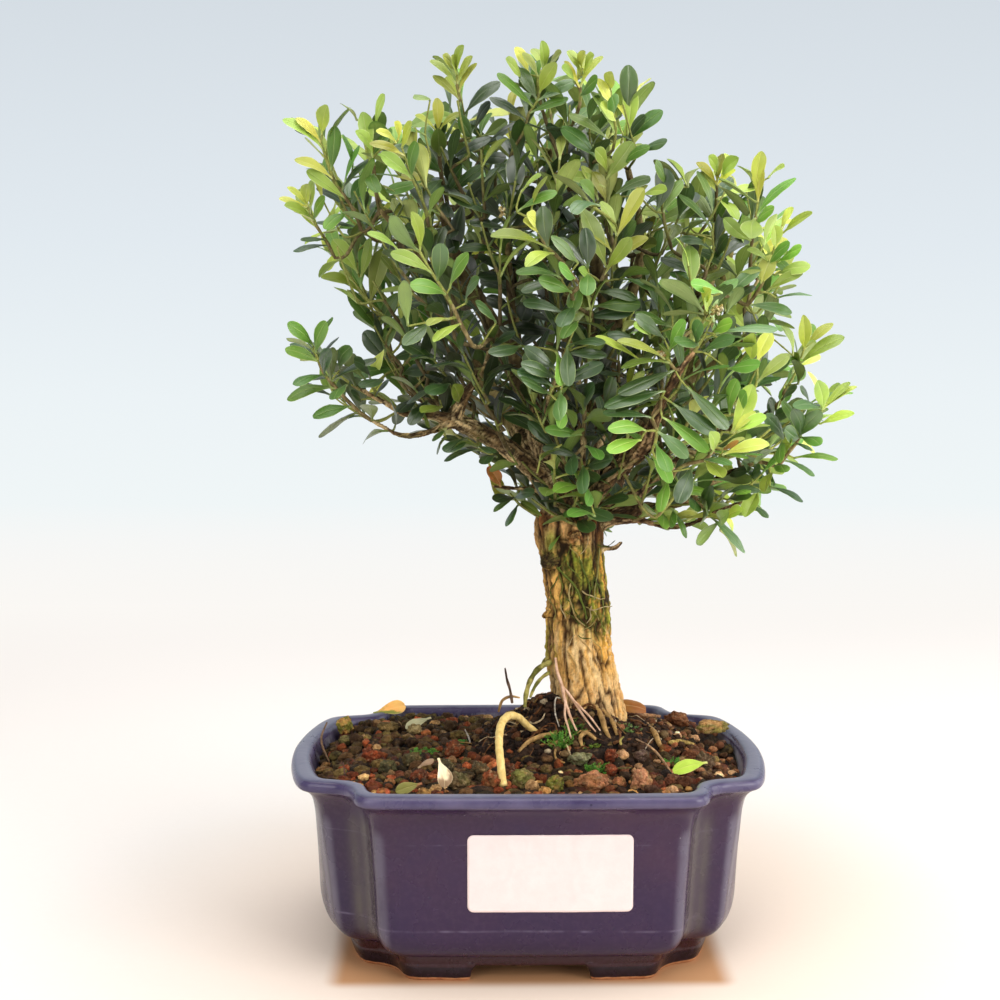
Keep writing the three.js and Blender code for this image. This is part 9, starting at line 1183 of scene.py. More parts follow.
2,-455,2864,-88,-528,2994,64,54,51,66,2,10,1,144,-469,2827,10,-331,2987,75,31,-51,79,2,6,0,144,-469,2827,263,-671,3027,100,-45,43,77,3,5,1,
137,-490,2953,295,-452,3159,94,-76,-14,61,3,7,0,137,-490,2953,-37,-585,3111,79,49,38,77,2,8,0,131,-508,3079,74,-489,3293,74,74,-61,25,2,10,1,
131,-508,3079,177,-601,3284,79,-40,79,45,2,8,1,281,-460,2984,233,-332,3225,89,18,-85,48,2,10,1,281,-460,2984,353,-643,3163,88,-17,66,72,2,9,1,
286,-471,3067,419,-392,3223,80,-60,-37,69,2,7,1,286,-471,3067,162,-591,3247,79,65,34,67,2,8,1,290,-480,3150,200,-365,3402,99,54,-64,52,1,9,1,
296,-493,3274,376,-479,3435,63,-87,-16,44,1,5,1,296,-493,3274,234,-546,3438,62,71,53,44,1,9,1,
    ]},
    "right_inner": {"twigs": [
629,280,2315,-1,113,605,254,2327,0,86,583,228,2341,1,86,577,197,2361,2,72,582,167,2383,3,68,590,138,2405,4,68,599,110,2427,5,68,607,81,2449,6,36,
589,221,2318,2,57,621,220,2345,8,57,652,220,2373,9,45,681,219,2404,10,45,708,219,2436,11,45,734,218,2469,12,45,759,218,2503,13,45,539,210,2386,3,36,
538,123,2185,-1,92,554,140,2183,16,92,591,122,2176,17,92,628,103,2171,18,57,665,84,2167,19,52,702,65,2165,20,52,739,46,2168,21,52,776,28,2173,22,36,
813,9,2179,23,36,849,-10,2187,24,36,574,78,2180,18,84,601,54,2191,26,84,626,30,2204,27,79,651,7,2220,28,61,675,-14,2238,29,61,698,-35,2259,30,61,
720,-56,2281,31,36,179,257,2331,-1,57,208,272,2325,33,57,190,281,2358,34,57,172,290,2393,35,45,156,299,2428,36,45,142,306,2464,37,45,
128,313,2500,38,45,114,320,2536,39,45,278,-46,2374,-1,108,261,-77,2342,41,108,242,-87,2374,42,97,223,-96,2407,43,93,206,-105,2440,44,93,
190,-113,2475,45,77,175,-120,2510,46,72,160,-128,2545,47,72,146,-135,2580,48,45,278,-69,2288,42,72,279,-93,2320,50,72,281,-117,2353,51,72,
282,-140,2386,52,65,283,-162,2420,53,65,284,-182,2455,54,57,284,-202,2491,55,57,285,-221,2526,56,45,286,-239,2563,57,45,287,-257,2599,58,45,
288,303,2300,-1,117,325,325,2276,60,117,308,354,2256,61,117,292,384,2238,62,117,275,415,2223,63,115,258,446,2210,64,45,240,479,2201,65,45,
221,512,2193,66,45,467,-160,2465,-1,57,466,-190,2423,68,57,473,-208,2455,69,57,480,-225,2488,70,45,486,-240,2522,71,45,491,-254,2556,72,45,
496,-268,2590,73,45,501,-281,2625,74,45,336,443,2196,64,113,363,474,2193,76,103,390,506,2192,77,103,418,538,2192,78,100,445,569,2195,79,100,
472,600,2201,80,97,499,632,2208,81,77,525,662,2219,82,57,552,693,2230,83,45,578,723,2242,84,45,322,416,2153,76,72,316,453,2154,86,72,
311,491,2155,87,72,305,529,2158,88,65,300,566,2163,89,65,294,603,2169,90,65,289,640,2179,91,57,284,676,2189,92,57,279,712,2201,93,45,
274,747,2215,94,45,269,782,2228,95,45,525,226,2319,2,45,494,211,2348,97,36,472,195,2382,98,36,477,430,2367,-1,57,438,416,2408,100,57,
428,443,2432,101,57,418,470,2456,102,45,408,494,2483,103,45,400,517,2511,104,45,391,539,2540,105,45,383,561,2570,106,45,354,280,2194,-1,114,
351,230,2149,108,114,334,196,2153,109,93,317,163,2159,110,93,300,129,2167,111,86,284,96,2177,112,86,268,64,2190,113,74,252,33,2206,114,68,
237,2,2222,115,45,222,-29,2239,116,45,289,157,2113,111,52,254,143,2120,118,52,220,129,2129,119,36,187,116,2141,120,36,155,103,2156,121,36,
123,90,2173,122,36,93,78,2192,123,36,639,98,2408,6,65,674,86,2392,125,65,686,53,2412,126,65,697,21,2434,127,65,708,-10,2458,128,57,
718,-39,2484,129,57,728,-67,2512,130,45,738,-94,2541,131,45,747,-120,2570,132,45,613,7,2236,28,65,597,-15,2265,134,65,601,-52,2285,135,65,
604,-89,2305,136,65,607,-124,2328,137,57,611,-159,2352,138,57,614,-191,2379,139,57,617,-223,2407,140,45,620,-253,2436,141,45,623,-284,2465,142,45,
308,61,2174,113,61,331,41,2157,144,61,308,74,2149,145,61,284,106,2141,146,61,260,139,2135,147,52,236,171,2132,148,52,211,204,2131,149,52,
187,237,2133,150,45,163,270,2137,151,45,139,303,2143,152,36,115,335,2149,153,36,604,313,2274,0,93,581,342,2236,155,93,571,383,2217,156,72,
587,406,2243,157,72,603,428,2270,158,72,618,450,2297,159,65,633,471,2326,160,65,647,490,2355,161,57,661,509,2386,162,57,674,528,2417,163,45,
686,545,2449,164,45,699,563,2480,165,45,569,317,2200,156,77,573,294,2169,167,52,607,313,2159,168,52,641,332,2151,169,52,675,351,2143,170,45,
710,371,2138,171,45,745,390,2137,172,45,780,410,2138,173,36,815,429,2141,174,36,849,449,2145,175,36,312,241,2096,109,88,283,277,2059,177,88,
296,317,2066,178,74,309,356,2076,179,72,321,394,2090,180,45,333,430,2108,181,45,345,466,2128,182,45,238,224,2034,178,65,250,235,2072,184,65,
262,245,2110,185,65,273,255,2149,186,57,283,264,2188,187,57,293,273,2227,188,57,302,281,2266,189,45,311,289,2305,190,45,320,297,2345,191,45,
458,621,2199,81,77,456,664,2210,193,77,454,706,2223,194,72,453,746,2240,195,72,451,784,2261,196,72,450,821,2284,197,45,136,-64,2563,48,65,
118,-87,2594,199,65,102,-109,2625,200,65,86,-129,2658,201,57,72,-148,2693,202,57,58,-166,2728,203,45,45,-184,2764,204,45,32,-201,2800,205,45,
778,201,2248,-1,52,778,154,2254,207,52,785,113,2260,208,52,819,89,2261,209,52,853,66,2264,210,52,887,42,2270,211,52,920,19,2278,212,52,
953,-4,2290,213,45,985,-26,2304,214,45,1017,-48,2320,215,45,271,5,2181,115,61,280,-19,2158,217,61,245,-30,2171,218,61,210,-42,2186,219,61,
176,-53,2202,220,52,143,-64,2220,221,52,111,-74,2241,222,52,81,-84,2263,223,45,51,-94,2287,224,45,21,-104,2311,225,45,482,645,2219,82,65,
498,684,2225,227,65,513,723,2232,228,65,528,761,2243,229,57,543,799,2256,230,57,557,835,2272,231,45,571,871,2290,232,45,585,906,2310,233,45,
288,392,2056,180,65,263,422,2040,235,65,245,456,2053,236,65,227,489,2068,237,65,209,521,2083,238,61,191,553,2101,239,61,174,583,2122,240,57,
158,613,2143,241,57,142,642,2166,242,57,126,671,2190,243,45,110,699,2215,244,45,687,-47,2302,31,57,680,-60,2338,246,57,709,-86,2343,247,57,
738,-110,2350,248,45,766,-135,2360,249,45,794,-158,2373,250,45,820,-181,2389,251,45,847,-204,2407,252,45,206,344,2238,-1,114,174,360,2193,254,114,
156,385,2154,255,98,179,416,2151,256,98,201,447,2149,257,98,224,478,2147,258,95,246,509,2149,259,95,269,540,2153,260,92,291,570,2158,261,92,
313,601,2167,262,92,335,631,2176,263,72,357,661,2186,264,72,337,583,2187,263,72,317,615,2199,266,72,297,646,2213,267,72,278,677,2227,268,65,
259,707,2244,269,65,241,736,2264,270,57,223,764,2284,271,57,206,792,2306,272,57,189,819,2329,273,45,173,846,2352,274,45,139,386,2206,255,82,
110,408,2230,276,82,82,427,2255,277,82,54,441,2277,278,82,27,453,2301,279,82,1,466,2326,280,65,-23,477,2353,281,65,-47,488,2382,282,45,
-69,499,2411,283,45,-91,509,2440,284,45,-17,493,2263,280,61,-29,522,2287,286,61,-40,550,2313,287,61,-51,577,2340,288,57,-61,602,2369,289,57,
-70,626,2399,290,45,-79,649,2430,291,45,-88,671,2462,292,45,522,312,2193,167,68,486,327,2188,294,68,513,356,2177,295,68,539,386,2168,296,61,
566,416,2164,297,61,593,446,2164,298,61,621,477,2166,299,61,313,29,2252,-1,57,348,75,2270,301,57,387,101,2289,302,57,410,71,2296,303,57,
434,41,2306,304,45,456,12,2318,305,45,478,-16,2334,306,45,500,-43,2352,307,45,521,-70,2371,308,45,-3,498,2386,282,57,10,514,2417,310,57,
-28,509,2424,311,57,-65,505,2432,312,57,-102,500,2442,313,52,-139,496,2454,314,52,-174,491,2468,315,45,-209,487,2484,316,45,-243,483,2502,317,45,
-277,478,2521,318,36,-310,474,2540,319,36,379,444,2668,-1,65,405,403,2669,321,65,428,365,2669,322,65,454,339,2683,323,65,471,350,2715,324,65,
488,361,2748,325,65,503,370,2782,326,57,517,380,2815,327,57,531,389,2850,328,57,544,397,2885,329,45,556,405,2920,330,45,568,413,2955,331,45,
218,-71,2480,45,72,237,-31,2508,333,72,258,-11,2543,334,72,268,-35,2571,335,72,277,-59,2599,336,72,286,-82,2628,337,65,294,-104,2657,338,65,
302,-125,2688,339,57,310,-145,2719,340,57,317,-164,2751,341,45,325,-183,2784,342,45,332,-201,2816,343,45,648,515,2145,300,52,677,545,2125,345,52,
714,557,2119,346,52,750,569,2114,347,52,787,581,2112,348,52,824,593,2111,349,52,861,605,2114,350,52,897,617,2119,351,45,934,629,2126,352,45,
970,641,2134,353,45,361,656,2232,265,65,359,656,2272,355,65,358,696,2279,356,65,357,736,2287,357,65,356,776,2297,358,57,355,814,2310,359,57,
354,852,2325,360,57,353,889,2343,361,45,352,925,2361,362,45,351,960,2381,363,45,398,833,2247,197,65,408,862,2272,365,65,417,890,2297,366,65,
426,917,2323,367,57,435,943,2351,368,57,444,968,2380,369,57,452,991,2411,370,45,459,1014,2441,371,45,467,1037,2472,372,45,
    ], "leaves": [
525,226,2319,654,176,2476,72,-8,92,36,5,7,1,472,195,2382,464,-24,2303,80,35,-33,87,3,10,1,539,210,2386,598,-12,2365,80,-12,-12,98,3,4,1,
599,110,2427,638,-115,2462,80,-72,-1,68,3,7,1,417,890,2297,598,1067,2394,95,-51,3,85,3,9,0,417,890,2297,315,942,2504,76,90,12,39,3,6,0,
444,968,2380,548,923,2648,94,-55,76,31,3,9,0,444,968,2380,403,1183,2343,82,31,17,93,3,4,0,467,1037,2472,570,1185,2552,66,-37,-22,89,3,9,0,
467,1037,2472,452,1123,2667,74,52,-76,38,2,5,0,201,447,2149,481,488,2100,97,6,60,79,2,5,0,201,447,2149,180,720,2243,98,75,-15,63,2,3,0,
246,509,2149,501,507,2084,82,26,36,88,2,4,0,246,509,2149,245,744,2196,83,41,-16,89,2,4,0,313,601,2167,307,844,2253,96,46,-29,83,2,6,0,
357,661,2186,517,727,2176,61,-6,28,95,2,7,0,357,661,2186,385,836,2227,62,81,-25,52,2,7,0,297,646,2213,317,881,2242,84,-22,-10,96,2,6,0,
297,646,2213,91,633,2345,86,50,28,81,3,9,0,259,707,2244,355,944,2340,86,-54,-9,83,2,6,0,259,707,2244,11,717,2328,88,28,45,84,3,10,0,
206,792,2306,323,1045,2328,103,-53,12,83,2,8,0,206,792,2306,-3,816,2449,94,57,33,74,2,5,0,173,846,2352,127,1010,2474,66,-58,-57,56,2,6,0,
173,846,2352,-24,944,2417,79,49,53,68,2,3,0,390,506,2192,639,505,2247,81,-15,66,73,3,8,0,390,506,2192,387,755,2158,78,48,14,85,3,8,0,
445,569,2195,643,574,2370,85,-33,84,40,3,5,1,445,569,2195,421,811,2115,89,40,36,83,3,9,0,525,662,2219,780,689,2248,96,-16,34,91,3,9,0,
525,662,2219,469,888,2223,76,63,11,75,3,10,0,578,723,2242,755,801,2283,70,-43,68,58,3,4,1,578,723,2242,615,908,2250,69,61,-15,76,3,9,0,
-40,550,2313,124,778,2376,95,-54,10,82,2,5,0,-61,602,2369,-38,540,2633,94,-56,78,24,3,9,1,-61,602,2369,-148,827,2415,81,21,-11,96,3,4,0,
-88,671,2462,-53,807,2588,69,-81,-26,50,2,4,0,-88,671,2462,-201,740,2575,64,74,22,62,2,8,0,513,356,2177,740,336,2211,74,0,78,61,2,3,1,
513,356,2177,448,637,2083,108,50,39,77,2,6,1,621,477,2166,762,572,2168,59,-31,44,83,1,6,0,621,477,2166,659,625,2098,58,55,22,79,1,8,0,
357,736,2287,506,918,2283,78,-27,23,92,2,6,0,357,736,2287,142,869,2417,98,64,36,66,3,4,0,354,852,2325,542,968,2351,82,-25,17,94,3,11,0,
354,852,2325,111,957,2404,93,47,52,70,2,4,0,351,960,2381,419,1127,2392,63,-55,17,80,2,4,0,351,960,2381,262,1083,2473,60,81,18,54,2,6,0,
27,453,2301,-85,267,2448,95,5,63,76,3,10,1,-91,509,2440,-206,622,2513,59,14,-43,88,3,10,0,-91,509,2440,-167,500,2599,58,48,82,28,3,9,0,
284,106,2141,235,299,1929,102,-32,67,65,3,6,1,284,106,2141,137,204,2316,88,80,40,43,3,8,0,211,204,2131,305,409,2166,80,-70,15,68,3,9,0,
163,270,2137,169,431,1895,108,-26,78,55,3,3,1,163,270,2137,14,345,2289,74,62,73,23,3,7,1,456,664,2210,599,887,2147,87,-5,31,94,2,7,0,
456,664,2210,311,787,2370,90,79,21,56,2,10,0,450,821,2284,512,971,2336,62,-39,-15,90,1,10,0,450,821,2284,388,988,2336,66,39,-14,90,1,6,0,
227,489,2068,281,761,2067,88,-40,9,90,3,9,0,191,553,2101,260,749,2248,84,-67,-26,68,2,8,0,142,642,2166,238,834,2232,75,-53,-8,83,2,4,0,
142,642,2166,-85,629,2248,79,34,33,87,2,8,0,110,699,2215,85,880,2297,63,-50,-41,75,2,7,0,110,699,2215,-53,783,2333,68,59,3,79,2,8,0,
296,317,2066,170,479,2174,82,44,-22,86,3,7,0,345,466,2128,480,589,2204,67,-59,17,77,3,5,0,345,466,2128,333,682,2190,72,66,-17,72,3,4,0,
-65,505,2432,-177,305,2606,90,-45,70,53,3,5,1,-139,496,2454,-249,311,2534,76,-43,53,72,3,10,1,-243,483,2502,-354,277,2665,107,-11,66,73,3,3,1,
-310,474,2540,-468,529,2638,67,23,-63,73,3,6,0,513,723,2232,738,837,2194,89,4,20,97,3,6,0,513,723,2232,446,899,2381,82,55,-40,72,3,4,0,
543,799,2256,773,919,2277,79,-29,45,83,3,11,0,543,799,2256,431,974,2354,80,74,15,64,3,4,0,585,906,2310,724,1043,2295,69,-20,30,92,3,8,0,
585,906,2310,552,1072,2393,60,82,-11,54,2,10,0,861,605,2114,1079,494,2259,90,-3,76,63,1,5,1,970,641,2134,1144,638,2155,57,-4,88,45,1,5,0,
970,641,2134,1103,750,2142,58,15,-25,95,1,5,0,292,384,2238,421,538,2047,103,-14,79,58,3,4,1,292,384,2238,33,495,2309,96,34,29,88,3,7,0,
221,512,2193,218,708,2177,67,-87,2,48,3,9,0,221,512,2193,64,647,2111,75,5,56,82,3,6,1,641,332,2151,876,211,2163,82,16,40,89,3,4,0,
745,390,2137,811,630,2084,84,37,10,91,2,4,0,849,449,2145,1047,461,2085,70,14,77,60,2,4,1,311,491,2155,408,710,2066,89,-26,49,82,3,10,0,
311,491,2155,115,598,2298,80,62,13,76,2,10,0,294,603,2169,454,801,2165,91,-17,15,97,2,8,0,294,603,2169,123,728,2234,83,48,21,84,3,10,0,
284,676,2189,426,901,2160,94,-29,34,88,2,4,0,284,676,2189,69,760,2297,85,50,49,70,2,8,0,269,782,2228,358,975,2270,77,-35,-4,93,2,8,0,
269,782,2228,143,934,2251,68,45,25,85,2,5,0,473,-208,2455,335,-235,2690,95,83,12,53,2,3,1,473,-208,2455,651,-329,2583,87,-43,23,86,2,4,0,
501,-281,2625,566,-317,2794,59,-86,29,39,1,4,0,501,-281,2625,474,-413,2716,56,30,49,80,1,10,0,410,71,2296,405,-163,2420,92,50,38,77,2,3,1,
102,-109,2625,-122,21,2756,100,11,-67,72,2,9,1,102,-109,2625,204,-298,2696,74,-29,26,91,2,10,0,72,-148,2693,142,-168,2925,83,-94,-15,28,1,6,0,
72,-148,2693,-121,-303,2766,82,25,13,95,1,8,0,32,-201,2800,-52,-246,2954,59,87,-28,39,1,3,0,32,-201,2800,29,-331,2922,57,-25,66,69,1,4,1,
317,163,2159,87,107,2319,102,58,-43,68,2,9,0,268,64,2190,111,46,2356,79,59,-64,47,2,3,1,268,64,2190,328,-181,2144,94,-29,-23,92,3,5,1,
222,-29,2239,107,-155,2339,63,80,-35,48,2,9,0,222,-29,2239,221,-246,2237,73,-54,0,83,2,10,0,281,-117,2353,83,-142,2514,85,63,-21,73,3,9,0,
281,-117,2353,468,-248,2481,91,-58,-3,80,3,5,1,283,-162,2420,278,-128,2671,93,-7,-98,14,3,5,1,283,-162,2420,298,-418,2506,86,0,31,94,3,8,0,
284,-202,2491,136,-288,2673,84,77,-24,57,3,8,0,284,-202,2491,456,-332,2643,88,-54,15,81,3,7,0,287,-257,2599,280,-267,2817,79,98,11,4,3,4,0,
287,-257,2599,303,-442,2667,72,7,35,92,3,5,1,709,-86,2343,722,-338,2463,95,87,21,42,3,10,0,709,-86,2343,961,-44,2345,77,14,-61,76,2,11,1,
847,-204,2407,906,-341,2518,59,46,67,57,2,6,1,697,21,2434,521,-44,2603,95,73,-45,50,3,9,1,697,21,2434,886,-74,2435,70,-15,-18,96,3,9,0,
718,-39,2484,825,-10,2751,97,-69,-61,35,2,11,1,718,-39,2484,716,-331,2490,92,-11,1,98,2,9,0,747,-120,2570,713,-251,2738,78,88,26,37,2,6,0,
747,-120,2570,846,-245,2671,66,-52,25,81,2,9,0,254,143,2120,97,268,2342,103,21,-76,59,2,5,0,254,143,2120,114,-61,2042,80,-58,4,80,2,9,0,
93,78,2192,-32,77,2278,52,31,-83,44,1,9,1,277,-59,2599,128,-207,2786,92,75,7,65,3,8,0,277,-59,2599,473,-117,2684,78,-43,-14,88,3,6,0,
294,-104,2657,247,-53,2878,80,55,-76,31,3,4,1,294,-104,2657,408,-322,2667,79,6,7,99,3,5,0,310,-145,2719,211,-204,2948,81,88,-27,36,3,4,0,
310,-145,2719,497,-283,2778,80,-14,14,97,3,7,0,332,-201,2816,373,-256,3039,77,-89,35,25,3,6,0,332,-201,2816,378,-367,2930,72,3,57,81,3,7,1,
604,-89,2305,798,-192,2427,92,-64,-37,66,3,10,0,614,-191,2379,820,-315,2432,86,-45,-33,82,3,8,0,623,-284,2465,589,-455,2561,73,62,28,72,2,6,1,
623,-284,2465,714,-405,2598,72,-76,10,62,2,4,0,920,19,2278,956,-125,2505,90,31,82,46,3,3,1,1017,-48,2320,1222,-85,2349,75,-21,-49,83,3,9,1,
242,-87,2374,192,18,2638,96,-11,-91,38,3,4,0,242,-87,2374,115,-271,2457,74,17,24,95,3,10,0,190,-113,2475,265,-166,2682,73,-91,13,37,3,8,0,
146,-135,2580,145,-108,2808,81,-14,-97,12,3,5,0,146,-135,2580,7,-229,2710,70,39,48,77,3,3,0,628,103,2171,834,172,2208,77,22,-87,42,1,4,1,
739,46,2168,970,150,2188,86,12,-45,88,0,11,1,849,-10,2187,1020,-31,2218,55,-21,-52,81,0,7,1,210,-42,2186,63,78,2376,96,20,-75,62,3,4,1,
210,-42,2186,84,-273,2207,97,-39,31,86,3,4,1,111,-74,2241,30,59,2469,95,-2,-87,48,3,8,1,601,54,2191,632,-218,2282,93,61,29,72,2,10,1,
601,54,2191,867,77,2317,102,-37,-31,86,3,9,1,720,-56,2281,761,-196,2386,66,59,58,55,2,10,0,428,443,2432,526,661,2416,85,-19,20,95,3,5,0,
428,443,2432,261,404,2605,74,31,78,53,3,4,0,383,561,2570,397,679,2750,72,-81,-45,36,3,8,0,383,561,2570,276,689,2691,72,60,-21,76,3,9,0,
488,361,2748,546,270,2945,75,-12,89,42,3,9,0,488,361,2748,554,563,2821,83,-28,-27,91,3,5,0,531,389,2850,387,396,3087,105,86,14,47,3,7,0,
531,389,2850,771,445,2882,90,-15,-13,97,3,8,0,568,413,2955,686,373,3104,66,-59,53,60,2,7,0,568,413,2955,606,495,3113,61,-9,-87,47,3,8,0,
603,428,2270,834,500,2361,88,-39,9,91,3,10,0,603,428,2270,451,546,2468,99,72,-18,65,3,6,1,633,471,2326,670,398,2563,82,-17,92,32,3,7,1,
633,471,2326,706,677,2375,73,-4,-21,97,3,5,0,661,509,2386,877,661,2449,86,-24,2,96,3,6,0,661,509,2386,551,543,2604,86,86,-5,49,3,7,0,
699,563,2480,771,561,2686,78,-50,84,18,2,5,1,699,563,2480,766,735,2585,75,-6,-50,85,2,11,0,262,245,2110,289,449,2260,95,4,-61,78,3,5,0,
262,245,2110,307,69,2249,80,-16,62,76,3,10,0,293,273,2227,522,191,2289,90,-23,25,93,3,5,0,293,273,2227,120,410,2379,94,44,-42,78,3,9,1,
320,297,2345,375,369,2493,56,-65,-55,51,2,10,0,320,297,2345,323,243,2541,71,4,95,26,2,7,0,621,220,2345,732,69,2518,89,13,76,62,3,6,1,
621,220,2345,794,448,2446,92,8,-42,89,3,3,0,759,218,2503,874,222,2679,71,-53,77,32,2,8,0,759,218,2503,939,204,2560,66,-28,24,92,3,10,0,
190,281,2358,230,471,2502,80,-27,-51,80,3,11,0,190,281,2358,14,146,2462,80,18,39,89,3,5,0,114,320,2536,139,319,2718,62,-98,-7,13,3,7,0,
114,320,2536,-12,379,2720,84,76,-21,59,3,3,0,-207,487,2479,-116,512,2256,105,61,-74,24,0,0,1,
    ]},
    "back_left_low": {"twigs": [
-523,867,2821,-1,36,-187,877,2862,-1,77,-198,921,2830,1,77,-222,936,2858,2,77,-245,952,2888,3,77,-267,966,2918,4,72,-288,980,2950,5,57,
-308,993,2982,6,57,-326,1005,3016,7,45,-345,1018,3050,8,45,-363,1029,3084,9,45,-310,891,2765,-1,98,-324,832,2783,11,98,-346,796,2808,12,98,
-362,833,2822,13,65,-377,869,2838,14,57,-393,904,2857,15,57,-407,937,2880,16,57,-421,970,2904,17,45,-434,1001,2930,18,45,-247,1000,2943,5,57,
-218,1030,2959,20,57,-197,1057,2983,21,57,-204,1069,3022,22,57,-211,1080,3062,23,45,-216,1090,3101,24,45,-222,1099,3141,25,45,-227,1108,3182,26,45,
-388,765,2787,13,98,-424,740,2753,28,98,-460,721,2718,29,61,-498,708,2689,30,61,-544,702,2676,31,61,-575,716,2701,32,61,-604,730,2729,33,52,
-631,742,2758,34,52,-657,754,2789,35,52,-682,766,2822,36,36,-705,777,2855,37,36,-445,695,2754,29,95,-457,650,2762,39,95,-470,611,2776,40,95,
-492,583,2797,41,95,-519,598,2826,42,52,-546,613,2855,43,52,-571,627,2886,44,36,-594,640,2919,45,36,-617,652,2953,46,36,-638,664,2987,47,36,
-659,675,3022,48,36,-523,540,2812,42,90,-553,497,2820,50,90,-581,457,2827,51,90,-612,422,2838,52,90,-646,397,2859,53,72,-671,404,2889,54,72,
-696,411,2920,55,68,-719,418,2953,56,68,-740,424,2987,57,36,-760,430,3021,58,36,-779,435,3056,59,36,-654,403,2795,53,72,-698,396,2761,61,72,
-732,402,2785,62,61,-765,409,2811,63,61,-797,415,2838,64,57,-828,420,2866,65,57,-857,426,2896,66,52,-885,431,2927,67,52,-912,436,2959,68,36,
-938,441,2992,69,36,-965,446,3024,70,36,-693,426,2994,57,65,-657,433,3026,72,65,-632,439,3062,73,65,-639,443,3103,74,65,-645,447,3143,75,65,
-651,450,3184,76,57,-656,453,3225,77,57,-662,457,3265,78,57,-666,459,3306,79,45,-671,462,3347,80,45,-676,465,3388,81,45,-434,77,3450,-1,57,
-474,120,3441,83,57,-510,163,3428,84,57,-545,204,3415,85,57,-579,242,3407,86,57,-615,276,3408,87,57,-653,306,3422,88,57,-672,305,3454,89,57,
-690,305,3488,90,45,-706,305,3522,91,45,-721,305,3557,92,45,-735,305,3592,93,45,-749,305,3627,94,45,-736,372,2739,62,52,-769,344,2721,96,52,
-802,319,2708,97,52,-842,306,2703,98,52,-875,322,2719,99,52,-907,337,2737,100,52,-938,353,2756,101,36,-968,368,2777,102,36,-997,382,2801,103,36,
-1025,396,2826,104,36,-1052,409,2852,105,36,-1079,422,2878,106,36,
    ], "leaves": [
-245,952,2888,-393,1198,2849,100,-34,-10,92,3,10,0,-245,952,2888,-270,873,3134,88,-26,92,24,3,10,0,-308,993,2982,-203,1078,3164,82,-84,-18,50,3,7,0,
-308,993,2982,-566,989,2993,91,8,29,94,3,4,0,-363,1029,3084,-502,1160,3148,64,14,-31,93,3,7,0,-363,1029,3084,-415,1030,3277,71,64,73,17,2,3,0,
-204,1069,3022,-308,1313,3112,92,6,-31,94,2,10,0,-204,1069,3022,-139,891,3217,86,-25,66,69,3,10,0,-227,1108,3182,-208,1157,3361,61,-79,-55,23,2,4,0,
-227,1108,3182,-330,1130,3340,69,82,26,50,2,6,0,-362,833,2822,-280,1066,2828,79,-32,13,93,3,10,0,-362,833,2822,-579,919,2977,96,61,29,72,3,8,0,
-407,937,2880,-313,1137,2812,83,-42,39,81,3,10,0,-407,937,2880,-586,1000,3075,95,73,45,49,3,3,0,-434,1001,2930,-464,1228,2978,86,-31,-23,91,3,8,0,
-434,1001,2930,-580,1118,3068,86,75,22,61,3,6,0,-546,613,2855,-578,891,2899,103,9,-18,97,1,7,0,-594,640,2919,-531,685,3135,74,-92,-20,32,0,10,0,
-907,337,2737,-1037,535,2694,87,-27,0,95,3,10,0,-907,337,2737,-998,217,2955,86,-8,89,43,3,10,1,-997,382,2801,-993,601,2967,104,-41,-56,71,3,8,0,
-575,716,2701,-648,973,2790,88,-23,-34,90,3,9,0,-575,716,2701,-710,571,2842,87,6,63,76,3,8,1,-657,754,2789,-575,832,3011,89,-89,-25,35,3,5,0,
-657,754,2789,-901,771,2804,92,14,31,93,3,7,0,-705,777,2855,-840,789,3018,73,59,66,44,2,8,0,-885,431,2927,-966,263,3075,81,-33,65,67,2,11,1,
-965,446,3024,-1188,459,3059,83,16,30,93,2,5,0,-672,305,3454,-660,539,3636,107,-25,-56,78,3,4,1,-749,305,3627,-762,301,3800,60,46,87,5,2,8,1,
-749,305,3627,-863,307,3772,62,77,15,60,3,7,0,-645,447,3143,-721,594,3291,80,31,-61,71,2,6,0,-645,447,3143,-608,322,3318,72,-31,76,56,2,10,1,
-662,457,3265,-546,606,3403,90,-34,-53,76,3,9,0,-676,465,3388,-774,572,3536,67,37,-61,69,2,4,1,-676,465,3388,-642,410,3571,65,-48,80,33,2,8,0,
-778,438,3062,-750,522,3255,101,-44,-75,47,2,6,1,-684,765,2827,-793,735,3072,127,43,-88,13,2,2,1,-226,1099,3146,-406,1088,3332,122,-47,-82,29,1,5,1,
-703,779,2860,-611,858,3118,118,19,-68,69,2,-1,1,-675,305,3459,-781,308,3602,85,56,-47,66,1,-2,1,-676,767,2821,-438,816,2771,124,-53,-33,77,0,-1,0,
-429,1003,2929,-261,1049,2901,80,-2,-23,96,0,6,0,-658,756,2795,-696,804,2938,79,-92,-29,-21,1,2,0,
    ]},
    "back_left": {"twigs": [
-346,970,3086,-1,84,-379,950,3060,0,61,-412,934,3046,1,61,-439,933,3074,2,61,-465,933,3102,3,61,-489,933,3131,4,52,-513,932,3162,5,52,
-535,932,3193,6,52,-556,932,3225,7,45,-576,931,3257,8,45,-597,931,3290,9,45,-438,999,3217,-1,82,-435,980,3224,11,82,-457,998,3256,12,82,
-478,1014,3289,13,57,-497,1030,3323,14,57,-515,1044,3359,15,45,-532,1058,3395,16,45,-549,1071,3432,17,45,-462,975,3289,13,65,-464,957,3321,19,65,
-472,979,3355,20,65,-480,1000,3390,21,65,-487,1020,3426,22,57,-494,1039,3463,23,57,-500,1057,3500,24,57,-506,1073,3537,25,45,-512,1090,3575,26,45,
-518,1106,3613,27,45,-589,951,3460,-1,103,-552,958,3480,29,103,-526,968,3503,30,103,-541,990,3535,31,72,-555,1010,3568,32,72,-568,1030,3601,33,65,
-581,1049,3635,34,65,-593,1067,3670,35,57,-604,1084,3706,36,57,-615,1101,3742,37,45,-626,1117,3778,38,45,-637,1133,3815,39,45,-289,975,3110,0,72,
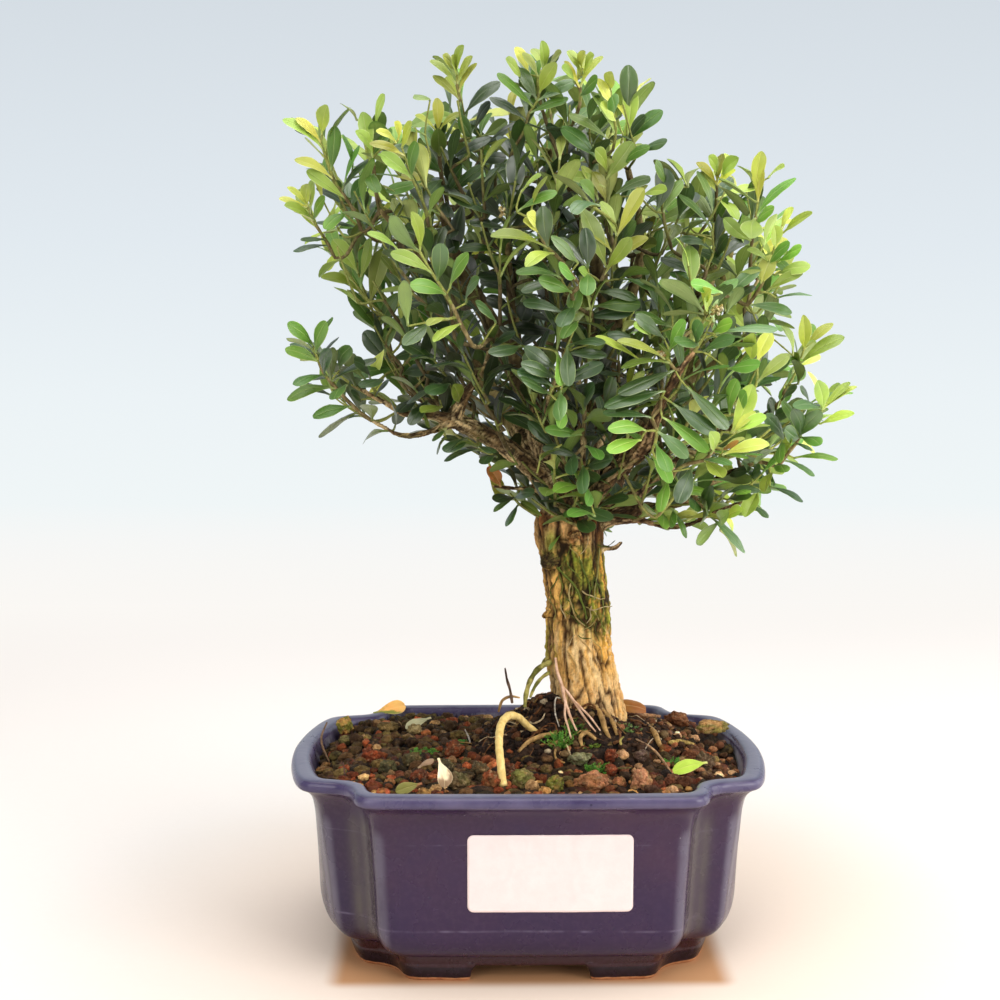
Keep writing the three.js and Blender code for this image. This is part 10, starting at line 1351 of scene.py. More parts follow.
-236,979,3132,41,72,-203,990,3169,42,72,-227,1002,3197,43,72,-249,1013,3226,44,65,-270,1023,3257,45,65,-289,1032,3289,46,65,-307,1041,3322,47,65,
-325,1050,3355,48,65,-304,1021,3398,49,57,-283,998,3438,50,57,-290,1016,3476,51,57,-296,1033,3515,52,45,-301,1048,3555,53,45,-306,1062,3595,54,45,
-311,1075,3635,55,45,-487,979,3533,31,90,-447,987,3559,57,90,-410,995,3585,58,90,-379,1006,3613,59,72,-358,1023,3646,60,72,-369,1047,3676,61,72,
-380,1069,3708,62,65,-390,1090,3742,63,65,-399,1108,3776,64,45,-408,1126,3811,65,45,-347,1087,3773,64,57,-310,1078,3803,67,57,-323,1074,3843,68,57,
-335,1070,3883,69,45,-346,1067,3924,70,45,-356,1064,3965,71,45,-365,1061,4005,72,45,-374,1058,4046,73,45,-366,980,3599,59,72,-324,961,3606,75,72,
-286,943,3616,76,72,-254,933,3639,77,72,-249,946,3675,78,72,-245,958,3711,79,72,-241,969,3748,80,65,-237,980,3785,81,65,-233,990,3822,82,57,
-230,999,3859,83,57,-227,1008,3897,84,45,-223,1017,3934,85,45,-220,1026,3972,86,45,
    ], "leaves": [
-227,1002,3197,-226,1232,3270,78,-17,-26,94,2,4,0,-227,1002,3197,-398,883,3374,85,30,60,73,3,8,1,-325,1050,3355,-319,1127,3559,72,-72,-62,26,2,6,0,
-325,1050,3355,-494,1092,3498,75,64,1,75,2,4,0,-323,1074,3843,-430,1248,4066,96,5,-75,64,1,7,0,-323,1074,3843,-309,848,4045,95,-14,63,75,1,9,0,
-374,1058,4046,-361,1036,4222,57,-65,73,14,0,3,0,-374,1058,4046,-504,1059,4179,67,65,-39,64,0,4,0,-290,1016,3476,-323,1265,3570,96,-4,-35,93,3,8,0,
-290,1016,3476,-295,877,3660,76,-14,78,60,3,8,1,-311,1075,3635,-249,1136,3803,65,-86,-26,41,2,11,0,-311,1075,3635,-396,1121,3780,61,84,-10,52,3,7,0,
-555,1010,3568,-412,1216,3692,98,-40,-26,87,3,3,0,-555,1010,3568,-754,970,3686,84,44,33,83,3,6,0,-581,1049,3635,-483,989,3855,84,-80,36,46,3,5,0,
-581,1049,3635,-761,1241,3744,95,40,-13,90,3,5,0,-604,1084,3706,-446,1210,3850,82,-59,-5,79,3,5,0,-604,1084,3706,-901,1074,3770,97,14,25,95,3,6,0,
-637,1133,3815,-660,1158,4040,80,75,-63,15,2,11,0,-637,1133,3815,-720,1263,3960,67,50,-47,71,3,11,0,-480,1000,3390,-371,1198,3504,95,-41,-31,85,1,7,0,
-480,1000,3390,-617,971,3590,81,78,27,55,1,5,0,-500,1057,3500,-384,991,3724,85,-62,62,45,0,9,0,-500,1057,3500,-668,1246,3590,92,34,-19,91,0,7,0,
-518,1106,3613,-501,1229,3748,65,-44,-62,63,0,9,0,-518,1106,3613,-613,1148,3787,69,86,31,39,0,4,0,-369,1047,3676,-567,1238,3773,94,21,-25,93,2,5,0,
-369,1047,3676,-257,1041,3921,95,-85,30,41,2,4,0,-408,1126,3811,-354,1243,3968,64,-58,-53,60,1,7,0,-408,1126,3811,-500,1187,3946,57,78,-13,59,1,4,0,
-457,998,3256,-456,1244,3342,86,-4,-30,94,3,8,0,-457,998,3256,-602,914,3461,91,30,76,56,3,9,0,-497,1030,3323,-426,1036,3621,91,-94,-15,27,3,11,0,
-497,1030,3323,-754,1172,3387,90,12,-12,98,3,11,0,-549,1071,3432,-631,1200,3564,64,-5,-72,68,2,4,0,-549,1071,3432,-630,1076,3594,58,50,83,22,2,8,0,
-245,958,3711,-115,1136,3874,95,-45,-40,78,1,6,0,-245,958,3711,-364,851,3937,99,58,58,56,1,10,1,-237,980,3785,-136,868,4017,93,-68,48,53,1,9,0,
-237,980,3785,-323,1218,3851,96,17,-21,95,1,4,0,-230,999,3859,-56,1160,3963,85,-27,-23,93,0,8,0,-230,999,3859,-346,953,4121,88,74,48,45,0,5,0,
-220,1026,3972,-164,986,4133,65,-65,64,38,0,9,0,-220,1026,3972,-251,1160,4105,62,39,-59,69,0,10,0,-465,933,3102,-464,1145,3240,87,-43,-52,73,1,11,0,
-465,933,3102,-660,776,3200,92,23,31,91,1,9,0,-535,932,3193,-461,880,3443,86,-83,46,30,0,11,0,-597,931,3290,-679,985,3408,50,28,-78,55,0,6,0,
-597,931,3290,-708,849,3417,59,33,63,69,0,4,0,-352,1025,3647,-89,1115,3738,147,-2,-83,54,0,0,1,-497,1037,3458,-677,958,3250,129,28,-95,3,2,5,1,
-633,1132,3819,-519,1118,3955,81,13,-50,85,1,5,0,-252,949,3679,-322,1024,3805,71,15,-87,44,5,4,1,-344,1086,3768,-193,1026,3514,148,27,-62,73,5,3,1,
-277,1000,3439,-111,1042,3455,76,-26,-71,64,2,1,1,-254,935,3633,-259,1025,3367,116,-58,-19,78,1,4,0,-538,1057,3396,-700,1028,3413,80,83,-26,48,4,3,0,
-370,1060,4050,-197,1158,4181,106,0,-46,88,4,6,0,-518,1044,3354,-598,1038,3222,75,-14,-90,40,1,1,0,
    ]},
    "back_left_top": {"twigs": [
-689,841,3669,-1,88,-721,824,3635,0,84,-750,806,3601,1,84,-780,791,3574,2,84,-818,784,3562,3,68,-842,797,3588,4,68,-865,809,3615,5,61,
-886,820,3644,6,52,-907,831,3673,7,52,-927,841,3703,8,52,-946,851,3734,9,36,-964,861,3766,10,36,-982,870,3797,11,36,-885,771,3584,5,45,
-920,739,3569,13,45,-956,713,3569,14,45,-981,710,3602,15,45,-1005,706,3636,16,36,-1026,703,3671,17,36,-1046,700,3706,18,36,-1065,698,3743,19,36,
-1084,695,3780,20,36,-699,827,3723,0,88,-708,811,3772,22,88,-717,799,3819,23,88,-726,799,3868,24,88,-731,818,3900,25,52,-736,836,3932,26,36,
-740,853,3965,27,36,-745,868,3999,28,36,-748,882,4033,29,36,-752,896,4067,30,36,-771,761,3890,25,84,-812,725,3911,32,65,-824,716,3946,33,65,
-835,707,3982,34,65,-845,699,4019,35,57,-855,691,4055,36,57,-865,683,4092,37,52,-873,676,4129,38,52,-882,670,4167,39,36,-890,663,4204,40,36,
-898,656,4241,41,36,-801,730,3870,32,68,-826,703,3842,43,68,-859,683,3830,44,68,-886,690,3854,45,52,-912,696,3880,46,36,-936,701,3908,47,36,
-958,707,3936,48,36,-979,712,3966,49,36,-1000,717,3996,50,36,-853,668,3799,45,57,-866,686,3835,52,57,-879,703,3871,53,57,-890,720,3908,54,52,
-902,736,3945,55,52,-912,751,3983,56,36,-922,765,4022,57,36,-932,779,4060,58,36,-941,792,4099,59,36,-950,806,4138,60,36,-749,765,3530,3,65,
-705,762,3510,62,65,-715,788,3539,63,65,-726,814,3570,64,65,-735,839,3601,65,57,-744,862,3634,66,57,-753,884,3667,67,57,-761,905,3702,68,45,
-769,925,3737,69,45,-777,945,3772,70,45,-657,813,3754,22,74,-607,801,3772,72,74,-557,792,3785,73,74,-512,784,3803,74,74,-481,777,3836,75,61,
-494,778,3875,76,61,-506,780,3915,77,52,-518,781,3956,78,52,-528,782,3996,79,52,-538,783,4037,80,45,-548,784,4078,81,45,-557,785,4118,82,45,
-467,820,3807,75,57,-444,864,3817,84,57,-470,882,3843,85,57,-495,899,3872,86,45,-518,915,3902,87,45,-539,930,3935,88,45,-559,944,3968,89,45,
    ], "leaves": [
-981,710,3602,-1052,861,3776,82,-17,-75,63,2,7,0,-981,710,3602,-1061,513,3686,72,9,32,93,2,11,0,-731,818,3900,-631,1030,4014,83,-36,-27,88,3,9,0,
-731,818,3900,-898,725,4095,84,54,44,71,3,6,1,-752,896,4067,-861,947,4232,71,78,-21,58,2,9,0,-865,809,3615,-910,1045,3619,79,-34,-11,92,2,6,0,
-865,809,3615,-995,678,3791,88,16,74,64,3,3,0,-927,841,3703,-851,836,3918,87,-95,4,29,3,10,0,-927,841,3703,-1190,937,3770,101,27,-1,95,3,10,0,
-982,870,3797,-1071,991,3953,73,16,-72,66,2,10,0,-886,690,3854,-939,933,4009,104,-35,-53,76,2,6,0,-886,690,3854,-1048,475,3942,98,-19,45,86,2,4,0,
-1000,717,3996,-1137,756,4121,68,60,-26,74,1,3,0,-470,882,3843,-541,1148,3911,89,-20,-28,93,3,4,0,-470,882,3843,-620,804,4068,87,43,71,54,2,8,0,
-559,944,3968,-612,998,4128,55,4,-93,33,2,9,0,-559,944,3968,-709,1023,4007,56,24,-2,96,2,8,0,-879,703,3871,-832,960,3982,96,-29,-34,88,3,3,1,
-902,736,3945,-791,763,4173,90,-89,4,43,2,10,0,-902,736,3945,-1130,852,4046,92,33,-15,92,2,8,0,-922,765,4022,-900,1004,4209,106,-25,-55,79,2,9,0,
-835,707,3982,-969,792,4149,85,38,-66,63,2,9,0,-835,707,3982,-769,519,4183,102,-38,61,68,2,9,1,-855,691,4055,-792,840,4296,92,-48,-67,54,2,4,0,
-873,676,4129,-1061,763,4324,99,47,-49,72,1,6,1,-873,676,4129,-794,510,4367,104,-64,48,59,1,10,0,-898,656,4241,-890,658,4398,56,-91,-38,5,1,10,0,
-726,814,3570,-671,1074,3650,97,-18,-27,93,3,7,0,-726,814,3570,-842,775,3788,88,75,45,46,3,8,0,-753,884,3667,-616,863,3871,93,-76,40,50,3,11,0,
-753,884,3667,-948,1067,3709,88,32,7,94,3,6,0,-777,945,3772,-764,1113,3919,71,-44,-56,69,3,4,0,-777,945,3772,-883,972,3963,80,70,63,30,3,6,0,
-494,778,3875,-515,938,4056,73,-27,-69,65,3,10,0,-494,778,3875,-568,584,4008,80,-3,51,85,3,8,0,-528,782,3996,-327,783,4205,102,-71,-4,69,3,7,0,
-557,785,4118,-603,869,4272,63,-3,-87,47,3,6,0,-557,785,4118,-589,683,4294,67,32,78,51,2,6,0,-736,820,3901,-877,882,3941,66,-72,-17,66,2,1,0,
-849,669,3802,-680,707,3925,108,-5,-11,98,2,0,0,-741,836,3935,-944,843,4037,103,20,-54,80,1,1,0,-958,863,3767,-751,935,3809,96,-34,-92,13,1,0,1,
-1078,696,3781,-890,724,3837,83,-74,-62,21,2,0,1,-486,779,3834,-616,834,3788,66,-1,-52,84,0,4,0,-959,862,3769,-828,912,3879,85,82,-48,-28,2,-1,1,
-983,711,3962,-1101,675,3814,96,-2,-17,97,1,2,0,-980,708,3596,-946,680,3445,75,38,-76,51,2,1,0,-562,946,3963,-633,994,3820,82,-49,-48,72,2,2,0,
-1030,702,3666,-1116,682,3543,67,-39,-77,48,1,3,0,-747,867,3993,-805,834,3842,76,34,-92,13,0,6,1,-876,679,4134,-947,755,4264,77,57,-62,51,1,0,0,
-1089,695,3777,-1244,678,3691,78,-8,-30,94,1,5,0,-684,843,3666,-554,885,3591,79,-56,-41,-71,4,3,0,-827,715,3941,-922,678,3793,85,-82,-48,30,4,2,0,
    ]},
    "back_low": {"twigs": [
287,889,2885,-1,127,314,941,2870,0,100,337,989,2868,1,100,341,1017,2897,2,72,345,1042,2928,3,65,348,1065,2961,4,65,352,1087,2995,5,65,
355,1107,3030,6,45,250,914,2866,0,103,216,936,2848,8,103,186,963,2846,9,77,181,983,2881,10,57,176,1001,2916,11,45,171,1019,2951,12,45,
167,1035,2988,13,45,164,1050,3025,14,45,160,1064,3062,15,45,290,822,2761,-1,77,232,847,2751,17,77,231,882,2765,18,65,229,916,2781,19,65,
228,949,2799,20,57,226,980,2820,21,57,225,1010,2842,22,45,224,1040,2865,23,45,222,1068,2889,24,45,363,1047,3048,6,57,379,1068,3077,26,57,
394,1088,3108,27,45,408,1106,3140,28,45,421,1123,3173,29,45,434,1139,3207,30,45,445,1155,3241,31,45,276,1022,3205,-1,57,295,960,3231,33,57,
283,982,3257,34,57,272,1003,3285,35,45,261,1023,3314,36,45,251,1042,3344,37,45,241,1059,3375,38,45,232,1076,3406,39,45,281,975,3071,-1,97,
324,925,3102,41,97,331,949,3135,42,97,339,972,3168,43,72,346,995,3202,44,65,352,1016,3237,45,65,359,1036,3273,46,57,365,1055,3310,47,57,
371,1074,3346,48,45,376,1092,3383,49,45,382,1109,3421,50,45,172,920,2842,9,86,135,897,2842,52,86,98,886,2853,53,86,82,909,2879,54,72,
67,931,2907,55,72,52,953,2935,56,65,38,973,2964,57,65,24,993,2995,58,57,11,1011,3026,59,57,-1,1029,3057,60,45,-13,1047,3089,61,45,-25,1064,3122,62,45,
244,870,2705,18,57,270,885,2663,64,57,296,912,2634,65,57,305,949,2644,66,57,314,986,2656,67,45,323,1021,2671,68,45,331,1055,2689,69,45,
339,1088,2709,70,45,347,1120,2730,71,45,59,904,2835,54,65,28,926,2813,73,65,-4,951,2802,74,65,-32,973,2825,75,65,-59,994,2848,76,65,
-85,1015,2874,77,57,-110,1034,2900,78,57,-134,1053,2929,79,57,-156,1071,2959,80,45,-178,1088,2990,81,45,-200,1106,3020,82,45,279,997,3128,-1,82,
231,982,3130,84,82,187,967,3131,85,82,145,967,3141,86,82,130,994,3166,87,82,116,1020,3191,88,65,102,1045,3218,89,57,89,1069,3248,90,57,
76,1091,3278,91,45,64,1113,3309,92,45,53,1134,3340,93,45,97,956,3216,88,65,75,975,3245,95,65,54,994,3276,96,65,35,1011,3307,97,57,16,1028,3340,98,57,
-2,1044,3373,99,57,-19,1058,3408,100,45,-35,1073,3443,101,45,-52,1087,3478,102,45,381,951,3143,43,82,431,942,3137,104,82,478,934,3132,105,82,
521,938,3143,106,82,530,959,3175,107,82,539,979,3208,108,77,548,998,3243,109,45,556,1015,3278,110,45,563,1032,3314,111,45,570,1048,3351,112,45,
538,938,3233,109,72,541,951,3268,114,72,543,964,3304,115,72,545,977,3340,116,65,548,989,3376,117,65,550,1000,3412,118,57,552,1010,3449,119,57,
554,1020,3485,120,45,556,1030,3522,121,45,558,1040,3559,122,45,183,998,2798,10,65,195,1024,2744,124,65,204,1049,2695,125,65,191,1082,2665,126,65,
162,1092,2689,127,65,135,1101,2715,128,65,109,1109,2742,129,57,84,1117,2771,130,57,61,1125,2801,131,45,39,1132,2831,132,45,17,1139,2862,133,45,
384,998,2876,2,86,431,993,2884,135,86,475,983,2894,136,86,517,977,2907,137,86,555,984,2925,138,86,570,1014,2951,139,77,583,1041,2979,140,72,
596,1067,3010,141,72,607,1091,3042,142,72,619,1114,3075,143,72,606,953,2931,139,57,650,915,2931,145,57,696,898,2941,146,57,716,927,2961,147,57,
736,955,2982,148,45,754,982,3007,149,45,771,1007,3033,150,45,788,1031,3061,151,45,804,1055,3090,152,45,599,1165,3103,144,65,585,1208,3134,154,65,
605,1208,3168,155,65,623,1209,3203,156,57,640,1209,3238,157,57,656,1210,3273,158,57,671,1210,3310,159,45,685,1211,3346,160,45,699,1211,3382,161,45,
711,810,2654,-1,57,658,840,2666,163,57,608,865,2674,164,57,563,892,2686,165,57,531,927,2704,166,57,535,961,2728,167,57,540,993,2753,168,45,
544,1023,2781,169,45,548,1051,2811,170,45,552,1078,2842,171,45,556,1105,2873,172,45,
    ], "leaves": [
181,983,2881,303,1160,3075,97,-59,-34,71,3,10,0,181,983,2881,-15,946,3036,78,53,30,78,3,4,0,160,1064,3062,152,1060,3270,66,33,93,3,2,6,0,
160,1064,3062,139,1169,3204,63,12,-78,60,2,5,0,-59,994,2848,5,1163,2975,77,-33,-49,79,3,8,0,-59,994,2848,-324,979,2956,101,32,47,81,3,9,0,
-134,1053,2929,-112,1110,3185,85,-74,-63,19,3,6,0,-134,1053,2929,-391,1144,2887,101,-13,-2,98,3,5,0,-200,1106,3020,-267,1242,3171,73,-36,-76,53,2,3,0,
-200,1106,3020,-337,1129,3123,61,57,49,65,2,5,0,605,1208,3168,512,1045,3372,97,53,47,69,3,10,0,605,1208,3168,838,1373,3244,100,6,-41,90,2,10,0,
656,1210,3273,686,1373,3471,84,26,-75,59,3,6,0,656,1210,3273,783,1019,3404,86,-14,49,85,2,4,0,699,1211,3382,672,1143,3590,74,65,68,31,2,4,0,
699,1211,3382,866,1264,3528,80,-50,-43,73,2,9,0,54,994,3276,40,1249,3314,93,-25,-19,94,3,8,0,54,994,3276,-37,891,3473,89,19,84,49,3,4,0,
-2,1044,3373,96,1066,3643,103,-94,-7,31,3,10,0,-2,1044,3373,-241,1152,3402,93,20,10,96,3,9,0,-52,1087,3478,-106,1232,3598,61,25,-55,78,3,4,0,
-52,1087,3478,-153,1064,3631,67,62,59,50,3,8,0,716,927,2961,992,981,3056,90,-34,32,87,3,7,0,716,927,2961,596,1159,3124,103,49,-29,81,3,10,0,
804,1055,3090,828,1127,3297,75,98,-9,-8,3,7,0,804,1055,3090,919,1192,3136,58,-29,-8,94,3,10,0,379,1068,3077,579,1238,3092,79,-1,-3,99,3,10,0,
379,1068,3077,297,1063,3299,78,84,38,36,3,11,0,445,1155,3241,521,1165,3421,68,-77,56,29,3,10,0,445,1155,3241,493,1274,3372,58,7,-74,65,3,10,0,
543,964,3304,645,1203,3441,109,-40,-33,85,1,4,0,543,964,3304,466,839,3499,89,46,65,58,1,7,0,548,989,3376,780,1022,3534,105,-56,4,81,1,3,0,
548,989,3376,393,1057,3528,78,66,-12,72,1,5,0,552,1010,3449,618,1227,3507,77,-17,-15,96,0,8,0,552,1010,3449,493,853,3629,82,26,64,71,0,4,0,
558,1040,3559,606,1054,3712,57,-93,17,28,0,11,0,558,1040,3559,503,1125,3737,66,76,-45,45,0,5,0,116,1020,3191,147,1260,3313,92,-30,-42,84,3,6,0,
116,1020,3191,-24,1009,3407,99,69,56,44,3,7,0,89,1069,3248,194,1061,3503,97,-87,28,38,3,8,0,89,1069,3248,-108,1268,3254,87,10,8,98,3,4,0,
53,1134,3340,8,1314,3468,78,0,-57,81,3,8,0,53,1134,3340,-42,1186,3504,70,87,20,44,3,9,0,341,1017,2897,558,1186,3001,104,-55,24,78,3,8,0,
341,1017,2897,186,1077,3087,79,77,6,62,3,3,0,355,1107,3030,409,1186,3239,77,-96,6,23,3,5,0,355,1107,3030,308,1292,3152,76,26,-48,83,3,9,0,
229,916,2781,411,1079,2878,96,-51,2,85,3,5,0,229,916,2781,62,1058,2862,80,64,31,69,3,8,0,226,980,2820,397,1132,2950,91,-57,-4,81,2,9,0,
226,980,2820,56,1161,2918,88,24,-27,92,3,11,0,222,1068,2889,286,1195,2990,55,-75,-12,63,2,11,0,222,1068,2889,126,1247,2957,67,45,-9,88,2,6,0,
135,1101,2715,70,1302,2756,73,-36,-36,85,3,7,0,135,1101,2715,16,883,2825,101,0,49,86,3,6,0,84,1117,2771,100,1047,3007,78,-44,84,29,3,9,0,
84,1117,2771,-118,1240,2817,79,19,-4,97,3,9,0,17,1139,2862,-74,1244,3033,76,29,-73,60,2,3,0,17,1139,2862,-137,1123,2955,57,37,57,72,2,10,0,
535,961,2728,572,1237,2662,99,2,26,95,2,3,0,535,961,2728,530,900,3017,102,-4,96,24,2,4,1,556,1105,2873,633,1210,2979,53,-78,-5,61,1,10,0,
556,1105,2873,500,1269,2958,70,57,-21,78,1,9,0,339,972,3168,508,1130,3181,79,-16,8,97,3,6,0,339,972,3168,259,986,3378,73,89,29,31,3,3,0,
352,1016,3237,556,966,3413,92,-50,45,72,3,7,0,352,1016,3237,207,1224,3293,88,37,2,92,3,6,0,365,1055,3310,532,1217,3400,87,-31,-12,93,3,5,0,
365,1055,3310,260,1103,3601,104,90,26,31,3,8,0,382,1109,3421,459,1172,3577,66,-85,-15,48,2,7,0,382,1109,3421,371,1221,3559,58,34,-71,60,3,5,0,
305,949,2644,555,1080,2675,95,-28,40,86,3,6,0,305,949,2644,171,1151,2700,82,58,21,78,3,8,0,347,1120,2730,460,1247,2811,65,-53,-6,83,2,8,0,
347,1120,2730,284,1298,2765,64,75,14,63,2,7,0,570,1014,2951,768,1180,3004,87,-17,-10,97,1,9,0,570,1014,2951,462,1054,3150,82,87,16,45,1,10,0,
619,1114,3075,690,1180,3217,55,-87,-7,47,0,8,0,619,1114,3075,637,1290,3176,66,1,-50,86,0,3,0,283,982,3257,309,1259,3382,103,-8,-39,91,3,9,0,
283,982,3257,91,866,3460,98,39,55,72,3,4,0,232,1076,3406,259,1139,3605,70,-87,-40,24,2,7,0,232,1076,3406,138,1169,3517,56,66,-19,72,2,10,0,
67,931,2907,144,1111,3014,83,-13,-46,87,3,4,0,67,931,2907,-158,919,3062,101,45,56,69,3,9,0,38,973,2964,124,943,3197,87,-67,64,35,3,3,0,
38,973,2964,-128,1121,2948,82,0,13,98,3,10,0,11,1011,3026,70,1238,3145,80,-41,-29,85,3,6,0,11,1011,3026,-175,1006,3242,87,60,54,57,3,6,0,
-25,1064,3122,-56,1066,3353,80,43,89,5,2,4,0,-25,1064,3122,-109,1229,3172,69,-1,-29,95,3,6,0,530,959,3175,689,1191,3233,92,-20,-7,97,3,7,0,
530,959,3175,467,947,3443,89,78,56,24,3,5,0,570,1048,3351,663,1078,3547,73,-85,37,35,2,5,0,570,1048,3351,575,1196,3457,68,24,-56,78,2,6,0,
368,1056,3315,443,1075,3456,67,4,-38,91,0,1,0,33,1133,2833,-173,1166,2899,101,-15,-86,46,3,4,1,29,1013,3306,-225,1083,3264,124,-22,-47,84,2,2,1,
569,893,2685,731,915,2667,80,-5,-45,88,4,-2,1,33,927,2811,185,948,2773,67,-43,-50,74,2,2,0,
    ]},
    "back_mid": {"twigs": [
252,1060,3522,-1,113,263,1056,3401,-1,82,316,1022,3400,1,82,359,998,3417,2,65,352,1011,3455,3,65,345,1023,3493,4,57,339,1033,3532,5,57,
333,1043,3572,6,57,327,1053,3611,7,45,322,1062,3651,8,45,317,1071,3690,9,45,221,1009,3789,-1,72,267,977,3793,11,72,308,947,3796,12,72,
339,924,3818,13,72,327,930,3854,14,72,316,936,3890,15,72,306,941,3927,16,65,296,946,3963,17,65,287,950,4000,18,57,278,955,4037,19,57,
270,959,4074,20,45,262,963,4111,21,45,254,967,4148,22,45,209,1032,3510,0,113,169,1004,3495,24,103,131,980,3487,25,103,94,966,3500,26,103,
94,981,3536,27,82,94,995,3571,28,82,94,1008,3607,29,77,94,1021,3644,30,77,94,1032,3680,31,77,94,1043,3717,32,45,94,1054,3754,33,45,93,1065,3791,34,45,
51,950,3488,27,82,12,948,3482,36,82,-1,979,3507,37,82,-12,1010,3533,38,82,-24,1039,3562,39,77,-34,1066,3592,40,57,-45,1092,3624,41,45,
-54,1117,3656,42,45,-64,1141,3689,43,45,23,1073,3573,40,65,9,1087,3608,45,65,-5,1101,3644,46,65,-18,1114,3681,47,57,-30,1126,3718,48,57,
-41,1137,3756,49,57,-52,1148,3794,50,45,-62,1158,3832,51,45,-73,1168,3870,52,45,200,974,3522,24,72,204,919,3536,54,72,212,871,3559,55,72,
219,838,3595,56,72,222,854,3630,57,72,224,869,3666,58,72,226,883,3701,59,65,228,897,3737,60,65,230,910,3774,61,57,232,922,3810,62,57,
234,933,3847,63,45,235,945,3884,64,45,237,956,3920,65,45,61,1012,3708,32,65,27,986,3725,67,65,0,969,3752,68,65,2,981,3791,69,65,4,991,3830,70,57,
5,1001,3870,71,57,7,1010,3910,72,57,8,1018,3950,73,45,9,1027,3990,74,45,11,1034,4030,75,45,304,970,3406,2,65,282,923,3408,77,65,252,886,3416,78,65,
218,867,3437,79,65,210,901,3459,80,65,201,934,3481,81,65,193,965,3505,82,57,186,995,3530,83,57,178,1025,3558,84,57,171,1052,3586,85,45,
164,1079,3616,86,45,158,1106,3645,87,45,
    ], "leaves": [
201,934,3481,161,1206,3423,104,-24,14,95,3,11,0,201,934,3481,175,966,3703,78,94,-26,16,3,10,0,178,1025,3558,318,1112,3715,85,-77,5,61,3,10,0,
178,1025,3558,-14,1123,3573,70,27,29,91,2,5,0,158,1106,3645,121,1308,3697,76,31,-18,92,2,4,0,158,1106,3645,123,1212,3806,70,36,-73,56,2,4,0,
2,981,3791,-22,1228,3888,88,2,-30,94,3,4,0,2,981,3791,40,808,4045,109,-29,73,60,3,5,0,7,1010,3910,201,1016,4101,94,-70,4,70,3,9,0,
7,1010,3910,-234,1079,4029,96,47,15,86,3,7,0,11,1034,4030,-20,1172,4194,75,15,-74,64,2,4,0,11,1034,4030,54,983,4230,77,-62,71,32,2,9,0,
316,936,3890,155,1076,4020,91,31,-43,83,2,9,0,316,936,3890,413,815,4130,95,-60,58,53,3,5,0,296,946,3963,328,1096,4150,85,-15,-75,63,2,4,0,
296,946,3963,139,805,4132,90,36,52,76,3,9,0,278,955,4037,157,1151,4146,89,6,-40,90,2,9,0,278,955,4037,314,816,4246,85,-35,72,59,2,9,0,
254,967,4148,286,1023,4346,69,-81,-49,27,2,8,0,254,967,4148,138,958,4351,86,83,24,48,2,10,0,224,869,3666,86,816,3905,89,69,51,50,3,5,0,
224,869,3666,379,1042,3788,84,-57,-8,81,3,9,0,228,897,3737,87,1072,3808,79,23,-19,94,3,5,0,228,897,3737,342,854,3925,76,-66,53,52,3,7,0,
232,922,3810,101,917,4021,83,69,51,49,3,9,0,232,922,3810,443,1062,3927,87,-31,-22,92,3,4,0,237,956,3920,219,1043,4097,70,66,-63,38,2,6,0,
237,956,3920,280,966,4094,65,-95,19,22,3,3,0,352,1011,3455,420,1240,3578,87,-31,-31,88,3,11,0,352,1011,3455,251,900,3681,88,50,62,58,3,9,1,
333,1043,3572,407,935,3774,76,-56,61,54,3,4,0,333,1043,3572,217,1224,3667,81,38,-22,89,3,11,0,317,1071,3690,322,1160,3851,66,-35,-80,46,3,4,0,
317,1071,3690,260,1068,3859,57,77,57,27,3,4,0,94,995,3571,35,1275,3620,92,-7,-22,96,3,6,0,94,995,3571,149,859,3801,101,-8,86,49,3,10,1,
94,1032,3680,306,1023,3789,77,-50,6,85,2,7,0,94,1032,3680,-108,1125,3830,89,61,-6,78,3,5,0,93,1065,3791,75,1198,3929,60,36,-64,67,2,9,0,
93,1065,3791,105,1069,3971,61,-99,4,6,2,8,0,-12,1010,3533,104,1205,3616,81,-49,-13,85,2,4,0,-12,1010,3533,-175,1001,3669,80,49,68,53,2,8,0,
-34,1066,3592,68,1187,3825,94,-86,-15,47,1,7,0,-34,1066,3592,-200,1237,3687,90,51,4,85,1,5,0,-64,1141,3689,-33,1314,3775,72,-42,-34,83,1,10,0,
-64,1141,3689,-151,1205,3823,55,85,14,49,1,8,0,-5,1101,3644,-49,1347,3734,89,10,-35,92,2,7,0,-5,1101,3644,-42,903,3805,93,-11,67,73,2,8,0,
-41,1137,3756,93,1223,3910,73,-71,-20,66,3,8,0,-41,1137,3756,-309,1114,3823,105,29,2,95,2,6,0,-73,1168,3870,-145,1289,3970,63,13,-58,79,2,7,0,
-73,1168,3870,-108,1154,4092,79,43,88,13,2,6,0,18,1076,3570,-103,1133,3496,79,-12,-53,83,0,1,0,248,970,4149,26,1078,4194,124,-41,-9,90,1,6,0,
-57,1157,3830,106,1130,3777,74,13,-23,95,2,3,0,88,1035,3679,-136,1129,3645,112,23,-37,89,0,4,0,-58,1160,3829,78,1219,3759,84,0,-67,73,1,5,0,
58,1011,3704,-41,972,3583,71,-49,-62,60,2,4,0,-44,1090,3618,-35,1042,3479,65,70,-62,33,2,2,0,14,1088,3609,254,1121,3626,117,58,-4,80,2,2,0,
    ]},
    "back_top": {"twigs": [
172,831,4096,-1,100,210,831,4067,0,100,245,831,4040,1,100,282,836,4033,2,79,288,846,4071,3,79,294,856,4108,4,68,300,865,4146,5,65,305,874,4184,6,65,
310,882,4222,7,57,315,890,4260,8,57,320,898,4298,9,45,324,905,4337,10,45,329,912,4375,11,45,147,720,4229,-1,57,103,694,4233,13,57,62,669,4237,14,57,
30,649,4257,15,57,34,648,4295,16,57,38,647,4333,17,45,41,646,4372,18,45,44,645,4410,19,45,47,645,4448,20,45,50,644,4487,21,45,320,817,4100,4,57,
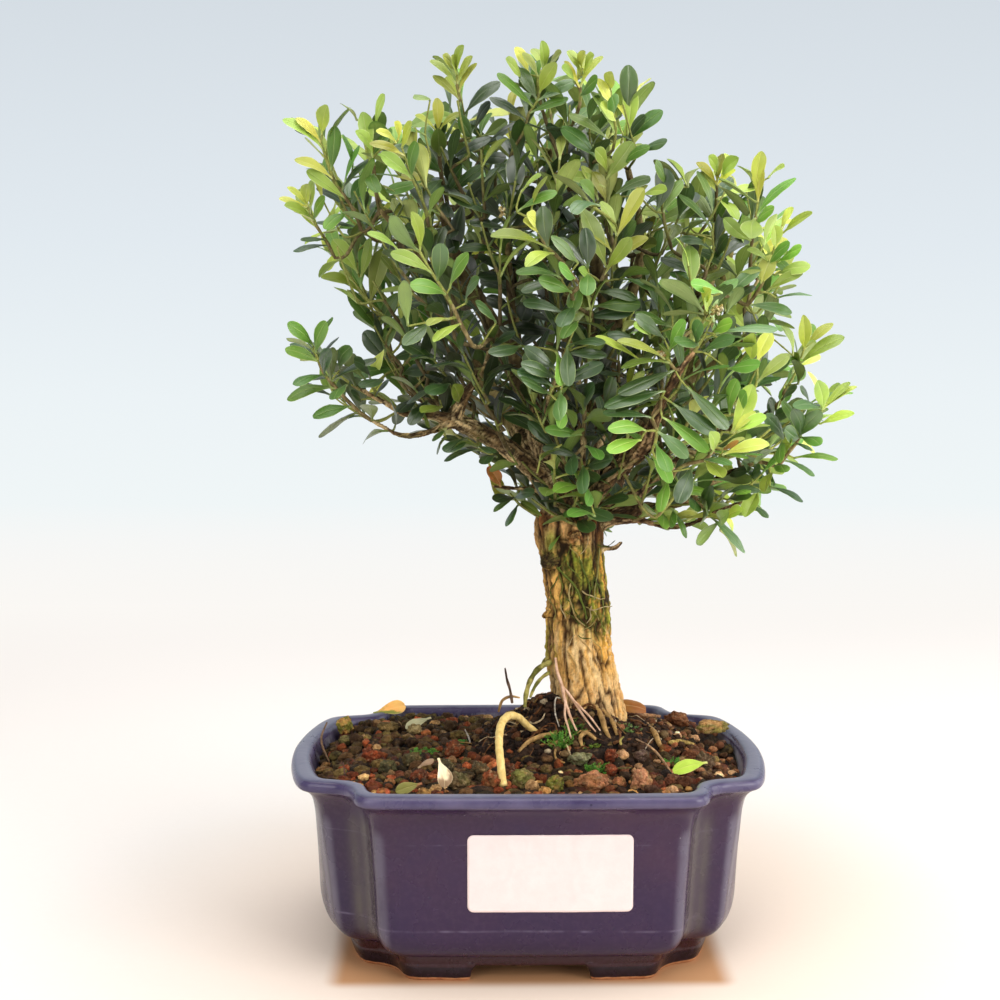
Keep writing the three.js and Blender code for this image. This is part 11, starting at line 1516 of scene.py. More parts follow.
353,779,4115,23,57,383,744,4129,24,57,411,720,4157,25,57,418,729,4197,26,57,425,738,4237,27,45,432,745,4277,28,45,438,753,4318,29,45,
443,759,4359,30,45,448,766,4400,31,45,216,786,4005,2,100,174,746,3987,33,100,131,716,3997,34,100,132,729,4036,35,65,132,742,4075,36,65,
132,754,4114,37,57,133,765,4154,38,57,133,776,4193,39,57,133,786,4233,40,45,133,796,4273,41,45,134,805,4313,42,45,131,120,4244,-1,61,
135,173,4261,44,61,138,222,4274,45,61,141,268,4291,46,61,140,309,4316,47,61,135,326,4349,48,61,129,343,4383,49,61,124,359,4417,50,57,
119,374,4452,51,57,115,387,4487,52,45,110,401,4522,53,45,106,414,4558,54,36,102,426,4594,55,36,98,439,4630,56,36,139,663,4017,35,100,
163,613,4032,58,86,186,570,4052,59,86,192,537,4086,60,86,168,548,4117,61,57,146,558,4148,62,45,125,567,4181,63,45,106,576,4215,64,45,
88,584,4249,65,45,70,592,4284,66,45,195,486,4116,61,52,197,446,4149,68,52,200,448,4187,69,52,203,450,4225,70,52,205,451,4263,71,36,208,453,4301,72,36,
210,454,4339,73,36,212,456,4377,74,36,214,457,4415,75,36,216,458,4452,76,36,89,717,3955,35,86,59,728,3908,78,86,27,754,3886,79,86,27,773,3921,80,65,
27,791,3956,81,65,27,807,3992,82,57,27,823,4029,83,57,27,838,4065,84,57,27,852,4103,85,45,28,866,4140,86,45,28,879,4177,87,45,-31,769,3866,80,72,
-84,782,3864,89,72,-103,795,3895,90,72,-121,806,3927,91,72,-138,818,3959,92,65,-155,829,3992,93,65,-170,839,4025,94,57,-185,848,4059,95,57,
-199,858,4093,96,45,-213,867,4128,97,45,-227,876,4162,98,45,236,523,4107,61,68,284,516,4118,100,68,329,515,4130,101,68,365,518,4156,102,68,
364,531,4195,103,68,363,544,4235,104,68,362,556,4275,105,52,361,567,4315,106,52,360,577,4356,107,52,359,587,4396,108,36,358,597,4437,109,36,
357,606,4478,110,36,415,536,4249,105,45,465,529,4262,112,45,479,537,4297,113,45,492,545,4332,114,36,503,552,4368,115,36,514,558,4404,116,36,
524,564,4441,117,36,534,570,4478,118,36,108,621,4028,58,82,71,586,4032,120,82,31,557,4037,121,82,-6,531,4047,122,82,-38,507,4070,123,61,
-46,503,4108,124,61,-54,498,4146,125,52,-61,495,4184,126,52,-67,491,4222,127,52,-73,488,4260,128,36,-79,485,4298,129,36,-84,481,4337,130,36,
-55,546,4028,123,68,-96,571,4001,132,68,-132,599,3980,133,68,-166,628,3984,134,68,-165,633,4022,135,68,-164,638,4060,136,68,-163,642,4098,137,61,
-162,647,4136,138,61,-161,651,4175,139,52,-160,655,4213,140,52,-159,659,4251,141,36,-158,662,4289,142,36,-157,666,4327,143,36,
    ], "leaves": [
294,856,4108,472,861,4304,96,-68,41,59,2,10,0,305,874,4184,463,1093,4186,84,-15,10,97,2,10,0,305,874,4184,212,753,4355,80,47,57,66,2,8,0,
315,890,4260,192,978,4470,87,71,-34,60,1,10,0,315,890,4260,548,855,4415,99,-45,32,82,1,9,0,329,912,4375,373,1003,4553,71,-30,-81,49,1,9,0,
329,912,4375,332,899,4570,70,5,99,7,1,7,0,34,648,4295,-125,767,4478,87,59,-29,74,1,6,0,34,648,4295,228,515,4458,102,-43,33,83,1,4,1,
50,644,4487,91,700,4677,63,-56,-74,34,0,6,0,50,644,4487,29,564,4632,52,28,81,49,0,10,0,-121,806,3927,-206,1031,4004,82,18,-26,94,3,8,0,
-121,806,3927,-177,695,4122,80,8,85,50,3,9,0,-155,829,3992,-51,859,4256,90,-92,0,37,2,6,0,-155,829,3992,-376,892,4075,86,33,-6,93,2,7,0,
-185,848,4059,-308,1096,4144,102,-12,-33,93,2,6,0,-185,848,4059,-235,708,4303,86,-28,83,47,2,10,1,-227,876,4162,-258,944,4361,67,-63,-75,16,2,6,0,
-227,876,4162,-372,903,4290,62,66,13,73,2,3,0,418,729,4197,435,954,4314,90,-12,-42,89,3,6,0,418,729,4197,452,606,4439,95,-12,86,48,3,10,0,
448,766,4400,554,789,4548,63,-80,-2,58,3,10,0,448,766,4400,416,810,4623,77,89,-38,20,3,7,0,-46,503,4108,-272,391,4257,88,34,34,86,1,9,1,
-46,503,4108,113,577,4353,99,-75,-21,61,1,10,0,-67,491,4222,-154,648,4370,73,13,-63,75,0,6,0,-67,491,4222,-26,245,4388,110,-19,52,82,0,9,0,
-84,481,4337,-61,529,4535,68,-58,-76,25,0,5,1,27,791,3956,236,978,4004,94,-33,7,93,2,7,0,27,791,3956,-114,774,4193,95,80,35,47,2,6,0,
27,838,4065,228,764,4202,94,-48,35,79,1,11,0,27,838,4065,-152,1010,4210,105,52,-20,82,1,9,0,28,879,4177,84,992,4312,66,-44,-58,67,1,3,0,
28,879,4177,-28,896,4334,54,93,8,32,1,10,0,-164,638,4060,0,714,4227,81,-71,-1,69,3,9,0,-164,638,4060,-373,572,4210,97,54,20,81,6,7,0,
-162,647,4136,11,476,4288,104,-38,37,84,6,6,0,-162,647,4136,-328,850,4266,108,25,-36,89,2,10,1,-160,655,4213,19,794,4353,87,-44,-21,86,3,3,0,
-160,655,4213,-321,554,4351,76,43,32,83,3,5,0,-157,666,4327,-227,768,4504,72,39,-72,57,3,3,0,168,548,4117,-11,689,4207,86,21,-28,93,2,5,0,
168,548,4117,187,462,4364,93,-42,83,36,2,6,1,70,592,4284,23,641,4425,50,24,-88,39,1,9,0,70,592,4284,-88,609,4389,66,55,15,81,1,11,0,
203,450,4225,54,484,4392,76,75,-11,64,3,9,0,203,450,4225,391,426,4419,94,-73,-1,67,3,6,0,210,454,4339,286,640,4519,101,-37,-59,70,3,4,1,
132,742,4075,253,639,4272,84,-57,55,59,3,5,0,132,742,4075,6,916,4115,82,26,-10,95,3,8,0,133,776,4193,-65,761,4375,93,70,9,70,3,4,0,
133,776,4193,321,860,4303,76,-52,-9,84,3,9,0,134,805,4313,156,769,4500,65,-39,88,22,2,4,0,134,805,4313,113,937,4483,78,8,-78,61,3,7,0,
129,343,4383,-34,218,4537,94,21,64,72,3,10,0,119,374,4452,323,421,4584,82,-55,6,82,3,7,0,119,374,4452,-80,426,4554,81,45,-2,88,3,6,0,
110,401,4522,252,636,4613,92,-34,-10,92,2,8,0,98,439,4630,12,611,4748,72,25,-45,84,2,5,0,363,544,4235,185,746,4322,96,14,-32,92,2,6,0,
363,544,4235,516,431,4385,80,-55,35,75,2,5,0,360,577,4356,485,787,4492,99,-28,-44,84,1,6,0,360,577,4356,246,488,4556,83,57,61,53,1,8,1,
357,606,4478,315,692,4647,65,61,-62,47,1,4,0,479,537,4297,505,718,4440,81,29,-59,74,2,3,0,479,537,4297,556,361,4529,103,-2,77,62,2,3,1,
450,768,4405,509,881,4656,130,9,-75,64,2,4,1,132,745,4080,150,862,4320,114,-37,-85,35,2,-2,1,443,752,4320,640,748,4391,93,27,-86,40,2,-2,0,
-163,664,4288,-376,724,4260,103,16,-68,70,2,2,0,100,428,4599,43,488,4745,82,26,-82,48,1,5,1,-98,571,4006,-180,583,4201,95,-23,50,-82,3,0,1,
218,459,4447,272,474,4303,76,62,-67,38,2,1,1,130,788,4228,44,834,4093,72,-33,-66,66,0,7,1,-73,490,4222,-232,454,4234,81,-6,5,99,2,3,0,
27,878,4183,3,856,4351,73,43,-41,79,1,1,0,
    ]},
    "back_right_low": {"twigs": [
1213,772,2637,-1,65,789,880,2747,-1,104,791,904,2740,1,104,804,937,2757,2,65,817,969,2776,3,65,830,1001,2796,4,57,842,1031,2818,5,57,
853,1060,2842,6,57,865,1088,2868,7,45,876,1115,2894,8,45,886,1142,2921,9,45,1129,832,2647,-1,104,1129,789,2653,11,104,1160,810,2673,12,61,
1191,830,2696,13,52,1219,849,2722,14,52,1247,868,2750,15,52,1273,885,2780,16,36,1298,902,2811,17,36,1087,779,2653,12,97,1053,790,2660,19,97,
1068,820,2682,20,65,1083,849,2705,21,65,1098,877,2731,22,57,1111,903,2758,23,57,1124,929,2787,24,45,1137,953,2816,25,45,1149,977,2846,26,45,
1207,744,2677,0,65,1199,716,2713,28,65,1195,694,2749,29,65,1199,682,2788,30,65,1218,701,2816,31,65,1236,718,2845,32,65,1254,735,2875,33,57,
1270,751,2906,34,57,1286,766,2938,35,57,1301,780,2971,36,45,1315,794,3004,37,45,1329,807,3037,38,45,1005,799,2706,20,86,977,816,2755,40,86,
988,848,2781,41,86,999,878,2808,42,86,1010,907,2836,43,82,1021,935,2866,44,65,1030,962,2897,45,57,1040,987,2930,46,57,1049,1012,2963,47,45,
1058,1037,2996,48,45,1050,908,2812,44,65,1077,922,2837,50,65,1103,936,2863,51,65,1127,950,2890,52,57,1150,962,2919,53,57,1172,974,2950,54,45,
1194,986,2981,55,45,1214,997,3012,56,45,988,568,2962,-1,68,1015,602,2932,58,68,1038,632,2904,59,68,1070,658,2884,60,68,1108,664,2886,61,68,
1146,671,2890,62,68,1184,678,2894,63,61,1221,684,2901,64,61,1258,691,2911,65,57,1295,697,2922,66,57,1331,704,2936,67,57,1366,710,2951,68,45,
1401,716,2966,69,45,800,930,2688,2,97,805,942,2630,71,97,812,949,2574,72,97,826,962,2527,73,97,852,987,2497,74,65,874,1006,2525,75,65,
896,1025,2554,76,65,916,1043,2584,77,57,935,1060,2616,78,57,953,1076,2648,79,57,971,1092,2681,80,45,988,1107,2715,81,45,1004,1121,2749,82,45,
854,929,2489,74,86,880,889,2462,84,86,919,865,2448,85,77,948,885,2464,86,77,977,903,2482,87,65,1004,921,2502,88,57,1030,939,2524,89,57,
1055,955,2548,90,45,1080,971,2573,91,45,1104,987,2599,92,45,886,892,2412,85,57,897,909,2372,94,57,931,934,2378,95,57,964,958,2387,96,45,
996,981,2400,97,45,1027,1003,2417,98,45,1057,1025,2436,99,45,986,860,2462,87,57,1015,827,2453,101,57,1050,807,2450,102,57,1085,827,2462,103,57,
1120,846,2476,104,57,1154,865,2491,105,45,1187,884,2509,106,45,1219,902,2530,107,45,1250,919,2552,108,36,1280,937,2576,109,36,1311,953,2600,110,36,
    ], "leaves": [
1160,810,2673,1372,745,2736,69,-15,31,93,3,4,0,1160,810,2673,1195,1049,2846,95,35,-56,74,3,7,0,1247,868,2750,1317,826,2983,84,-48,82,27,2,11,0,
1247,868,2750,1365,1046,2663,79,47,1,87,3,11,0,1298,902,2811,1349,1025,2969,77,13,-79,58,2,10,0,931,934,2378,1173,866,2392,84,11,49,85,3,4,0,
931,934,2378,909,1197,2471,91,57,-21,78,3,11,0,1057,1025,2436,1244,1061,2540,78,-49,48,71,2,4,0,1057,1025,2436,1147,1208,2456,72,43,-31,84,2,6,0,
1083,849,2705,1304,946,2716,83,-18,19,95,3,4,0,1083,849,2705,912,919,2916,101,76,-15,62,6,5,0,1111,903,2758,1255,870,2961,89,-64,51,55,3,9,0,
1111,903,2758,1060,1180,2720,96,33,20,91,3,6,0,1149,977,2846,1272,1076,2923,57,-59,13,78,2,9,0,1149,977,2846,1149,1131,3015,84,70,-52,47,2,10,0,
977,903,2482,1171,792,2596,82,-18,57,79,3,5,0,977,903,2482,995,1133,2538,87,35,-28,88,3,6,0,1030,939,2524,1183,837,2724,98,-25,75,59,2,7,0,
1030,939,2524,1084,1204,2543,83,26,-10,95,3,11,0,1104,987,2599,1279,988,2689,69,-39,51,75,2,5,0,1104,987,2599,1192,1147,2723,79,22,-66,70,2,9,0,
999,878,2808,1224,913,2918,94,-47,42,77,2,10,0,999,878,2808,828,1024,2916,81,55,-1,82,2,4,0,1021,935,2866,1048,922,3110,91,-75,64,10,2,5,0,
1021,935,2866,1057,1141,2781,74,13,30,93,2,6,0,1040,987,2930,1231,1069,2990,69,-37,11,91,1,4,0,1040,987,2930,906,1111,3060,85,71,-1,69,1,5,0,
1058,1037,2996,1080,1068,3184,66,-95,26,7,1,9,0,1058,1037,2996,1102,1182,3057,53,-9,-35,92,1,8,0,1146,671,2890,1392,503,2918,93,25,48,83,3,10,0,
1146,671,2890,1293,870,2984,94,51,-63,56,3,4,0,1221,684,2901,1340,945,2919,89,52,-26,80,3,10,0,1331,704,2936,1520,581,2966,84,21,58,77,2,6,1,
1331,704,2936,1491,918,3039,92,29,-60,73,3,11,0,1401,716,2966,1614,700,3036,72,-26,38,88,2,9,0,1401,716,2966,1562,826,2996,63,25,-57,77,2,9,0,
1236,718,2845,1476,675,2971,88,-32,58,74,3,9,0,1236,718,2845,1143,896,2951,86,64,-15,74,2,7,0,1286,766,2938,1197,723,3146,80,74,54,38,3,5,0,
1286,766,2938,1494,925,2948,98,-23,17,95,3,4,0,1329,807,3037,1430,825,3203,63,-85,10,50,2,9,0,1329,807,3037,1389,933,3210,73,8,-81,56,2,9,0,
1120,846,2476,1314,759,2562,74,-2,69,71,3,11,0,1120,846,2476,1131,1089,2510,86,46,-16,86,3,10,0,1219,902,2530,1326,1158,2584,93,49,-39,77,3,10,0,
1311,953,2600,1417,1081,2748,72,-22,-64,72,2,6,0,896,1025,2554,1103,1037,2629,75,-36,25,89,3,9,0,896,1025,2554,818,1163,2761,93,66,-49,55,3,7,0,
953,1076,2648,903,1002,2860,77,38,85,34,3,4,0,953,1076,2648,1130,1266,2604,99,26,-8,95,3,9,0,1004,1121,2749,1193,1189,2832,77,-34,-17,91,2,5,0,
1004,1121,2749,1052,1228,2951,78,18,-88,42,2,6,1,817,969,2776,1058,1128,2808,108,-30,24,91,3,10,0,817,969,2776,673,1075,2996,91,84,2,52,3,5,0,
853,1060,2842,1056,1140,2843,71,-14,25,95,6,8,0,853,1060,2842,777,1186,3004,72,89,-6,44,3,8,0,886,1142,2921,1048,1295,2942,77,-34,23,90,2,7,0,
1103,936,2863,1294,841,2871,70,-2,17,98,1,9,0,1103,936,2863,1038,1097,3007,84,67,-38,63,1,10,0,1150,962,2919,1199,902,3184,100,16,96,19,0,10,0,
1150,962,2919,1306,1149,2880,90,32,-5,94,0,8,0,1214,997,3012,1374,984,3125,61,-50,42,75,0,6,0,1214,997,3012,1280,1080,3122,53,-18,-72,65,0,10,0,
1188,883,2504,1213,844,2354,68,4,-64,75,1,2,0,804,931,2691,927,968,2774,64,35,-65,66,2,-1,0,967,960,2392,1049,1017,2523,70,13,-89,41,2,1,0,
890,1028,2552,758,1086,2506,72,-26,-91,30,5,-1,0,1335,705,2932,1435,742,2830,69,18,-31,92,1,0,0,
    ]},
    "back_right": {"twigs": [
998,1011,3036,-1,86,947,991,2953,-1,93,984,936,2950,1,93,1006,952,2983,2,93,1027,967,3017,3,57,1047,981,3052,4,57,1065,994,3088,5,45,
1082,1007,3125,6,45,1099,1019,3162,7,45,1030,896,3027,3,82,1057,903,3059,9,82,1082,908,3091,10,82,1106,914,3125,11,77,1128,919,3160,12,77,
1150,924,3196,13,77,1170,929,3232,14,45,1190,934,3269,15,45,1209,938,3305,16,45,948,1020,3035,0,86,902,1028,3033,18,86,866,1039,3049,19,86,
873,1049,3086,20,86,880,1058,3125,21,52,886,1067,3163,22,52,892,1075,3202,23,52,898,1082,3240,24,36,903,1089,3279,25,36,908,1096,3318,26,36,
1154,870,3235,14,65,1155,901,3263,28,65,1157,931,3293,29,57,1158,959,3325,30,57,1160,985,3358,31,45,1161,1010,3392,32,45,1163,1034,3427,33,45,
1072,1019,3183,-1,92,1063,978,3209,35,92,1052,938,3231,36,92,1045,903,3255,37,92,1050,878,3286,38,92,1078,889,3316,39,61,1105,899,3348,40,61,
1130,909,3380,41,52,1153,919,3414,42,52,1175,927,3449,43,36,1197,936,3485,44,36,1217,944,3521,45,36,1043,848,3327,39,82,1032,819,3364,47,82,
1023,798,3402,48,82,1020,793,3443,49,82,1032,825,3467,50,72,1043,857,3493,51,72,1054,887,3520,52,65,1064,916,3549,53,65,1074,944,3579,54,57,
1083,970,3611,55,57,1093,996,3643,56,45,1102,1022,3676,57,45,977,766,3480,50,57,930,740,3506,59,57,896,727,3544,60,57,907,745,3581,61,57,
918,762,3618,62,52,928,778,3656,63,52,937,793,3695,64,52,946,807,3734,65,36,955,820,3773,66,36,963,833,3813,67,36,852,1019,3132,21,74,
824,981,3166,69,74,793,940,3193,70,74,765,901,3220,71,74,744,870,3253,72,74,733,852,3298,73,74,750,872,3325,74,74,766,890,3354,75,74,
782,908,3383,76,68,796,925,3413,77,52,810,941,3444,78,52,823,956,3476,79,45,836,971,3508,80,45,848,985,3541,81,45,740,917,3421,77,57,
700,921,3456,83,57,700,925,3493,84,57,700,928,3530,85,45,700,931,3567,86,45,699,934,3604,87,45,699,936,3642,88,45,699,939,3679,89,45,
    ], "leaves": [
907,745,3581,1136,729,3726,93,-38,50,76,1,11,0,937,793,3695,900,671,3896,74,44,72,52,0,7,1,937,793,3695,1055,1050,3752,94,7,-24,96,0,4,0,
963,833,3813,1073,904,3961,71,-78,-6,61,0,7,0,1043,857,3493,1247,996,3570,90,-34,-5,93,1,11,0,1043,857,3493,914,968,3692,90,65,-40,63,1,6,0,
1064,916,3549,1104,882,3785,86,-52,82,17,1,6,1,1064,916,3549,1086,1120,3476,74,18,26,94,1,6,0,1083,970,3611,1259,1111,3599,76,-10,15,97,0,9,0,
1083,970,3611,935,980,3847,92,68,61,37,0,5,0,1102,1022,3676,1122,1098,3853,70,-90,-33,25,0,7,0,1102,1022,3676,1175,1198,3711,61,-5,-17,97,0,8,0,
766,890,3354,1048,902,3347,97,-3,43,89,2,7,0,766,890,3354,683,997,3536,84,75,-38,53,3,8,0,810,941,3444,857,816,3673,89,-6,88,45,6,4,1,
848,985,3541,972,1044,3675,61,-65,-25,71,3,6,0,1155,901,3263,1369,1085,3387,109,-50,4,86,2,11,0,1155,901,3263,986,1000,3472,101,78,20,57,2,4,0,
1158,959,3325,1284,961,3561,87,-84,18,49,6,3,0,1158,959,3325,1052,1181,3377,81,35,2,93,3,7,0,1163,1034,3427,1234,1176,3595,73,-73,-33,58,2,9,0,
1163,1034,3427,1071,1139,3564,69,65,-32,68,2,10,0,1006,952,2983,1115,795,3178,90,2,75,64,3,9,1,1047,981,3052,1296,1085,3196,91,-42,-12,89,3,4,0,
1099,1019,3162,1173,979,3380,73,-49,80,31,6,8,0,1099,1019,3162,1182,1159,3270,64,7,-62,77,2,9,0,873,1049,3086,772,1196,3275,78,61,-37,68,2,9,0,
873,1049,3086,1029,981,3253,82,-55,37,74,2,10,0,892,1075,3202,1071,1247,3321,100,-57,3,81,1,4,0,892,1075,3202,755,962,3433,95,62,48,60,1,6,0,
908,1096,3318,996,1107,3493,61,-89,7,44,1,5,0,700,925,3493,651,1144,3643,92,29,-46,82,1,9,0,700,925,3493,746,738,3708,99,12,74,65,1,11,0,
699,939,3679,757,1016,3810,55,-68,-45,57,0,10,0,699,939,3679,660,910,3847,63,50,81,26,0,5,0,1105,899,3348,1300,721,3415,90,-7,35,92,3,7,0,
1105,899,3348,1064,1076,3481,80,24,-58,76,6,9,0,1153,919,3414,1096,847,3690,92,78,53,31,3,3,0,1217,944,3521,1370,940,3665,65,-63,35,68,3,4,0,
1082,908,3091,1208,736,3230,92,-10,60,78,3,3,0,1082,908,3091,1122,1140,3245,93,23,-58,77,6,8,0,1150,924,3196,1060,944,3412,79,93,5,33,3,6,0,
1150,924,3196,1387,935,3208,80,-11,16,97,3,7,0,1209,938,3305,1295,857,3458,65,-24,79,55,6,11,0,1209,938,3305,1301,1021,3452,66,-5,-85,51,3,4,0,
950,820,3770,815,822,3677,71,-35,-69,62,2,-1,1,913,744,3579,1054,721,3530,75,42,-34,83,5,3,0,979,769,3485,1047,854,3655,84,72,-48,49,3,-1,0,
749,874,3331,704,922,3482,85,-91,-35,16,1,7,1,740,868,3249,633,832,3138,70,-33,-73,59,2,5,0,1104,915,3120,1064,945,2979,72,58,-59,54,1,2,0,
1059,918,3547,889,982,3469,100,6,4,99,1,2,0,
    ]},
    "back_right_top": {"twigs": [
1196,778,3691,-1,74,1139,775,3674,0,74,1093,768,3678,1,74,1114,761,3712,2,74,1134,754,3746,3,52,1152,748,3781,4,52,1169,743,3817,5,52,
1185,737,3854,6,36,1200,732,3890,7,36,1215,727,3927,8,36,1104,719,3729,3,57,1087,677,3736,10,57,1071,647,3757,11,57,1071,662,3795,12,57,
1070,675,3834,13,45,1070,687,3873,14,45,1070,698,3912,15,45,1069,709,3952,16,45,1159,946,3439,-1,82,1122,908,3464,18,82,1087,873,3486,19,82,
1071,842,3519,20,65,1096,837,3548,21,65,1120,833,3577,22,65,1143,829,3609,23,57,1164,825,3641,24,57,1184,822,3674,25,45,1203,818,3707,26,45,
1222,815,3741,27,45,1045,892,3514,20,65,1011,922,3537,29,65,993,948,3571,30,65,1014,949,3603,31,65,1034,951,3636,32,57,1052,952,3669,33,57,
1070,953,3703,34,57,1086,954,3738,35,45,1101,955,3772,36,45,1116,956,3807,37,45,1053,375,3700,-1,45,1015,416,3716,39,45,976,455,3728,40,45,
944,491,3745,41,45,924,522,3776,42,45,938,527,3813,43,45,951,531,3851,44,36,962,535,3890,45,36,973,539,3928,46,36,984,542,3967,47,36,
994,545,4006,48,36,
    ], "leaves": [
1120,833,3577,1194,1026,3726,92,9,-66,73,3,6,0,1164,825,3641,1431,837,3648,85,-2,6,99,3,6,0,1222,815,3741,1302,707,3895,70,-10,78,60,2,7,0,
1222,815,3741,1342,888,3868,68,-35,-62,69,2,5,0,1071,662,3795,1233,846,3952,102,-40,-35,83,2,6,0,1071,662,3795,912,569,4007,95,62,42,65,2,10,0,
1069,709,3952,1096,723,4141,67,-97,15,13,1,5,0,1069,709,3952,1014,838,4077,69,28,-59,74,1,3,0,1014,949,3603,1057,797,3791,78,-6,73,66,3,5,1,
1014,949,3603,1138,1175,3728,93,-7,-40,90,2,5,0,1070,953,3703,994,1024,3983,95,84,-40,33,3,5,0,1070,953,3703,1316,898,3814,94,-39,8,91,3,8,0,
1116,956,3807,1175,908,3968,63,-7,94,30,2,10,0,1116,956,3807,1206,1019,3954,59,-34,-76,54,3,3,0,1114,761,3712,1085,660,3922,81,51,71,46,3,7,1,
1114,761,3712,1357,845,3801,81,-24,-16,95,3,6,0,1169,743,3817,1223,973,3935,87,4,-45,88,3,3,0,1169,743,3817,1246,579,3963,82,-20,59,77,3,6,0,
1215,727,3927,1370,756,4051,64,-55,-30,76,3,11,0,938,527,3813,968,359,4064,102,7,81,56,2,3,1,938,527,3813,1028,695,3966,76,-10,-61,77,3,10,0,
1213,726,3933,1169,708,4086,70,66,-71,21,0,6,0,955,532,3855,1162,577,4059,124,50,-56,64,3,3,1,1143,776,3670,1251,802,3550,83,11,-56,81,1,-2,0,
1111,955,3806,966,934,3769,72,-37,-87,29,1,6,1,1075,700,3914,1301,751,4002,119,-44,-17,87,1,1,0,1198,778,3697,1288,765,3987,140,86,-16,46,2,1,0,
    ]},
    "right_back_edge": {"twigs": [
1256,448,3181,-1,83,459,400,3225,-1,65,460,403,3234,1,65,458,403,3276,2,65,456,404,3318,3,65,454,404,3359,4,57,453,404,3401,5,57,451,404,3443,6,57,
450,405,3485,7,45,448,405,3527,8,45,447,405,3569,9,45,1271,504,3190,0,65,1286,554,3205,11,65,1297,579,3237,12,65,1308,604,3269,13,65,
1318,627,3303,14,57,1328,648,3338,15,57,1337,668,3374,16,45,1346,688,3410,17,45,1354,707,3446,18,45,1148,508,3076,-1,65,1171,548,3066,20,65,
1189,575,3088,21,65,1207,602,3112,22,65,1224,627,3138,23,57,1240,651,3166,24,57,1256,674,3195,25,45,1271,695,3225,26,45,1285,717,3255,27,45,
917,485,3153,-1,65,972,489,3164,29,65,983,489,3201,30,65,994,489,3239,31,57,1003,489,3277,32,57,1012,489,3315,33,57,1020,489,3353,34,45,
1028,489,3392,35,45,1036,489,3430,36,45,553,406,3303,-1,65,596,440,3283,38,65,617,452,3314,39,65,637,465,3346,40,65,655,476,3379,41,57,
673,487,3413,42,57,690,498,3447,43,57,706,507,3482,44,45,721,517,3517,45,45,737,526,3552,46,45,1176,494,3099,-1,61,1154,428,3120,48,61,
1181,447,3138,49,61,1206,466,3158,50,61,1231,483,3180,51,52,1254,500,3203,52,52,1277,516,3229,53,36,1298,531,3255,54,36,1319,546,3282,55,36,
1238,417,3215,0,83,1219,386,3246,57,83,1205,361,3277,58,83,1202,348,3316,59,83,1223,369,3340,60,83,1244,390,3365,61,61,1263,410,3392,62,52,
1282,428,3420,63,52,1300,446,3449,64,52,1317,463,3480,65,36,1333,480,3510,66,36,1350,496,3541,67,36,1230,345,3406,61,72,1254,353,3439,69,72,
1276,362,3472,70,72,1298,370,3507,71,36,1318,377,3542,72,36,1337,385,3578,73,36,1355,391,3615,74,36,1372,398,3652,75,36,1389,404,3689,76,36,
1253,415,3511,71,61,1262,436,3546,78,61,1271,456,3581,79,52,1280,475,3617,80,52,1288,493,3655,81,52,1295,509,3692,82,45,1302,525,3730,83,45,
1309,541,3768,84,45,399,267,2981,-1,57,376,289,3017,86,57,356,309,3050,87,57,346,327,3086,88,57,365,336,3123,89,57,383,344,3160,90,45,
399,351,3198,91,45,413,358,3237,92,45,427,364,3276,93,45,
    ], "leaves": [
1206,466,3158,1464,457,3185,99,-13,10,98,2,5,0,1206,466,3158,1144,671,3329,93,56,-45,69,3,11,0,1254,500,3203,1336,421,3476,93,-29,88,35,6,7,1,
1254,500,3203,1393,732,3147,96,28,8,95,3,11,0,1319,546,3282,1362,665,3408,58,41,-72,54,2,7,0,1207,602,3112,1393,518,3225,83,-28,56,77,1,8,0,
1207,602,3112,1118,837,3170,87,42,-11,89,1,6,0,1240,651,3166,1118,751,3340,82,76,-12,62,0,6,0,1240,651,3166,1493,729,3224,83,-27,23,92,0,5,0,
1285,717,3255,1416,794,3388,74,-75,33,55,0,11,0,1285,717,3255,1309,842,3363,53,28,-65,69,0,4,0,1244,390,3365,1442,444,3441,74,-39,8,91,2,4,0,
1244,390,3365,1194,506,3562,77,79,-42,43,2,4,0,1300,446,3449,1289,411,3714,91,37,91,11,1,6,1,1300,446,3449,1458,631,3412,89,3,12,98,1,9,0,
1350,496,3541,1381,579,3672,57,31,-83,45,1,5,0,1308,604,3269,1535,739,3288,96,-21,10,96,1,11,0,1308,604,3269,1176,628,3467,92,85,19,47,1,7,0,
1328,648,3338,1495,658,3551,97,-62,62,46,0,4,0,1328,648,3338,1158,878,3387,102,24,-2,96,0,8,0,1354,707,3446,1434,791,3555,52,-47,-49,72,0,6,0,
1354,707,3446,1351,774,3606,61,58,-74,32,0,3,0,1262,436,3546,1382,703,3554,104,-11,8,98,6,6,0,1262,436,3546,1199,296,3777,96,19,77,60,6,5,0,
1309,541,3768,1319,517,3948,67,-22,95,14,3,9,1,1276,362,3472,1327,562,3533,76,-5,-31,94,1,11,0,1276,362,3472,1364,244,3626,68,-17,75,62,1,8,0,
1337,385,3578,1254,501,3789,93,66,-53,51,0,3,0,456,404,3318,266,503,3452,95,48,-30,81,3,5,0,456,404,3318,617,315,3501,99,-69,23,67,3,8,0,
451,404,3443,609,557,3567,82,-28,-48,82,3,10,0,451,404,3443,278,249,3567,97,34,39,84,3,8,1,447,405,3569,379,481,3776,82,36,-82,42,3,9,0,
447,405,3569,498,336,3737,63,-44,77,45,3,9,1,365,336,3123,282,241,3321,84,57,60,54,3,10,0,365,336,3123,534,457,3239,75,-38,-30,87,3,10,0,
427,364,3276,480,454,3460,68,2,-89,43,3,6,0,427,364,3276,507,308,3449,62,-67,54,49,3,5,0,983,489,3201,966,660,3358,79,27,-58,75,3,6,0,
1012,489,3315,1231,427,3483,99,-48,39,77,3,8,0,1012,489,3315,831,567,3523,93,69,-22,68,2,3,0,1036,489,3430,1071,560,3587,60,0,-90,41,2,4,0,
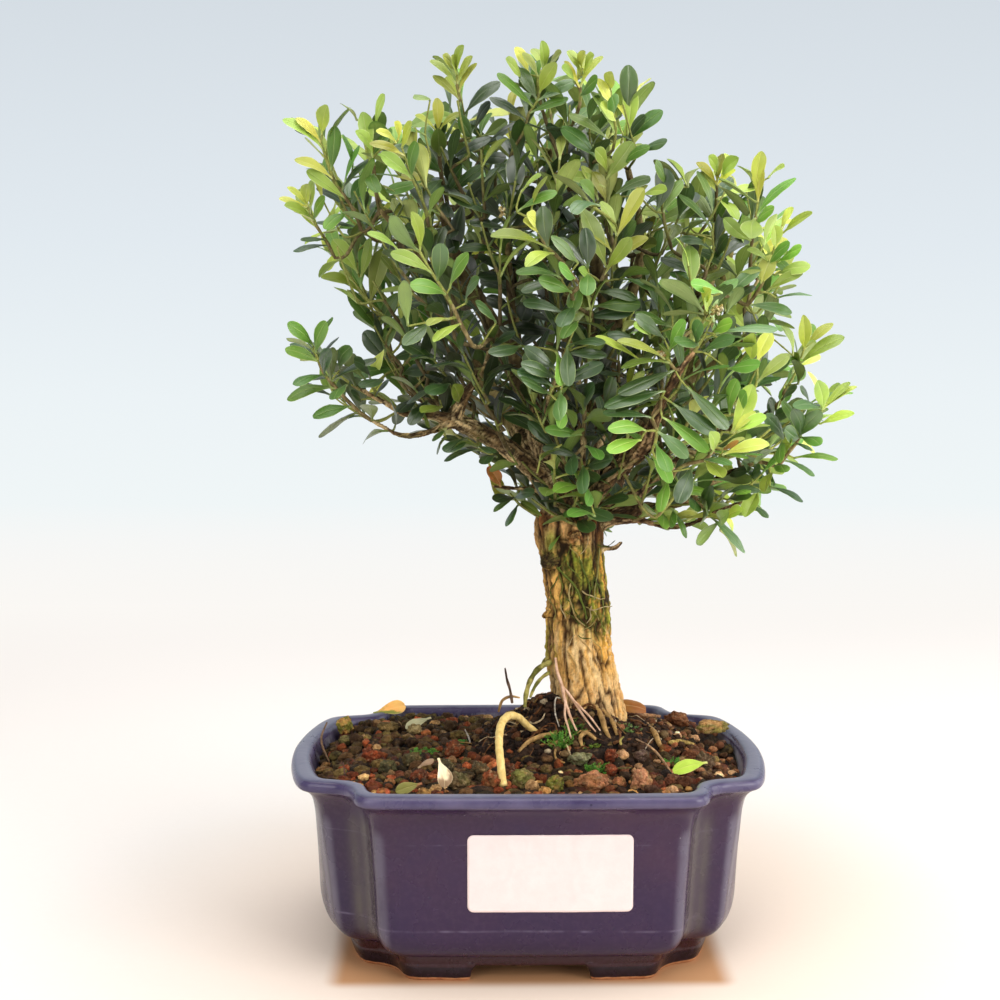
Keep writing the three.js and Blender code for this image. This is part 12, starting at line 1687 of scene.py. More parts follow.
1036,489,3430,1071,385,3599,69,-29,78,54,2,8,0,637,465,3346,820,679,3370,91,-18,1,97,3,8,0,637,465,3346,629,415,3554,69,60,77,17,2,10,1,
690,498,3447,821,404,3621,91,-46,61,63,2,3,1,690,498,3447,711,684,3565,84,26,-57,77,3,7,0,737,526,3552,895,626,3647,76,-43,-16,88,2,10,0,
737,526,3552,754,535,3774,77,-31,-94,6,2,8,1,1252,449,3186,1132,489,3348,98,-25,-43,86,1,4,1,1285,475,3620,1461,466,3696,87,1,-98,10,0,5,1,
1248,392,3369,1402,461,3520,102,-39,-64,65,2,5,1,1315,541,3769,1530,546,3796,93,8,-32,93,1,6,0,1313,462,3475,1188,420,3288,108,-53,-41,73,0,4,1,
1391,407,3694,1436,471,3829,67,-51,-77,35,1,3,0,1339,479,3512,1487,451,3558,66,-65,-24,71,2,7,0,1306,528,3734,1496,650,3902,119,-73,-23,63,2,0,0,
    ]},
    "inner_left": {"twigs": [
-94,337,3062,-1,100,-249,255,3338,-1,108,-285,293,3329,1,108,-304,291,3364,2,65,-322,288,3400,3,57,-338,286,3436,4,57,-353,284,3473,5,57,
-367,281,3511,6,45,-381,279,3548,7,45,-394,278,3586,8,45,-41,332,3077,0,90,9,328,3088,10,90,55,324,3104,11,72,93,318,3131,12,72,99,312,3168,13,72,
105,306,3206,14,72,111,300,3244,15,65,116,295,3282,16,65,120,290,3320,17,57,125,286,3358,18,57,129,281,3396,19,45,134,277,3434,20,45,
138,273,3472,21,45,-70,108,3255,-1,74,-121,102,3228,23,74,-167,96,3204,24,74,-208,76,3193,25,74,-216,42,3212,26,74,-224,9,3233,27,74,
-231,-23,3256,28,68,-239,-54,3280,29,68,-246,-84,3306,30,68,-252,-112,3334,31,65,-259,-140,3362,32,65,-265,-168,3390,33,45,-301,-147,3348,33,57,
-339,-150,3341,35,57,-348,-162,3380,36,57,-358,-174,3419,37,45,-366,-184,3459,38,45,-373,-194,3499,39,45,-380,-203,3539,40,45,-498,26,3507,-1,68,
-491,-32,3484,42,68,-485,-84,3462,43,68,-489,-134,3462,44,68,-507,-144,3497,45,68,-524,-153,3532,46,68,-541,-161,3567,47,61,-557,-170,3603,48,61,
-571,-177,3640,49,57,-585,-185,3677,50,57,-598,-192,3714,51,45,-612,-198,3751,52,45,-624,-205,3788,53,45,-309,343,3327,2,100,-328,392,3323,55,100,
-344,439,3323,56,100,-361,483,3330,57,100,-383,521,3348,58,100,-402,528,3381,59,100,-420,536,3414,60,100,-437,543,3448,61,97,-454,550,3483,62,97,
-469,556,3518,63,57,-483,562,3553,64,57,-497,568,3589,65,45,-511,573,3625,66,45,-525,579,3661,67,45,-130,374,3046,0,65,-163,408,3027,69,65,
-195,440,3009,70,65,-226,472,2995,71,65,-256,504,2989,72,65,-285,537,2996,73,65,-298,554,3032,74,65,-311,571,3069,75,57,-322,586,3107,76,57,
-333,601,3145,77,57,-343,614,3184,78,45,-353,627,3223,79,45,-362,640,3262,80,45,42,377,3091,11,72,64,430,3088,82,72,77,483,3084,83,72,
82,535,3088,84,72,79,583,3106,85,72,57,594,3140,86,72,35,604,3174,87,72,14,615,3209,88,65,-5,625,3244,89,65,-24,634,3281,90,57,-42,642,3318,91,57,
-59,651,3356,92,45,-75,659,3393,93,45,-92,667,3431,94,45,465,448,3052,-1,65,434,498,3061,96,65,405,545,3066,97,65,377,588,3075,98,65,
347,624,3097,99,65,327,629,3130,100,65,308,633,3163,101,65,290,638,3198,102,57,273,642,3233,103,57,257,646,3268,104,57,242,650,3304,105,45,
227,654,3340,106,45,213,657,3376,107,45,-316,223,3456,-1,65,-264,224,3482,109,65,-213,225,3504,110,65,-165,226,3525,111,65,-123,229,3552,112,65,
-91,235,3589,113,65,-94,244,3626,114,65,-97,252,3663,115,57,-99,260,3700,116,57,-101,267,3738,117,57,-104,273,3775,118,45,-106,280,3813,119,45,
-108,286,3851,120,45,-43,348,2972,-1,65,-77,304,2949,122,65,-105,259,2924,123,65,-133,218,2901,124,65,-167,184,2884,125,65,-211,163,2875,126,65,
-243,178,2887,127,65,-275,194,2900,128,65,-307,209,2915,129,57,-337,223,2932,130,57,-367,238,2952,131,57,-395,251,2973,132,45,-423,265,2995,133,45,
-450,278,3017,134,45,-422,559,3524,63,86,-382,567,3554,136,86,-338,574,3578,137,86,-295,579,3601,138,86,-255,584,3628,139,86,-225,589,3663,140,86,
-222,590,3704,141,86,-220,591,3745,142,86,-217,591,3786,143,82,-215,592,3827,144,82,-213,593,3869,145,77,-211,593,3910,146,77,-209,594,3951,147,72,
-207,594,3992,148,45,-205,595,4033,149,45,-262,576,3992,148,65,-280,587,4027,151,65,-298,598,4063,152,65,-315,608,4100,153,57,-331,617,4138,154,57,
-346,626,4176,155,57,-360,634,4214,156,45,-374,642,4253,157,45,-387,650,4291,158,45,
    ], "leaves": [
-298,598,4063,-366,837,4209,94,5,-53,84,2,5,0,-298,598,4063,-376,451,4248,90,14,76,62,2,9,1,-346,626,4176,-190,725,4319,81,-62,-22,74,3,7,0,
-346,626,4176,-618,578,4239,107,29,-13,94,3,4,0,-387,650,4291,-454,737,4444,61,21,-80,55,3,8,0,-387,650,4291,-456,628,4483,71,37,89,24,3,3,1,
-224,9,3233,-419,-56,3404,93,69,-33,63,2,10,1,-265,-168,3390,-358,-231,3539,67,85,-5,51,2,6,0,-524,-153,3532,-644,-4,3684,78,28,-57,76,1,9,0,
-524,-153,3532,-490,-376,3680,88,-18,53,82,1,5,1,-557,-170,3603,-440,-119,3847,93,-82,-32,46,1,5,1,-585,-185,3677,-694,-88,3865,70,16,-80,56,0,4,1,
-585,-185,3677,-606,-388,3829,86,2,56,82,0,9,1,-624,-205,3788,-745,-233,3912,64,71,-5,69,0,9,0,-348,-162,3380,-569,-206,3483,89,42,-6,89,3,6,0,
-348,-162,3380,-149,-206,3583,102,-71,-2,69,3,10,0,105,306,3206,-87,228,3406,94,59,39,70,3,8,0,105,306,3206,357,353,3336,105,-44,-14,88,3,10,0,
116,295,3282,80,417,3472,83,32,-76,54,3,9,1,116,295,3282,173,171,3455,75,-36,69,61,3,6,1,125,286,3358,30,175,3564,83,66,45,59,3,8,0,
125,286,3358,342,406,3501,93,-38,-25,88,3,11,0,138,273,3472,161,346,3626,55,-10,-88,43,2,7,0,138,273,3472,158,167,3658,73,-7,85,49,3,5,0,
-420,536,3414,-396,729,3519,75,-30,-43,84,3,9,0,-420,536,3414,-548,395,3546,81,33,47,81,3,9,0,-454,550,3483,-382,544,3758,104,-96,0,25,3,7,0,
-454,550,3483,-693,625,3608,91,45,-3,88,3,10,0,-483,562,3553,-479,822,3637,88,-37,-23,89,3,7,0,-483,562,3553,-591,468,3759,79,22,81,52,3,11,0,
-525,579,3661,-520,574,3890,72,-86,50,2,2,8,0,-525,579,3661,-631,624,3803,58,75,-17,62,2,6,0,-94,244,3626,34,86,3834,101,-46,49,73,3,8,1,
-94,244,3626,-211,430,3800,95,35,-47,80,3,9,0,-101,267,3738,-260,187,3934,95,48,59,63,3,7,1,-101,267,3738,58,430,3888,98,-52,-23,81,3,9,0,
-108,286,3851,-50,241,4049,67,-82,44,34,3,11,0,-108,286,3851,-143,343,4015,63,58,-71,37,2,10,1,-275,194,2900,-338,434,2841,86,-48,7,86,3,9,0,
-275,194,2900,-443,125,3058,87,24,77,58,3,6,0,-367,238,2952,-402,489,3027,98,-50,-33,79,3,8,0,-367,238,2952,-564,87,3015,82,-15,58,79,3,6,1,
-450,278,3017,-553,408,3086,62,-2,-47,87,2,6,0,-450,278,3017,-587,277,3129,63,54,50,66,3,9,0,-220,591,3745,-128,797,3860,86,-19,-42,87,3,6,0,
-220,591,3745,-300,382,3894,84,28,49,81,3,7,1,-215,592,3827,-33,534,4046,104,-71,23,65,3,3,0,-215,592,3827,-372,655,4038,93,69,-36,61,3,6,0,
-211,593,3910,-170,748,4108,81,-15,-73,65,3,6,0,-211,593,3910,-245,399,4028,78,19,43,87,3,6,0,-205,595,4033,-138,593,4206,59,-91,15,35,3,10,0,
-205,595,4033,-304,607,4232,82,88,-11,44,3,6,0,35,604,3174,-96,819,3269,90,-2,-42,90,3,9,0,35,604,3174,27,417,3386,97,5,75,65,3,6,0,
-5,625,3244,113,702,3438,80,-77,-25,57,3,11,0,-5,625,3244,-273,618,3291,99,17,-7,97,3,3,0,-42,642,3318,-66,848,3470,76,-14,-56,81,3,3,0,
-42,642,3318,-191,487,3524,104,38,54,74,3,8,1,-92,667,3431,-90,690,3642,69,-32,-93,10,2,7,1,-92,667,3431,-267,730,3563,72,60,0,79,2,10,0,
-304,291,3364,-317,414,3618,87,-23,-85,44,3,6,1,-304,291,3364,-451,136,3482,73,4,52,84,3,10,1,-353,284,3473,-294,208,3683,77,-53,73,41,3,9,1,
-353,284,3473,-570,346,3580,88,40,-11,90,3,5,0,-394,278,3586,-437,336,3765,65,-6,-94,30,3,3,0,-394,278,3586,-474,224,3742,57,17,89,39,2,3,0,
308,633,3163,239,864,3289,103,-6,-51,85,2,8,0,308,633,3163,252,456,3313,81,10,64,75,3,10,0,257,646,3268,371,701,3485,88,-80,-35,46,2,9,0,
257,646,3268,-2,619,3333,94,29,-7,94,3,9,0,213,657,3376,158,745,3560,77,0,-89,42,2,5,0,213,657,3376,96,572,3556,73,41,68,59,2,11,0,
-298,554,3032,-264,785,3201,98,-38,-46,79,3,9,1,-298,554,3032,-451,412,3233,90,49,43,75,3,9,1,-333,601,3145,-192,658,3386,94,-83,-12,52,3,10,0,
-333,601,3145,-560,673,3265,92,49,14,85,3,4,0,-362,640,3262,-349,775,3446,81,-36,-73,57,2,3,1,-362,640,3262,-457,645,3426,63,74,50,42,3,6,1,
-434,545,3443,-368,587,3319,70,37,-58,71,0,4,1,-206,593,3906,-43,573,3764,105,-85,22,-46,1,0,0,-168,228,3520,-256,269,3387,80,-54,-31,77,1,1,0,
-355,636,4212,-202,698,4147,85,-20,-50,83,2,0,0,
    ]},
    "inner_right": {"twigs": [
927,418,2554,-1,91,935,378,2498,0,91,970,385,2504,1,91,1006,392,2512,2,79,1040,399,2523,3,79,1074,406,2537,4,79,1106,412,2554,5,65,1138,419,2571,6,65,
755,596,2753,-1,57,785,569,2729,8,57,816,550,2720,9,57,823,566,2758,10,57,830,580,2796,11,45,836,593,2834,12,45,841,604,2873,13,45,847,615,2913,14,45,
539,626,2467,-1,91,557,648,2428,16,91,573,675,2398,17,91,584,714,2397,18,91,596,752,2397,19,91,607,791,2399,20,91,619,829,2403,21,91,
630,868,2410,22,72,641,905,2419,23,72,652,942,2430,24,72,663,979,2442,25,45,674,1016,2456,26,45,645,834,2369,22,90,671,839,2343,28,72,
683,868,2365,29,72,694,896,2387,30,72,705,924,2411,31,65,715,950,2436,32,65,725,975,2463,33,57,735,999,2491,34,57,744,1023,2519,35,45,
753,1046,2548,36,45,762,1068,2577,37,45,607,959,2417,25,57,601,982,2452,39,57,596,1004,2487,40,45,592,1023,2524,41,45,587,1042,2561,42,45,
583,1059,2599,43,45,579,1076,2637,44,45,711,810,2654,-1,57,700,852,2621,46,57,696,895,2601,47,57,712,923,2625,48,57,728,949,2651,49,45,
743,974,2678,50,45,757,998,2708,51,45,770,1020,2738,52,45,783,1042,2770,53,45,671,804,2347,28,72,701,784,2336,55,72,723,814,2346,56,72,
746,843,2357,57,72,768,872,2370,58,65,789,900,2385,59,65,810,928,2402,60,57,830,954,2420,61,57,850,980,2441,62,57,869,1006,2462,63,45,
889,1032,2483,64,45,1079,452,2543,5,61,1073,497,2543,66,61,1082,536,2540,67,61,1120,536,2532,68,61,1157,536,2525,69,61,1195,536,2519,70,52,
1233,537,2516,71,52,1271,537,2515,72,52,1309,537,2515,73,36,1347,537,2519,74,36,1384,538,2524,75,36,1422,538,2529,76,36,1119,352,2632,-1,91,
1095,302,2670,78,91,1079,270,2714,79,91,1088,291,2744,80,91,1098,311,2774,81,91,1107,331,2805,82,74,1115,350,2837,83,74,1123,367,2870,84,68,
1131,384,2903,85,57,1138,400,2936,86,45,1146,415,2970,87,45,1153,431,3004,88,45,1373,600,2643,-1,57,1389,558,2628,90,57,1404,520,2614,91,57,
1429,490,2610,92,57,1463,493,2627,93,57,1497,496,2644,94,57,1530,498,2663,95,52,1562,501,2684,96,52,1593,503,2707,97,36,1623,506,2731,98,36,
1651,508,2756,99,36,1680,511,2782,100,36,1708,513,2808,101,36,997,408,2464,2,91,1009,428,2418,103,91,1020,450,2374,104,91,1043,476,2343,105,84,
1075,496,2349,106,74,1106,516,2356,107,74,1137,536,2365,108,72,1168,556,2375,109,72,1198,575,2387,110,72,1228,594,2402,111,65,1257,613,2417,112,65,
1286,631,2434,113,36,1314,650,2453,114,36,1342,668,2471,115,36,1010,522,2322,106,57,992,565,2306,117,57,1031,564,2302,118,57,1071,564,2301,119,45,
1110,563,2303,120,45,1149,563,2309,121,45,1187,562,2317,122,45,1225,561,2328,123,45,1028,427,2329,105,68,1035,396,2290,125,68,1054,386,2255,126,68,
1075,422,2258,127,68,1096,458,2263,128,68,1118,494,2269,129,61,1139,529,2278,130,61,1159,563,2289,131,52,1180,598,2303,132,52,1200,631,2319,133,52,
1219,664,2335,134,36,1239,697,2353,135,36,895,333,2520,1,57,856,305,2557,137,57,838,285,2605,138,57,869,295,2635,139,57,898,304,2666,140,45,
924,312,2699,141,45,949,320,2734,142,45,972,327,2770,143,45,1237,627,2450,113,61,1222,641,2480,145,61,1254,659,2492,146,61,1285,678,2506,147,61,
1316,696,2522,148,52,1346,713,2539,149,52,1374,730,2559,150,52,1402,747,2581,151,45,1429,763,2604,152,45,1456,778,2627,153,45,1144,411,2861,85,52,
1162,451,2840,155,52,1191,483,2829,156,52,1227,483,2847,157,52,1262,484,2867,158,52,1295,484,2890,159,45,1327,485,2915,160,45,1358,485,2941,161,36,
1387,485,2968,162,36,1416,486,2996,163,36,1193,416,2550,7,61,1240,410,2519,165,61,1290,408,2502,166,61,1325,415,2520,167,61,1360,422,2539,168,61,
1394,428,2559,169,52,1427,435,2581,170,52,1459,441,2606,171,52,1489,447,2632,172,45,1519,452,2659,173,45,1548,458,2686,174,45,611,666,2365,18,88,
648,643,2337,176,88,684,618,2313,177,88,720,603,2291,178,88,757,607,2270,179,88,767,646,2270,180,65,777,684,2272,181,65,787,722,2276,182,57,
796,760,2283,183,57,806,797,2293,184,45,815,833,2305,185,45,825,869,2319,186,45,798,577,2263,180,74,831,542,2261,188,74,868,515,2254,189,74,
903,513,2238,190,52,938,512,2224,191,52,975,510,2213,192,36,1013,508,2204,193,36,1051,507,2199,194,36,1089,505,2197,195,36,883,539,2221,190,65,
901,574,2222,197,65,919,610,2223,198,65,937,645,2227,199,57,954,679,2233,200,57,972,714,2242,201,57,989,748,2254,202,45,1006,781,2267,203,45,
1023,814,2280,204,45,405,302,2962,-1,84,462,289,2958,206,84,514,273,2952,207,84,564,263,2950,208,84,610,267,2962,209,72,622,294,2990,210,72,
633,321,3019,211,72,644,346,3049,212,65,655,370,3080,213,65,664,393,3112,214,57,674,415,3145,215,57,683,436,3178,216,45,692,456,3212,217,45,
701,477,3246,218,45,608,263,2917,209,61,644,266,2875,220,61,680,269,2842,221,61,721,265,2834,222,61,721,258,2874,223,61,721,251,2915,224,61,
721,244,2955,225,52,721,238,2996,226,52,721,232,3036,227,52,721,227,3077,228,36,721,221,3117,229,36,721,216,3158,230,36,1091,293,2819,82,74,
1077,266,2855,232,74,1064,235,2886,233,74,1055,204,2917,234,74,1058,177,2951,235,74,1086,163,2976,236,57,1113,150,3003,237,57,1139,137,3031,238,52,
1163,125,3061,239,52,1187,113,3092,240,52,1209,102,3124,241,36,1230,92,3156,242,36,1252,81,3188,243,36,1058,118,2951,236,61,1057,64,2939,245,61,
1077,19,2930,246,61,1115,21,2934,247,61,1153,23,2940,248,61,1191,25,2949,249,52,1228,27,2960,250,52,1264,29,2974,251,45,1300,31,2990,252,45,
1334,33,3007,253,45,
    ], "leaves": [
746,843,2357,974,854,2492,85,-50,18,83,1,8,0,746,843,2357,697,1110,2381,85,30,-3,94,1,7,0,789,900,2385,949,937,2613,95,-60,73,31,1,4,0,
789,900,2385,857,1145,2316,89,42,16,88,1,5,0,850,980,2441,1073,982,2545,84,-43,28,85,0,4,0,850,980,2441,802,1210,2544,93,37,-34,85,0,4,0,
889,1032,2483,1013,1088,2566,56,-61,26,74,0,6,0,889,1032,2483,933,1180,2514,56,32,-28,90,0,6,0,712,923,2625,908,932,2805,92,-64,25,71,3,11,0,
712,923,2625,670,1161,2739,84,43,-30,84,3,4,0,783,1042,2770,804,1106,2947,67,36,-88,28,3,7,0,783,1042,2770,889,1190,2888,75,-33,-43,83,3,6,0,
596,752,2397,824,831,2410,74,-15,31,93,2,10,0,596,752,2397,429,994,2440,94,53,24,80,2,4,0,619,829,2403,797,960,2517,84,-67,48,55,3,8,0,
619,829,2403,566,1050,2343,70,22,34,91,2,5,0,652,942,2430,880,1025,2399,78,-18,65,73,2,8,0,652,942,2430,513,1074,2531,73,61,1,78,2,9,0,
674,1016,2456,787,1178,2552,77,-80,23,54,2,4,0,674,1016,2456,642,1204,2419,71,13,21,96,2,6,0,1285,678,2506,1447,559,2611,84,-6,63,77,3,9,0,
1285,678,2506,1319,930,2566,95,57,-27,76,3,5,0,1374,730,2559,1534,600,2767,100,11,88,44,3,4,0,1456,778,2627,1644,778,2762,82,-35,79,49,3,10,0,
1456,778,2627,1544,929,2719,69,15,-57,79,2,8,0,938,512,2224,1110,336,2265,92,45,60,64,3,11,0,938,512,2224,1085,703,2202,85,47,-28,82,2,11,0,
1089,505,2197,1263,439,2186,59,31,73,59,2,7,0,1096,458,2263,1353,542,2193,93,13,39,90,2,6,0,1096,458,2263,981,643,2416,93,72,-9,67,3,6,0,
1139,529,2278,1364,604,2364,78,-42,34,83,2,10,0,1139,529,2278,1080,758,2278,75,33,12,93,3,5,0,1200,631,2319,1424,657,2295,81,-7,74,65,2,9,0,
1200,631,2319,1055,816,2475,94,60,-21,76,2,6,0,1239,697,2353,1276,862,2417,67,22,-39,88,2,7,0,777,684,2272,976,796,2352,90,-57,53,61,2,4,0,
777,684,2272,638,925,2268,103,49,27,81,2,7,0,796,760,2283,1026,893,2439,104,-57,3,81,2,3,0,796,760,2283,639,998,2194,97,-2,36,92,2,8,0,
825,869,2319,919,1041,2383,64,-84,30,43,2,5,0,825,869,2319,783,1069,2335,64,51,4,85,2,10,0,1157,536,2525,1355,418,2694,88,-13,73,65,3,9,1,
1157,536,2525,1375,648,2398,98,54,-9,82,3,7,0,1271,537,2515,1430,435,2720,104,-17,81,55,3,9,1,1271,537,2515,1443,638,2323,107,70,1,70,3,8,0,
1347,537,2519,1547,398,2678,98,5,78,61,3,10,0,1360,422,2539,1502,294,2741,95,2,85,50,2,11,0,1360,422,2539,1521,662,2494,94,42,-14,89,3,6,0,
1459,441,2606,1500,271,2840,108,11,82,55,3,9,1,1548,458,2686,1686,405,2776,62,-20,67,70,2,10,0,1548,458,2686,1698,569,2786,71,-6,-62,77,2,10,0,
919,610,2223,1151,615,2260,84,-12,75,64,3,11,0,919,610,2223,788,853,2239,93,34,12,92,3,6,0,972,714,2242,1215,823,2348,102,-51,38,76,2,4,0,
972,714,2242,893,927,2203,82,51,32,78,3,11,0,1023,814,2280,1160,916,2298,60,-34,30,88,2,3,0,1023,814,2280,1007,1026,2339,80,49,-19,84,2,4,0,
1262,484,2867,1305,350,3050,83,19,82,52,6,6,0,1327,485,2915,1325,508,3216,109,65,-74,7,3,5,0,1416,486,2996,1589,552,3054,65,-17,-35,91,2,8,0,
601,982,2452,599,1250,2572,95,4,-38,91,2,6,0,601,982,2452,553,836,2702,94,17,81,55,3,6,0,579,1076,2637,672,1159,2834,80,-79,-32,51,2,8,0,
579,1076,2637,468,1175,2810,71,73,-25,61,2,6,0,1497,496,2644,1704,704,2710,96,7,-36,92,3,8,0,1562,501,2684,1641,330,2810,82,29,63,71,3,7,0,
1562,501,2684,1735,725,2698,95,35,-30,88,3,8,0,1708,513,2808,1867,585,2866,65,-15,-39,90,2,5,0,1106,516,2356,1111,755,2442,84,74,-20,62,2,3,0,
1198,575,2387,1381,500,2569,89,-17,84,50,3,4,1,1198,575,2387,1289,774,2346,82,22,7,96,3,4,0,1342,668,2471,1428,849,2537,74,36,-46,80,2,6,0,
694,896,2387,894,895,2565,90,-62,34,70,3,6,0,694,896,2387,625,1134,2489,90,42,-25,86,3,8,0,715,950,2436,721,943,2681,88,-4,99,4,3,4,1,
715,950,2436,787,1153,2365,77,-12,38,91,3,4,0,735,999,2491,930,1004,2682,96,-57,51,63,3,9,0,735,999,2491,598,1248,2574,96,57,10,81,3,10,0,
762,1068,2577,807,1136,2787,77,-89,-32,29,2,9,0,762,1068,2577,813,1247,2655,73,-1,-39,91,3,7,0,1031,564,2302,1215,352,2350,93,37,47,79,2,3,1,
1031,564,2302,1238,749,2368,87,52,-70,48,2,9,0,1225,561,2328,1375,489,2337,54,14,40,89,1,7,0,1225,561,2328,1409,618,2336,71,9,-41,90,1,6,0,
1113,150,3003,1048,92,3229,83,64,67,34,3,6,0,1187,113,3092,1203,196,3311,80,-5,-93,32,3,9,1,1252,81,3188,1289,-38,3384,80,36,82,43,6,5,1,
1153,23,2940,1351,-138,3041,93,26,73,62,3,5,0,1153,23,2940,1253,210,2973,73,38,-38,83,3,7,0,1228,27,2960,1357,230,2942,85,61,-28,73,3,3,0,
1334,33,3007,1484,134,3047,67,10,-49,86,2,10,0,1115,350,2837,1164,581,2873,78,-2,-14,98,6,6,0,1131,384,2903,1005,502,3135,102,78,-21,57,3,11,0,
1153,431,3004,1192,422,3188,59,-72,66,19,2,5,0,1153,431,3004,1192,593,3120,72,19,-60,77,2,11,0,970,385,2504,1151,248,2639,80,20,78,58,3,6,1,
970,385,2504,1135,576,2481,75,36,-16,91,3,6,0,1138,419,2571,1328,528,2590,69,8,-31,94,3,7,0,721,251,2915,525,416,3028,102,50,-7,85,3,5,0,
721,232,3036,806,367,3251,87,-49,-66,55,3,4,0,721,232,3036,624,36,3101,79,23,28,92,3,10,0,721,216,3158,677,231,3365,77,84,-49,21,3,5,0,
869,295,2635,1094,332,2618,77,10,-11,98,3,5,0,869,295,2635,864,327,2932,94,65,-74,10,2,5,1,972,327,2770,1109,311,2923,65,-68,34,64,2,6,0,
972,327,2770,1037,434,2947,77,8,-86,49,2,9,0,823,566,2758,985,717,2860,80,-30,-29,90,3,6,0,823,566,2758,694,498,2931,79,53,56,62,3,10,0,
847,615,2913,903,778,3047,71,-24,-56,78,2,10,0,633,321,3019,869,414,3164,104,-57,21,78,3,6,0,633,321,3019,479,465,3210,95,64,-26,71,3,6,0,
655,370,3080,730,302,3358,97,-48,80,33,3,10,0,655,370,3080,676,581,3163,73,-6,-35,92,3,4,0,674,415,3145,866,436,3280,72,-52,28,79,3,4,0,
674,415,3145,569,586,3296,86,65,-17,73,3,8,0,701,477,3246,741,487,3447,64,-95,-17,20,3,9,0,701,477,3246,748,635,3352,71,-7,-53,83,2,6,0,
1158,432,3007,1299,461,3085,83,3,-51,85,2,-1,0,1243,629,2449,1510,737,2403,132,36,-64,66,1,1,1,1055,508,2195,1250,561,1984,121,57,-27,76,2,-1,0,
1462,780,2625,1730,850,2500,137,10,-48,86,0,3,1,1265,539,2513,1105,601,2476,81,-29,-61,72,0,4,0,1262,615,2415,1512,713,2272,126,-79,-49,-34,2,6,1,
1033,429,2325,1183,477,2226,82,-11,-43,88,1,0,0,1315,536,2515,1474,514,2507,80,65,-26,70,0,0,0,1093,506,2192,1192,543,2069,70,65,-53,53,1,7,0,
1427,538,2526,1560,543,2421,74,5,-36,92,1,5,0,1683,511,2786,1778,536,2910,78,-51,-43,73,1,0,1,1461,492,2632,1390,465,2823,101,-94,-10,28,2,4,0,
677,267,2837,587,221,2695,81,-63,2,76,2,2,0,1290,633,2431,1428,674,2329,80,-19,-47,85,2,1,0,1288,633,2429,1387,710,2197,134,66,-56,48,2,1,0,
    ]},
}


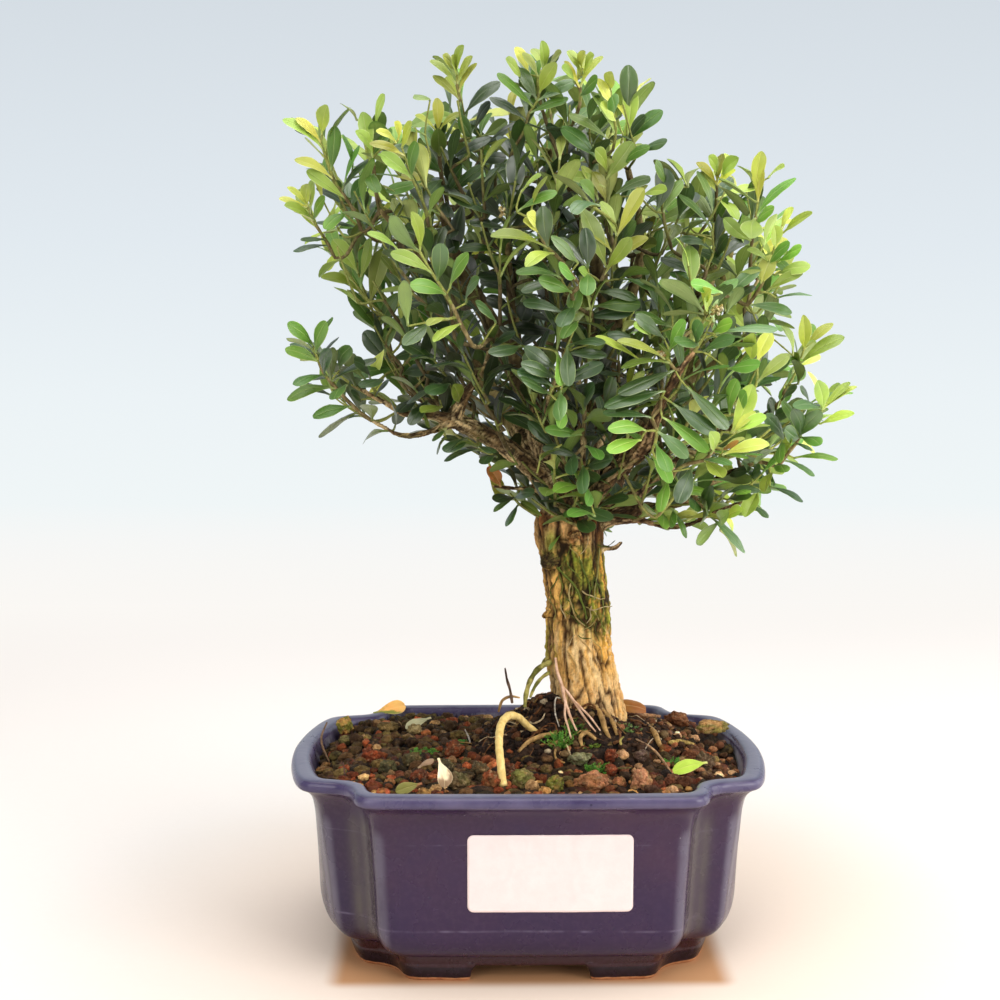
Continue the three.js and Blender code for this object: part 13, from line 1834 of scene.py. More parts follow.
# ------------------------------------------------------------------ materials
class Mat:
    """Small helper round a node tree."""

    def __init__(self, name):
        self.m = bpy.data.materials.new(name)
        self.m.use_nodes = True
        self.t = self.m.node_tree
        self.t.nodes.clear()
        self.out = self.t.nodes.new("ShaderNodeOutputMaterial")
        self.p = self.t.nodes.new("ShaderNodeBsdfPrincipled")
        self.link(self.p.outputs["BSDF"], self.out.inputs["Surface"])
        self._obj = None

    def node(self, kind, **props):
        n = self.t.nodes.new(kind)
        for k, v in props.items():
            setattr(n, k, v)
        return n

    def link(self, a, b):
        self.t.links.new(a, b)

    def set(self, sock, v):
        if isinstance(v, bpy.types.NodeSocket):
            self.link(v, sock)
        else:
            sock.default_value = v

    def P(self, **kw):
        for k, v in kw.items():
            self.set(self.p.inputs[k.replace("_", " ")], v)

    @property
    def obj(self):
        if self._obj is None:
            self._obj = self.node("ShaderNodeTexCoord").outputs["Object"]
        return self._obj

    def attr(self, name, out="Color"):
        return self.node("ShaderNodeAttribute", attribute_name=name).outputs[out]

    def mapping(self, scale, vec=None, rot=(0, 0, 0)):
        n = self.node("ShaderNodeMapping")
        n.inputs["Scale"].default_value = scale if hasattr(scale, "__len__") else (scale,) * 3
        n.inputs["Rotation"].default_value = rot
        self.link(vec or self.obj, n.inputs["Vector"])
        return n.outputs["Vector"]

    def noise(self, scale, detail=4, rough=0.55, vec=None, out="Fac", distortion=0.0):
        n = self.node("ShaderNodeTexNoise")
        n.inputs["Scale"].default_value = scale
        n.inputs["Detail"].default_value = detail
        n.inputs["Roughness"].default_value = rough
        n.inputs["Distortion"].default_value = distortion
        self.link(vec or self.obj, n.inputs["Vector"])
        return n.outputs[out]

    def voronoi(self, scale, feature="F1", vec=None, out="Distance", rand=1.0):
        n = self.node("ShaderNodeTexVoronoi", feature=feature)
        n.inputs["Scale"].default_value = scale
        n.inputs["Randomness"].default_value = rand
        self.link(vec or self.obj, n.inputs["Vector"])
        return n.outputs[out]

    def math(self, op, a, b=0.0, c=0.0, clamp=False):
        n = self.node("ShaderNodeMath", operation=op, use_clamp=clamp)
        self.set(n.inputs[0], a)
        self.set(n.inputs[1], b)
        self.set(n.inputs[2], c)
        return n.outputs[0]

    def ramp(self, fac, stops, mode="LINEAR"):
        n = self.node("ShaderNodeValToRGB")
        n.color_ramp.interpolation = mode
        e = n.color_ramp.elements
        while len(e) > 1:
            e.remove(e[-1])
        for i, (pos, col) in enumerate(stops):
            el = e[0] if i == 0 else e.new(pos)
            el.position = pos
            col = tuple(col) if hasattr(col, "__len__") else (col,) * 3
            el.color = (*col[:3], 1.0)
        self.set(n.inputs["Fac"], fac)
        return n.outputs["Color"]

    def smooth(self, x, a, b):
        n = self.node("ShaderNodeMapRange", interpolation_type="SMOOTHSTEP", clamp=True)
        self.set(n.inputs["Value"], x)
        n.inputs["From Min"].default_value = a
        n.inputs["From Max"].default_value = b
        return n.outputs["Result"]

    def range(self, x, a, b, c, d):
        n = self.node("ShaderNodeMapRange", clamp=True)
        self.set(n.inputs["Value"], x)
        for k, v in zip(("From Min", "From Max", "To Min", "To Max"), (a, b, c, d)):
            n.inputs[k].default_value = v
        return n.outputs["Result"]

    def mix(self, fac, a, b, blend="MIX"):
        n = self.node("ShaderNodeMix", data_type="RGBA", blend_type=blend, clamp_result=True)
        self.set(n.inputs[0], fac)
        for sock, v in ((n.inputs[6], a), (n.inputs[7], b)):
            if isinstance(v, bpy.types.NodeSocket):
                self.link(v, sock)
            else:
                v = tuple(v) if hasattr(v, "__len__") else (v,) * 3
                sock.default_value = (*v[:3], 1.0)
        return n.outputs[2]

    def xyz(self, vec, k):
        n = self.node("ShaderNodeSeparateXYZ")
        self.link(vec, n.inputs[0])
        return n.outputs[k]

    def bump(self, height, dist, strength=1.0, normal=None):
        n = self.node("ShaderNodeBump")
        n.inputs["Distance"].default_value = dist
        n.inputs["Strength"].default_value = strength
        self.set(n.inputs["Height"], height)
        if normal is not None:
            self.link(normal, n.inputs["Normal"])
        return n.outputs["Normal"]


def leaf_material(name, rough, sss, spec, rib0, edge0):
    """Blade: colour comes along from the leaf, with midrib, margin, side veins and fine mottling."""
    m = Mat(name)
    lc = m.attr("lc", "Vector")
    u, s, rnd = (m.xyz(lc, k) for k in range(3))
    au = m.math("ABSOLUTE", u)
    col = m.attr("col", "Color")
    # mottling and side veins
    n1 = m.noise(900, 3)
    n2 = m.noise(260, 2)
    col = m.mix(m.range(n2, 0.3, 0.7, 0.0, 0.35), col, m.mix(1.0, col, (0.55, 0.62, 0.55), "MULTIPLY"))
    veins = m.math("SINE", m.math("MULTIPLY_ADD", s, 120.0, m.math("MULTIPLY", au, -26.0)))
    blade = m.smooth(s, 0.10, 0.22)
    vf = m.math("MULTIPLY", m.math("MULTIPLY", m.smooth(veins, 0.55, 1.0), blade), 0.16)
    col = m.mix(vf, col, m.mix(1.0, col, (1.5, 1.45, 1.3), "MULTIPLY"))
    rib = m.math("MULTIPLY", m.math("SUBTRACT", 1.0, m.smooth(au, 0.02, 0.075)), m.range(s, 0.0, 0.95, rib0, rib0 * 0.4))
    pale = m.attr("edge", "Color")
    col = m.mix(rib, col, pale)
    margin = m.math("MULTIPLY", m.smooth(au, 0.88, 0.97), m.math("MULTIPLY", blade, edge0))
    col = m.mix(margin, col, pale)
    m.P(Base_Color=col)
    m.P(Roughness=m.range(n1, 0.25, 0.75, rough - 0.05, rough + 0.09))
    m.p.inputs["Specular IOR Level"].default_value = spec
    if sss:
        m.p.inputs["Subsurface Weight"].default_value = sss
        m.p.inputs["Subsurface Radius"].default_value = (0.7, 1.0, 0.25)
        m.p.inputs["Subsurface Scale"].default_value = 0.0012
    h = m.math("ADD", m.math("MULTIPLY", m.math("SUBTRACT", m.smooth(au, 0.0, 0.13), 1.0), 1.0), m.math("MULTIPLY", m.math("MULTIPLY", veins, blade), 0.10))
    h = m.math("ADD", h, m.math("MULTIPLY", n1, 0.35))
    m.P(Normal=m.bump(h, 0.00012, 0.55))
    return m.m


def twig_material():
    m = Mat("twig_bark")
    age = m.attr("age", "Fac")
    n = m.noise(1500, 4, 0.6)
    nb = m.noise(420, 3, 0.6)
    stretched = m.noise(700, 4, 0.65, vec=m.mapping((1, 1, 0.35)))
    green = m.ramp(n, [(0.3, srgb(126, 138, 60)), (0.7, srgb(178, 180, 100))])
    brown = m.ramp(stretched, [(0.25, srgb(72, 60, 36)), (0.5, srgb(122, 106, 66)), (0.72, srgb(184, 166, 120))])
    f = m.smooth(m.math("ADD", age, m.range(nb, 0.3, 0.7, -0.18, 0.18)), 0.25, 0.62)
    # col darkens twigs deep in the crown: painted shade
    m.P(Base_Color=m.mix(1.0, m.mix(f, green, brown), m.attr("col", "Color"), "MULTIPLY"), Roughness=0.75)
    m.p.inputs["Specular IOR Level"].default_value = 0.3
    m.P(Normal=m.bump(m.math("MULTIPLY", stretched, age), 0.0005, 0.8))
    return m.m


def bark_material(name="bark"):
    """Colour and height come along from the bark's relief; this adds the fine grain."""
    m = Mat(name)
    col = m.attr("col", "Color")
    grain = m.noise(900, 6, 0.68, vec=m.mapping((1, 1, 0.4)))
    fine = m.noise(3200, 4, 0.6)
    big = m.noise(120, 3, 0.6)
    col = m.mix(m.range(grain, 0.30, 0.62, 0.75, 0.0), col, m.mix(1.0, col, (0.32, 0.22, 0.13), "MULTIPLY"))
    col = m.mix(m.range(fine, 0.5, 0.75, 0.0, 0.45), col, m.mix(1.0, col, (1.28, 1.22, 1.08), "MULTIPLY"))
    col = m.mix(m.range(big, 0.35, 0.7, 0.0, 0.3), col, m.mix(1.0, col, (0.8, 0.86, 0.62), "MULTIPLY"))
    pits = m.noise(1500, 4, 0.7, vec=m.mapping((1, 1, 0.7)))
    col = m.mix(m.range(pits, 0.55, 0.66, 0.0, 0.5), col, m.mix(1.0, col, (0.34, 0.26, 0.16), "MULTIPLY"))
    col = m.mix(m.range(pits, 0.30, 0.42, 0.35, 0.0), col, m.mix(1.0, col, (1.2, 1.14, 1.04), "MULTIPLY"))
    m.P(Base_Color=col, Roughness=m.range(grain, 0.3, 0.7, 0.92, 0.72))
    m.p.inputs["Specular IOR Level"].default_value = 0.25
    m.P(Normal=m.bump(m.math("ADD", grain, m.math("MULTIPLY", fine, 0.4)), 0.0007, 0.9))
    return m.m


def glaze_material():
    m = Mat("blue_glaze")
    z = m.xyz(m.obj, 2)
    cloud = m.noise(20, 5, 0.6, distortion=0.5)
    cloud2 = m.noise(80, 4, 0.6)
    fine = m.noise(900, 3, 0.6)
    # thin glaze on edges; its pale colour is partly painted highlight
    thin = m.attr("thin", "Fac")            # 1 where the glaze runs thin
    # inner corners: pooled glaze, painted paler as partly painted reflection
    pool_and_sheen = m.attr("pooled_and_sheen", "Fac")          # 1 in the inner corners
    base = m.ramp(cloud, [(0.26, srgb(36, 14, 45)), (0.5, srgb(43, 19, 51)), (0.74, srgb(56, 28, 56))])
    base = m.mix(m.range(cloud2, 0.35, 0.7, 0.0, 0.4), base, srgb(33, 17, 62))
    violet = m.math("MULTIPLY", m.math("SUBTRACT", 1.0, m.smooth(m.math("MULTIPLY_ADD", cloud, 0.012, z), 0.020, 0.040)), 0.6)
    base = m.mix(violet, base, srgb(30, 13, 57))
    # browner towards the lower wall; the dark red-brown band round the base is painted warm light bounced from the
    # floor, and the feet are darkest
    low = m.math("SUBTRACT", 1.0, m.smooth(m.math("MULTIPLY_ADD", cloud, 0.008, z), 0.010, 0.019))
    base = m.mix(m.math("MULTIPLY", low, 0.55), base, srgb(32, 12, 33))
    foot = m.math("SUBTRACT", 1.0, m.smooth(z, 0.0060, 0.0080))
    base = m.mix(m.math("MULTIPLY", foot, 0.9), base, srgb(46, 17, 22))
    feet = m.math("SUBTRACT", 1.0, m.smooth(z, 0.0036, 0.0042))
    base = m.mix(m.math("MULTIPLY", feet, 0.95), base, srgb(18, 8, 22))
    # deep blue round the roll of the rim, lightened as partly painted highlight
    lip_blue_and_highlight = m.math("MULTIPLY", m.smooth(z, 0.0466, 0.0474), m.math("SUBTRACT", 1.0, m.smooth(z, 0.0494, 0.0499)))
    base = m.mix(m.math("MULTIPLY", lip_blue_and_highlight, 0.8), base, m.ramp(cloud2, [(0.3, srgb(48, 42, 80)), (0.7, srgb(94, 88, 118))]))
    # the rim's flat top is greyer and lighter: partly painted reflection of the light from above
    top = m.smooth(z, 0.0495, 0.0500)
    base = m.mix(m.math("MULTIPLY", top, 0.85), base, m.ramp(cloud2, [(0.3, srgb(66, 66, 98)), (0.7, srgb(108, 112, 134))]))
    # pale where the glaze runs thin, partly painted highlight
    base = m.mix(m.math("MULTIPLY", m.smooth(thin, 0.25, 1.0), m.range(cloud2, 0.3, 0.7, 0.35, 0.7)), base, srgb(112, 108, 124))
    # paler warm grey in the inner corners: pooled glaze and partly painted reflection
    base = m.mix(m.math("MULTIPLY", pool_and_sheen, m.range(cloud2, 0.35, 0.7, 0.45, 0.85)), base, srgb(84, 78, 72))
    # faint tide lines left by dipping
    for z0, w, k in ((0.0368, 0.00030, 0.10), (0.0150, 0.00045, 0.24)):
        wav = m.math("MULTIPLY_ADD", m.noise(22, 2), 0.0020, z)
        d = m.math("ABSOLUTE", m.math("SUBTRACT", wav, z0 + 0.0010))
        line = m.math("MULTIPLY", m.math("SUBTRACT", 1.0, m.smooth(d, 0.0, w)), m.range(m.noise(200, 2), 0.4, 0.65, 0.0, k))
        base = m.mix(line, base, srgb(150, 140, 168))
    base = m.mix(m.range(fine, 0.45, 0.7, 0.0, 0.12), base, srgb(84, 64, 88))
    # dark flecks and pale dust specks
    v = m.voronoi(300)
    fleck = m.math("MULTIPLY", m.math("SUBTRACT", 1.0, m.smooth(v, 0.05, 0.12)), m.range(m.noise(60, 2), 0.57, 0.63, 0.0, 1.0))
    base = m.mix(m.math("MULTIPLY", fleck, 0.8), base, srgb(20, 18, 52))
    v2 = m.voronoi(420)
    speck = m.math("MULTIPLY", m.math("SUBTRACT", 1.0, m.smooth(v2, 0.035, 0.075)), m.range(m.noise(90, 2), 0.56, 0.68, 0.0, 1.0))
    base = m.mix(m.math("MULTIPLY", speck, 0.7), base, srgb(186, 178, 190))
    sv = m.noise(1, 2, vec=m.mapping((200, 200, 2200), rot=(0.3, 0.6, 0.2)))
    scr = m.math("MULTIPLY", m.smooth(sv, 0.73, 0.75), m.smooth(m.noise(30, 2), 0.60, 0.68))
    base = m.mix(m.math("MULTIPLY", scr, 0.22), base, srgb(170, 160, 180))
    # bare fired clay at the bottoms of the feet
    edge = m.math("ADD", m.math("ADD", z, -0.0001), m.math("MULTIPLY", m.math("SUBTRACT", m.noise(160, 3), 0.5), 0.0009))
    clay = m.math("SUBTRACT", 1.0, m.smooth(edge, 0.00062, 0.00092))
    clayc = m.ramp(m.noise(500, 4), [(0.3, srgb(160, 100, 62)), (0.7, srgb(204, 150, 104))])
    col = m.mix(clay, base, clayc)
    # inside the rim: dark at the left and pale at the right, with chalky water marks
    inner = m.attr("inside", "Fac")
    col = m.mix(m.math("MULTIPLY", inner, 0.8), col, m.mix(m.smooth(m.xyz(m.obj, 0), 0.005, 0.045), m.ramp(cloud2, [(0.3, srgb(26, 22, 40)), (0.7, srgb(58, 52, 74))]), m.ramp(cloud2, [(0.3, srgb(126, 122, 138)), (0.7, srgb(180, 176, 186))])))
    chalk = m.math("MULTIPLY", inner, m.range(m.noise(140, 5, 0.7, vec=m.mapping((1, 1, 0.35))), 0.46, 0.68, 0.0, 0.85))
    col = m.mix(chalk, col, srgb(168, 166, 178))
    m.P(Base_Color=col)
    r = m.range(cloud2, 0.3, 0.7, 0.20, 0.34)
    r = m.math("ADD", r, m.math("MULTIPLY", clay, 0.5))
    r = m.math("ADD", r, m.math("MULTIPLY", chalk, 0.3))
    r = m.math("ADD", r, m.math("MULTIPLY", top, 0.05))
    m.P(Roughness=r)
    m.p.inputs["Specular IOR Level"].default_value = 0.42
    bumpy = m.math("ADD", m.math("MULTIPLY", m.noise(75, 3), 1.0), m.math("MULTIPLY", m.noise(520, 2), 0.12))
    m.P(Normal=m.bump(bumpy, 0.0009, 0.35))
    return m.m


def paper_material():
    m = Mat("label_paper")
    n = m.noise(300, 5, 0.6)
    f = m.noise(3000, 3, 0.6)
    col = m.ramp(n, [(0.3, srgb(228, 207, 206)), (0.7, srgb(234, 214, 213))])
    col = m.mix(m.range(f, 0.35, 0.65, 0.0, 0.08), col, srgb(214, 196, 186))
    m.P(Base_Color=col, Roughness=m.range(f, 0.3, 0.7, 0.42, 0.58))
    m.p.inputs["Specular IOR Level"].default_value = 0.35
    m.P(Normal=m.bump(m.math("ADD", n, m.math("MULTIPLY", f, 0.2)), 0.0002, 0.35))
    return m.m


def grain_material(name, bumpd=0.0006):
    """Grit, stones and crumbs: colour comes along for each grain."""
    m = Mat(name)
    col = m.attr("col", "Color")
    n = m.noise(1100, 6, 0.7)
    n2 = m.noise(420, 3, 0.6)
    pores = m.voronoi(1500)
    col = m.mix(m.range(n, 0.34, 0.6, 0.85, 0.0), col, m.mix(1.0, col, (0.30, 0.20, 0.14), "MULTIPLY"))
    col = m.mix(m.range(n2, 0.48, 0.72, 0.0, 0.65), col, m.mix(1.0, col, (1.8, 1.6, 1.3), "MULTIPLY"))
    m.P(Base_Color=col, Roughness=m.range(n, 0.3, 0.7, 0.95, 0.62))
    m.p.inputs["Specular IOR Level"].default_value = 0.16
    h = m.math("ADD", n, m.math("MULTIPLY", m.smooth(pores, 0.1, 0.4), 0.5))
    m.P(Normal=m.bump(h, bumpd, 0.9))
    return m.m


def soil_material():
    """Dark moist compost with painted glints and small fibres."""
    m = Mat("compost")
    col = m.attr("col", "Color")
    n = m.noise(1400, 6, 0.72)
    n2 = m.noise(500, 4, 0.6)
    col = m.mix(m.range(n, 0.35, 0.6, 0.75, 0.0), col, m.mix(1.0, col, (0.30, 0.20, 0.14), "MULTIPLY"))
    col = m.mix(m.smooth(n2, 0.62, 0.72), col, srgb(104, 74, 46))
    # pale glints painted into the colour: painted highlight
    painted_glint = m.smooth(m.noise(3600, 2), 0.70, 0.74)
    m.P(Base_Color=m.mix(m.math("MULTIPLY", painted_glint, 0.5), col, srgb(190, 180, 165)))
    m.P(Roughness=m.range(n, 0.3, 0.7, 0.5, 0.85))
    m.p.inputs["Specular IOR Level"].default_value = 0.22
    m.P(Normal=m.bump(m.math("ADD", n, n2), 0.0009, 1.0))
    return m.m


def root_material(name, dark, light, spots=0.3):
    m = Mat(name)
    n = m.noise(700, 5, 0.62, vec=m.mapping((1, 1, 0.6)))
    n2 = m.noise(190, 3, 0.55)
    f = m.noise(2600, 3, 0.6)
    col = m.ramp(n, [(0.28, dark), (0.72, light)])
    col = m.mix(m.math("MULTIPLY", m.smooth(n2, 0.5, 0.68), spots), col, m.mix(1.0, col, (0.45, 0.36, 0.26), "MULTIPLY"))
    col = m.mix(m.range(f, 0.45, 0.7, 0.0, 0.3), col, m.mix(1.0, col, (0.7, 0.62, 0.5), "MULTIPLY"))
    m.P(Base_Color=col, Roughness=m.range(n, 0.3, 0.7, 0.72, 0.5))
    m.p.inputs["Specular IOR Level"].default_value = 0.35
    m.P(Normal=m.bump(m.math("ADD", n, m.math("MULTIPLY", f, 0.3)), 0.0005, 0.7))
    return m.m


def moss_material():
    m = Mat("moss_green")
    col = m.attr("col", "Color")
    n = m.noise(1600, 3, 0.6)
    m.P(Base_Color=m.mix(m.range(n, 0.3, 0.7, 0.5, 0.0), col, m.mix(1.0, col, (0.5, 0.6, 0.35), "MULTIPLY")), Roughness=m.range(n, 0.3, 0.7, 0.5, 0.7))
    m.p.inputs["Subsurface Weight"].default_value = 0.1
    m.p.inputs["Subsurface Scale"].default_value = 0.0006
    m.p.inputs["Specular IOR Level"].default_value = 0.35
    m.P(Normal=m.bump(n, 0.0002, 0.6))
    return m.m


def mesh_plastic():
    m = Mat("black_mesh")
    n = m.noise(900, 3)
    m.P(Base_Color=m.ramp(n, [(0.3, srgb(20, 20, 20)), (0.7, srgb(34, 33, 32))]), Roughness=m.range(n, 0.3, 0.7, 0.4, 0.6))
    m.P(Normal=m.bump(n, 0.0002, 0.5))
    return m.m


M_OLD = leaf_material("leaf_old", 0.34, 0.0, 1.0, 0.45, 0.6)
M_YOUNG = leaf_material("leaf_young", 0.38, 0.0, 0.5, 0.62, 0.6)
M_DRY = leaf_material("leaf_dry", 0.55, 0.0, 0.4, 0.6, 0.4)
M_TWIG = twig_material()
M_BARK = bark_material()
M_GLAZE = glaze_material()
M_PAPER = paper_material()
M_GRIT = grain_material("grit")
M_SOIL = soil_material()
M_MOSS = moss_material()
M_PLASTIC = mesh_plastic()
M_ROOT_PALE = root_material("root_pale", srgb(206, 172, 96), srgb(242, 216, 144), 0.10)
M_ROOT_PINK = root_material("root_pink", srgb(176, 130, 98), srgb(236, 200, 172), 0.15)
M_ROOT_BROWN = root_material("root_brown", srgb(104, 72, 38), srgb(208, 168, 102), 0.4)
M_STICK = root_material("stick_brown", srgb(58, 40, 26), srgb(130, 98, 66), 0.5)


# ------------------------------------------------------------------ foliage
# colours of a leaf's upper face, lower face, and midrib with margin
LEAF_COLOURS = [
    (srgb(192, 200, 94), srgb(204, 212, 128), srgb(228, 230, 160)),
    (srgb(158, 182, 78), srgb(180, 196, 110), srgb(204, 212, 136)),
    (srgb(90, 128, 46), srgb(136, 160, 80), srgb(166, 184, 108)),
    (srgb(52, 80, 33), srgb(78, 106, 44), srgb(130, 150, 86)),
    # old and shiny leaves: lighter than the plain old ones, partly painted sheen
    (srgb(70, 102, 49), srgb(90, 118, 54), srgb(142, 160, 102)),
    (srgb(74, 94, 38), srgb(98, 120, 44), srgb(130, 146, 72)),
    (srgb(124, 148, 78), srgb(168, 182, 118), srgb(188, 198, 144)),
    (srgb(150, 104, 46), srgb(176, 134, 72), srgb(120, 82, 40)),
]
FINE = dict(s=[0, .08, .16, .26, .39, .53, .66, .78, .87, .93], u=[-1, -.64, -.2, 0, .2, .64, 1])
COARSE = dict(s=[0, .10, .24, .44, .66, .84, .93], u=[-1, -.5, 0, .5, 1])
HALF_S = [0, .06, .12, .18, .25, .33, .42, .52, .62, .72, .81, .88, .93]
HALF_V = [.10, .10, .15, .25, .40, .57, .74, .89, .98, 1.0, .92, .78, .57]


def shade_at(P):
    """Leaves darker low on the left, and lighter on the right side: painted light from the right."""
    low_left = (1 - step(-22, -8, P[:, 0])) * (1 - step(146, 162, P[:, 2]))
    return (1 - 0.28 * low_left) * (1 + 0.14 * step(20, 50, P[:, 0]))


def blades(soup, D, grid, seed, index_old, index_young):
    """Closed leaf blades. D has a row for each: foot, tip, width, upper direction, kind, bow."""
    if not len(D):
        return
    rng = np.random.default_rng(seed)
    D = np.asarray(D, float)
    F, Tp, w, N, kind, bow = D[:, 0:3], D[:, 3:6], D[:, 6] * 0.98, D[:, 7:10], D[:, 10].astype(int), D[:, 11]
    A = Tp - F
    L = np.linalg.norm(A, axis=1)
    a = A / L[:, None]
    n = unit(N - a * np.sum(N * a, axis=1, keepdims=True))
    S = np.cross(n, a)
    sm, u = np.array(grid["s"]), np.array(grid["u"])
    R, C, K = len(sm), len(u), len(D)
    r = sm / 0.93
    old = (kind >= 3) & (kind <= 5)
    notch = np.where(rng.random(K) < 0.5, rng.uniform(0.005, 0.022, K), 0.0)
    point = np.where(kind <= 1, rng.uniform(0.0, 0.02, K), 0.0)
    s = sm[None, :, None] + (0.07 + point[:, None, None]) * r[None, :, None] ** 3 * (1 - np.abs(u)[None, None, :] ** 2.2)
    s = s - notch[:, None, None] * r[None, :, None] ** 8 * np.exp(-((u / 0.3) ** 2))[None, None, :]
    v = np.interp(sm, HALF_S, HALF_V)
    vary = 1 + 0.10 * rng.standard_normal((K, 1)) * np.sin(sm * 5.0 + rng.uniform(0, 6, (K, 1)))
    half = np.maximum(0.5 * w[:, None] * v[None, :] * np.clip(vary, 0.85, 1.15), 0.34)
    blade = step(0.07, 0.24, sm)
    lean = rng.normal(0, 0.035, K)
    sway = lean[:, None] * L[:, None] * np.sin(sm * math.pi)[None, :]
    lat = u[None, None, :] * half[:, :, None] + sway[:, :, None]
    fold = np.where(kind <= 1, rng.uniform(0.16, 0.38, K), rng.uniform(0.03, 0.14, K))
    curl = np.where(kind <= 1, rng.uniform(-0.10, 0.04, K), rng.uniform(-0.24, -0.06, K))
    twist = rng.normal(0, 0.13, K)
    H = half[:, :, None] * (fold[:, None, None] * np.abs(u) + curl[:, None, None] * u**2) * blade[None, :, None]
    H = H + lat * (twist[:, None, None] * (sm[None, :, None] - 0.3))
    tipdrop = np.where(kind <= 1, rng.uniform(-0.06, 0.03, K), rng.uniform(-0.07, 0.0, K))
    z = bow[:, None, None] * L[:, None, None] * 4 * s * (1 - s) + H + tipdrop[:, None, None] * L[:, None, None] * step(0.55, 1.0, s)
    ripple = 0.035 * np.sin(s * 17 + rng.uniform(0, 6, (K, 1, 1)) + np.sign(u) * 1.3) * half[:, :, None] * np.abs(u) * blade[None, :, None]
    z = z + ripple
    t0 = 0.13 * blade + 0.25 * (1 - blade)
    thick = t0[None, :, None] * np.sqrt(np.clip(1 - u**2, 0, 1))[None, None, :] * np.ones((K, 1, 1))
    thick = thick * (1 - 0.85 * r[None, :, None] ** 10)
    groove = 0.06 * np.exp(-((u / 0.12) ** 2))[None, None, :] * (blade * (1 - r**4))[None, :, None]
    rib = 0.13 * np.exp(-((u / 0.15) ** 2))[None, None, :] * ((1 - sm) * (1 - r**6))[None, :, None]
    along = s * L[:, None, None]
    base = F[:, None, None, :] + a[:, None, None, :] * along[..., None] + S[:, None, None, :] * lat[..., None]
    top = base + n[:, None, None, :] * (z + thick - groove)[..., None]
    bot = base + n[:, None, None, :] * (z - thick - rib)[..., None]
    bot = bot[:, :-1, 1:-1]
    # colours
    ct = np.array([LEAF_COLOURS[k][0] for k in kind])
    cb = np.array([LEAF_COLOURS[k][1] for k in kind])
    ce = np.array([LEAF_COLOURS[k][2] for k in kind])
    # leaves deep in the crown get painted shade, and those at its outside painted light
    q = np.sqrt(((Tp[:, 0] - 3) / 74) ** 2 + ((Tp[:, 1] - 6) / 52) ** 2 + ((Tp[:, 2] - 168) / 74) ** 2)
    grown = np.interp(q, [0.30, 0.62, 0.85, 1.0], [0.25, 0.38, 0.96, 1.42])
    fresh = np.interp(q, [0.30, 0.62, 0.85, 1.0], [0.30, 0.42, 0.84, 1.08])
    deep = (np.where(kind <= 1, fresh, grown) * shade_at(Tp))[:, None]
    bright = np.exp(rng.normal(0, 0.23, (K, 1))) * deep * np.hstack([0.86 + 0.14 * np.minimum(deep, 1), np.ones((K, 1)), 0.78 + 0.22 * np.minimum(deep, 1)])
    warm = rng.normal(0, 0.07, (K, 1))
    tint = np.concatenate([1 + warm, np.ones((K, 1)), 1 - warm * 1.4], 1) * bright
    ct, cb, ce = ct * tint, cb * np.where(old[:, None], tint, 0.5 + 0.5 * tint), ce * (0.35 + 0.65 * tint)
    # young leaves are yellower at the foot, old ones a little darker in the middle of the blade
    young = (kind <= 1)[:, None, None, None]
    g = np.where(young, 1.22 - 0.34 * s[..., None], 0.90 + 0.18 * s[..., None])
    gb = g[:, :-1, 1:-1]
    yel = np.array([1.10, 1.02, 0.85])
    ft = (1 - step(0.0, 0.22, s))[..., None]
    stalk = ce[:, None, None, :]
    colT = ct[:, None, None, :] * np.where(young, g * (yel + (1 - yel) * s[..., None]), g) * (1 - ft) + stalk * ft
    colB = cb[:, None, None, :] * gb * (1 - ft[:, :-1, 1:-1]) + stalk * ft[:, :-1, 1:-1]
    edgeB = cb[:, None, None, :] * 1.25 * np.ones_like(colB)
    rnd = rng.random((K, 1, 1))
    lcT = np.stack([u[None, None, :] + 0 * s, s, rnd + 0 * s], -1)
    lcB = lcT[:, :-1, 1:-1]
    nt, nb = R * C, (R - 1) * (C - 2)
    V = np.concatenate([top.reshape(K, nt, 3), bot.reshape(K, nb, 3)], 1)
    col = np.concatenate([colT.reshape(K, nt, 3), colB.reshape(K, nb, 3)], 1)
    edge = np.concatenate([(ce[:, None, None, :] + 0 * colT).reshape(K, nt, 3), edgeB.reshape(K, nb, 3)], 1)
    lc = np.concatenate([lcT.reshape(K, nt, 3), lcB.reshape(K, nb, 3)], 1)
    margin = np.zeros((R, C), bool)
    margin[:, 0] = margin[:, -1] = margin[-1, :] = True
    margin = np.concatenate([margin.ravel(), np.zeros(nb, bool)])

    def tid(i, j):
        return i * C + j

    def bid(i, j):
        return tid(i, j) if (j == 0 or j == C - 1 or i == R - 1) else nt + i * (C - 2) + (j - 1)

    quads, tris = [], []
    for i in range(R - 1):
        for j in range(C - 1):
            quads.append((tid(i, j), tid(i + 1, j), tid(i + 1, j + 1), tid(i, j + 1)))
            quads.append((bid(i, j), bid(i, j + 1), bid(i + 1, j + 1), bid(i + 1, j)))
    for j in range(C - 1):
        f = [tid(0, j), tid(0, j + 1), bid(0, j + 1), bid(0, j)]
        g_ = []
        for x in f:
            if x not in g_:
                g_.append(x)
        (quads if len(g_) == 4 else tris).append(tuple(g_))
    quads, tris = np.array(quads), np.array(tris)
    nv = nt + nb
    o = (np.arange(K) * nv)[:, None, None]
    idx = np.where(old, index_old, index_young)
    for which in (index_old, index_young):
        sel = idx == which
        if not sel.any():
            continue
        k = int(sel.sum())
        oo = (np.arange(k) * nv)[:, None, None]
        one = np.ones((k * nv, 1))
        soup.add(V[sel].reshape(-1, 3), (quads[None] + oo).reshape(-1, 4), (tris[None] + oo).reshape(-1, 3), index=int(which),
                 col=np.hstack([col[sel].reshape(-1, 3), one]), edge=np.hstack([edge[sel].reshape(-1, 3), one]),
                 lc=lc[sel].reshape(-1, 3), age=np.zeros(k * nv), sharp=np.tile(margin, k).astype(float))


def unpack(flat, width):
    return np.array(flat, float).reshape(-1, width)


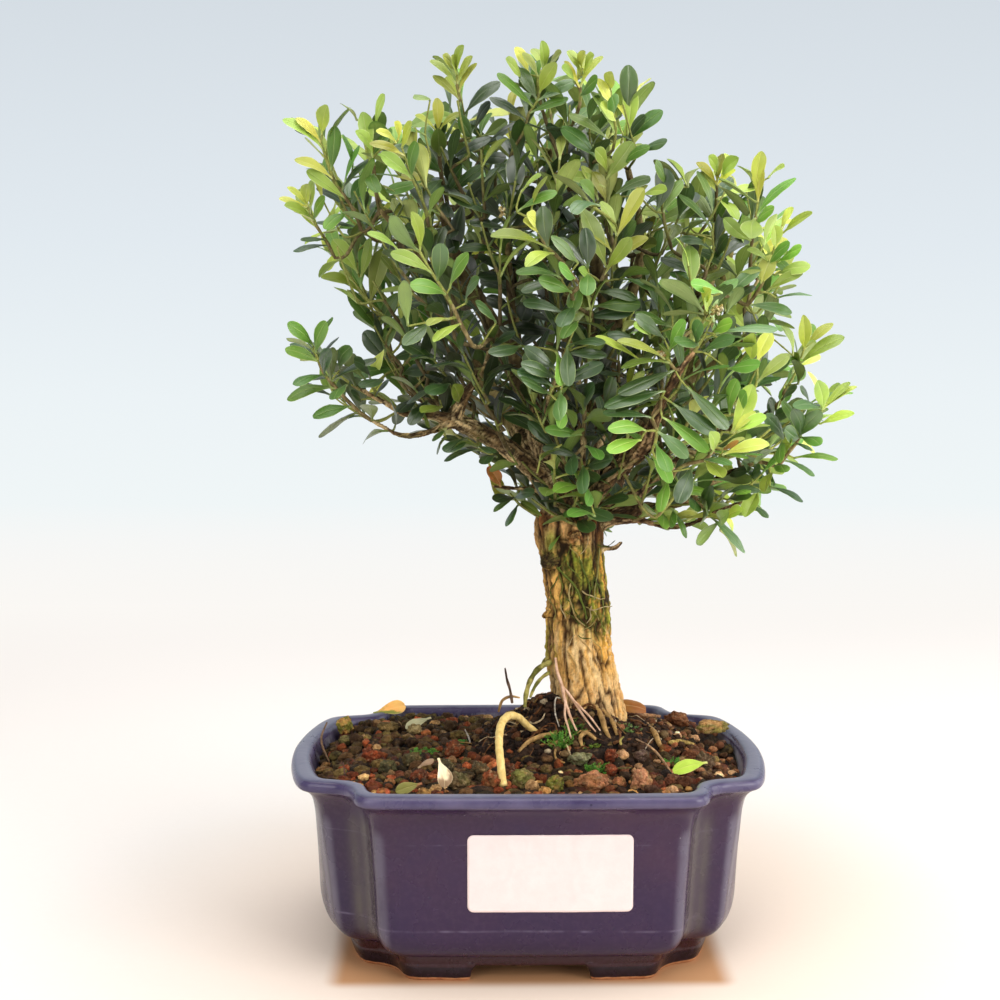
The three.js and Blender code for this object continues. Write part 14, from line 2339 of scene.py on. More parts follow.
def twig_tubes(soup, P, parent, r, index, tips):
    """Round tubes along the twigs, thickest child first, with small swellings along them."""
    n = len(P)
    kids = [[] for _ in range(n)]
    for i, q in enumerate(parent):
        if q >= 0:
            kids[q].append(i)
    for k in kids:
        k.sort(key=lambda i: -r[i])
    starts = [(i, None) for i in range(n) if parent[i] < 0]
    while starts:
        i, q = starts.pop()
        chain = [] if q is None else [q]
        chain.append(i)
        while kids[chain[-1]]:
            c = kids[chain[-1]]
            starts += [(x, chain[-1]) for x in c[1:]]
            chain.append(c[0])
        if len(chain) < 2:
            continue
        pts = P[chain]
        rr = r[chain].copy()
        if q is not None:
            rr[0] = min(rr[0], rr[1] * 1.15)
        Q = catmull(np.column_stack([pts, rr]), 2.2)
        rad = np.maximum(Q[:, 3] * 0.64, 0.20)
        k = np.arange(len(rad))
        rad = rad * (1 + 0.10 * (k % 2)) * (1 + 0.08 * np.sin(k * 2.3 + i))
        sides = 5 if rad.max() < 0.7 else 7
        V, qd, tr = tube(Q[:, :3], rad, sides)
        age = np.clip((np.concatenate([np.repeat(rad, sides), rad[[0, -1]]]) - 0.31) / 0.3, 0, 1)
        m = len(V)
        # twigs deep in the crown are darkened through col: painted shade
        q = np.sqrt(((V[:, 0] - 3) / 74) ** 2 + ((V[:, 1] - 6) / 52) ** 2 + ((V[:, 2] - 168) / 74) ** 2)
        k = np.interp(q, [0.30, 0.62, 0.85, 1.0], [0.30, 0.50, 0.86, 1.0])
        soup.add(V, qd, tr, index=index, col=np.column_stack([k, k, k * 0.95, np.ones(m)]), edge=np.tile([0.2, 0.2, 0.1, 1], (m, 1)),
                 lc=np.tile([0.5, 0.5, 0.5], (m, 1)), age=age, sharp=np.zeros(m))


def build_sprays():
    total = 0
    for si, (name, d) in enumerate(SPRAYS.items()):
        tw = unpack(d["twigs"], 5)
        lv = unpack(d["leaves"], 13)
        soup = Soup()
        twig_tubes(soup, tw[:, :3] / 20, tw[:, 3].astype(int), tw[:, 4] / 100, 2, None)
        D = np.column_stack([lv[:, :3] / 20, lv[:, 3:6] / 20, lv[:, 6] / 20, lv[:, 7:10] / 99, lv[:, 10], lv[:, 11] / 100])
        front = lv[:, 12] > 0
        blades(soup, D[front], FINE, 100 + si, 0, 1)
        blades(soup, D[~front], COARSE, 300 + si, 0, 1)
        V, Q, T, I, A = soup.arrays()
        sharp = A.pop("sharp") > 0.5
        put("leaves_" + name, V, Q, T, (M_OLD, M_YOUNG, M_TWIG), I,
            {"col": ("FLOAT_COLOR", A["col"]), "edge": ("FLOAT_COLOR", A["edge"]), "lc": ("FLOAT_VECTOR", A["lc"]), "age": ("FLOAT", A["age"])},
            sharp=sharp, node="spray_" + name, slot="foliage")
        total += len(Q) * 2 + len(T)
    return total


# ------------------------------------------------------------------ trunk and limbs
def remesh(V, Q, T, size):
    """One closed skin round overlapping tubes."""
    me = bpy.data.meshes.new("skin_work")
    faces = [tuple(q) for q in np.asarray(Q).tolist()] + [tuple(t) for t in np.asarray(T).tolist()]
    me.from_pydata([tuple(v) for v in np.asarray(V, float).tolist()], [], faces)
    ob = bpy.data.objects.new("skin_work", me)
    bpy.context.scene.collection.objects.link(ob)
    m = ob.modifiers.new("r", "REMESH")
    m.mode = "VOXEL"
    m.voxel_size = size
    dg = bpy.context.evaluated_depsgraph_get()
    out = bpy.data.meshes.new_from_object(ob.evaluated_get(dg))
    n = len(out.vertices)
    co = np.zeros(n * 3, np.float32)
    out.vertices.foreach_get("co", co)
    ls = np.zeros(len(out.polygons), np.int32)
    lt = np.zeros(len(out.polygons), np.int32)
    out.polygons.foreach_get("loop_start", ls)
    out.polygons.foreach_get("loop_total", lt)
    vi = np.zeros(len(out.loops), np.int32)
    out.loops.foreach_get("vertex_index", vi)
    quads = vi[ls[lt == 4][:, None] + np.arange(4)]
    tris = vi[ls[lt == 3][:, None] + np.arange(3)]
    bpy.data.objects.remove(ob, do_unlink=True)
    bpy.data.meshes.remove(me)
    bpy.data.meshes.remove(out)
    return co.reshape(-1, 3).astype(float), quads, tris


def vertex_normals(V, Q, T):
    n = np.zeros_like(V)
    if len(Q):
        c = np.cross(V[Q[:, 2]] - V[Q[:, 0]], V[Q[:, 3]] - V[Q[:, 1]])
        for k in range(4):
            np.add.at(n, Q[:, k], c)
    if len(T):
        c = np.cross(V[T[:, 1]] - V[T[:, 0]], V[T[:, 2]] - V[T[:, 0]])
        for k in range(3):
            np.add.at(n, T[:, k], c)
    return unit(n)


def relax(V, Q, T, times, k=0.5):
    E = np.vstack([Q[:, [0, 1]], Q[:, [1, 2]], Q[:, [2, 3]], Q[:, [3, 0]]] + ([T[:, [0, 1]], T[:, [1, 2]], T[:, [2, 0]]] if len(T) else []))
    deg = np.bincount(E.ravel(), minlength=len(V)).astype(float)
    for _ in range(times):
        s = np.zeros_like(V)
        for c in range(3):
            s[:, c] = np.bincount(E[:, 0], V[E[:, 1], c], len(V)) + np.bincount(E[:, 1], V[E[:, 0], c], len(V))
        V = V + k * (s / deg[:, None] - V)
    return V


def nearest_on_limbs(V, limbs):
    """For each vertex: limb number, length along it, cross offsets, local radius."""
    best = np.full(len(V), 1e9)
    out = np.zeros((len(V), 5))
    for li, (P, R, s0) in enumerate(limbs):
        T, U, W = frames(P)
        for i0 in range(0, len(V), 40000):
            sl = slice(i0, i0 + 40000)
            d = np.linalg.norm(V[sl, None] - P[None], axis=2) - R[None] * 0.98
            j = np.argmin(d, axis=1)
            dj = d[np.arange(len(j)), j]
            upd = dj < best[sl]
            rel = V[sl] - P[j]
            along = np.sum(rel * T[j], 1)
            row = np.column_stack([np.full(len(j), li), s0[j] + along, np.sum(rel * U[j], 1), np.sum(rel * W[j], 1), R[j]])
            o = out[sl]
            o[upd] = row[upd]
            b = best[sl]
            b[upd] = dj[upd]
    return out, best


def bark_relief(C, z, seed=5):
    """Height of the bark in units of its own depth, how far each point lies in a crack, and plate numbers."""
    li, s, du, dv, r = C.T
    off = li[:, None] * 13.7
    w = np.clip(r * 0.20, 0.75, 1.8)
    low = (li < 0.5) * (1 - step(74, 88, z + 6.0 * (fbm(np.column_stack([du, dv, s * 0.3]) * 0.3, 3, seed + 41) - 0.5)))
    # plates and fibres run along the limb
    P0 = np.column_stack([du / w, dv / w, s / (w * 4.0)]) + off
    warp = np.column_stack([fbm(P0 * 0.5 + 5, 3, seed + 1), fbm(P0 * 0.5 + 25, 3, seed + 2), fbm(P0 * 0.5 + 45, 3, seed + 3)]) - 0.5
    P = P0 + warp * 1.4
    f1, f2, who = cells(P * 0.55, seed + 4)
    big = step(0.02, 0.26, f2 - f1)
    g1, g2, who2 = cells(P * 1.3 + 3.1, seed + 9)
    small = step(0.0, 0.30, g2 - g1)
    R = fbm(np.column_stack([du / w * 0.62, dv / w * 0.62, s / (w * 8.0)]) + off + warp * 0.6, 3, seed + 11)
    flute = np.clip(np.abs(R * 2 - 1) * 6.0, 0, 1) ** 0.75
    G = fbm(np.column_stack([du * 1.15, dv * 1.15, s * 0.17]) + off, 2, seed + 21)
    fibre = np.clip(np.abs(G * 2 - 1) * 4.5, 0, 1) ** 0.8
    fine = fbm(np.column_stack([du, dv, s * 0.45]) * 2.0, 2, seed + 31) - 0.5
    up_h = 0.40 * big * (0.45 + 0.75 * who) + 0.24 * small * (0.4 + 0.6 * who2) + 0.20 * flute + 0.16 * fibre + 0.5 * fine
    lo_h = 0.58 * flute * (0.6 + 0.5 * who) + 0.22 * fibre + 0.16 * small + 0.35 * fine
    up_c = (1 - big) * 0.62 + (1 - small) * 0.34 + (1 - flute) * 0.40 + (1 - fibre) * 0.16
    lo_c = (1 - flute) * 0.95 + (1 - fibre) * 0.24 + (1 - small) * 0.10
    return up_h * (1 - low) + lo_h * low, np.clip(up_c * (1 - low) + lo_c * low, 0, 1), who, small, who2


SKIN = ("trunk", "L1", "L1a", "L1b", "L1c", "R1", "R1a", "R1b", "R1c", "F", "FR", "T1", "T2", "FC", "FM")


def build_trunk():
    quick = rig.quick()
    soup = Soup()
    limbs = []
    inner = []
    for name, pts in LIMBS.items():
        pts = np.array(pts)
        big = name in SKIN
        main = name in ("C1", "C2", "C3", "B1", "B2", "B3") or name[:1] in ("C", "B")
        Q = catmull(pts, 1.2)
        if big:
            limbs.append((name, Q))
        elif main:
            cut = int(np.searchsorted(np.cumsum(np.r_[0, np.linalg.norm(np.diff(Q[:, :3], axis=0), axis=1)]), 34.0))
            a, b = Q[:cut + 1], Q[max(0, cut - 2):]
            if len(pts) and pts[0][2] < 118 and len(a) > 3:
                limbs.append((name, a))
                if len(b) > 2:
                    inner.append((name, b))
            else:
                inner.append((name, Q))
        else:
            inner.append((name, Q))
    packed = []
    for name, Q in limbs:
        k = np.arange(len(Q))
        sides = 28 if name == "trunk" else 14
        rr = Q[:, 3].copy()
        if name == "trunk":
            a = np.arange(sides) / sides * 2 * math.pi
            ph = Q[:, 2] * 0.035
            wob = 1 + 0.055 * np.cos(3 * a[None] + 1.0 + ph[:, None]) + 0.04 * np.cos(2 * a[None] - 0.6) + 0.035 * np.cos(5 * a[None] + 2 * ph[:, None])
            wob = wob * (1 + 0.05 * np.sin(Q[:, 2] * 0.16)[:, None] * np.cos(a - 1.2)[None])
        else:
            lump = fbm(np.column_stack([k * 0.16, np.full(len(k), len(name) * 3.7), k * 0 + rr[0]]), 3, 40)
            rr = rr * (0.90 + 0.24 * lump)
            if len(Q) > 8:
                rr = rr + 0.25 * np.clip(rr / 3, 0, 1) * np.maximum(0, np.sin(k * 0.55 + len(name)))
            wob = None
        V, qd, tr = tube(Q[:, :3], np.maximum(rr - 0.12, 0.5), sides, wobble=wob)
        soup.add(V, qd, tr)
        s0 = np.concatenate([[0], np.cumsum(np.linalg.norm(np.diff(Q[:, :3], axis=0), axis=1))])
        packed.append((Q[:, :3], rr, s0))
    # surface flare where the trunk meets the compost, knots and stubs
    for c, e, rad, end in (((7.9, 3.0, 98.6), (4.4, 0.6, 97.6), 2.8, 1.5),
                           ((7.4, 5.0, 84.4), (4.4, 3.6, 82.8), 1.5, 0.8), ((13.0, 1.0, 104.0), (12.2, -1.6, 105.4), 2.4, 1.6)):
        P = np.linspace(c, e, 6)
        V, qd, tr = tube(P, np.linspace(rad, end, 6), 10)
        soup.add(V, qd, tr)
        packed.append((P, np.linspace(rad, end, 6), np.linspace(0, 4, 6)))
    V, Q, T, _, _ = soup.arrays()
    V, Q, T = remesh(V, Q, T, 0.75 if quick else 0.46)
    V = relax(V, Q, T, 3, 0.5)
    N = vertex_normals(V, Q, T)
    C, d = nearest_on_limbs(V, packed)
    C[C[:, 0] >= len(limbs), 0] = 0
    h, crack, who, small, who2 = bark_relief(C, V[:, 2])
    r = C[:, 4]
    amp = np.clip(0.085 * r + 0.14, 0.16, 1.0) * 1.6
    flat = step(49.5, 53, V[:, 2])
    on_trunk = C[:, 0] < 0.5
    front = on_trunk * step(0.0, 0.5, -N[:, 1])
    # hollow under a loose plate, and the furrow that climbs from the foot
    dent = 1.3 * blob(V, 13.4, 82.2, 1.9, 0.8, 0.0) + 0.6 * blob(V, 17.0, 84.5, 0.8, 5.0, 0.5) + 1.0 * blob(V, 8.2, 70.5, 1.0, 5.0, 0.1) + 0.8 * blob(V, 10.4, 106.5, 1.0, 2.6, -0.5)
    lump = 0.9 * blob(V, 14.8, 70.5, 2.0, 3.2, 0.5) + 0.7 * blob(V, 10.6, 107.0, 1.3, 2.6, 0.1) + 0.8 * blob(V, 6.0, 107.5, 1.3, 2.6, 0.3)
    V2 = V + N * (amp * (h - 0.52) + (lump - dent) * front)[:, None]
    V2 = V2 * flat[:, None] + V * (1 - flat[:, None])
    # the hollow under the plate and the furrow also get painted shade through crack
    crack = np.clip(crack + (0.9 * blob(V, 13.4, 82.2, 1.7, 0.6, 0.0) + 0.2 * blob(V, 17.0, 84.5, 0.8, 5.0, 0.5)) * front, 0, 1)
    col = bark_colour(V2, N, C, h, crack, who, small, who2)
    put("trunk_bark", V2, Q, T, (M_BARK,), None, {"col": ("FLOAT_COLOR", np.column_stack([col, np.ones(len(col))]))}, node="trunk", slot="bark")
    # fine roots and strands of moss that lie on the bark
    s = Soup()
    rng = np.random.default_rng(91)
    face = V2[(V2[:, 1] < 8) & (V2[:, 2] > 60) & (V2[:, 2] < 112) & (np.abs(V2[:, 0] - 14) < 12)]
    lines = [(p, r, c) for p, r, c in STRANDS]
    for i in range(26):
        x, z = rng.uniform(8, 21), rng.uniform(76, 106)
        a = -math.pi / 2 + rng.normal(0.25, 0.5)
        p = [(x, z)]
        for _ in range(rng.integers(3, 7)):
            a += rng.normal(0, 0.35)
            x, z = x + 1.4 * math.cos(a), z + 1.4 * math.sin(a)
            p.append((x, z))
        lines.append((p, rng.uniform(0.10, 0.20), ((176, 164, 100), (112, 126, 52), (84, 98, 40), (196, 176, 130))[rng.integers(4)]))
    for p, r, c in lines:
        p = np.array(p, float)
        C2 = catmull(np.column_stack([p[:, 0], p[:, 1] * 0, p[:, 1]]), 0.6)
        y = []
        for x_, _, z_ in C2:
            near = face[(np.abs(face[:, 0] - x_) < 0.55) & (np.abs(face[:, 2] - z_) < 0.55)]
            y.append(near[:, 1].min() if len(near) else np.nan)
        y = np.array(y)
        if np.isnan(y).sum() > len(y) // 3:
            continue
        y = np.interp(np.arange(len(y)), np.arange(len(y))[~np.isnan(y)], y[~np.isnan(y)])
        y = np.convolve(np.r_[y[0], y, y[-1]], [0.25, 0.5, 0.25], "valid")
        C2[:, 1] = y - 0.3 * r
        k = np.arange(len(C2))
        V, qd, tr = tube(C2, r * (1 + 0.25 * np.sin(k * 1.3)) * np.interp(k, [0, 1, len(k) - 2, len(k) - 1], [0.5, 1, 0.8, 0.4]), 5)
        s.add(V, qd, tr, col=np.tile([*srgb(*c), 1], (len(V), 1)))
    V, Qs, Ts, _, A = s.arrays()
    put("bark_strands", V, Qs, Ts, (M_BARK,), None, {"col": ("FLOAT_COLOR", A["col"])}, node="trunk", slot="bark")
    # limbs deep in the crown, darker towards the crown's middle as painted shade
    s = Soup()
    for k, (name, Qn) in enumerate(inner):
        rad = np.maximum(Qn[:, 3] * 0.9, 0.4)
        rad = rad * (0.93 + 0.2 * fbm(np.column_stack([np.arange(len(rad)) * 0.3, np.full(len(rad), k), rad * 0]), 2, 60))
        V, qd, tr = tube(Qn[:, :3], rad, 9)
        n = fbm(V * 0.35, 3, 70)
        c = mixc(srgb(104, 88, 56), srgb(176, 160, 108), step(0.38, 0.62, n))
        q = np.sqrt(((V[:, 0] - 3) / 74) ** 2 + ((V[:, 1] - 6) / 52) ** 2 + ((V[:, 2] - 168) / 74) ** 2)
        c = c * np.interp(q, [0.3, 0.7], [0.5, 1.0])[:, None]
        s.add(V, qd, tr, col=np.column_stack([c, np.ones(len(c))]))
    V, Q_, T_, _, A = s.arrays()
    put("inner_limbs", V, Q_, T_, (M_BARK,), None, {"col": ("FLOAT_COLOR", A["col"])}, node="trunk", slot="bark")
    return len(Q) * 2 + len(T) + len(Q_) * 2 + len(T_) + len(Qs) * 2 + len(Ts)


STRANDS = [
    ([(8.0, 96.7), (10.1, 94.5), (12.2, 92.4), (13.6, 90.2), (14.5, 87.8), (15.5, 85.1), (16.0, 82.7)], 0.34, (104, 120, 48)),
    ([(11.7, 92.4), (11.2, 89.9), (11.5, 87.8), (12.3, 85.4), (13.3, 82.9), (15.5, 81.0)], 0.24, (186, 166, 110)),
    ([(17.3, 86.4), (16.9, 84.8), (17.1, 83.2), (16.0, 81.6)], 0.2, (190, 172, 126)),
    ([(19.5, 101.7), (19.3, 99.3), (19.0, 96.9), (18.8, 94.5), (18.4, 92.3), (18.1, 90.2), (18.0, 87.8)], 0.22, (150, 146, 88)),
    ([(13.1, 81.3), (13.6, 78.3), (15.0, 76.7), (16.1, 75.6), (17.4, 73.7)], 0.22, (206, 172, 112)),
    ([(10.7, 74.5), (12.3, 72.4), (13.1, 70.7), (13.1, 68.8)], 0.3, (222, 186, 122)),
    ([(5.6, 88.1), (6.9, 86.4), (7.7, 84.3), (7.2, 82.1)], 0.2, (150, 140, 78)),
    ([(8.5, 94.8), (9.6, 91.3), (8.8, 88.6), (9.3, 86.4)], 0.18, (120, 128, 56)),
    ([(14.1, 98.8), (15.2, 95.6), (16.2, 93.4), (16.8, 90.7), (16.5, 88.0)], 0.26, (96, 112, 44)),
    ([(20.3, 88.0), (20.6, 84.8), (20.0, 81.6), (21.1, 78.9)], 0.2, (132, 140, 66)),
]


def blob(V, cx, cz, sx, sz, tilt):
    """Soft oval patch on the side that faces -Y, tilted clockwise."""
    c, s = math.cos(tilt), math.sin(tilt)
    dx, dz = V[:, 0] - cx, V[:, 2] - cz
    return np.exp(-(((dx * c + dz * s) / sx) ** 2 + ((dz * c - dx * s) / sz) ** 2))


def bark_colour(V, N, C, h, crack, who, small, who2):
    x, y, z = V.T
    li, s, du, dv, r = C.T
    trunk = (li < 0.5).astype(float)
    n1 = fbm(V * 0.16, 4, 201)
    n2 = fbm(V * 0.5, 3, 211)
    n3 = fbm(V * 1.5, 3, 221)
    nf = fbm(np.column_stack([du * 1.1, dv * 1.1, s * 0.16]) + li[:, None] * 9, 3, 231)
    deep = srgb(42, 24, 9)
    ochre = srgb(244, 188, 104)
    straw = srgb(246, 194, 112)
    cream = srgb(255, 220, 160)
    gold = srgb(226, 168, 74)
    brown = srgb(160, 108, 60)
    tan = srgb(216, 172, 112)
    olive = srgb(176, 164, 66)
    moss = srgb(106, 126, 36)
    dark_moss = srgb(66, 80, 26)
    # upper part: brown fibre with tan plates
    col = mixc(brown, tan, step(0.42, 0.62, who * 0.5 + nf * 0.55))
    # middle: ochre flats at the left, olive and gold at the right
    zz = z + 5.0 * (n2 - 0.5)
    mid = (1 - step(99, 103, zz)) * trunk
    line = 10.0 + (97.0 - z) * 0.45 + 5.0 * (n2 - 0.5)
    right = step(-1.0, 4.0, x - line)
    midc = mixc(mixc(ochre, straw, step(0.45, 0.6, nf)), mixc(olive, gold, step(0.40, 0.6, nf * 0.6 + who2 * 0.4)), right)
    midc = mixc(midc, mixc(olive, moss, 0.4), 0.75 * step(0.50, 0.62, n1 * 0.4 + n3 * 0.6) * (1 - right))
    col = mixc(col, midc, mid)
    # foot: straw and cream with golden right flank
    low = (1 - step(75, 85, zz)) * trunk
    lowc = mixc(straw, cream, step(0.40, 0.60, nf * 0.65 + who * 0.35))
    lowc = mixc(lowc, gold, step(17.5, 21, x) * step(0.40, 0.55, n3 + 0.06) * step(66, 72, z))
    lowc = mixc(lowc, mixc(olive, tan, step(0.4, 0.6, nf)), (1 - step(6.5, 9.5, x)) * step(66, 72, z))
    col = mixc(col, lowc, low)
    toes = (1 - step(63, 68, z)) * trunk
    col = mixc(col, mixc(srgb(244, 206, 150), srgb(196, 132, 84), step(0.5, 0.66, n3)), toes * 0.45)
    # moss in a slanting band over the middle and right of the trunk
    d = (x - line - 2.0) / 4.2
    band = np.exp(-d * d) * step(74, 82, z) * (1 - step(99, 104, z))
    flank = right * step(70, 80, z) * (1 - step(100, 106, z))
    mm = trunk * np.clip(step(0.40, 0.54, n3 * 0.55 + n2 * 0.45 + 0.10 * band) * band * 1.25 + step(0.50, 0.60, n3 * 0.5 + n2 * 0.5 + 0.02) * flank * 0.8, 0, 1)
    col = mixc(col, mixc(mixc(olive, moss, 0.55), moss, step(0.42, 0.60, n3)), mm * 0.88)
    col = mixc(col, dark_moss, trunk * 0.55 * step(0.66, 0.74, n3 * 0.6 + n1 * 0.4 + 0.08 * band) * step(70, 78, z))
    spot = blob(V, 6.2, 103.6, 1.6, 3.2, 0.0) * trunk
    col = mixc(col, srgb(128, 136, 56), np.clip(spot * 1.2, 0, 0.85))
    knob = np.clip(1.5 * blob(V, 5.6, 98.2, 3.0, 2.4, 0.3) + 0.8 * blob(V, 9.4, 96.2, 1.6, 1.4, 0.3), 0, 1)
    col = mixc(col, mixc(srgb(70, 62, 34), srgb(48, 50, 24), step(0.4, 0.6, n3)), knob * 0.9)
    # painted shade in the hollows where the limbs leave
    crotch_shade = np.exp(-(((z - 110) / 5.0) ** 2)) * trunk * step(11, 17, x)
    col = mixc(col, srgb(104, 66, 36), 0.7 * crotch_shade)
    # limbs: fibrous brown with pinkish tan ridges, a little green
    limbc = mixc(srgb(138, 112, 74), srgb(224, 200, 150), step(0.38, 0.60, nf * 0.6 + who * 0.4))
    limbd = mixc(srgb(118, 88, 58), srgb(212, 176, 134), step(0.42, 0.62, nf * 0.6 + who * 0.4))
    col = mixc(col, mixc(limbc, limbd, step(16, 30, x)), 1 - trunk)
    col = mixc(col, srgb(118, 118, 56), (1 - trunk) * step(0.54, 0.68, n1) * 0.55)
    # limbs deep in the crown are darkened: painted shade
    crown_shade_limbs = np.interp(np.sqrt(((x - 3) / 74) ** 2 + ((y - 6) / 52) ** 2 + ((z - 168) / 74) ** 2), [0.30, 0.62], [0.5, 1.0])
    col = col * (1 - (1 - trunk) * (1 - crown_shade_limbs))[:, None]
    # cracks are dark, partly their own colour and partly painted shade; ridge tops pale, partly painted light; the
    # relief adds painted shade low and painted light high
    dark = np.clip(crack * 1.05, 0, 0.96)
    col = mixc(col, mixc(np.tile(deep, (len(V), 1)), srgb(106, 62, 26), low * 0.45), dark)
    col = mixc(col, col * 1.22, step(0.62, 0.95, h) * 0.7)
    relief_shade_light = np.clip(0.50 + 0.70 * h, 0.38, 1.16)
    col = np.maximum(col * relief_shade_light[:, None] * 1.24, 0)
    return col * np.minimum(1, 0.94 / np.maximum(col.max(1), 1e-6))[:, None]


# ------------------------------------------------------------------ pot
RIM = [[0, 49.6], [12, 49.55], [24, 49.4], [36, 49.1], [40.2, 48.3], [42.2, 46.0], [43.1, 42.6], [44.4, 39.4], [47.4, 36.8], [52, 35.6], [56, 34], [58.1, 30.3], [59.8, 24], [61.6, 13], [62.4, 0]]
BODY = [[0, 44], [12, 43.95], [23, 43.8], [33.4, 43.5], [37.1, 42.5], [38.7, 40.3], [39.4, 37.5], [40.8, 34.8], [43.6, 32.8], [47.2, 31.6], [50.6, 30.1], [52.6, 27], [54.3, 21], [55.6, 11], [56.1, 0]]
BODY_LOW = [[0, 43.4], [11.6, 43.35], [22.4, 43.2], [32.6, 42.9], [36.2, 41.9], [37.6, 39.8], [38.3, 37], [39.6, 34.4], [42.2, 32.4], [45.8, 31.2], [48.6, 29.8], [50.4, 26.6], [52.7, 20.8], [54.7, 11], [55.3, 0]]
BAND = [[0, 38.4], [10.6, 38.35], [20, 38.2], [28.6, 37.9], [31.4, 37], [32.8, 35.2], [33.6, 32.7], [35, 30.4], [37.5, 28.6], [40.6, 27.7], [43.2, 26.5], [44.8, 23.7], [46.6, 18.6], [48.4, 10], [49, 0]]
INNER = [[0, 44.9], [12, 44.85], [23.6, 44.7], [34.2, 44.4], [37.6, 43.3], [39.2, 41], [39.9, 38.2], [41.1, 35.6], [43.6, 33.5], [47, 32.3], [50.2, 31], [52.4, 28], [54.2, 21.8], [56.3, 11.4], [57, 0]]
INNER_LOW = [[0, 38.8], [10.6, 38.75], [20.2, 38.6], [29.2, 38.1], [31.8, 37.1], [33, 35.3], [33.8, 32.9], [35.2, 30.3], [37.8, 28.1], [41, 27.2], [43.6, 25.8], [45.2, 23], [46.6, 18.2], [48.8, 9.8], [49.6, 0]]


def inset(a, dx, dy):
    a = np.array(a, float)
    return a * [1 - dx / a[:, 0].max(), 1 - dy / a[:, 1].max()]


def blend(a, b, t):
    return np.array(a, float) * (1 - t) + np.array(b, float) * t


def around(quarter, per):
    """Smooth closed outline, anticlockwise from the front middle; quarter holds x and depth."""
    q = np.array(quarter, float)
    fr = q * [1, -1]                       # front right: from the front middle to the right middle
    pts = np.vstack([fr[:-1], (q * [1, 1])[::-1][:-1], (q * [-1, 1])[:-1], (q * [-1, -1])[::-1][:-1]])
    n = len(pts)
    out = []
    for i in range(n):
        p0, p1, p2, p3 = pts[(i - 1) % n], pts[i], pts[(i + 1) % n], pts[(i + 2) % n]
        for t in np.arange(per) / per:
            out.append(0.5 * ((2 * p1) + (-p0 + p2) * t + (2 * p0 - 5 * p1 + 4 * p2 - p3) * t**2 + (-p0 + 3 * p1 - 3 * p2 + p3) * t**3))
    return np.array(out)


def loft(rings, close=True):
    """rings: list of (k,2) outlines with heights. Returns vertices and quads, ring after ring."""
    V = np.vstack([np.column_stack([o, np.full(len(o), z)]) for o, z in rings])
    k = len(rings[0][0])
    n = len(rings)
    i, j = np.meshgrid(np.arange(n - 1), np.arange(k), indexing="ij")
    q = np.stack([i * k + j, i * k + (j + 1) % k, (i + 1) * k + (j + 1) % k, (i + 1) * k + j], -1).reshape(-1, 4)
    return V, q, k


def fan_cap(V, ring, centre_z, up, k, rows=5):
    """Closes an outline with shrinking rings; returns added vertices and faces."""
    base = V[ring]
    c = base.mean(0)
    n0 = len(V)
    add = []
    for t in np.linspace(0, 1, rows + 2)[1:-1]:
        r = base * (1 - t) + c * t
        r[:, 2] = base[:, 2] * (1 - t) + centre_z * t
        add.append(r)
    add = np.vstack(add + [[[c[0], c[1], centre_z]]])
    quads, tris = [], []
    prev = np.array(ring)
    for m in range(rows):
        cur = n0 + m * k + np.arange(k)
        a, b, c2, d = prev, np.roll(prev, -1), np.roll(cur, -1), cur
        quads.append(np.stack([a, b, c2, d] if up else [a, d, c2, b], -1))
        prev = cur
    top = np.full(k, n0 + rows * k)
    tris = np.stack([prev, np.roll(prev, -1), top] if up else [prev, top, np.roll(prev, -1)], -1)
    return np.vstack([V, add]), np.vstack(quads), tris


def boolean(base, others, op):
    """others joined to or cut from base; arrays in and out."""
    def ob(V, Q, T, name):
        me = bpy.data.meshes.new(name)
        me.from_pydata(np.asarray(V, float).tolist(), [], np.asarray(Q, int).tolist() + (np.asarray(T, int).tolist() if T is not None and len(T) else []))
        o = bpy.data.objects.new(name, me)
        bpy.context.scene.collection.objects.link(o)
        return o
    b = ob(*base, "work_a")
    os_ = [ob(*o, "work_b%d" % i) for i, o in enumerate(others)]
    for i, o in enumerate(os_):
        m = b.modifiers.new("m%d" % i, "BOOLEAN")
        m.operation = op[i]
        m.solver = "EXACT"
        m.object = o
    dg = bpy.context.evaluated_depsgraph_get()
    out = bpy.data.meshes.new_from_object(b.evaluated_get(dg))
    out.calc_loop_triangles()
    co = np.zeros(len(out.vertices) * 3, np.float32)
    out.vertices.foreach_get("co", co)
    ls = np.zeros(len(out.polygons), np.int32)
    lt = np.zeros(len(out.polygons), np.int32)
    out.polygons.foreach_get("loop_start", ls)
    out.polygons.foreach_get("loop_total", lt)
    vi = np.zeros(len(out.loops), np.int32)
    out.loops.foreach_get("vertex_index", vi)
    quads = vi[ls[lt == 4][:, None] + np.arange(4)]
    tris = [vi[ls[lt == 3][:, None] + np.arange(3)]]
    tv = np.zeros(len(out.loop_triangles) * 3, np.int32)
    tp = np.zeros(len(out.loop_triangles), np.int32)
    out.loop_triangles.foreach_get("vertices", tv)
    out.loop_triangles.foreach_get("polygon_index", tp)
    tris.append(tv.reshape(-1, 3)[lt[tp] > 4])
    for o in [b] + os_:
        me = o.data
        bpy.data.objects.remove(o, do_unlink=True)
        bpy.data.meshes.remove(me)
    bpy.data.meshes.remove(out)
    return co.reshape(-1, 3).astype(float), quads, np.vstack(tris)


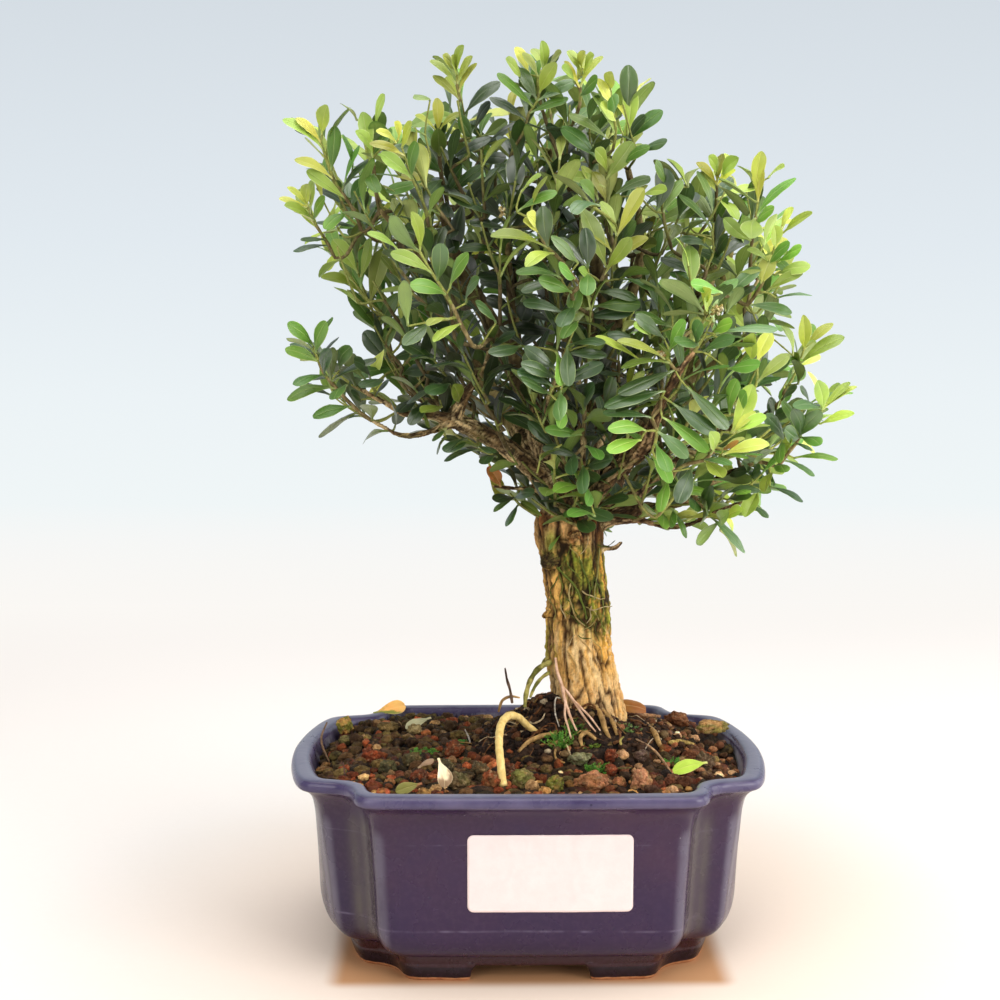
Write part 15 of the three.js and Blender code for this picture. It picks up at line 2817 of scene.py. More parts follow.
def build_pot():
    per = 4 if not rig.quick() else 2
    A = {k: around(v, per) for k, v in dict(RIM=RIM, BODY=BODY, BODY_LOW=BODY_LOW, BAND=BAND, INNER=INNER, INNER_LOW=INNER_LOW).items()}

    def ins(o, d):
        """outline drawn in by about d all round"""
        m = np.abs(o).max(0)
        return o * (1 - d / m)

    def mid(a, b, t):
        return a * (1 - t) + b * t

    R = []
    R += [(ins(A["BAND"], 2.2), 2.65), (ins(A["BAND"], 1.3), 2.72), (ins(A["BAND"], 0.8), 3.0), (ins(A["BAND"], 0.5), 3.5), (ins(A["BAND"], 0.25), 4.3), (A["BAND"], 5.1)]
    R += [(mid(A["BAND"], A["BODY_LOW"], t), z) for t, z in ((.02, 5.45), (.08, 5.66), (.17, 5.78), (.27, 5.98), (.36, 6.26), (.45, 6.62), (.54, 7.05), (.63, 7.6), (.72, 8.3), (.80, 9.15), (.87, 10.2), (.93, 11.4), (.975, 12.9), (1.0, 14.8))]
    R += [(mid(A["BODY_LOW"], A["BODY"], t), z) for t, z in ((.14, 18.0), (.34, 22.5), (.60, 27.5), (.84, 31.5), (1.0, 34.5))]
    R += [(mid(A["BODY"], A["RIM"], t), z) for t, z in ((.035, 36.6), (.075, 38.3), (.13, 39.9), (.20, 41.3), (.285, 42.4), (.39, 43.35), (.51, 44.15), (.64, 44.8), (.76, 45.25), (.86, 45.55), (.93, 45.78), (.975, 46.05))]
    R += [(A["RIM"], 46.45), (A["RIM"], 46.95), (ins(A["RIM"], .06), 47.4), (ins(A["RIM"], .22), 47.8), (ins(A["RIM"], .52), 48.15), (ins(A["RIM"], .95), 48.42), (ins(A["RIM"], 1.5), 48.6), (ins(A["RIM"], 2.1), 48.68)]
    R += [(mid(ins(A["RIM"], 2.1), A["INNER"], t), z) for t, z in ((.25, 48.70), (.48, 48.62), (.66, 48.42), (.80, 48.08), (.91, 47.6), (.975, 47.05))]
    R += [(A["INNER"], 46.4), (ins(A["INNER"], .5), 44.6), (ins(A["INNER"], 1.3), 42.4), (ins(A["INNER"], 2.6), 40.0), (mid(ins(A["INNER"], 2.6), A["INNER_LOW"], .4), 30.0), (mid(ins(A["INNER"], 2.6), A["INNER_LOW"], .8), 18.0), (A["INNER_LOW"], 12.2), (ins(A["INNER_LOW"], 1.0), 10.2), (ins(A["INNER_LOW"], 2.6), 9.3)]
    V, Q, k = loft(R)
    n = len(R)
    V, q1, t1 = fan_cap(V, np.arange(k), 2.65, False, k)
    V, q2, t2 = fan_cap(V, (n - 1) * k + np.arange(k), 9.2, True, k)
    Q = np.vstack([Q, q1, q2])
    T = np.vstack([t1, t2])
    # feet: a bracket at each corner, drawn in towards its lower edge, with slanting rounded ends
    feet = []
    bq = inset(BAND, 0.15, 0.15)
    for sx in (1, -1):
        for sy in (1, -1):
            outer = [(13.2, np.interp(13.2, bq[:, 0], bq[:, 1]))] + [tuple(p) for p in bq if p[0] > 14 and p[1] > 18.2] + [(bq[12][0] * 1.012, 12.6)]
            inn = [(39.6, 12.6), (38.8, 20.4), (35.4, 21.8), (29.2, 24.6), (26.8, 30.2), (13.2, 31.2)]
            ring = np.array(outer + inn)
            m = len(ring)
            dense = []
            for i in range(m):
                a, b = ring[i], ring[(i + 1) % m]
                kk = max(2, int(np.linalg.norm(b - a) / 0.8))
                dense += [a + (b - a) * t for t in np.arange(kk) / kk]
            dense = np.array(dense)
            for _ in range(4):
                dense = 0.5 * dense + 0.25 * (np.roll(dense, 1, 0) + np.roll(dense, -1, 0))
            tang = np.roll(dense, -1, 0) - np.roll(dense, 1, 0)
            nor = unit(np.column_stack([tang[:, 1], -tang[:, 0]]))
            area = 0.5 * np.sum(dense[:, 0] * np.roll(dense[:, 1], -1) - np.roll(dense[:, 0], -1) * dense[:, 1])
            if area < 0:
                nor = -nor
            # the two ends of a foot slant more than its faces
            end = np.maximum(step(16.5, 13.0, dense[:, 0]), step(15.5, 12.4, dense[:, 1]) * (dense[:, 0] > 36))[:, None]
            lay = ((2.35 + 1.1 * end, -1.4), (1.85 + 1.1 * end, -1.3), (1.55 + 1.0 * end, -0.95), (1.25 + 0.9 * end, -0.3), (0.95 + 0.75 * end, 0.6), (0.62 + 0.5 * end, 1.5), (0.35 + 0.2 * end, 2.3), (0.30 - 0.5 * end, 3.0), (0.5 - 0.8 * end, 3.8), (1.6, 4.8))
            rings = [((dense - nor * d) * [sx, -sy], z) for d, z in lay]
            Vf, Qf, kf = loft(rings)
            Vf, qa, ta = fan_cap(Vf, np.arange(kf), -1.4, False, kf, rows=1)
            Vf, qb, tb = fan_cap(Vf, (len(rings) - 1) * kf + np.arange(kf), 4.8, True, kf, rows=1)
            Qf, Tf = np.vstack([Qf, qa, qb]), np.vstack([ta, tb])
            o = rings[3][0]
            area = 0.5 * np.sum(o[:, 0] * np.roll(o[:, 1], -1) - np.roll(o[:, 0], -1) * o[:, 1])
            if area < 0:
                Qf, Tf = Qf[:, ::-1], Tf[:, ::-1]
            feet.append((Vf, Qf, Tf))
    holes = []
    for x in (-27.0, 27.0):
        a = np.arange(40) / 40 * 2 * math.pi
        ring = np.column_stack([x + 5.5 * np.cos(a), 3.0 + 5.5 * np.sin(a)])
        wide = np.column_stack([x + 6.6 * np.cos(a), 3.0 + 6.6 * np.sin(a)])
        Vh, Qh, kh = loft([(wide, 1.6), (wide, 3.1), (ring, 3.9), (ring, 8.4), (wide, 9.3), (wide, 10.4)])
        Vh, qa, ta = fan_cap(Vh, np.arange(kh), 1.6, False, kh, rows=1)
        Vh, qb, tb = fan_cap(Vh, 5 * kh + np.arange(kh), 10.4, True, kh, rows=1)
        holes.append((Vh, np.vstack([Qh, qa, qb]), np.vstack([ta, tb])))
    V, Q, T = boolean((V, Q, T), feet + holes, ["UNION"] * 4 + ["DIFFERENCE"] * 2)
    # where the glaze runs thin: the upright edges of the corners, the roll of the rim, the bend above the base; its
    # pale colour there is partly painted highlight
    x, y, z = np.abs(V[:, 0]), np.abs(V[:, 1]), V[:, 2]
    t = np.clip((z - 12) / 22, 0, 1)
    thin = np.zeros(len(V))
    pool_and_sheen = np.zeros(len(V))
    for i, w in ((4, 2.3), (10, 2.0), (11, 2.4)):
        c = np.array(BODY_LOW[i])[None] * (1 - t[:, None]) + np.array(BODY[i])[None] * t[:, None]
        thin = np.maximum(thin, np.exp(-((np.hypot(x - c[:, 0], y - c[:, 1]) / w) ** 2)))
    # inner corners, where the glaze is painted paler: pooled glaze and painted reflection
    for i, w in ((6, 1.7), (7, 2.4), (8, 1.7)):
        c = np.array(BODY_LOW[i])[None] * (1 - t[:, None]) + np.array(BODY[i])[None] * t[:, None]
        pool_and_sheen = np.maximum(pool_and_sheen, np.exp(-((np.hypot(x - c[:, 0], y - c[:, 1]) / w) ** 2)))
    thin = thin * step(6.0, 9.5, z) * (1 - step(36, 42, z)) * 0.9
    pool_and_sheen = pool_and_sheen * step(4.0, 8.0, z) * (1 - step(37, 42, z))
    outer_face = (np.maximum(x / 62.4, y / 49.6) > 0)
    thin = np.maximum(thin, 0.75 * np.exp(-(((z - 45.55) / 0.30) ** 2)) * outer_face)
    thin = np.maximum(thin, 0.55 * np.exp(-(((z - 14.0) / 0.8) ** 2)))
    thin = np.maximum(thin, 0.9 * step(48.45, 48.62, z))
    thin = np.maximum(thin, 0.7 * np.exp(-(((z - 5.75) / 0.16) ** 2)))
    ang = np.arctan2(V[:, 1], V[:, 0])
    lims = []
    levels = [(A["INNER_LOW"], 12.2), (mid(ins(A["INNER"], 2.6), A["INNER_LOW"], .8), 18.0), (mid(ins(A["INNER"], 2.6), A["INNER_LOW"], .4), 30.0), (ins(A["INNER"], 2.6), 40.0), (ins(A["INNER"], 1.3), 42.4), (ins(A["INNER"], .5), 44.6), (A["INNER"], 46.4)]
    for o_, _ in levels:
        ia = np.arctan2(o_[:, 1], o_[:, 0])
        oo = np.argsort(ia)
        lims.append(np.interp(ang, ia[oo], np.hypot(o_[:, 0], o_[:, 1])[oo], period=2 * math.pi))
    lims, zs = np.array(lims), np.array([l[1] for l in levels])
    k0 = np.clip(np.searchsorted(zs, V[:, 2]) - 1, 0, len(zs) - 2)
    f = np.clip((V[:, 2] - zs[k0]) / (zs[k0 + 1] - zs[k0]), 0, 1)
    col_ = np.arange(len(V))
    lim = lims[k0, col_] * (1 - f) + lims[k0 + 1, col_] * f
    inside = ((np.hypot(V[:, 0], V[:, 1]) < lim + 0.3) & (V[:, 2] > 9)).astype(float) * (1 - step(46.0, 47.2, V[:, 2]))
    put("pot_glazed", V, Q, T, (M_GLAZE,), None, {"thin": ("FLOAT", thin), "pooled_and_sheen": ("FLOAT", pool_and_sheen), "inside": ("FLOAT", inside)}, node="pot", slot="pot_glaze")
    return len(Q) * 2 + len(T)


def build_label():
    """Blank paper sticker with rounded corners, laid on the front wall with faint wrinkles."""
    w, h, rad = 40.0, 19.3, 1.5
    nx, nz = 72, 40
    U, W = np.meshgrid(np.linspace(-1, 1, nx), np.linspace(-1, 1, nz), indexing="ij")
    # grid squeezed into a rounded rectangle
    X, Z = U * w / 2, W * h / 2
    cx, cz = w / 2 - rad, h / 2 - rad
    ax, az = np.abs(X) - cx, np.abs(Z) - cz
    corner = (ax > 0) & (az > 0)
    m = np.maximum(ax, az)
    d = np.hypot(ax, az)
    k = np.where(corner & (d > 1e-9), m / np.maximum(d, 1e-9), 1)
    X = np.where(corner, np.sign(X) * (cx + ax * k), X)
    Z = np.where(corner, np.sign(Z) * (cz + az * k), Z)
    Pn = np.column_stack([X.ravel(), Z.ravel(), np.zeros(X.size)])
    wr = fbm(Pn * [0.10, 0.32, 0] + 3, 4, 301) - 0.5
    crease = np.abs(fbm(Pn * [0.06, 0.05, 0] + 31, 3, 307) - 0.5)
    lift = 0.10 + 0.16 * wr + 0.10 * np.exp(-((crease / 0.02) ** 2))
    lift = np.clip(lift, 0.01, 0.24)
    X, Z = X.ravel() + 4.5, Z.ravel() + 28.35
    wall = wall_y(X, Z)
    front = np.column_stack([X, wall - 0.12 - lift, Z])
    back = np.column_stack([X, wall - 0.0 - lift * 0.15 + 0.05, Z])
    i, j = np.meshgrid(np.arange(nx - 1), np.arange(nz - 1), indexing="ij")
    q = np.stack([i * nz + j, (i + 1) * nz + j, (i + 1) * nz + j + 1, i * nz + j + 1], -1).reshape(-1, 4)
    nf = nx * nz
    b = np.concatenate([np.arange(nx) * nz, (nx - 1) * nz + np.arange(1, nz), (np.arange(nx - 1)[::-1]) * nz + nz - 1, np.arange(1, nz - 1)[::-1]])
    side = np.stack([np.roll(b, -1), b, b + nf, np.roll(b, -1) + nf], -1)
    V = np.vstack([front, back])
    Q = np.vstack([q, q[:, ::-1] + nf, side])
    put("blank_label", V, Q, None, (M_PAPER,), None, node="paper_label", slot="label_paper")
    return len(Q) * 2


def wall_y(X, Z):
    """Depth of the pot's front wall."""
    k = np.interp(Z, [14.8, 18.0, 22.5, 27.5, 31.5, 34.5], [0, .14, .34, .60, .84, 1.0])
    f = np.interp(Z, [34.5, 36.6, 38.3, 39.9], [0, .035, .075, .13])
    lo, hi, rim = np.array(BODY_LOW), np.array(BODY), np.array(RIM)
    yl = np.interp(np.abs(X), lo[:5, 0], lo[:5, 1])
    yh = np.interp(np.abs(X), hi[:5, 0], hi[:5, 1])
    yr = np.interp(np.abs(X), rim[:5, 0], rim[:5, 1])
    return -((yl * (1 - k) + yh * k) * (1 - f) + yr * f)


def build_drains():
    """Squares of plastic mesh over the drainage holes."""
    tot = 0
    for side, x0 in (("left", -27.0), ("right", 27.0)):
        s = Soup()
        half, nbar = 7.4, 6
        for k in range(nbar):
            t = -half + 2 * half * k / (nbar - 1)
            for flip in (0, 1):
                P = np.array([[-half, t, 0], [half, t, 0]], float)
                u = np.linspace(0, 1, 22)[:, None]
                L = P[0] * (1 - u) + P[1] * u
                L[:, 2] = 9.95 + 0.18 * np.cos(np.linspace(0, math.pi * (nbar - 1), 22)) * (1 if k % 2 else -1) * (1 if flip else -1)
                if flip:
                    L = L[:, [1, 0, 2]]
                V, q, tr = tube(L + [x0, 3.0, 0], 0.38, 5)
                s.add(V, q, tr)
        V, Q, T, _, _ = s.arrays()
        put("mesh_" + side, V, Q, T, (M_PLASTIC,), None, node="drain_mesh_" + side, slot="drain_mesh")
        tot += len(Q) * 2 + len(T)
    return tot


# ------------------------------------------------------------------ soil
def lie(x, y):
    """Height of the ground."""
    x, y = np.asarray(x, float), np.asarray(y, float)
    r = np.hypot((x - 13.5) / 1.12, (y - 6) / 0.98)
    z = np.interp(r, [0, 14, 22.5, 27.5, 31, 90], [54.9, 53.3, 50.2, 47.4, 46.5, 46.3])
    z = z + 5.2 * np.exp(-(((x - 5.0) / 7.5) ** 2 + ((y - 8.5) / 8.0) ** 2)) 
    z = z + 0.9 * np.exp(-(((x + 38) / 20) ** 2 + ((y - 20) / 16) ** 2)) + 1.0 * np.exp(-(((x - 44) / 10) ** 2 + ((y - 16) / 14) ** 2))
    # compost is banked up against the foot of the trunk
    z = z + 4.6 * np.exp(-(((x - 16.0) / 7.0) ** 2 + ((y + 1.5) / 4.2) ** 2)) + 4.2 * np.exp(-(((x - 5.6) / 4.2) ** 2 + ((y - 0.6) / 4.4) ** 2))
    # the ground sinks a little towards the walls
    z = z - 2.6 * step(-45, -55, x) - 2.0 * step(44, 55, x) * step(8, -8, y) - 0.9 * step(34, 42, y) - 0.5 * step(-34, -42, y)
    return z


def on(x, y, up=0.0):
    return (x, y, float(lie(x, y)) + up)


INRING = None


def inside_pot(x, y, margin):
    """Room left between a point and the pot's inner wall, positive when clear."""
    global INRING
    if INRING is None:
        INRING = around(INNER, 3)
    P = np.column_stack([np.atleast_1d(x), np.atleast_1d(y)]).astype(float)
    A = INRING
    B = np.roll(A, -1, 0)
    d = np.full(len(P), 1e9)
    cross = np.zeros(len(P), int)
    for a, b in zip(A, B):
        e = b - a
        t = np.clip(((P - a) @ e) / (e @ e), 0, 1)
        d = np.minimum(d, np.linalg.norm(P - a - t[:, None] * e, axis=1))
        c = ((a[1] > P[:, 1]) != (b[1] > P[:, 1]))
        with np.errstate(divide="ignore", invalid="ignore"):
            xi = a[0] + (P[:, 1] - a[1]) * e[0] / e[1] if abs(e[1]) > 1e-12 else np.full(len(P), -1e9)
        cross += (c & (P[:, 0] < xi)).astype(int)
    return np.where(cross % 2 == 1, d, -d) - margin


GRAIN_COLOURS = [(srgb(62, 44, 28), .20), (srgb(84, 60, 36), .16), (srgb(96, 78, 44), .14), (srgb(138, 70, 40), .14), (srgb(154, 90, 56), .08),
                 (srgb(106, 78, 52), .08), (srgb(66, 55, 34), .12), (srgb(176, 140, 94), .03), (srgb(48, 33, 25), .05)]


def grain_colour(u):
    c = np.cumsum([w for _, w in GRAIN_COLOURS])
    i = np.searchsorted(c / c[-1], np.clip(u, 0, 0.9999))
    return np.array([k for k, _ in GRAIN_COLOURS])[i]


def ico(sub):
    """Unit sphere of triangles."""
    t = (1 + 5**0.5) / 2
    V = [(-1, t, 0), (1, t, 0), (-1, -t, 0), (1, -t, 0), (0, -1, t), (0, 1, t), (0, -1, -t), (0, 1, -t), (t, 0, -1), (t, 0, 1), (-t, 0, -1), (-t, 0, 1)]
    F = [(0, 11, 5), (0, 5, 1), (0, 1, 7), (0, 7, 10), (0, 10, 11), (1, 5, 9), (5, 11, 4), (11, 10, 2), (10, 7, 6), (7, 1, 8), (3, 9, 4), (3, 4, 2), (3, 2, 6), (3, 6, 8), (3, 8, 9), (4, 9, 5), (2, 4, 11), (6, 2, 10), (8, 6, 7), (9, 8, 1)]
    V = [tuple(v) for v in unit(np.array(V, float))]
    for _ in range(sub):
        mem, out = {}, []

        def half(a, b):
            k = (min(a, b), max(a, b))
            if k not in mem:
                v = np.array(V[a]) + np.array(V[b])
                V.append(tuple(v / np.linalg.norm(v)))
                mem[k] = len(V) - 1
            return mem[k]
        for a, b, c in F:
            x, y, z = half(a, b), half(b, c), half(c, a)
            out += [(a, x, z), (b, y, x), (c, z, y), (x, y, z)]
        F = out
    return np.array(V), np.array(F)


ICO = {s: ico(s) for s in (0, 1, 2, 3)}


def rock(sub, seed, planes=10, lump=0.22, cut=(0.62, 0.95)):
    """A broken lump about one unit in radius."""
    V, F = ICO[sub]
    rng = np.random.default_rng(seed)
    r = 1 + lump * 2 * (fbm(V * 1.3 + rng.uniform(0, 50, 3), 3, 400) - 0.5)
    n = unit(rng.normal(0, 1, (planes, 3)))
    o = rng.uniform(cut[0], cut[1], planes)
    dot = V @ n.T
    lim = np.where(dot > 0.05, o[None] / np.maximum(dot, 0.05), 9.0).min(1)
    r = np.minimum(r, lim * 1.0) * 0.75 + 0.25 * np.minimum(r, lim) * (0.9 + 0.2 * fbm(V * 3.1 + rng.uniform(0, 50, 3), 2, 410))
    # knobs and pits
    q = rng.uniform(0, 50, 3)
    if sub >= 2:
        knob = cells(V * 1.9 + q, 425)
        r = r * (1.04 - 0.34 * (knob[0] - 0.35)) * (1 - 0.10 * (1 - step(0.0, 0.22, knob[1] - knob[0])))
    else:
        r = r * np.exp(rng.normal(0, 0.09, len(V)))
    return V * r[:, None], F


def turn(rng):
    q = unit(rng.normal(0, 1, 4))
    w, x, y, z = q
    return np.array([[1 - 2 * (y * y + z * z), 2 * (x * y - z * w), 2 * (x * z + y * w)], [2 * (x * y + z * w), 1 - 2 * (x * x + z * z), 2 * (y * z - x * w)], [2 * (x * z - y * w), 2 * (y * z + x * w), 1 - 2 * (x * x + y * y)]])


def relief(x, y):
    """Bumpy gravel under the loose grains: height, a number for each lump, and the gap between lumps."""
    P = np.column_stack([x / 3.1, y / 3.1, np.zeros(len(x)) + 0.5])
    w = np.column_stack([fbm(P * 1.3, 2, 501), fbm(P * 1.3 + 9, 2, 503), P[:, 2] * 0]) - [0.5, 0.5, 0]
    f1, f2, who = cells(P + w * 0.5, 505, 0.9)
    dome = np.sqrt(np.clip(1 - (f1 / 0.62) ** 2, 0, 1)) * step(0.0, 0.25, f2 - f1)
    P2 = np.column_stack([x / 1.15, y / 1.15, np.zeros(len(x)) + 0.5])
    g1, g2, who2 = cells(P2, 515, 1.0)
    small = np.sqrt(np.clip(1 - (g1 / 0.7) ** 2, 0, 1))
    return dome, who, f2 - f1, small, who2


def build_soil():
    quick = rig.quick()
    rng = np.random.default_rng(77)
    # bed: rings from the wall inwards
    per = 2 if quick else 3
    edge = around(INNER, per)
    m = np.abs(edge).max(0)
    edge = edge * (1 - 0.9 / m)
    k = len(edge)
    n = 40 if quick else 66
    tt = np.linspace(0, 0.97, n)
    V = np.vstack([np.column_stack([edge * (1 - t), np.zeros(k)]) for t in tt])
    dome, who, gap, small, who2 = relief(V[:, 0], V[:, 1])
    near = step(0.0, 2.0, inside_pot(V[:, 0], V[:, 1], 0.3))
    mound = np.clip(1.2 - np.hypot((V[:, 0] - 12) / 30, (V[:, 1] - 5) / 24), 0, 1)
    coarse = 1 - step(0.15, 0.5, mound)
    V[:, 2] = lie(V[:, 0], V[:, 1]) - 0.9 + (1.9 * dome * (0.5 + 0.9 * who)) * coarse + 0.5 * small * (0.4 + 0.6 * who2) - 0.6 * (1 - near)
    q = loft([(edge, 0.0)] * n)[1]
    col = grain_colour(np.where(coarse > 0.5, who, who2)) * (0.55 + 0.5 * who2)[:, None]
    comp = mixc(srgb(40, 28, 22), srgb(72, 52, 38), who2)
    col = mixc(comp, col, coarse * 0.9)
    # near-black in the gaps between lumps and in the low spots: painted shade
    col = mixc(col, srgb(26, 19, 15), np.clip((1 - step(0.03, 0.22, gap)) * coarse * 0.9 + 0.25 * (1 - small), 0, 0.95))
    # centre and sides and floor
    V = np.vstack([V, [[V[-k:, 0].mean(), V[-k:, 1].mean(), V[-k:, 2].mean()]]])
    T = [np.stack([(n - 1) * k + np.arange(k), (n - 1) * k + (np.arange(k) + 1) % k, np.full(k, n * k)], -1)]
    lower = [(mid2(INNER, INNER, 0.0, per, 1.8), 42.4), (mid2(INNER, INNER, 0.0, per, 3.2), 40.0), (mid2(INNER, INNER_LOW, 0.4, per, 2.4), 30.0), (mid2(INNER, INNER_LOW, 0.8, per, 1.4), 18.0), (mid2(INNER, INNER_LOW, 1.0, per, 0.5), 12.4), (mid2(INNER, INNER_LOW, 1.0, per, 2.8), 10.4)]
    base = len(V)
    prev = np.arange(k)
    Qs = [q]
    for o, z in lower:
        cur = base + np.arange(k)
        V = np.vstack([V, np.column_stack([o, np.full(k, z)])])
        Qs.append(np.stack([cur, np.roll(cur, -1), np.roll(prev, -1), prev], -1))
        prev = cur
        base += k
    V = np.vstack([V, [[0, 0, 10.4]]])
    T.append(np.stack([prev, np.full(k, len(V) - 1), np.roll(prev, -1)], -1))
    col = np.vstack([col, np.tile(srgb(50, 38, 28), (len(V) - len(col), 1))])
    put("soil_surface", V, np.vstack(Qs), np.vstack(T), (M_SOIL,), None, {"col": ("FLOAT_COLOR", np.column_stack([col, np.ones(len(col))]))}, node="soil_bed", slot="soil_grit")
    total = len(np.vstack(Qs)) * 2 + 2 * k

    # loose grains
    pts, rad = [], []
    grid = {}

    def free(x, y, r):
        i, j = int(x // 5), int(y // 5)
        for a in range(i - 2, i + 3):
            for b in range(j - 2, j + 3):
                for t in grid.get((a, b), ()):
                    if math.hypot(pts[t][0] - x, pts[t][1] - y) < (rad[t] + r) * 0.80:
                        return False
        return True
    for (x, y, r) in SET_STONES_XY:
        pts.append((x, y))
        rad.append(r)
        grid.setdefault((int(x // 5), int(y // 5)), []).append(len(pts) - 1)
    fixed = len(pts)
    want = [(1.75, 2.4, 420), (1.3, 1.75, 2200), (0.95, 1.3, 3600), (0.68, 0.95, 1600)]
    if quick:
        want = [(a, b, c // 2) for a, b, c in want]
    for lo, hi, tries in want:
        X = rng.uniform(-57, 57, tries)
        Y = rng.uniform(-45, 45, tries)
        Rr = rng.uniform(lo, hi, tries) * 1.0
        ok = inside_pot(X, Y, 0.0) > Rr * 0.75 + 0.5
        md = np.hypot((X - 12) / 29, (Y - 6) / 23)
        # the compost heap keeps its fine texture; large lumps lie in front and at the left
        keep = np.where(md < 1.0, rng.random(tries) < np.where(Rr > 1.6, 0.03, 0.12) * (md > 0.55), True)
        rightside = (X > 16) & (Y > -24)
        keep &= ~(rightside & (Rr > 1.5) & (rng.random(tries) < 0.6))
        for x, y, r in zip(X[ok & keep], Y[ok & keep], Rr[ok & keep]):
            if free(x, y, r):
                pts.append((x, y))
                rad.append(r)
                grid.setdefault((int(x // 5), int(y // 5)), []).append(len(pts) - 1)
    pts, rad = np.array(pts[fixed:]), np.array(rad[fixed:])
    fronty = pts[:, 1] < -12
    for part, sel in (("near", fronty), ("far", ~fronty)):
        s = Soup()
        for i in np.nonzero(sel)[0]:
            r = rad[i]
            sub = 2 if (r > 1.25 and pts[i][1] < -19) or r > 1.9 else 1
            Vr, F = rock(sub, 1000 + i, 11, 0.24)
            R = turn(rng)
            sc = r * np.array([1.0, rng.uniform(0.75, 1.0), rng.uniform(0.62, 0.9)])
            Vr = (Vr @ R.T) * sc
            z = float(lie(*pts[i])) + r * rng.uniform(0.0, 0.65) - 0.2
            P = Vr + [pts[i][0], pts[i][1], z]
            x, y = pts[i]
            # rusty grains gather at the front, olive and dark ones at the back and left
            u = rng.random()
            c = grain_colour(np.array([u]))[0]
            fr = step(-10, -34, y)
            if rng.random() < 0.28 * fr:
                c = (srgb(136, 66, 36), srgb(158, 90, 54), srgb(116, 58, 36))[rng.integers(3)]
            if y > -8 and rng.random() < 0.5:
                c = (srgb(74, 58, 34), srgb(60, 45, 28), srgb(94, 80, 44))[rng.integers(3)]
            if x > 18 and rng.random() < 0.4:
                c = (srgb(112, 70, 46), srgb(92, 62, 42), srgb(68, 46, 34))[rng.integers(3)]
            if x > 8 and rng.random() < 0.34:
                c = (srgb(150, 104, 72), srgb(182, 142, 104), srgb(132, 86, 58))[rng.integers(3)]
            if y < -29 and rng.random() < 0.34:
                c = (srgb(178, 126, 80), srgb(150, 112, 64), srgb(194, 154, 104))[rng.integers(3)]
            c = c * np.exp(rng.normal(0.16 + 0.12 * step(0, 25, x), 0.42))
            n = fbm(Vr * 0.8 + i, 3, 530)
            patch = step(0.52, 0.68, n) * (0.55 if rng.random() < 0.5 else 0.15)
            cc = mixc(np.tile(c, (len(Vr), 1)), srgb(120, 108, 56) if rng.random() < 0.6 else srgb(176, 142, 98), patch)
            # darker where a grain's surface dips: painted shade in its hollows
            cc = cc * (0.62 + 0.5 * np.clip((np.linalg.norm(Vr, axis=1) / r - 0.55) / 0.4, 0, 1))[:, None]
            s.add(P, tris=F, col=np.column_stack([cc, np.ones(len(cc))]))
        V, Q, T, _, A = s.arrays()
        put("grit_" + part, V, Q, T, (M_GRIT,), None, {"col": ("FLOAT_COLOR", A["col"])}, node="soil_bed", slot="soil_grit")
        total += len(T)

    # heap of fine compost round the trunk
    a = np.arange(180 if quick else 250)
    ka = len(a)
    a = a / ka * 2 * math.pi
    rings = 46 if quick else 76
    rr = np.linspace(1.0, 0.02, rings)
    V = np.vstack([np.column_stack([12.5 + 31 * t * np.cos(a), 6 + 27 * t * np.sin(a), a * 0]) for t in rr])
    x, y = V[:, 0], V[:, 1]
    P = np.column_stack([x, y, np.zeros(len(x))])
    clod = cells(P / 4.2 + 3, 541)
    cr = cells(P / 1.5 + 7, 545)
    cf = cells(P / 0.62 + 9, 549)
    h = 0.95 * np.sqrt(np.clip(1 - (clod[0] / 0.75) ** 2, 0, 1)) * clod[2] + 0.60 * np.sqrt(np.clip(1 - (cr[0] / 0.7) ** 2, 0, 1)) * (0.3 + 0.7 * cr[2]) + 0.22 * np.sqrt(np.clip(1 - (cf[0] / 0.7) ** 2, 0, 1))
    rad_ = np.hypot((x - 12.5) / 31, (y - 6) / 27)
    V[:, 2] = lie(x, y) - 0.25 + h + 0.8 * (fbm(P * 0.12, 3, 551) - 0.5) - 2.6 * step(0.80, 1.0, rad_)
    # darker between the clods, lighter on their tops: painted shade
    col = mixc(srgb(30, 21, 17), srgb(70, 50, 36), np.clip(0.25 + 0.9 * (h - 0.6), 0, 1))
    col = mixc(col, srgb(96, 68, 46), step(0.86, 0.95, cr[2]) * 0.6)
    col = mixc(col, srgb(118, 96, 66), step(0.965, 0.985, cf[2]) * 0.8)
    mossy = step(0.55, 0.68, fbm(P * 0.09 + 5, 3, 561)) * np.exp(-(((x - 17) / 9) ** 2 + ((y + 3) / 6) ** 2))
    col = mixc(col, srgb(66, 72, 30), mossy * 0.75)
    q = loft([(V[:ka, :2], 0.0)] * rings)[1]
    V = np.vstack([V, [[12.5, 6, V[-ka:, 2].mean()]], [[12.5, 6, 45.2]]])
    T = np.vstack([np.stack([(rings - 1) * ka + np.arange(ka), (rings - 1) * ka + (np.arange(ka) + 1) % ka, np.full(ka, rings * ka)], -1),
                   np.stack([(np.arange(ka) + 1) % ka, np.arange(ka), np.full(ka, rings * ka + 1)], -1)])
    col = np.vstack([col, np.tile(srgb(50, 38, 28), (2, 1))])
    put("compost_heap", V, q, T, (M_SOIL,), None, {"col": ("FLOAT_COLOR", np.column_stack([col, np.ones(len(col))]))}, node="root_ball", slot="compost")
    total += len(q) * 2 + len(T)

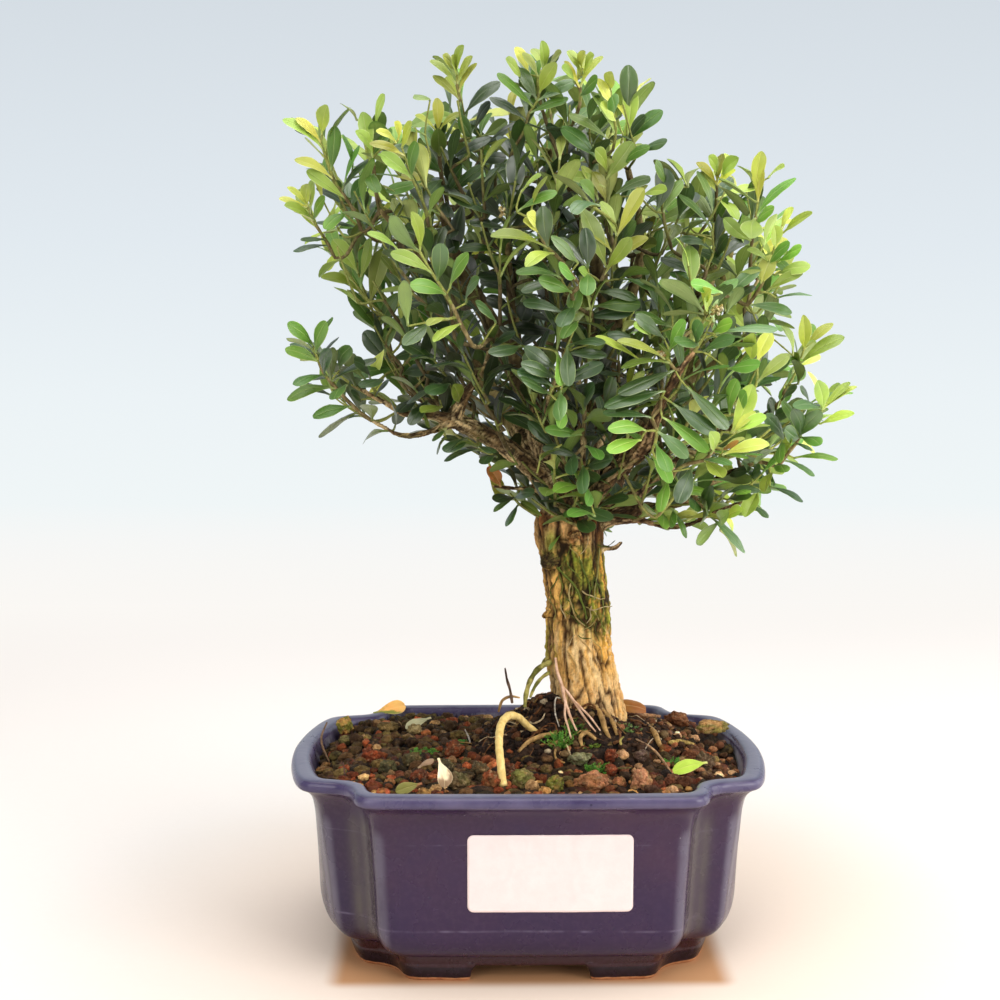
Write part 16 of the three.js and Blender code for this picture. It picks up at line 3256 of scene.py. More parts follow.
    # crumbs on the heap
    s = Soup()
    cnt = 500 if quick else 1300
    X = 12.5 + 27 * rng.standard_normal(cnt * 2) * 0.52
    Y = 5 + 24 * rng.standard_normal(cnt * 2) * 0.55
    ok = (np.hypot((X - 12.5) / 31, (Y - 6) / 27) < 1.05) & (inside_pot(X, Y, 1.0) > 0) & (np.hypot(X - 16, Y - 8) > 8.5)
    X, Y = X[ok][:cnt], Y[ok][:cnt]
    shapes = [rock(0 if i < 24 else 1, 5000 + i, 8, 0.3) for i in range(48)]
    for i, (x, y) in enumerate(zip(X, Y)):
        r = rng.choice([0.35, 0.5, 0.7, 1.0, 1.4], p=[.30, .30, .22, .13, .05]) * rng.uniform(0.85, 1.15)
        Vr, F = shapes[i % 24 + (24 if r > 0.85 else 0)]
        P = (Vr @ turn(rng).T) * r * np.array([1, 0.85, 0.75]) + [x, y, float(lie(x, y)) + 0.35 + r * 0.45]
        u = rng.random()
        c = srgb(38, 27, 22) if u < .5 else srgb(62, 44, 32) if u < .75 else srgb(96, 62, 40) if u < .88 else srgb(120, 98, 66) if u < .96 else srgb(186, 170, 140)
        s.add(P, tris=F, col=np.tile([*(c * np.exp(rng.normal(0.35 * step(8, 26, x), 0.25))), 1], (len(P), 1)))
    V, Q, T, _, A = s.arrays()
    put("compost_crumbs", V, Q, T, (M_GRIT,), None, {"col": ("FLOAT_COLOR", A["col"])}, node="root_ball", slot="compost")
    total += len(T)

    # fine rootlets and bits of bark strewn over the heap
    s = Soup()
    for i in range(120):
        x0, y0 = 12.5 + rng.normal(0, 13), 2 + rng.normal(0, 10)
        if math.hypot((x0 - 12.5) / 29, (y0 - 6) / 25) > 1 or math.hypot(x0 - 16, y0 - 8) < 9.5 or inside_pot(x0, y0, 3.0)[0] < 0:
            continue
        ang = rng.uniform(0, 2 * math.pi)
        ln = rng.uniform(4, 13)
        pts_ = []
        x, y = x0, y0
        m = 6
        for k_ in range(m):
            up = 0.9 + 0.7 * math.sin(math.pi * k_ / (m - 1)) * rng.uniform(0.2, 1.5)
            pts_.append(on(x, y, up))
            ang += rng.normal(0, 0.45)
            x += ln / m * math.cos(ang)
            y += ln / m * math.sin(ang)
        r = rng.choice([0.14, 0.2, 0.3, 0.42], p=[.4, .35, .18, .07])
        Qc = catmull(np.array(pts_), 0.9)
        Vt, q_, t_ = tube(Qc, r * np.linspace(1, 0.55, len(Qc)) * (1 + 0.2 * np.sin(np.arange(len(Qc)) * 1.9)), 5)
        u = rng.random()
        c = srgb(120, 82, 52) if u < .4 else srgb(78, 52, 36) if u < .7 else srgb(168, 136, 86) if u < .9 else srgb(206, 186, 150)
        s.add(Vt, q_, t_, col=np.tile([*c, 1], (len(Vt), 1)))
    V, Q, T, _, A = s.arrays()
    put("rootlets", V, Q, T, (M_GRIT,), None, {"col": ("FLOAT_COLOR", A["col"])}, node="root_ball", slot="compost")
    total += len(Q) * 2 + len(T)
    return total


def mid2(a, b, t, per, d):
    o = around(a, per) * (1 - t) + around(b, per) * t
    return o * (1 - d / np.abs(o).max(0))


# ------------------------------------------------------------------ stones, roots, moss and fallen leaves
# x, y, radius of the larger stones, which the loose grains keep clear of
SET_STONES = [
    # name, x, y, lift, (rx, ry, rz), turn, main colour, patch colour, share of patch
    ("stone_ochre", -51.0, 21.6, 4.0, (2.9, 2.4, 2.7), 0.2, srgb(196, 150, 84), srgb(132, 130, 56), 0.5),
    ("stone_long", 52.0, 12.5, 3.6, (5.9, 2.1, 2.1), 0.25, srgb(196, 152, 98), srgb(142, 132, 70), 0.6),
    ("stone_brown", 43.4, 21.5, 3.4, (3.9, 2.7, 2.5), -0.4, srgb(124, 78, 50), srgb(146, 98, 66), 0.4),
    ("stone_round", 45.6, -15.5, 2.0, (3.0, 2.8, 2.5), 0.0, srgb(104, 82, 62), srgb(84, 72, 50), 0.5),
]
MORE_STONES = [
    (14.9, -34.0, 1.7, (4.9, 3.0, 2.9), 0.1, srgb(188, 130, 94), srgb(150, 104, 66), 0.4),
    (27.3, -33.4, 1.9, (3.4, 2.6, 3.3), 0.6, srgb(190, 134, 98), srgb(150, 126, 76), 0.3),
    (13.1, -18.9, 1.7, (3.7, 2.0, 2.0), 0.25, srgb(136, 138, 104), srgb(90, 92, 56), 0.5),
    (6.2, -34.4, 1.4, (2.9, 2.4, 2.4), 0.9, srgb(132, 112, 56), srgb(104, 110, 44), 0.7),
    (29.2, -15.2, 1.6, (2.6, 2.0, 1.8), 0.3, srgb(108, 86, 76), srgb(82, 66, 52), 0.5),
    (20.9, -17.4, 1.5, (1.9, 1.8, 1.8), 0.3, srgb(134, 64, 38), srgb(104, 54, 34), 0.3),
    (20.6, -23.0, 1.3, (1.8, 1.8, 2.0), 0.3, srgb(140, 70, 42), srgb(104, 54, 34), 0.3),
    (-41.5, -8.2, 1.8, (2.7, 2.4, 2.2), 0.3, srgb(138, 66, 36), srgb(104, 52, 32), 0.4),
    (-19.2, -5.2, 2.2, (3.0, 2.6, 2.7), 0.8, srgb(132, 70, 40), srgb(98, 62, 40), 0.4),
    (-10.0, -33.6, 1.8, (3.0, 2.6, 2.6), 0.3, srgb(140, 74, 42), srgb(116, 78, 46), 0.4),
    (-17.4, -33.0, 1.6, (2.9, 2.4, 2.6), 0.3, srgb(108, 90, 62), srgb(92, 86, 52), 0.5),
    (-2.0, -31.0, 1.9, (3.4, 2.8, 2.6), 0.5, srgb(140, 124, 76), srgb(116, 118, 62), 0.6),
    (-30.9, 16.8, 1.6, (2.4, 1.8, 1.6), 0.5, srgb(176, 158, 110), srgb(140, 124, 80), 0.5),
    (-50.0, 12.5, 1.5, (2.2, 1.8, 1.5), 0.5, srgb(142, 136, 84), srgb(106, 98, 60), 0.5),
    (-38.5, 19.0, 1.8, (3.2, 2.4, 1.9), 0.1, srgb(96, 80, 46), srgb(124, 104, 62), 0.5),
    (-36.0, -20.0, 1.7, (2.9, 2.4, 2.2), 0.1, srgb(84, 82, 52), srgb(64, 60, 40), 0.5),
    (-30.5, -13.0, 1.9, (2.8, 2.4, 2.2), 0.6, srgb(86, 80, 52), srgb(106, 92, 58), 0.5),
    (-27.8, -27.8, 1.6, (2.6, 2.2, 2.3), 1.2, srgb(130, 70, 44), srgb(98, 60, 42), 0.5),
    (-12.5, -22.0, 1.7, (2.6, 2.3, 2.2), 1.0, srgb(82, 72, 48), srgb(110, 88, 58), 0.5),
    (-21.0, -20.0, 1.8, (2.5, 2.2, 2.4), 0.2, srgb(94, 86, 56), srgb(70, 64, 44), 0.5),
    (-5.0, -23.5, 1.6, (2.3, 2.2, 2.1), 0.2, srgb(124, 70, 46), srgb(90, 58, 40), 0.5),
    (35.5, -31.0, 1.3, (2.2, 2.0, 1.8), 0.4, srgb(128, 78, 54), srgb(98, 62, 44), 0.5),
]
SET_STONES_XY = [(s[1], s[2], max(s[4][:2]) * 0.95) for s in SET_STONES] + [(s[0], s[1], max(s[3][:2]) * 0.95) for s in MORE_STONES]


def stone(seed, x, y, lift, radii, ang, c1, c2, share):
    Vr, F = rock(3, seed, 13, 0.24, (0.66, 0.95))
    n1 = fbm(Vr * 6 + seed, 3, 601)
    pit = cells(Vr * 4.5 + seed, 611)
    Vr = Vr * (1 + 0.05 * (n1 - 0.5) + 0.035 * (step(0.1, 0.5, pit[0]) - 0.5))[:, None]
    c, s = math.cos(ang), math.sin(ang)
    P = Vr * radii
    P = P @ np.array([[c, s, 0], [-s, c, 0], [0, 0, 1]])
    n = fbm(Vr * 1.6 + seed * 0.7, 4, 621)
    col = mixc(np.tile(c1, (len(P), 1)), c2, step(0.5 - share * 0.2, 0.66 - share * 0.15, n))
    # darker in the pits: painted shade
    col = mixc(col, col * 0.55, (1 - step(0.12, 0.45, pit[0])) * 0.6)
    col = mixc(col, srgb(176, 156, 120), step(0.66, 0.74, n1) * 0.5)
    return P + [x, y, float(lie(x, y)) + lift - 0.3], F, np.column_stack([col, np.ones(len(col))])


def root(points, radii, material, name, node, slot, sides=12, branches=(), lumps=0.10, seed=0, close=0.45):
    s = Soup()
    for bi, (pts, rr) in enumerate([(points, radii)] + list(branches)):
        Q = catmull(np.column_stack([np.array(pts, float), np.interp(np.linspace(0, 1, len(pts)), np.linspace(0, 1, len(rr)), rr)]), close)
        k = np.arange(len(Q))
        a = np.arange(sides) / sides * 2 * math.pi
        n = fbm(np.column_stack([np.repeat(k, sides) * 0.13, np.tile(np.cos(a), len(k)) * 0.8 + seed, np.tile(np.sin(a), len(k)) * 0.8]), 3, 700 + seed).reshape(len(k), sides)
        wob = 1 + lumps * 3.2 * (n - 0.5) + 0.04 * np.sin(k * 0.9 + seed)[:, None]
        V, q, t = tube(Q[:, :3], Q[:, 3], sides, wobble=wob)
        s.add(V, q, t)
    V, Q, T, _, _ = s.arrays()
    put(name, V, Q, T, (material,), None, node=node, slot=slot)
    return len(Q) * 2 + len(T)


def dry_blade(name, node, foot, tip, width, normal, ctop, cbottom, bow, fold, curl, slot="dry_leaf", seed=0, twist=0.0, spots=None):
    """One fallen leaf with its own colours."""
    s = Soup()
    saved = LEAF_COLOURS[7]
    LEAF_COLOURS[7] = (ctop, cbottom, mixc(ctop, srgb(230, 205, 150), np.array(0.45)))
    foot, tip = np.array(foot, float), np.array(tip, float)
    D = np.array([[*foot, *tip, width, *normal, 7, bow]])
    grid = dict(s=list(np.linspace(0, 0.93, 24)), u=list(np.linspace(-1, 1, 13)))
    blades(s, D, grid, 900 + seed, 0, 1)
    LEAF_COLOURS[7] = saved
    V, Q, T, I, A = s.arrays()
    # folds and curl of a dry leaf
    a = unit(tip - foot)
    n = unit(np.array(normal, float) - a * np.dot(normal, a))
    b = np.cross(n, a)
    rel = V - foot
    t, l = rel @ a, rel @ b
    L = np.linalg.norm(tip - foot)
    half = width / 2
    V = V + n * (half * (fold * np.abs(l / half) + curl * (l / half) ** 2) * step(0.1, 0.4, t / L))[:, None]
    V = V + n * (twist * l * (t / L - 0.4))[:, None]
    V = V + n * (0.5 * (fbm(np.column_stack([t * 0.35, l * 0.5, t * 0]) + seed, 3, 905) - 0.5))[:, None]
    col = A["col"]
    if spots is not None:
        m = step(0.48, 0.62, fbm(np.column_stack([t * 0.25, l * 0.4, t * 0]) + seed * 3, 3, 911) + spots[1] * (t / L - 0.5))
        col[:, :3] = mixc(col[:, :3], spots[0], m)
    sharp = A.pop("sharp") > 0.5
    put(name, V, Q, T, (M_DRY, M_DRY), I, {"col": ("FLOAT_COLOR", col), "edge": ("FLOAT_COLOR", A["edge"]), "lc": ("FLOAT_VECTOR", A["lc"])}, sharp=sharp, node=node, slot=slot)
    return len(Q) * 2 + len(T)


def moss_tuft(s, x, y, radius, count, seed, colour=(84, 138, 44), height=2.2):
    """Small fern-like moss shoots."""
    rng = np.random.default_rng(seed)
    for i in range(count):
        ang, d = rng.uniform(0, 2 * math.pi), radius * math.sqrt(rng.random())
        bx, by = x + d * math.cos(ang), y + d * 0.7 * math.sin(ang)
        base = np.array(on(bx, by, 0.2))
        lean = np.array([math.cos(ang) * 0.5 + rng.normal(0, 0.3), math.sin(ang) * 0.5 + rng.normal(0, 0.3), 1.0])
        lean = unit(lean)
        h = height * rng.uniform(0.6, 1.15) * (1 - 0.35 * d / radius)
        m = 5
        P = np.array([base + lean * h * t + np.array([0, 0, -0.25 * h * t * t]) for t in np.linspace(0, 1, m)])
        V, q, t_ = tube(P, np.linspace(0.16, 0.07, m), 4)
        c = srgb(*colour) * np.exp(rng.normal(0, 0.22)) * np.array([rng.uniform(0.8, 1.3), 1, 1])
        s.add(V, q, t_, col=np.tile([*(c * 0.7), 1], (len(V), 1)))
        # leaflets along the shoot
        for k in range(9):
            t = 0.2 + 0.8 * k / 8
            p = base + lean * h * t + np.array([0, 0, -0.25 * h * t * t])
            az = k * 2.4 + rng.uniform(0, 1)
            dirv = unit(np.array([math.cos(az), math.sin(az), 0.55]))
            ln = 0.75 * (1.15 - 0.45 * t) * rng.uniform(0.8, 1.2)
            side = unit(np.cross(dirv, [0, 0, 1]))
            upn = np.cross(side, dirv)
            w = 0.17
            Vl = np.array([p, p + dirv * ln * 0.45 + side * w, p + dirv * ln, p + dirv * ln * 0.45 - side * w, p + dirv * ln * 0.45 + upn * 0.07, p + dirv * ln * 0.45 - upn * 0.07])
            Tl = [(0, 1, 4), (1, 2, 4), (2, 3, 4), (3, 0, 4), (1, 0, 5), (2, 1, 5), (3, 2, 5), (0, 3, 5)]
            cc = c * (0.8 + 0.5 * t)
            s.add(Vl, tris=Tl, col=np.tile([*np.clip(cc, 0, 1), 1], (6, 1)))


def build_small():
    tot = 0
    for i, (name, x, y, lift, radii, ang, c1, c2, share) in enumerate(SET_STONES):
        V, F, col = stone(810 + i, x, y, lift, radii, ang, c1, c2, share)
        put(name + "_rough", V, None, F, (M_GRIT,), None, {"col": ("FLOAT_COLOR", col)}, node=name, slot="stones")
        tot += len(F)
    s = Soup()
    for i, a in enumerate(MORE_STONES):
        V, F, col = stone(840 + i, *a)
        s.add(V, tris=F, col=col)
    V, Q, T, _, A = s.arrays()
    put("grit_large", V, Q, T, (M_GRIT,), None, {"col": ("FLOAT_COLOR", A["col"])}, node="soil_bed", slot="soil_grit")
    tot += len(T)

    # looped pale root at the left of the heap
    tot += root(LOOP, [1.06, 1.02, 1.0, 1.02, 1.05, 0.98, 0.9, 0.75], M_ROOT_PALE, "root_loop", "looped_root", "root_skin", 18, lumps=0.05, seed=1)
    # forked pinkish root in front of the trunk
    tot += root([(7.6, -1.4, 72.6), (8.0, -2.9, 69.3), (9.2, -4.4, 65.6), (10.0, -6.4, 61.8), (11.4, -8.6, 57.9), (12.8, -10.4, 55.0)], [0.34, 0.42, 0.46, 0.42, 0.34, 0.22], M_ROOT_PINK, "root_fork", "forked_root", "root_skin", 12,
                branches=[([(9.0, -4.2, 66.0), (11.6, -5.0, 62.8), (13.9, -6.4, 59.4), (16.0, -8.2, 56.6), (17.8, -9.8, 54.6)], [0.34, 0.36, 0.33, 0.28, 0.18]),
                          ([(10.0, -6.3, 62.0), (9.8, -8.4, 58.6), (10.6, -11.0, 55.8), (11.2, -13.0, 53.6)], [0.32, 0.30, 0.26, 0.18]),
                          ([(12.0, -5.2, 62.2), (14.6, -6.8, 59.8), (16.6, -8.6, 58.0), (19.0, -10.2, 55.0)], [0.32, 0.3, 0.26, 0.16])], lumps=0.08, seed=2)
    # twisted brown and yellow roots at the right
    tw = [([on(33.5, 3.0, 0.7), on(34.1, -2.0, 1.3), on(34.6, -6.5, 1.3), on(35.4, -10.0, 0.9), on(36.8, -13.8, 0.3)], [0.55, 0.7, 0.68, 0.55, 0.35]),
          ([on(14.4, -1.6, 1.2), on(17.2, 0.0, 1.5), on(19.8, 1.0, 2.0), on(22.6, 2.4, 2.4)], [0.4, 0.6, 0.62, 0.5]),
          ([on(17.2, 0.2, 1.4), on(19.2, -3.2, 1.4), on(20.6, -7.0, 1.0), on(21.6, -9.8, 0.6)], [0.5, 0.7, 0.66, 0.4]),
          ([on(20.4, -1.4, 1.6), on(22.6, -4.4, 1.4), on(23.6, -8.0, 1.0)], [0.5, 0.6, 0.4]),
          ([on(14.2, -15.0, 0.8), on(13.6, -12.4, 2.0), on(15.2, -10.8, 2.4), on(17.6, -12.0, 1.6)], [0.35, 0.55, 0.58, 0.4])]
    tot += root(tw[0][0], tw[0][1], M_ROOT_BROWN, "root_twist", "twisted_root", "root_skin", 12, branches=tw[1:], lumps=0.22, seed=3)
    # tan root over the heap, and the greenish roots that leave the trunk's foot at the left
    tot += root([on(-2.5, -13, 0.9), on(0.5, -11, 1.7), on(4.0, -10.0, 1.9), on(7.6, -8.5, 1.0)], [0.45, 0.62, 0.62, 0.4], M_ROOT_BROWN, "root_tan", "brown_root", "root_skin", 12,
                branches=[([(-7.6, -2.0, 58.2), (-6.6, -3.0, 61.4), (-4.4, -3.4, 62.6), (-2.0, -3.0, 62.2)], [0.3, 0.4, 0.38, 0.2])], lumps=0.10, seed=4)
    s = Soup()
    for pts, rr in (([(6.6, 3.2, 70.6), (4.6, 2.0, 70.0), (2.4, 1.0, 68.4), (0.6, -0.6, 65.6), (-0.3, -1.6, 62.4), (-0.6, -2.4, 59.6)], [0.75, 0.8, 0.75, 0.7, 0.65, 0.5]),
                    ([(6.2, 2.2, 68.0), (4.0, 0.6, 66.8), (2.2, -0.8, 64.8), (0.8, -1.8, 62.0)], [0.5, 0.5, 0.48, 0.3]),
                    ([(5.6, 3.0, 72.0), (4.4, 2.4, 70.8), (3.8, 2.0, 69.4)], [0.35, 0.3, 0.2]),
                    ([(-5.9, -4, 70.4), (-5.4, -4.2, 67.4), (-4.6, -4.0, 64.6), (-4.0, -3.8, 61.0)], [0.18, 0.34, 0.36, 0.4])):
        Q = catmull(np.column_stack([pts, rr]), 0.5)
        k = np.arange(len(Q))
        V, q, t = tube(Q[:, :3], Q[:, 3] * (1 + 0.12 * np.sin(k * 0.8)), 10)
        n = fbm(V * 0.7, 3, 730)
        c = mixc(srgb(112, 112, 50), srgb(188, 180, 104), step(0.38, 0.62, n))
        if rr[0] < 0.2:
            c = mixc(srgb(70, 52, 42), srgb(120, 96, 80), step(0.38, 0.62, n))
        s.add(V, q, t, col=np.column_stack([c, np.ones(len(c))]))
    V, Q, T, _, A = s.arrays()
    put("aerial_roots", V, Q, T, (M_BARK,), None, {"col": ("FLOAT_COLOR", A["col"])}, node="trunk", slot="bark")
    tot += len(Q) * 2 + len(T)
    # white hair roots and loose sticks
    s = Soup()
    for pts, rr, c in (([on(28.4, -9.1, 1.5), on(32.1, -12.0, 2.0), on(34.6, -15.1, 1.6), on(36.0, -22.0, 0.8)], [0.18, 0.28, 0.32, 0.2], (196, 160, 124)),
                       ([on(30.2, -12.6, 0.8), on(32.0, -10.6, 2.6), on(33.0, -9.6, 3.2)], [0.12, 0.14, 0.08], (206, 190, 166)),
                       ([on(37.7, -5.0, 1.2), on(41.0, -2.0, 1.5), on(45.0, 0.5, 1.2)], [0.5, 0.6, 0.45], (186, 160, 92)),
                       ([on(30.5, 12.0, 1.2), on(34.2, 15.0, 1.8), on(38.0, 18.0, 2.6)], [0.55, 0.6, 0.4], (170, 130, 94)),
                       ([on(24.6, -13.6, 0.6), on(24.0, -12.8, 2.2), on(24.9, -12.2, 3.2)], [0.3, 0.34, 0.2], (186, 172, 96)),
                       ([on(19.0, -21.5, 0.5), on(22.8, -22.4, 1.5), on(26.0, -22.0, 1.7)], [0.2, 0.24, 0.12], (110, 104, 60)),
                       ([on(9.0, 0.4, 2.2), on(7.7, -1.4, 3.0), on(7.4, -3.6, 2.2), on(8.4, -6.2, 0.9)], [0.16, 0.2, 0.2, 0.14], (206, 200, 186)),
                       ([(-46.7, -23.0, 45.8), (-46.9, -22.8, 47.8), (-47.1, -22.4, 49.9)], [0.18, 0.22, 0.12], (120, 92, 84)),
                       ([(-15.6, 2.0, 47.4), (-15.4, 1.2, 49.6), (-16.6, 1.0, 52.6)], [0.18, 0.24, 0.16], (206, 200, 188))):
        Q = catmull(np.column_stack([pts, rr]), 0.6)
        V, q, t = tube(Q[:, :3], Q[:, 3] * (1 + 0.10 * np.sin(np.arange(len(Q)) * 1.1)), 8)
        n = fbm(V * 0.8, 3, 741)
        cc = mixc(srgb(*c) * 0.7, srgb(*c) * 1.1, step(0.35, 0.65, n))
        s.add(V, q, t, col=np.column_stack([np.clip(cc, 0, 1), np.ones(len(cc))]))
    V, Q, T, _, A = s.arrays()
    put("hair_roots", V, Q, T, (M_GRIT,), None, {"col": ("FLOAT_COLOR", A["col"])}, node="soil_bed", slot="soil_grit")
    tot += len(Q) * 2 + len(T)
    tot += root([(-55.2, 14, 51.5), (-56.0, 8, 49.3), (-55.3, 3, 47.6), (-52.8, -3, 44.9)], [0.2, 0.3, 0.32, 0.24], M_STICK, "stick_curved", "thin_stick", "dry_stick", 9, lumps=0.10, seed=6)

    # dried flower remains at three shoot tips
    for name, at, cnt, rad in (("front_bud", (44.9, -31.0, 163.2), 22, 1.5), ("front_left", (-6.7, -14.5, 188.4), 14, 1.2), ("front_right", (31.5, -31.5, 152.6), 7, 0.8)):
        s = Soup()
        rng = np.random.default_rng(int(abs(at[0]) * 10) + 5)
        for i in range(cnt):
            d = unit(rng.normal(0, 1, 3) + [0.15, -0.5, 0.6])
            Vr, F = rock(1, 8100 + i, 6, 0.2)
            u = unit(np.cross(d, [0.3, 0.2, 0.9]))
            w = np.cross(d, u)
            Vr = Vr[:, :1] * u * 0.40 + Vr[:, 1:2] * w * 0.40 + Vr[:, 2:3] * d * 0.85
            c = ((222, 212, 158), (196, 190, 120), (236, 228, 190), (176, 150, 96))[rng.integers(4)]
            s.add(Vr + np.array(at) + d * rad * rng.uniform(0.35, 1.0), tris=F, col=np.tile([*srgb(*c), 1], (len(Vr), 1)))
        V, Q, T, _, A = s.arrays()
        put("flower_rest_" + name, V, Q, T, (M_GRIT,), None, {"col": ("FLOAT_COLOR", A["col"])}, node="spray_" + name, slot="foliage")
        tot += len(T)

    # moss
    s = Soup()
    moss_tuft(s, -27.5, -2.5, 3.3, 46, 31)
    moss_tuft(s, -18.0, 4.0, 2.0, 18, 32, (60, 128, 44))
    V, Q, T, _, A = s.arrays()
    put("moss_tuft_left", V, Q, T, (M_MOSS,), None, {"col": ("FLOAT_COLOR", A["col"])}, node="moss_left", slot="moss")
    tot += len(Q) * 2 + len(T)
    s = Soup()
    for x, y, r, n, c, h in ((17.8, -22.0, 2.8, 40, (82, 140, 44), 3.2), (8.3, -12.4, 3.0, 50, (96, 150, 50), 5.2), (13.0, -8.6, 2.2, 24, (78, 124, 40), 4.2), (37.6, -14.5, 2.6, 26, (84, 146, 44), 2.4),
                             (27.6, -3.2, 3.0, 30, (96, 128, 66), 2.2), (12.2, -6.0, 2.2, 24, (88, 120, 46), 2.6), (16.2, -13.6, 2.0, 20, (96, 120, 40), 2.0)):
        moss_tuft(s, x, y, r, n, int(x * 7 + 900), c, h)
    V, Q, T, _, A = s.arrays()
    put("moss_tufts_front", V, Q, T, (M_MOSS,), None, {"col": ("FLOAT_COLOR", A["col"])}, node="moss_front", slot="moss")
    tot += len(Q) * 2 + len(T)

    # fallen leaves
    def flat(x, y, z, ln, tn, tilt):
        c, s_ = math.cos(tn), math.sin(tn)
        d = np.array([c * math.cos(tilt), s_ * math.cos(tilt), math.sin(tilt)]) * ln / 2
        return np.array([x, y, z]) - d, np.array([x, y, z]) + d
    t, f = np.array([-20.9, -38.8, 48.1]), np.array([-22.6, -35.8, 54.6])
    tot += dry_blade("leaf_beige", "fallen_leaf_beige", f, t, 3.9, (0.45, -0.85, 0.3), srgb(214, 184, 142), srgb(196, 168, 128), 0.02, 0.6, 0.0, seed=1, spots=(srgb(150, 120, 88), 0.4))
    f, t = flat(40.4, -26.0, 49.5, 9.4, 0.22, 0.20)
    tot += dry_blade("leaf_green", "fallen_leaf_green", t, f, 4.0, (0.05, -0.75, 0.65), srgb(150, 176, 58), srgb(160, 180, 80), 0.05, 0.25, 0.0, seed=2)
    f, t = np.array([-44.0, 37.5, 48.6]), np.array([-35.0, 44.0, 49.6])
    tot += dry_blade("leaf_orange", "fallen_leaf_back", f, t, 4.6, (0.25, -0.68, 0.69), srgb(214, 156, 86), srgb(190, 140, 80), 0.05, 0.12, 0.0, seed=3, spots=(srgb(140, 148, 60), -0.9))
    f, t = flat(28.5, 34.0, 50.4, 15.0, 0.0, -0.02)
    tot += dry_blade("leaf_brown", "fallen_leaf_brown", f, t, 6.6, (0.0, -0.62, 0.78), srgb(112, 66, 20), srgb(104, 64, 22), 0.14, 0.1, -0.25, seed=4, spots=(srgb(170, 108, 36), 0.3))
    tot += dry_blade("leaf_olive", "fallen_leaf_beige", (-26.5, -39.4, 49.3), (-32.8, -40.6, 47.6), 3.0, (0.1, -0.8, 0.6), srgb(132, 124, 50), srgb(140, 128, 60), 0.04, 0.2, 0.0, seed=5, spots=(srgb(150, 82, 48), -0.5))
    tot += dry_blade("leaf_bark", "fallen_leaf_back", (-26.6, 22.0, 50.9), (-33.5, 17.5, 48.9), 3.0, (0.1, -0.7, 0.7), srgb(150, 142, 108), srgb(140, 128, 94), 0.05, 0.3, 0.0, seed=6)
    tot += dry_blade("leaf_seed", "fallen_leaf_beige", (-28.2, -22.0, 48.2), (-24.4, -20.4, 50.4), 2.0, (-0.3, -0.8, 0.6), srgb(178, 140, 106), srgb(170, 130, 96), 0.1, -0.3, -0.4, seed=7)
    tot += dry_blade("dead_leaf_orange", "dead_leaf", (-7.0, -4.1, 118.6), (-10.4, -5.4, 123.9), 3.9, (0.25, -0.95, 0.1), srgb(214, 134, 60), srgb(206, 140, 74), 0.12, 0.35, 0.0, seed=8, spots=(srgb(160, 88, 40), 0.3))
    return tot


LOOP = [[-6.8, -34.0, 47.1], [-7.3, -31.0, 51.5], [-7.7, -25.0, 55.8], [-7.1, -19.0, 58.7], [-5.3, -14.0, 59.8], [-2.6, -10.0, 58.6], [0.1, -7.0, 55.5], [2.8, -5.0, 53.1]]


# ------------------------------------------------------------------ build
COUNTS = {}
COUNTS["sprays"] = build_sprays()
COUNTS["trunk"] = build_trunk()
COUNTS["pot"] = build_pot()
COUNTS["label"] = build_label()
COUNTS["drains"] = build_drains()
COUNTS["soil"] = build_soil()
COUNTS["small"] = build_small()
print("TRIANGLES", COUNTS, sum(COUNTS.values()))


# ------------------------------------------------------------------ floor, light and camera
def stage_surface(name, stops, axis, lo, hi, base=None, near=None):
    """Plain ground with a painted warm shade near the pot and a painted shadow round the foot ring, carrying the
    backdrop's own tone further away.
    """
    m = Mat(name)
    c = m.xyz(m.obj, axis)
    n = m.noise(1.3, 2)
    f = m.range(m.math("ADD", c, m.math("MULTIPLY", m.math("SUBTRACT", n, 0.5), 0.04)), lo, hi, 0.0, 1.0)
    e = m.node("ShaderNodeEmission")
    m.link(m.ramp(f, stops), e.inputs["Color"])
    e.inputs["Strength"].default_value = 1.0
    if base is None:
        m.link(e.outputs[0], m.out.inputs["Surface"])
        return m.m
    grain = m.noise(420, 3)
    x, y = m.xyz(m.obj, 0), m.xyz(m.obj, 1)
    far_out = m.smooth(m.math("SQRT", m.math("ADD", m.math("MULTIPLY", x, x), m.math("MULTIPLY", y, y))), 0.055, 0.16)
    # painted warm shade near the pot, fading further out, and a painted warm shadow round the foot ring
    dx = m.math("MAXIMUM", m.math("SUBTRACT", m.math("ABSOLUTE", m.math("ADD", x, 0.011)), 0.046), 0.0)
    dy = m.math("MAXIMUM", m.math("SUBTRACT", m.math("ABSOLUTE", m.math("ADD", y, 0.0074)), 0.036), 0.0)
    close = m.smooth(m.math("SQRT", m.math("ADD", m.math("MULTIPLY", dx, dx), m.math("MULTIPLY", dy, dy))), 0.0, 0.006)
    base = m.mix(far_out, base, srgb(232, 226, 222))
    base = m.mix(close, srgb(196, 146, 104), base)
    m.P(Base_Color=m.mix(m.range(grain, 0.35, 0.65, 0.0, 0.05), base, m.mix(1.0, base, (0.9, 0.86, 0.8), "MULTIPLY")), Roughness=0.8)
    m.p.inputs["Specular IOR Level"].default_value = 0.2
    mx = m.node("ShaderNodeMixShader")
    m.link(m.smooth(c, *near), mx.inputs[0])
    m.link(m.p.outputs["BSDF"], mx.inputs[1])
    m.link(e.outputs[0], mx.inputs[2])
    m.link(mx.outputs[0], m.out.inputs["Surface"])
    return m.m


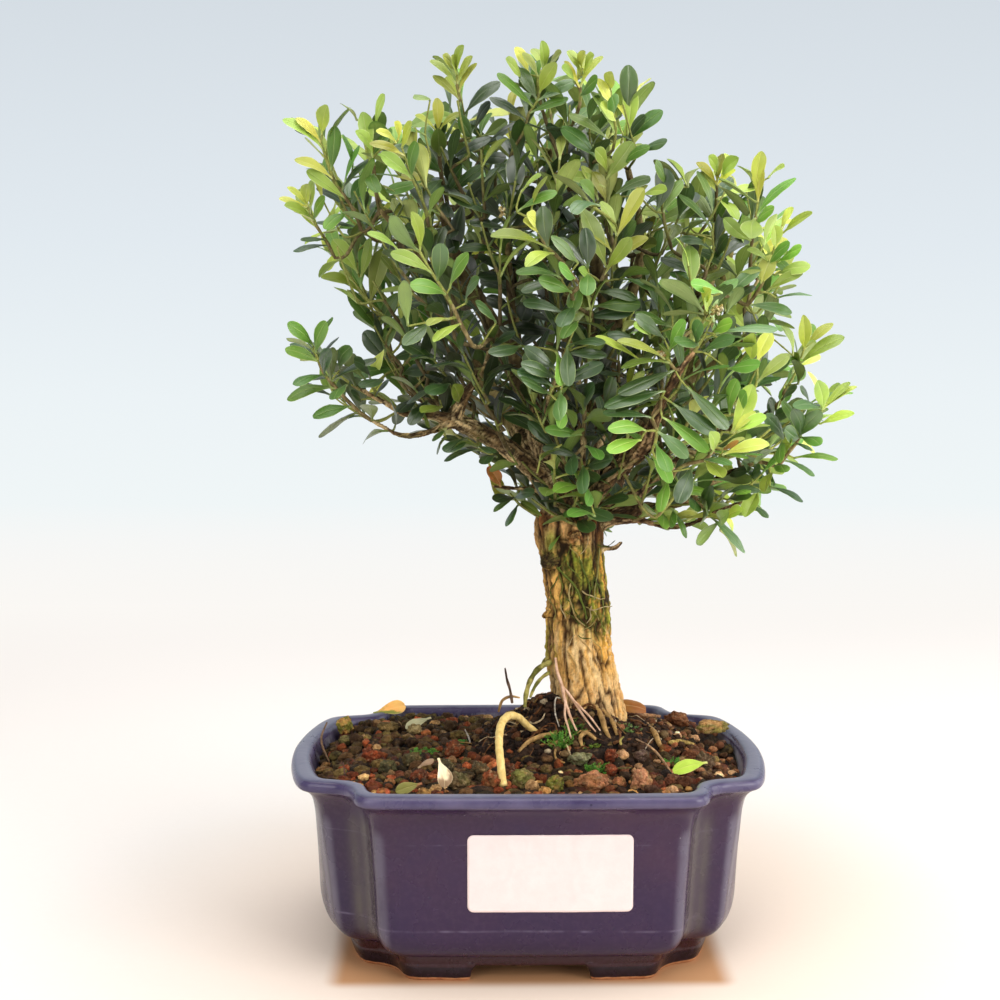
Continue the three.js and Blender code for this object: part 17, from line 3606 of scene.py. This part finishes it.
def build_stage():
    n = 48
    X = np.linspace(-3, 3, n)
    far = [(0.0, srgb(254, 248, 243)), (0.35, srgb(251, 248, 244)), (0.7, srgb(246, 247, 246)), (1.0, srgb(240, 246, 247))]
    up = [(0.0, srgb(240, 246, 247)), (0.12, srgb(236, 243, 246)), (0.30, srgb(226, 234, 240)), (0.57, srgb(213, 221, 228)), (1.0, srgb(203, 212, 221))]
    for name, rows, mat in (
            ("studio_floor", [(y, 0.0) for y in (-1.4, -0.6, 0.0, 0.4, 0.8, 1.3)], stage_surface("pale_floor", far, 1, 0.10, 1.28, srgb(239, 221, 206), (0.16, 0.55))),
            ("studio_wall", [(1.28, z) for z in np.linspace(-0.02, 2.2, 12)], stage_surface("backdrop", up, 2, 0.0, 1.0))):
        me = bpy.data.meshes.new(name)
        V = [(x, y, z) for (y, z) in rows for x in X]
        F = [(i * n + j, i * n + j + 1, (i + 1) * n + j + 1, (i + 1) * n + j) for i in range(len(rows) - 1) for j in range(n - 1)]
        me.from_pydata(V, [], F)
        me.materials.append(mat)
        ob = bpy.data.objects.new(name, me)
        bpy.context.scene.collection.objects.link(ob)
        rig.stage(ob)


def area(name, loc, target, size, power, colour, sy=None):
    d = bpy.data.lights.new(name, "AREA")
    d.shape = "RECTANGLE"
    d.size = size
    d.size_y = sy or size
    d.energy = power
    d.color = colour
    o = bpy.data.objects.new(name, d)
    o.location = loc
    v = np.array(target) - np.array(loc)
    from mathutils import Vector
    o.rotation_euler = Vector(v).to_track_quat("-Z", "Y").to_euler()
    bpy.context.scene.collection.objects.link(o)
    return o


build_stage()
area("overhead", (0.05, -0.15, 1.15), (0, 0, 0.1), 1.2, 14.0, (1.0, 0.985, 0.95))
area("front_left", (-0.70, -1.0, 0.60), (0, 0, 0.12), 0.9, 7.6, (1.0, 0.97, 0.94))
area("front_right", (0.95, -0.75, 0.50), (0, 0, 0.12), 0.8, 12.5, (1.0, 0.98, 0.95))
area("side_right", (1.15, 0.20, 0.40), (0, 0, 0.10), 0.9, 6.0, (1.0, 0.985, 0.96))
world = bpy.data.worlds.new("soft_room")
world.use_nodes = True
wn = world.node_tree
wn.nodes["Background"].inputs["Color"].default_value = (0.98, 0.985, 1.0, 1)
wn.nodes["Background"].inputs["Strength"].default_value = 0.22
bpy.context.scene.world = world
bpy.context.scene.view_settings.view_transform = "Standard"

cam_d = bpy.data.cameras.new("camera")
cam_d.lens = 52.97
cam_d.sensor_width = 36.0
cam_d.clip_start = 0.01
cam = bpy.data.objects.new("camera", cam_d)
cam.location = (-0.02207, -0.39621, 0.1501)
pitch, yaw = 0.087, 0.010
from mathutils import Vector
cam.rotation_euler = Vector((math.sin(yaw) * math.cos(pitch), math.cos(yaw) * math.cos(pitch), -math.sin(pitch))).to_track_quat("-Z", "Y").to_euler()
bpy.context.scene.collection.objects.link(cam)
bpy.context.scene.camera = cam

FULL_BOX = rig.bounds()
try:
    json.dump({"cad": [list(map(float, p)) for p in CAD_BOX], "visual": [list(map(float, p)) for p in FULL_BOX]}, open("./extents.json", "w"))
except OSError:
    pass
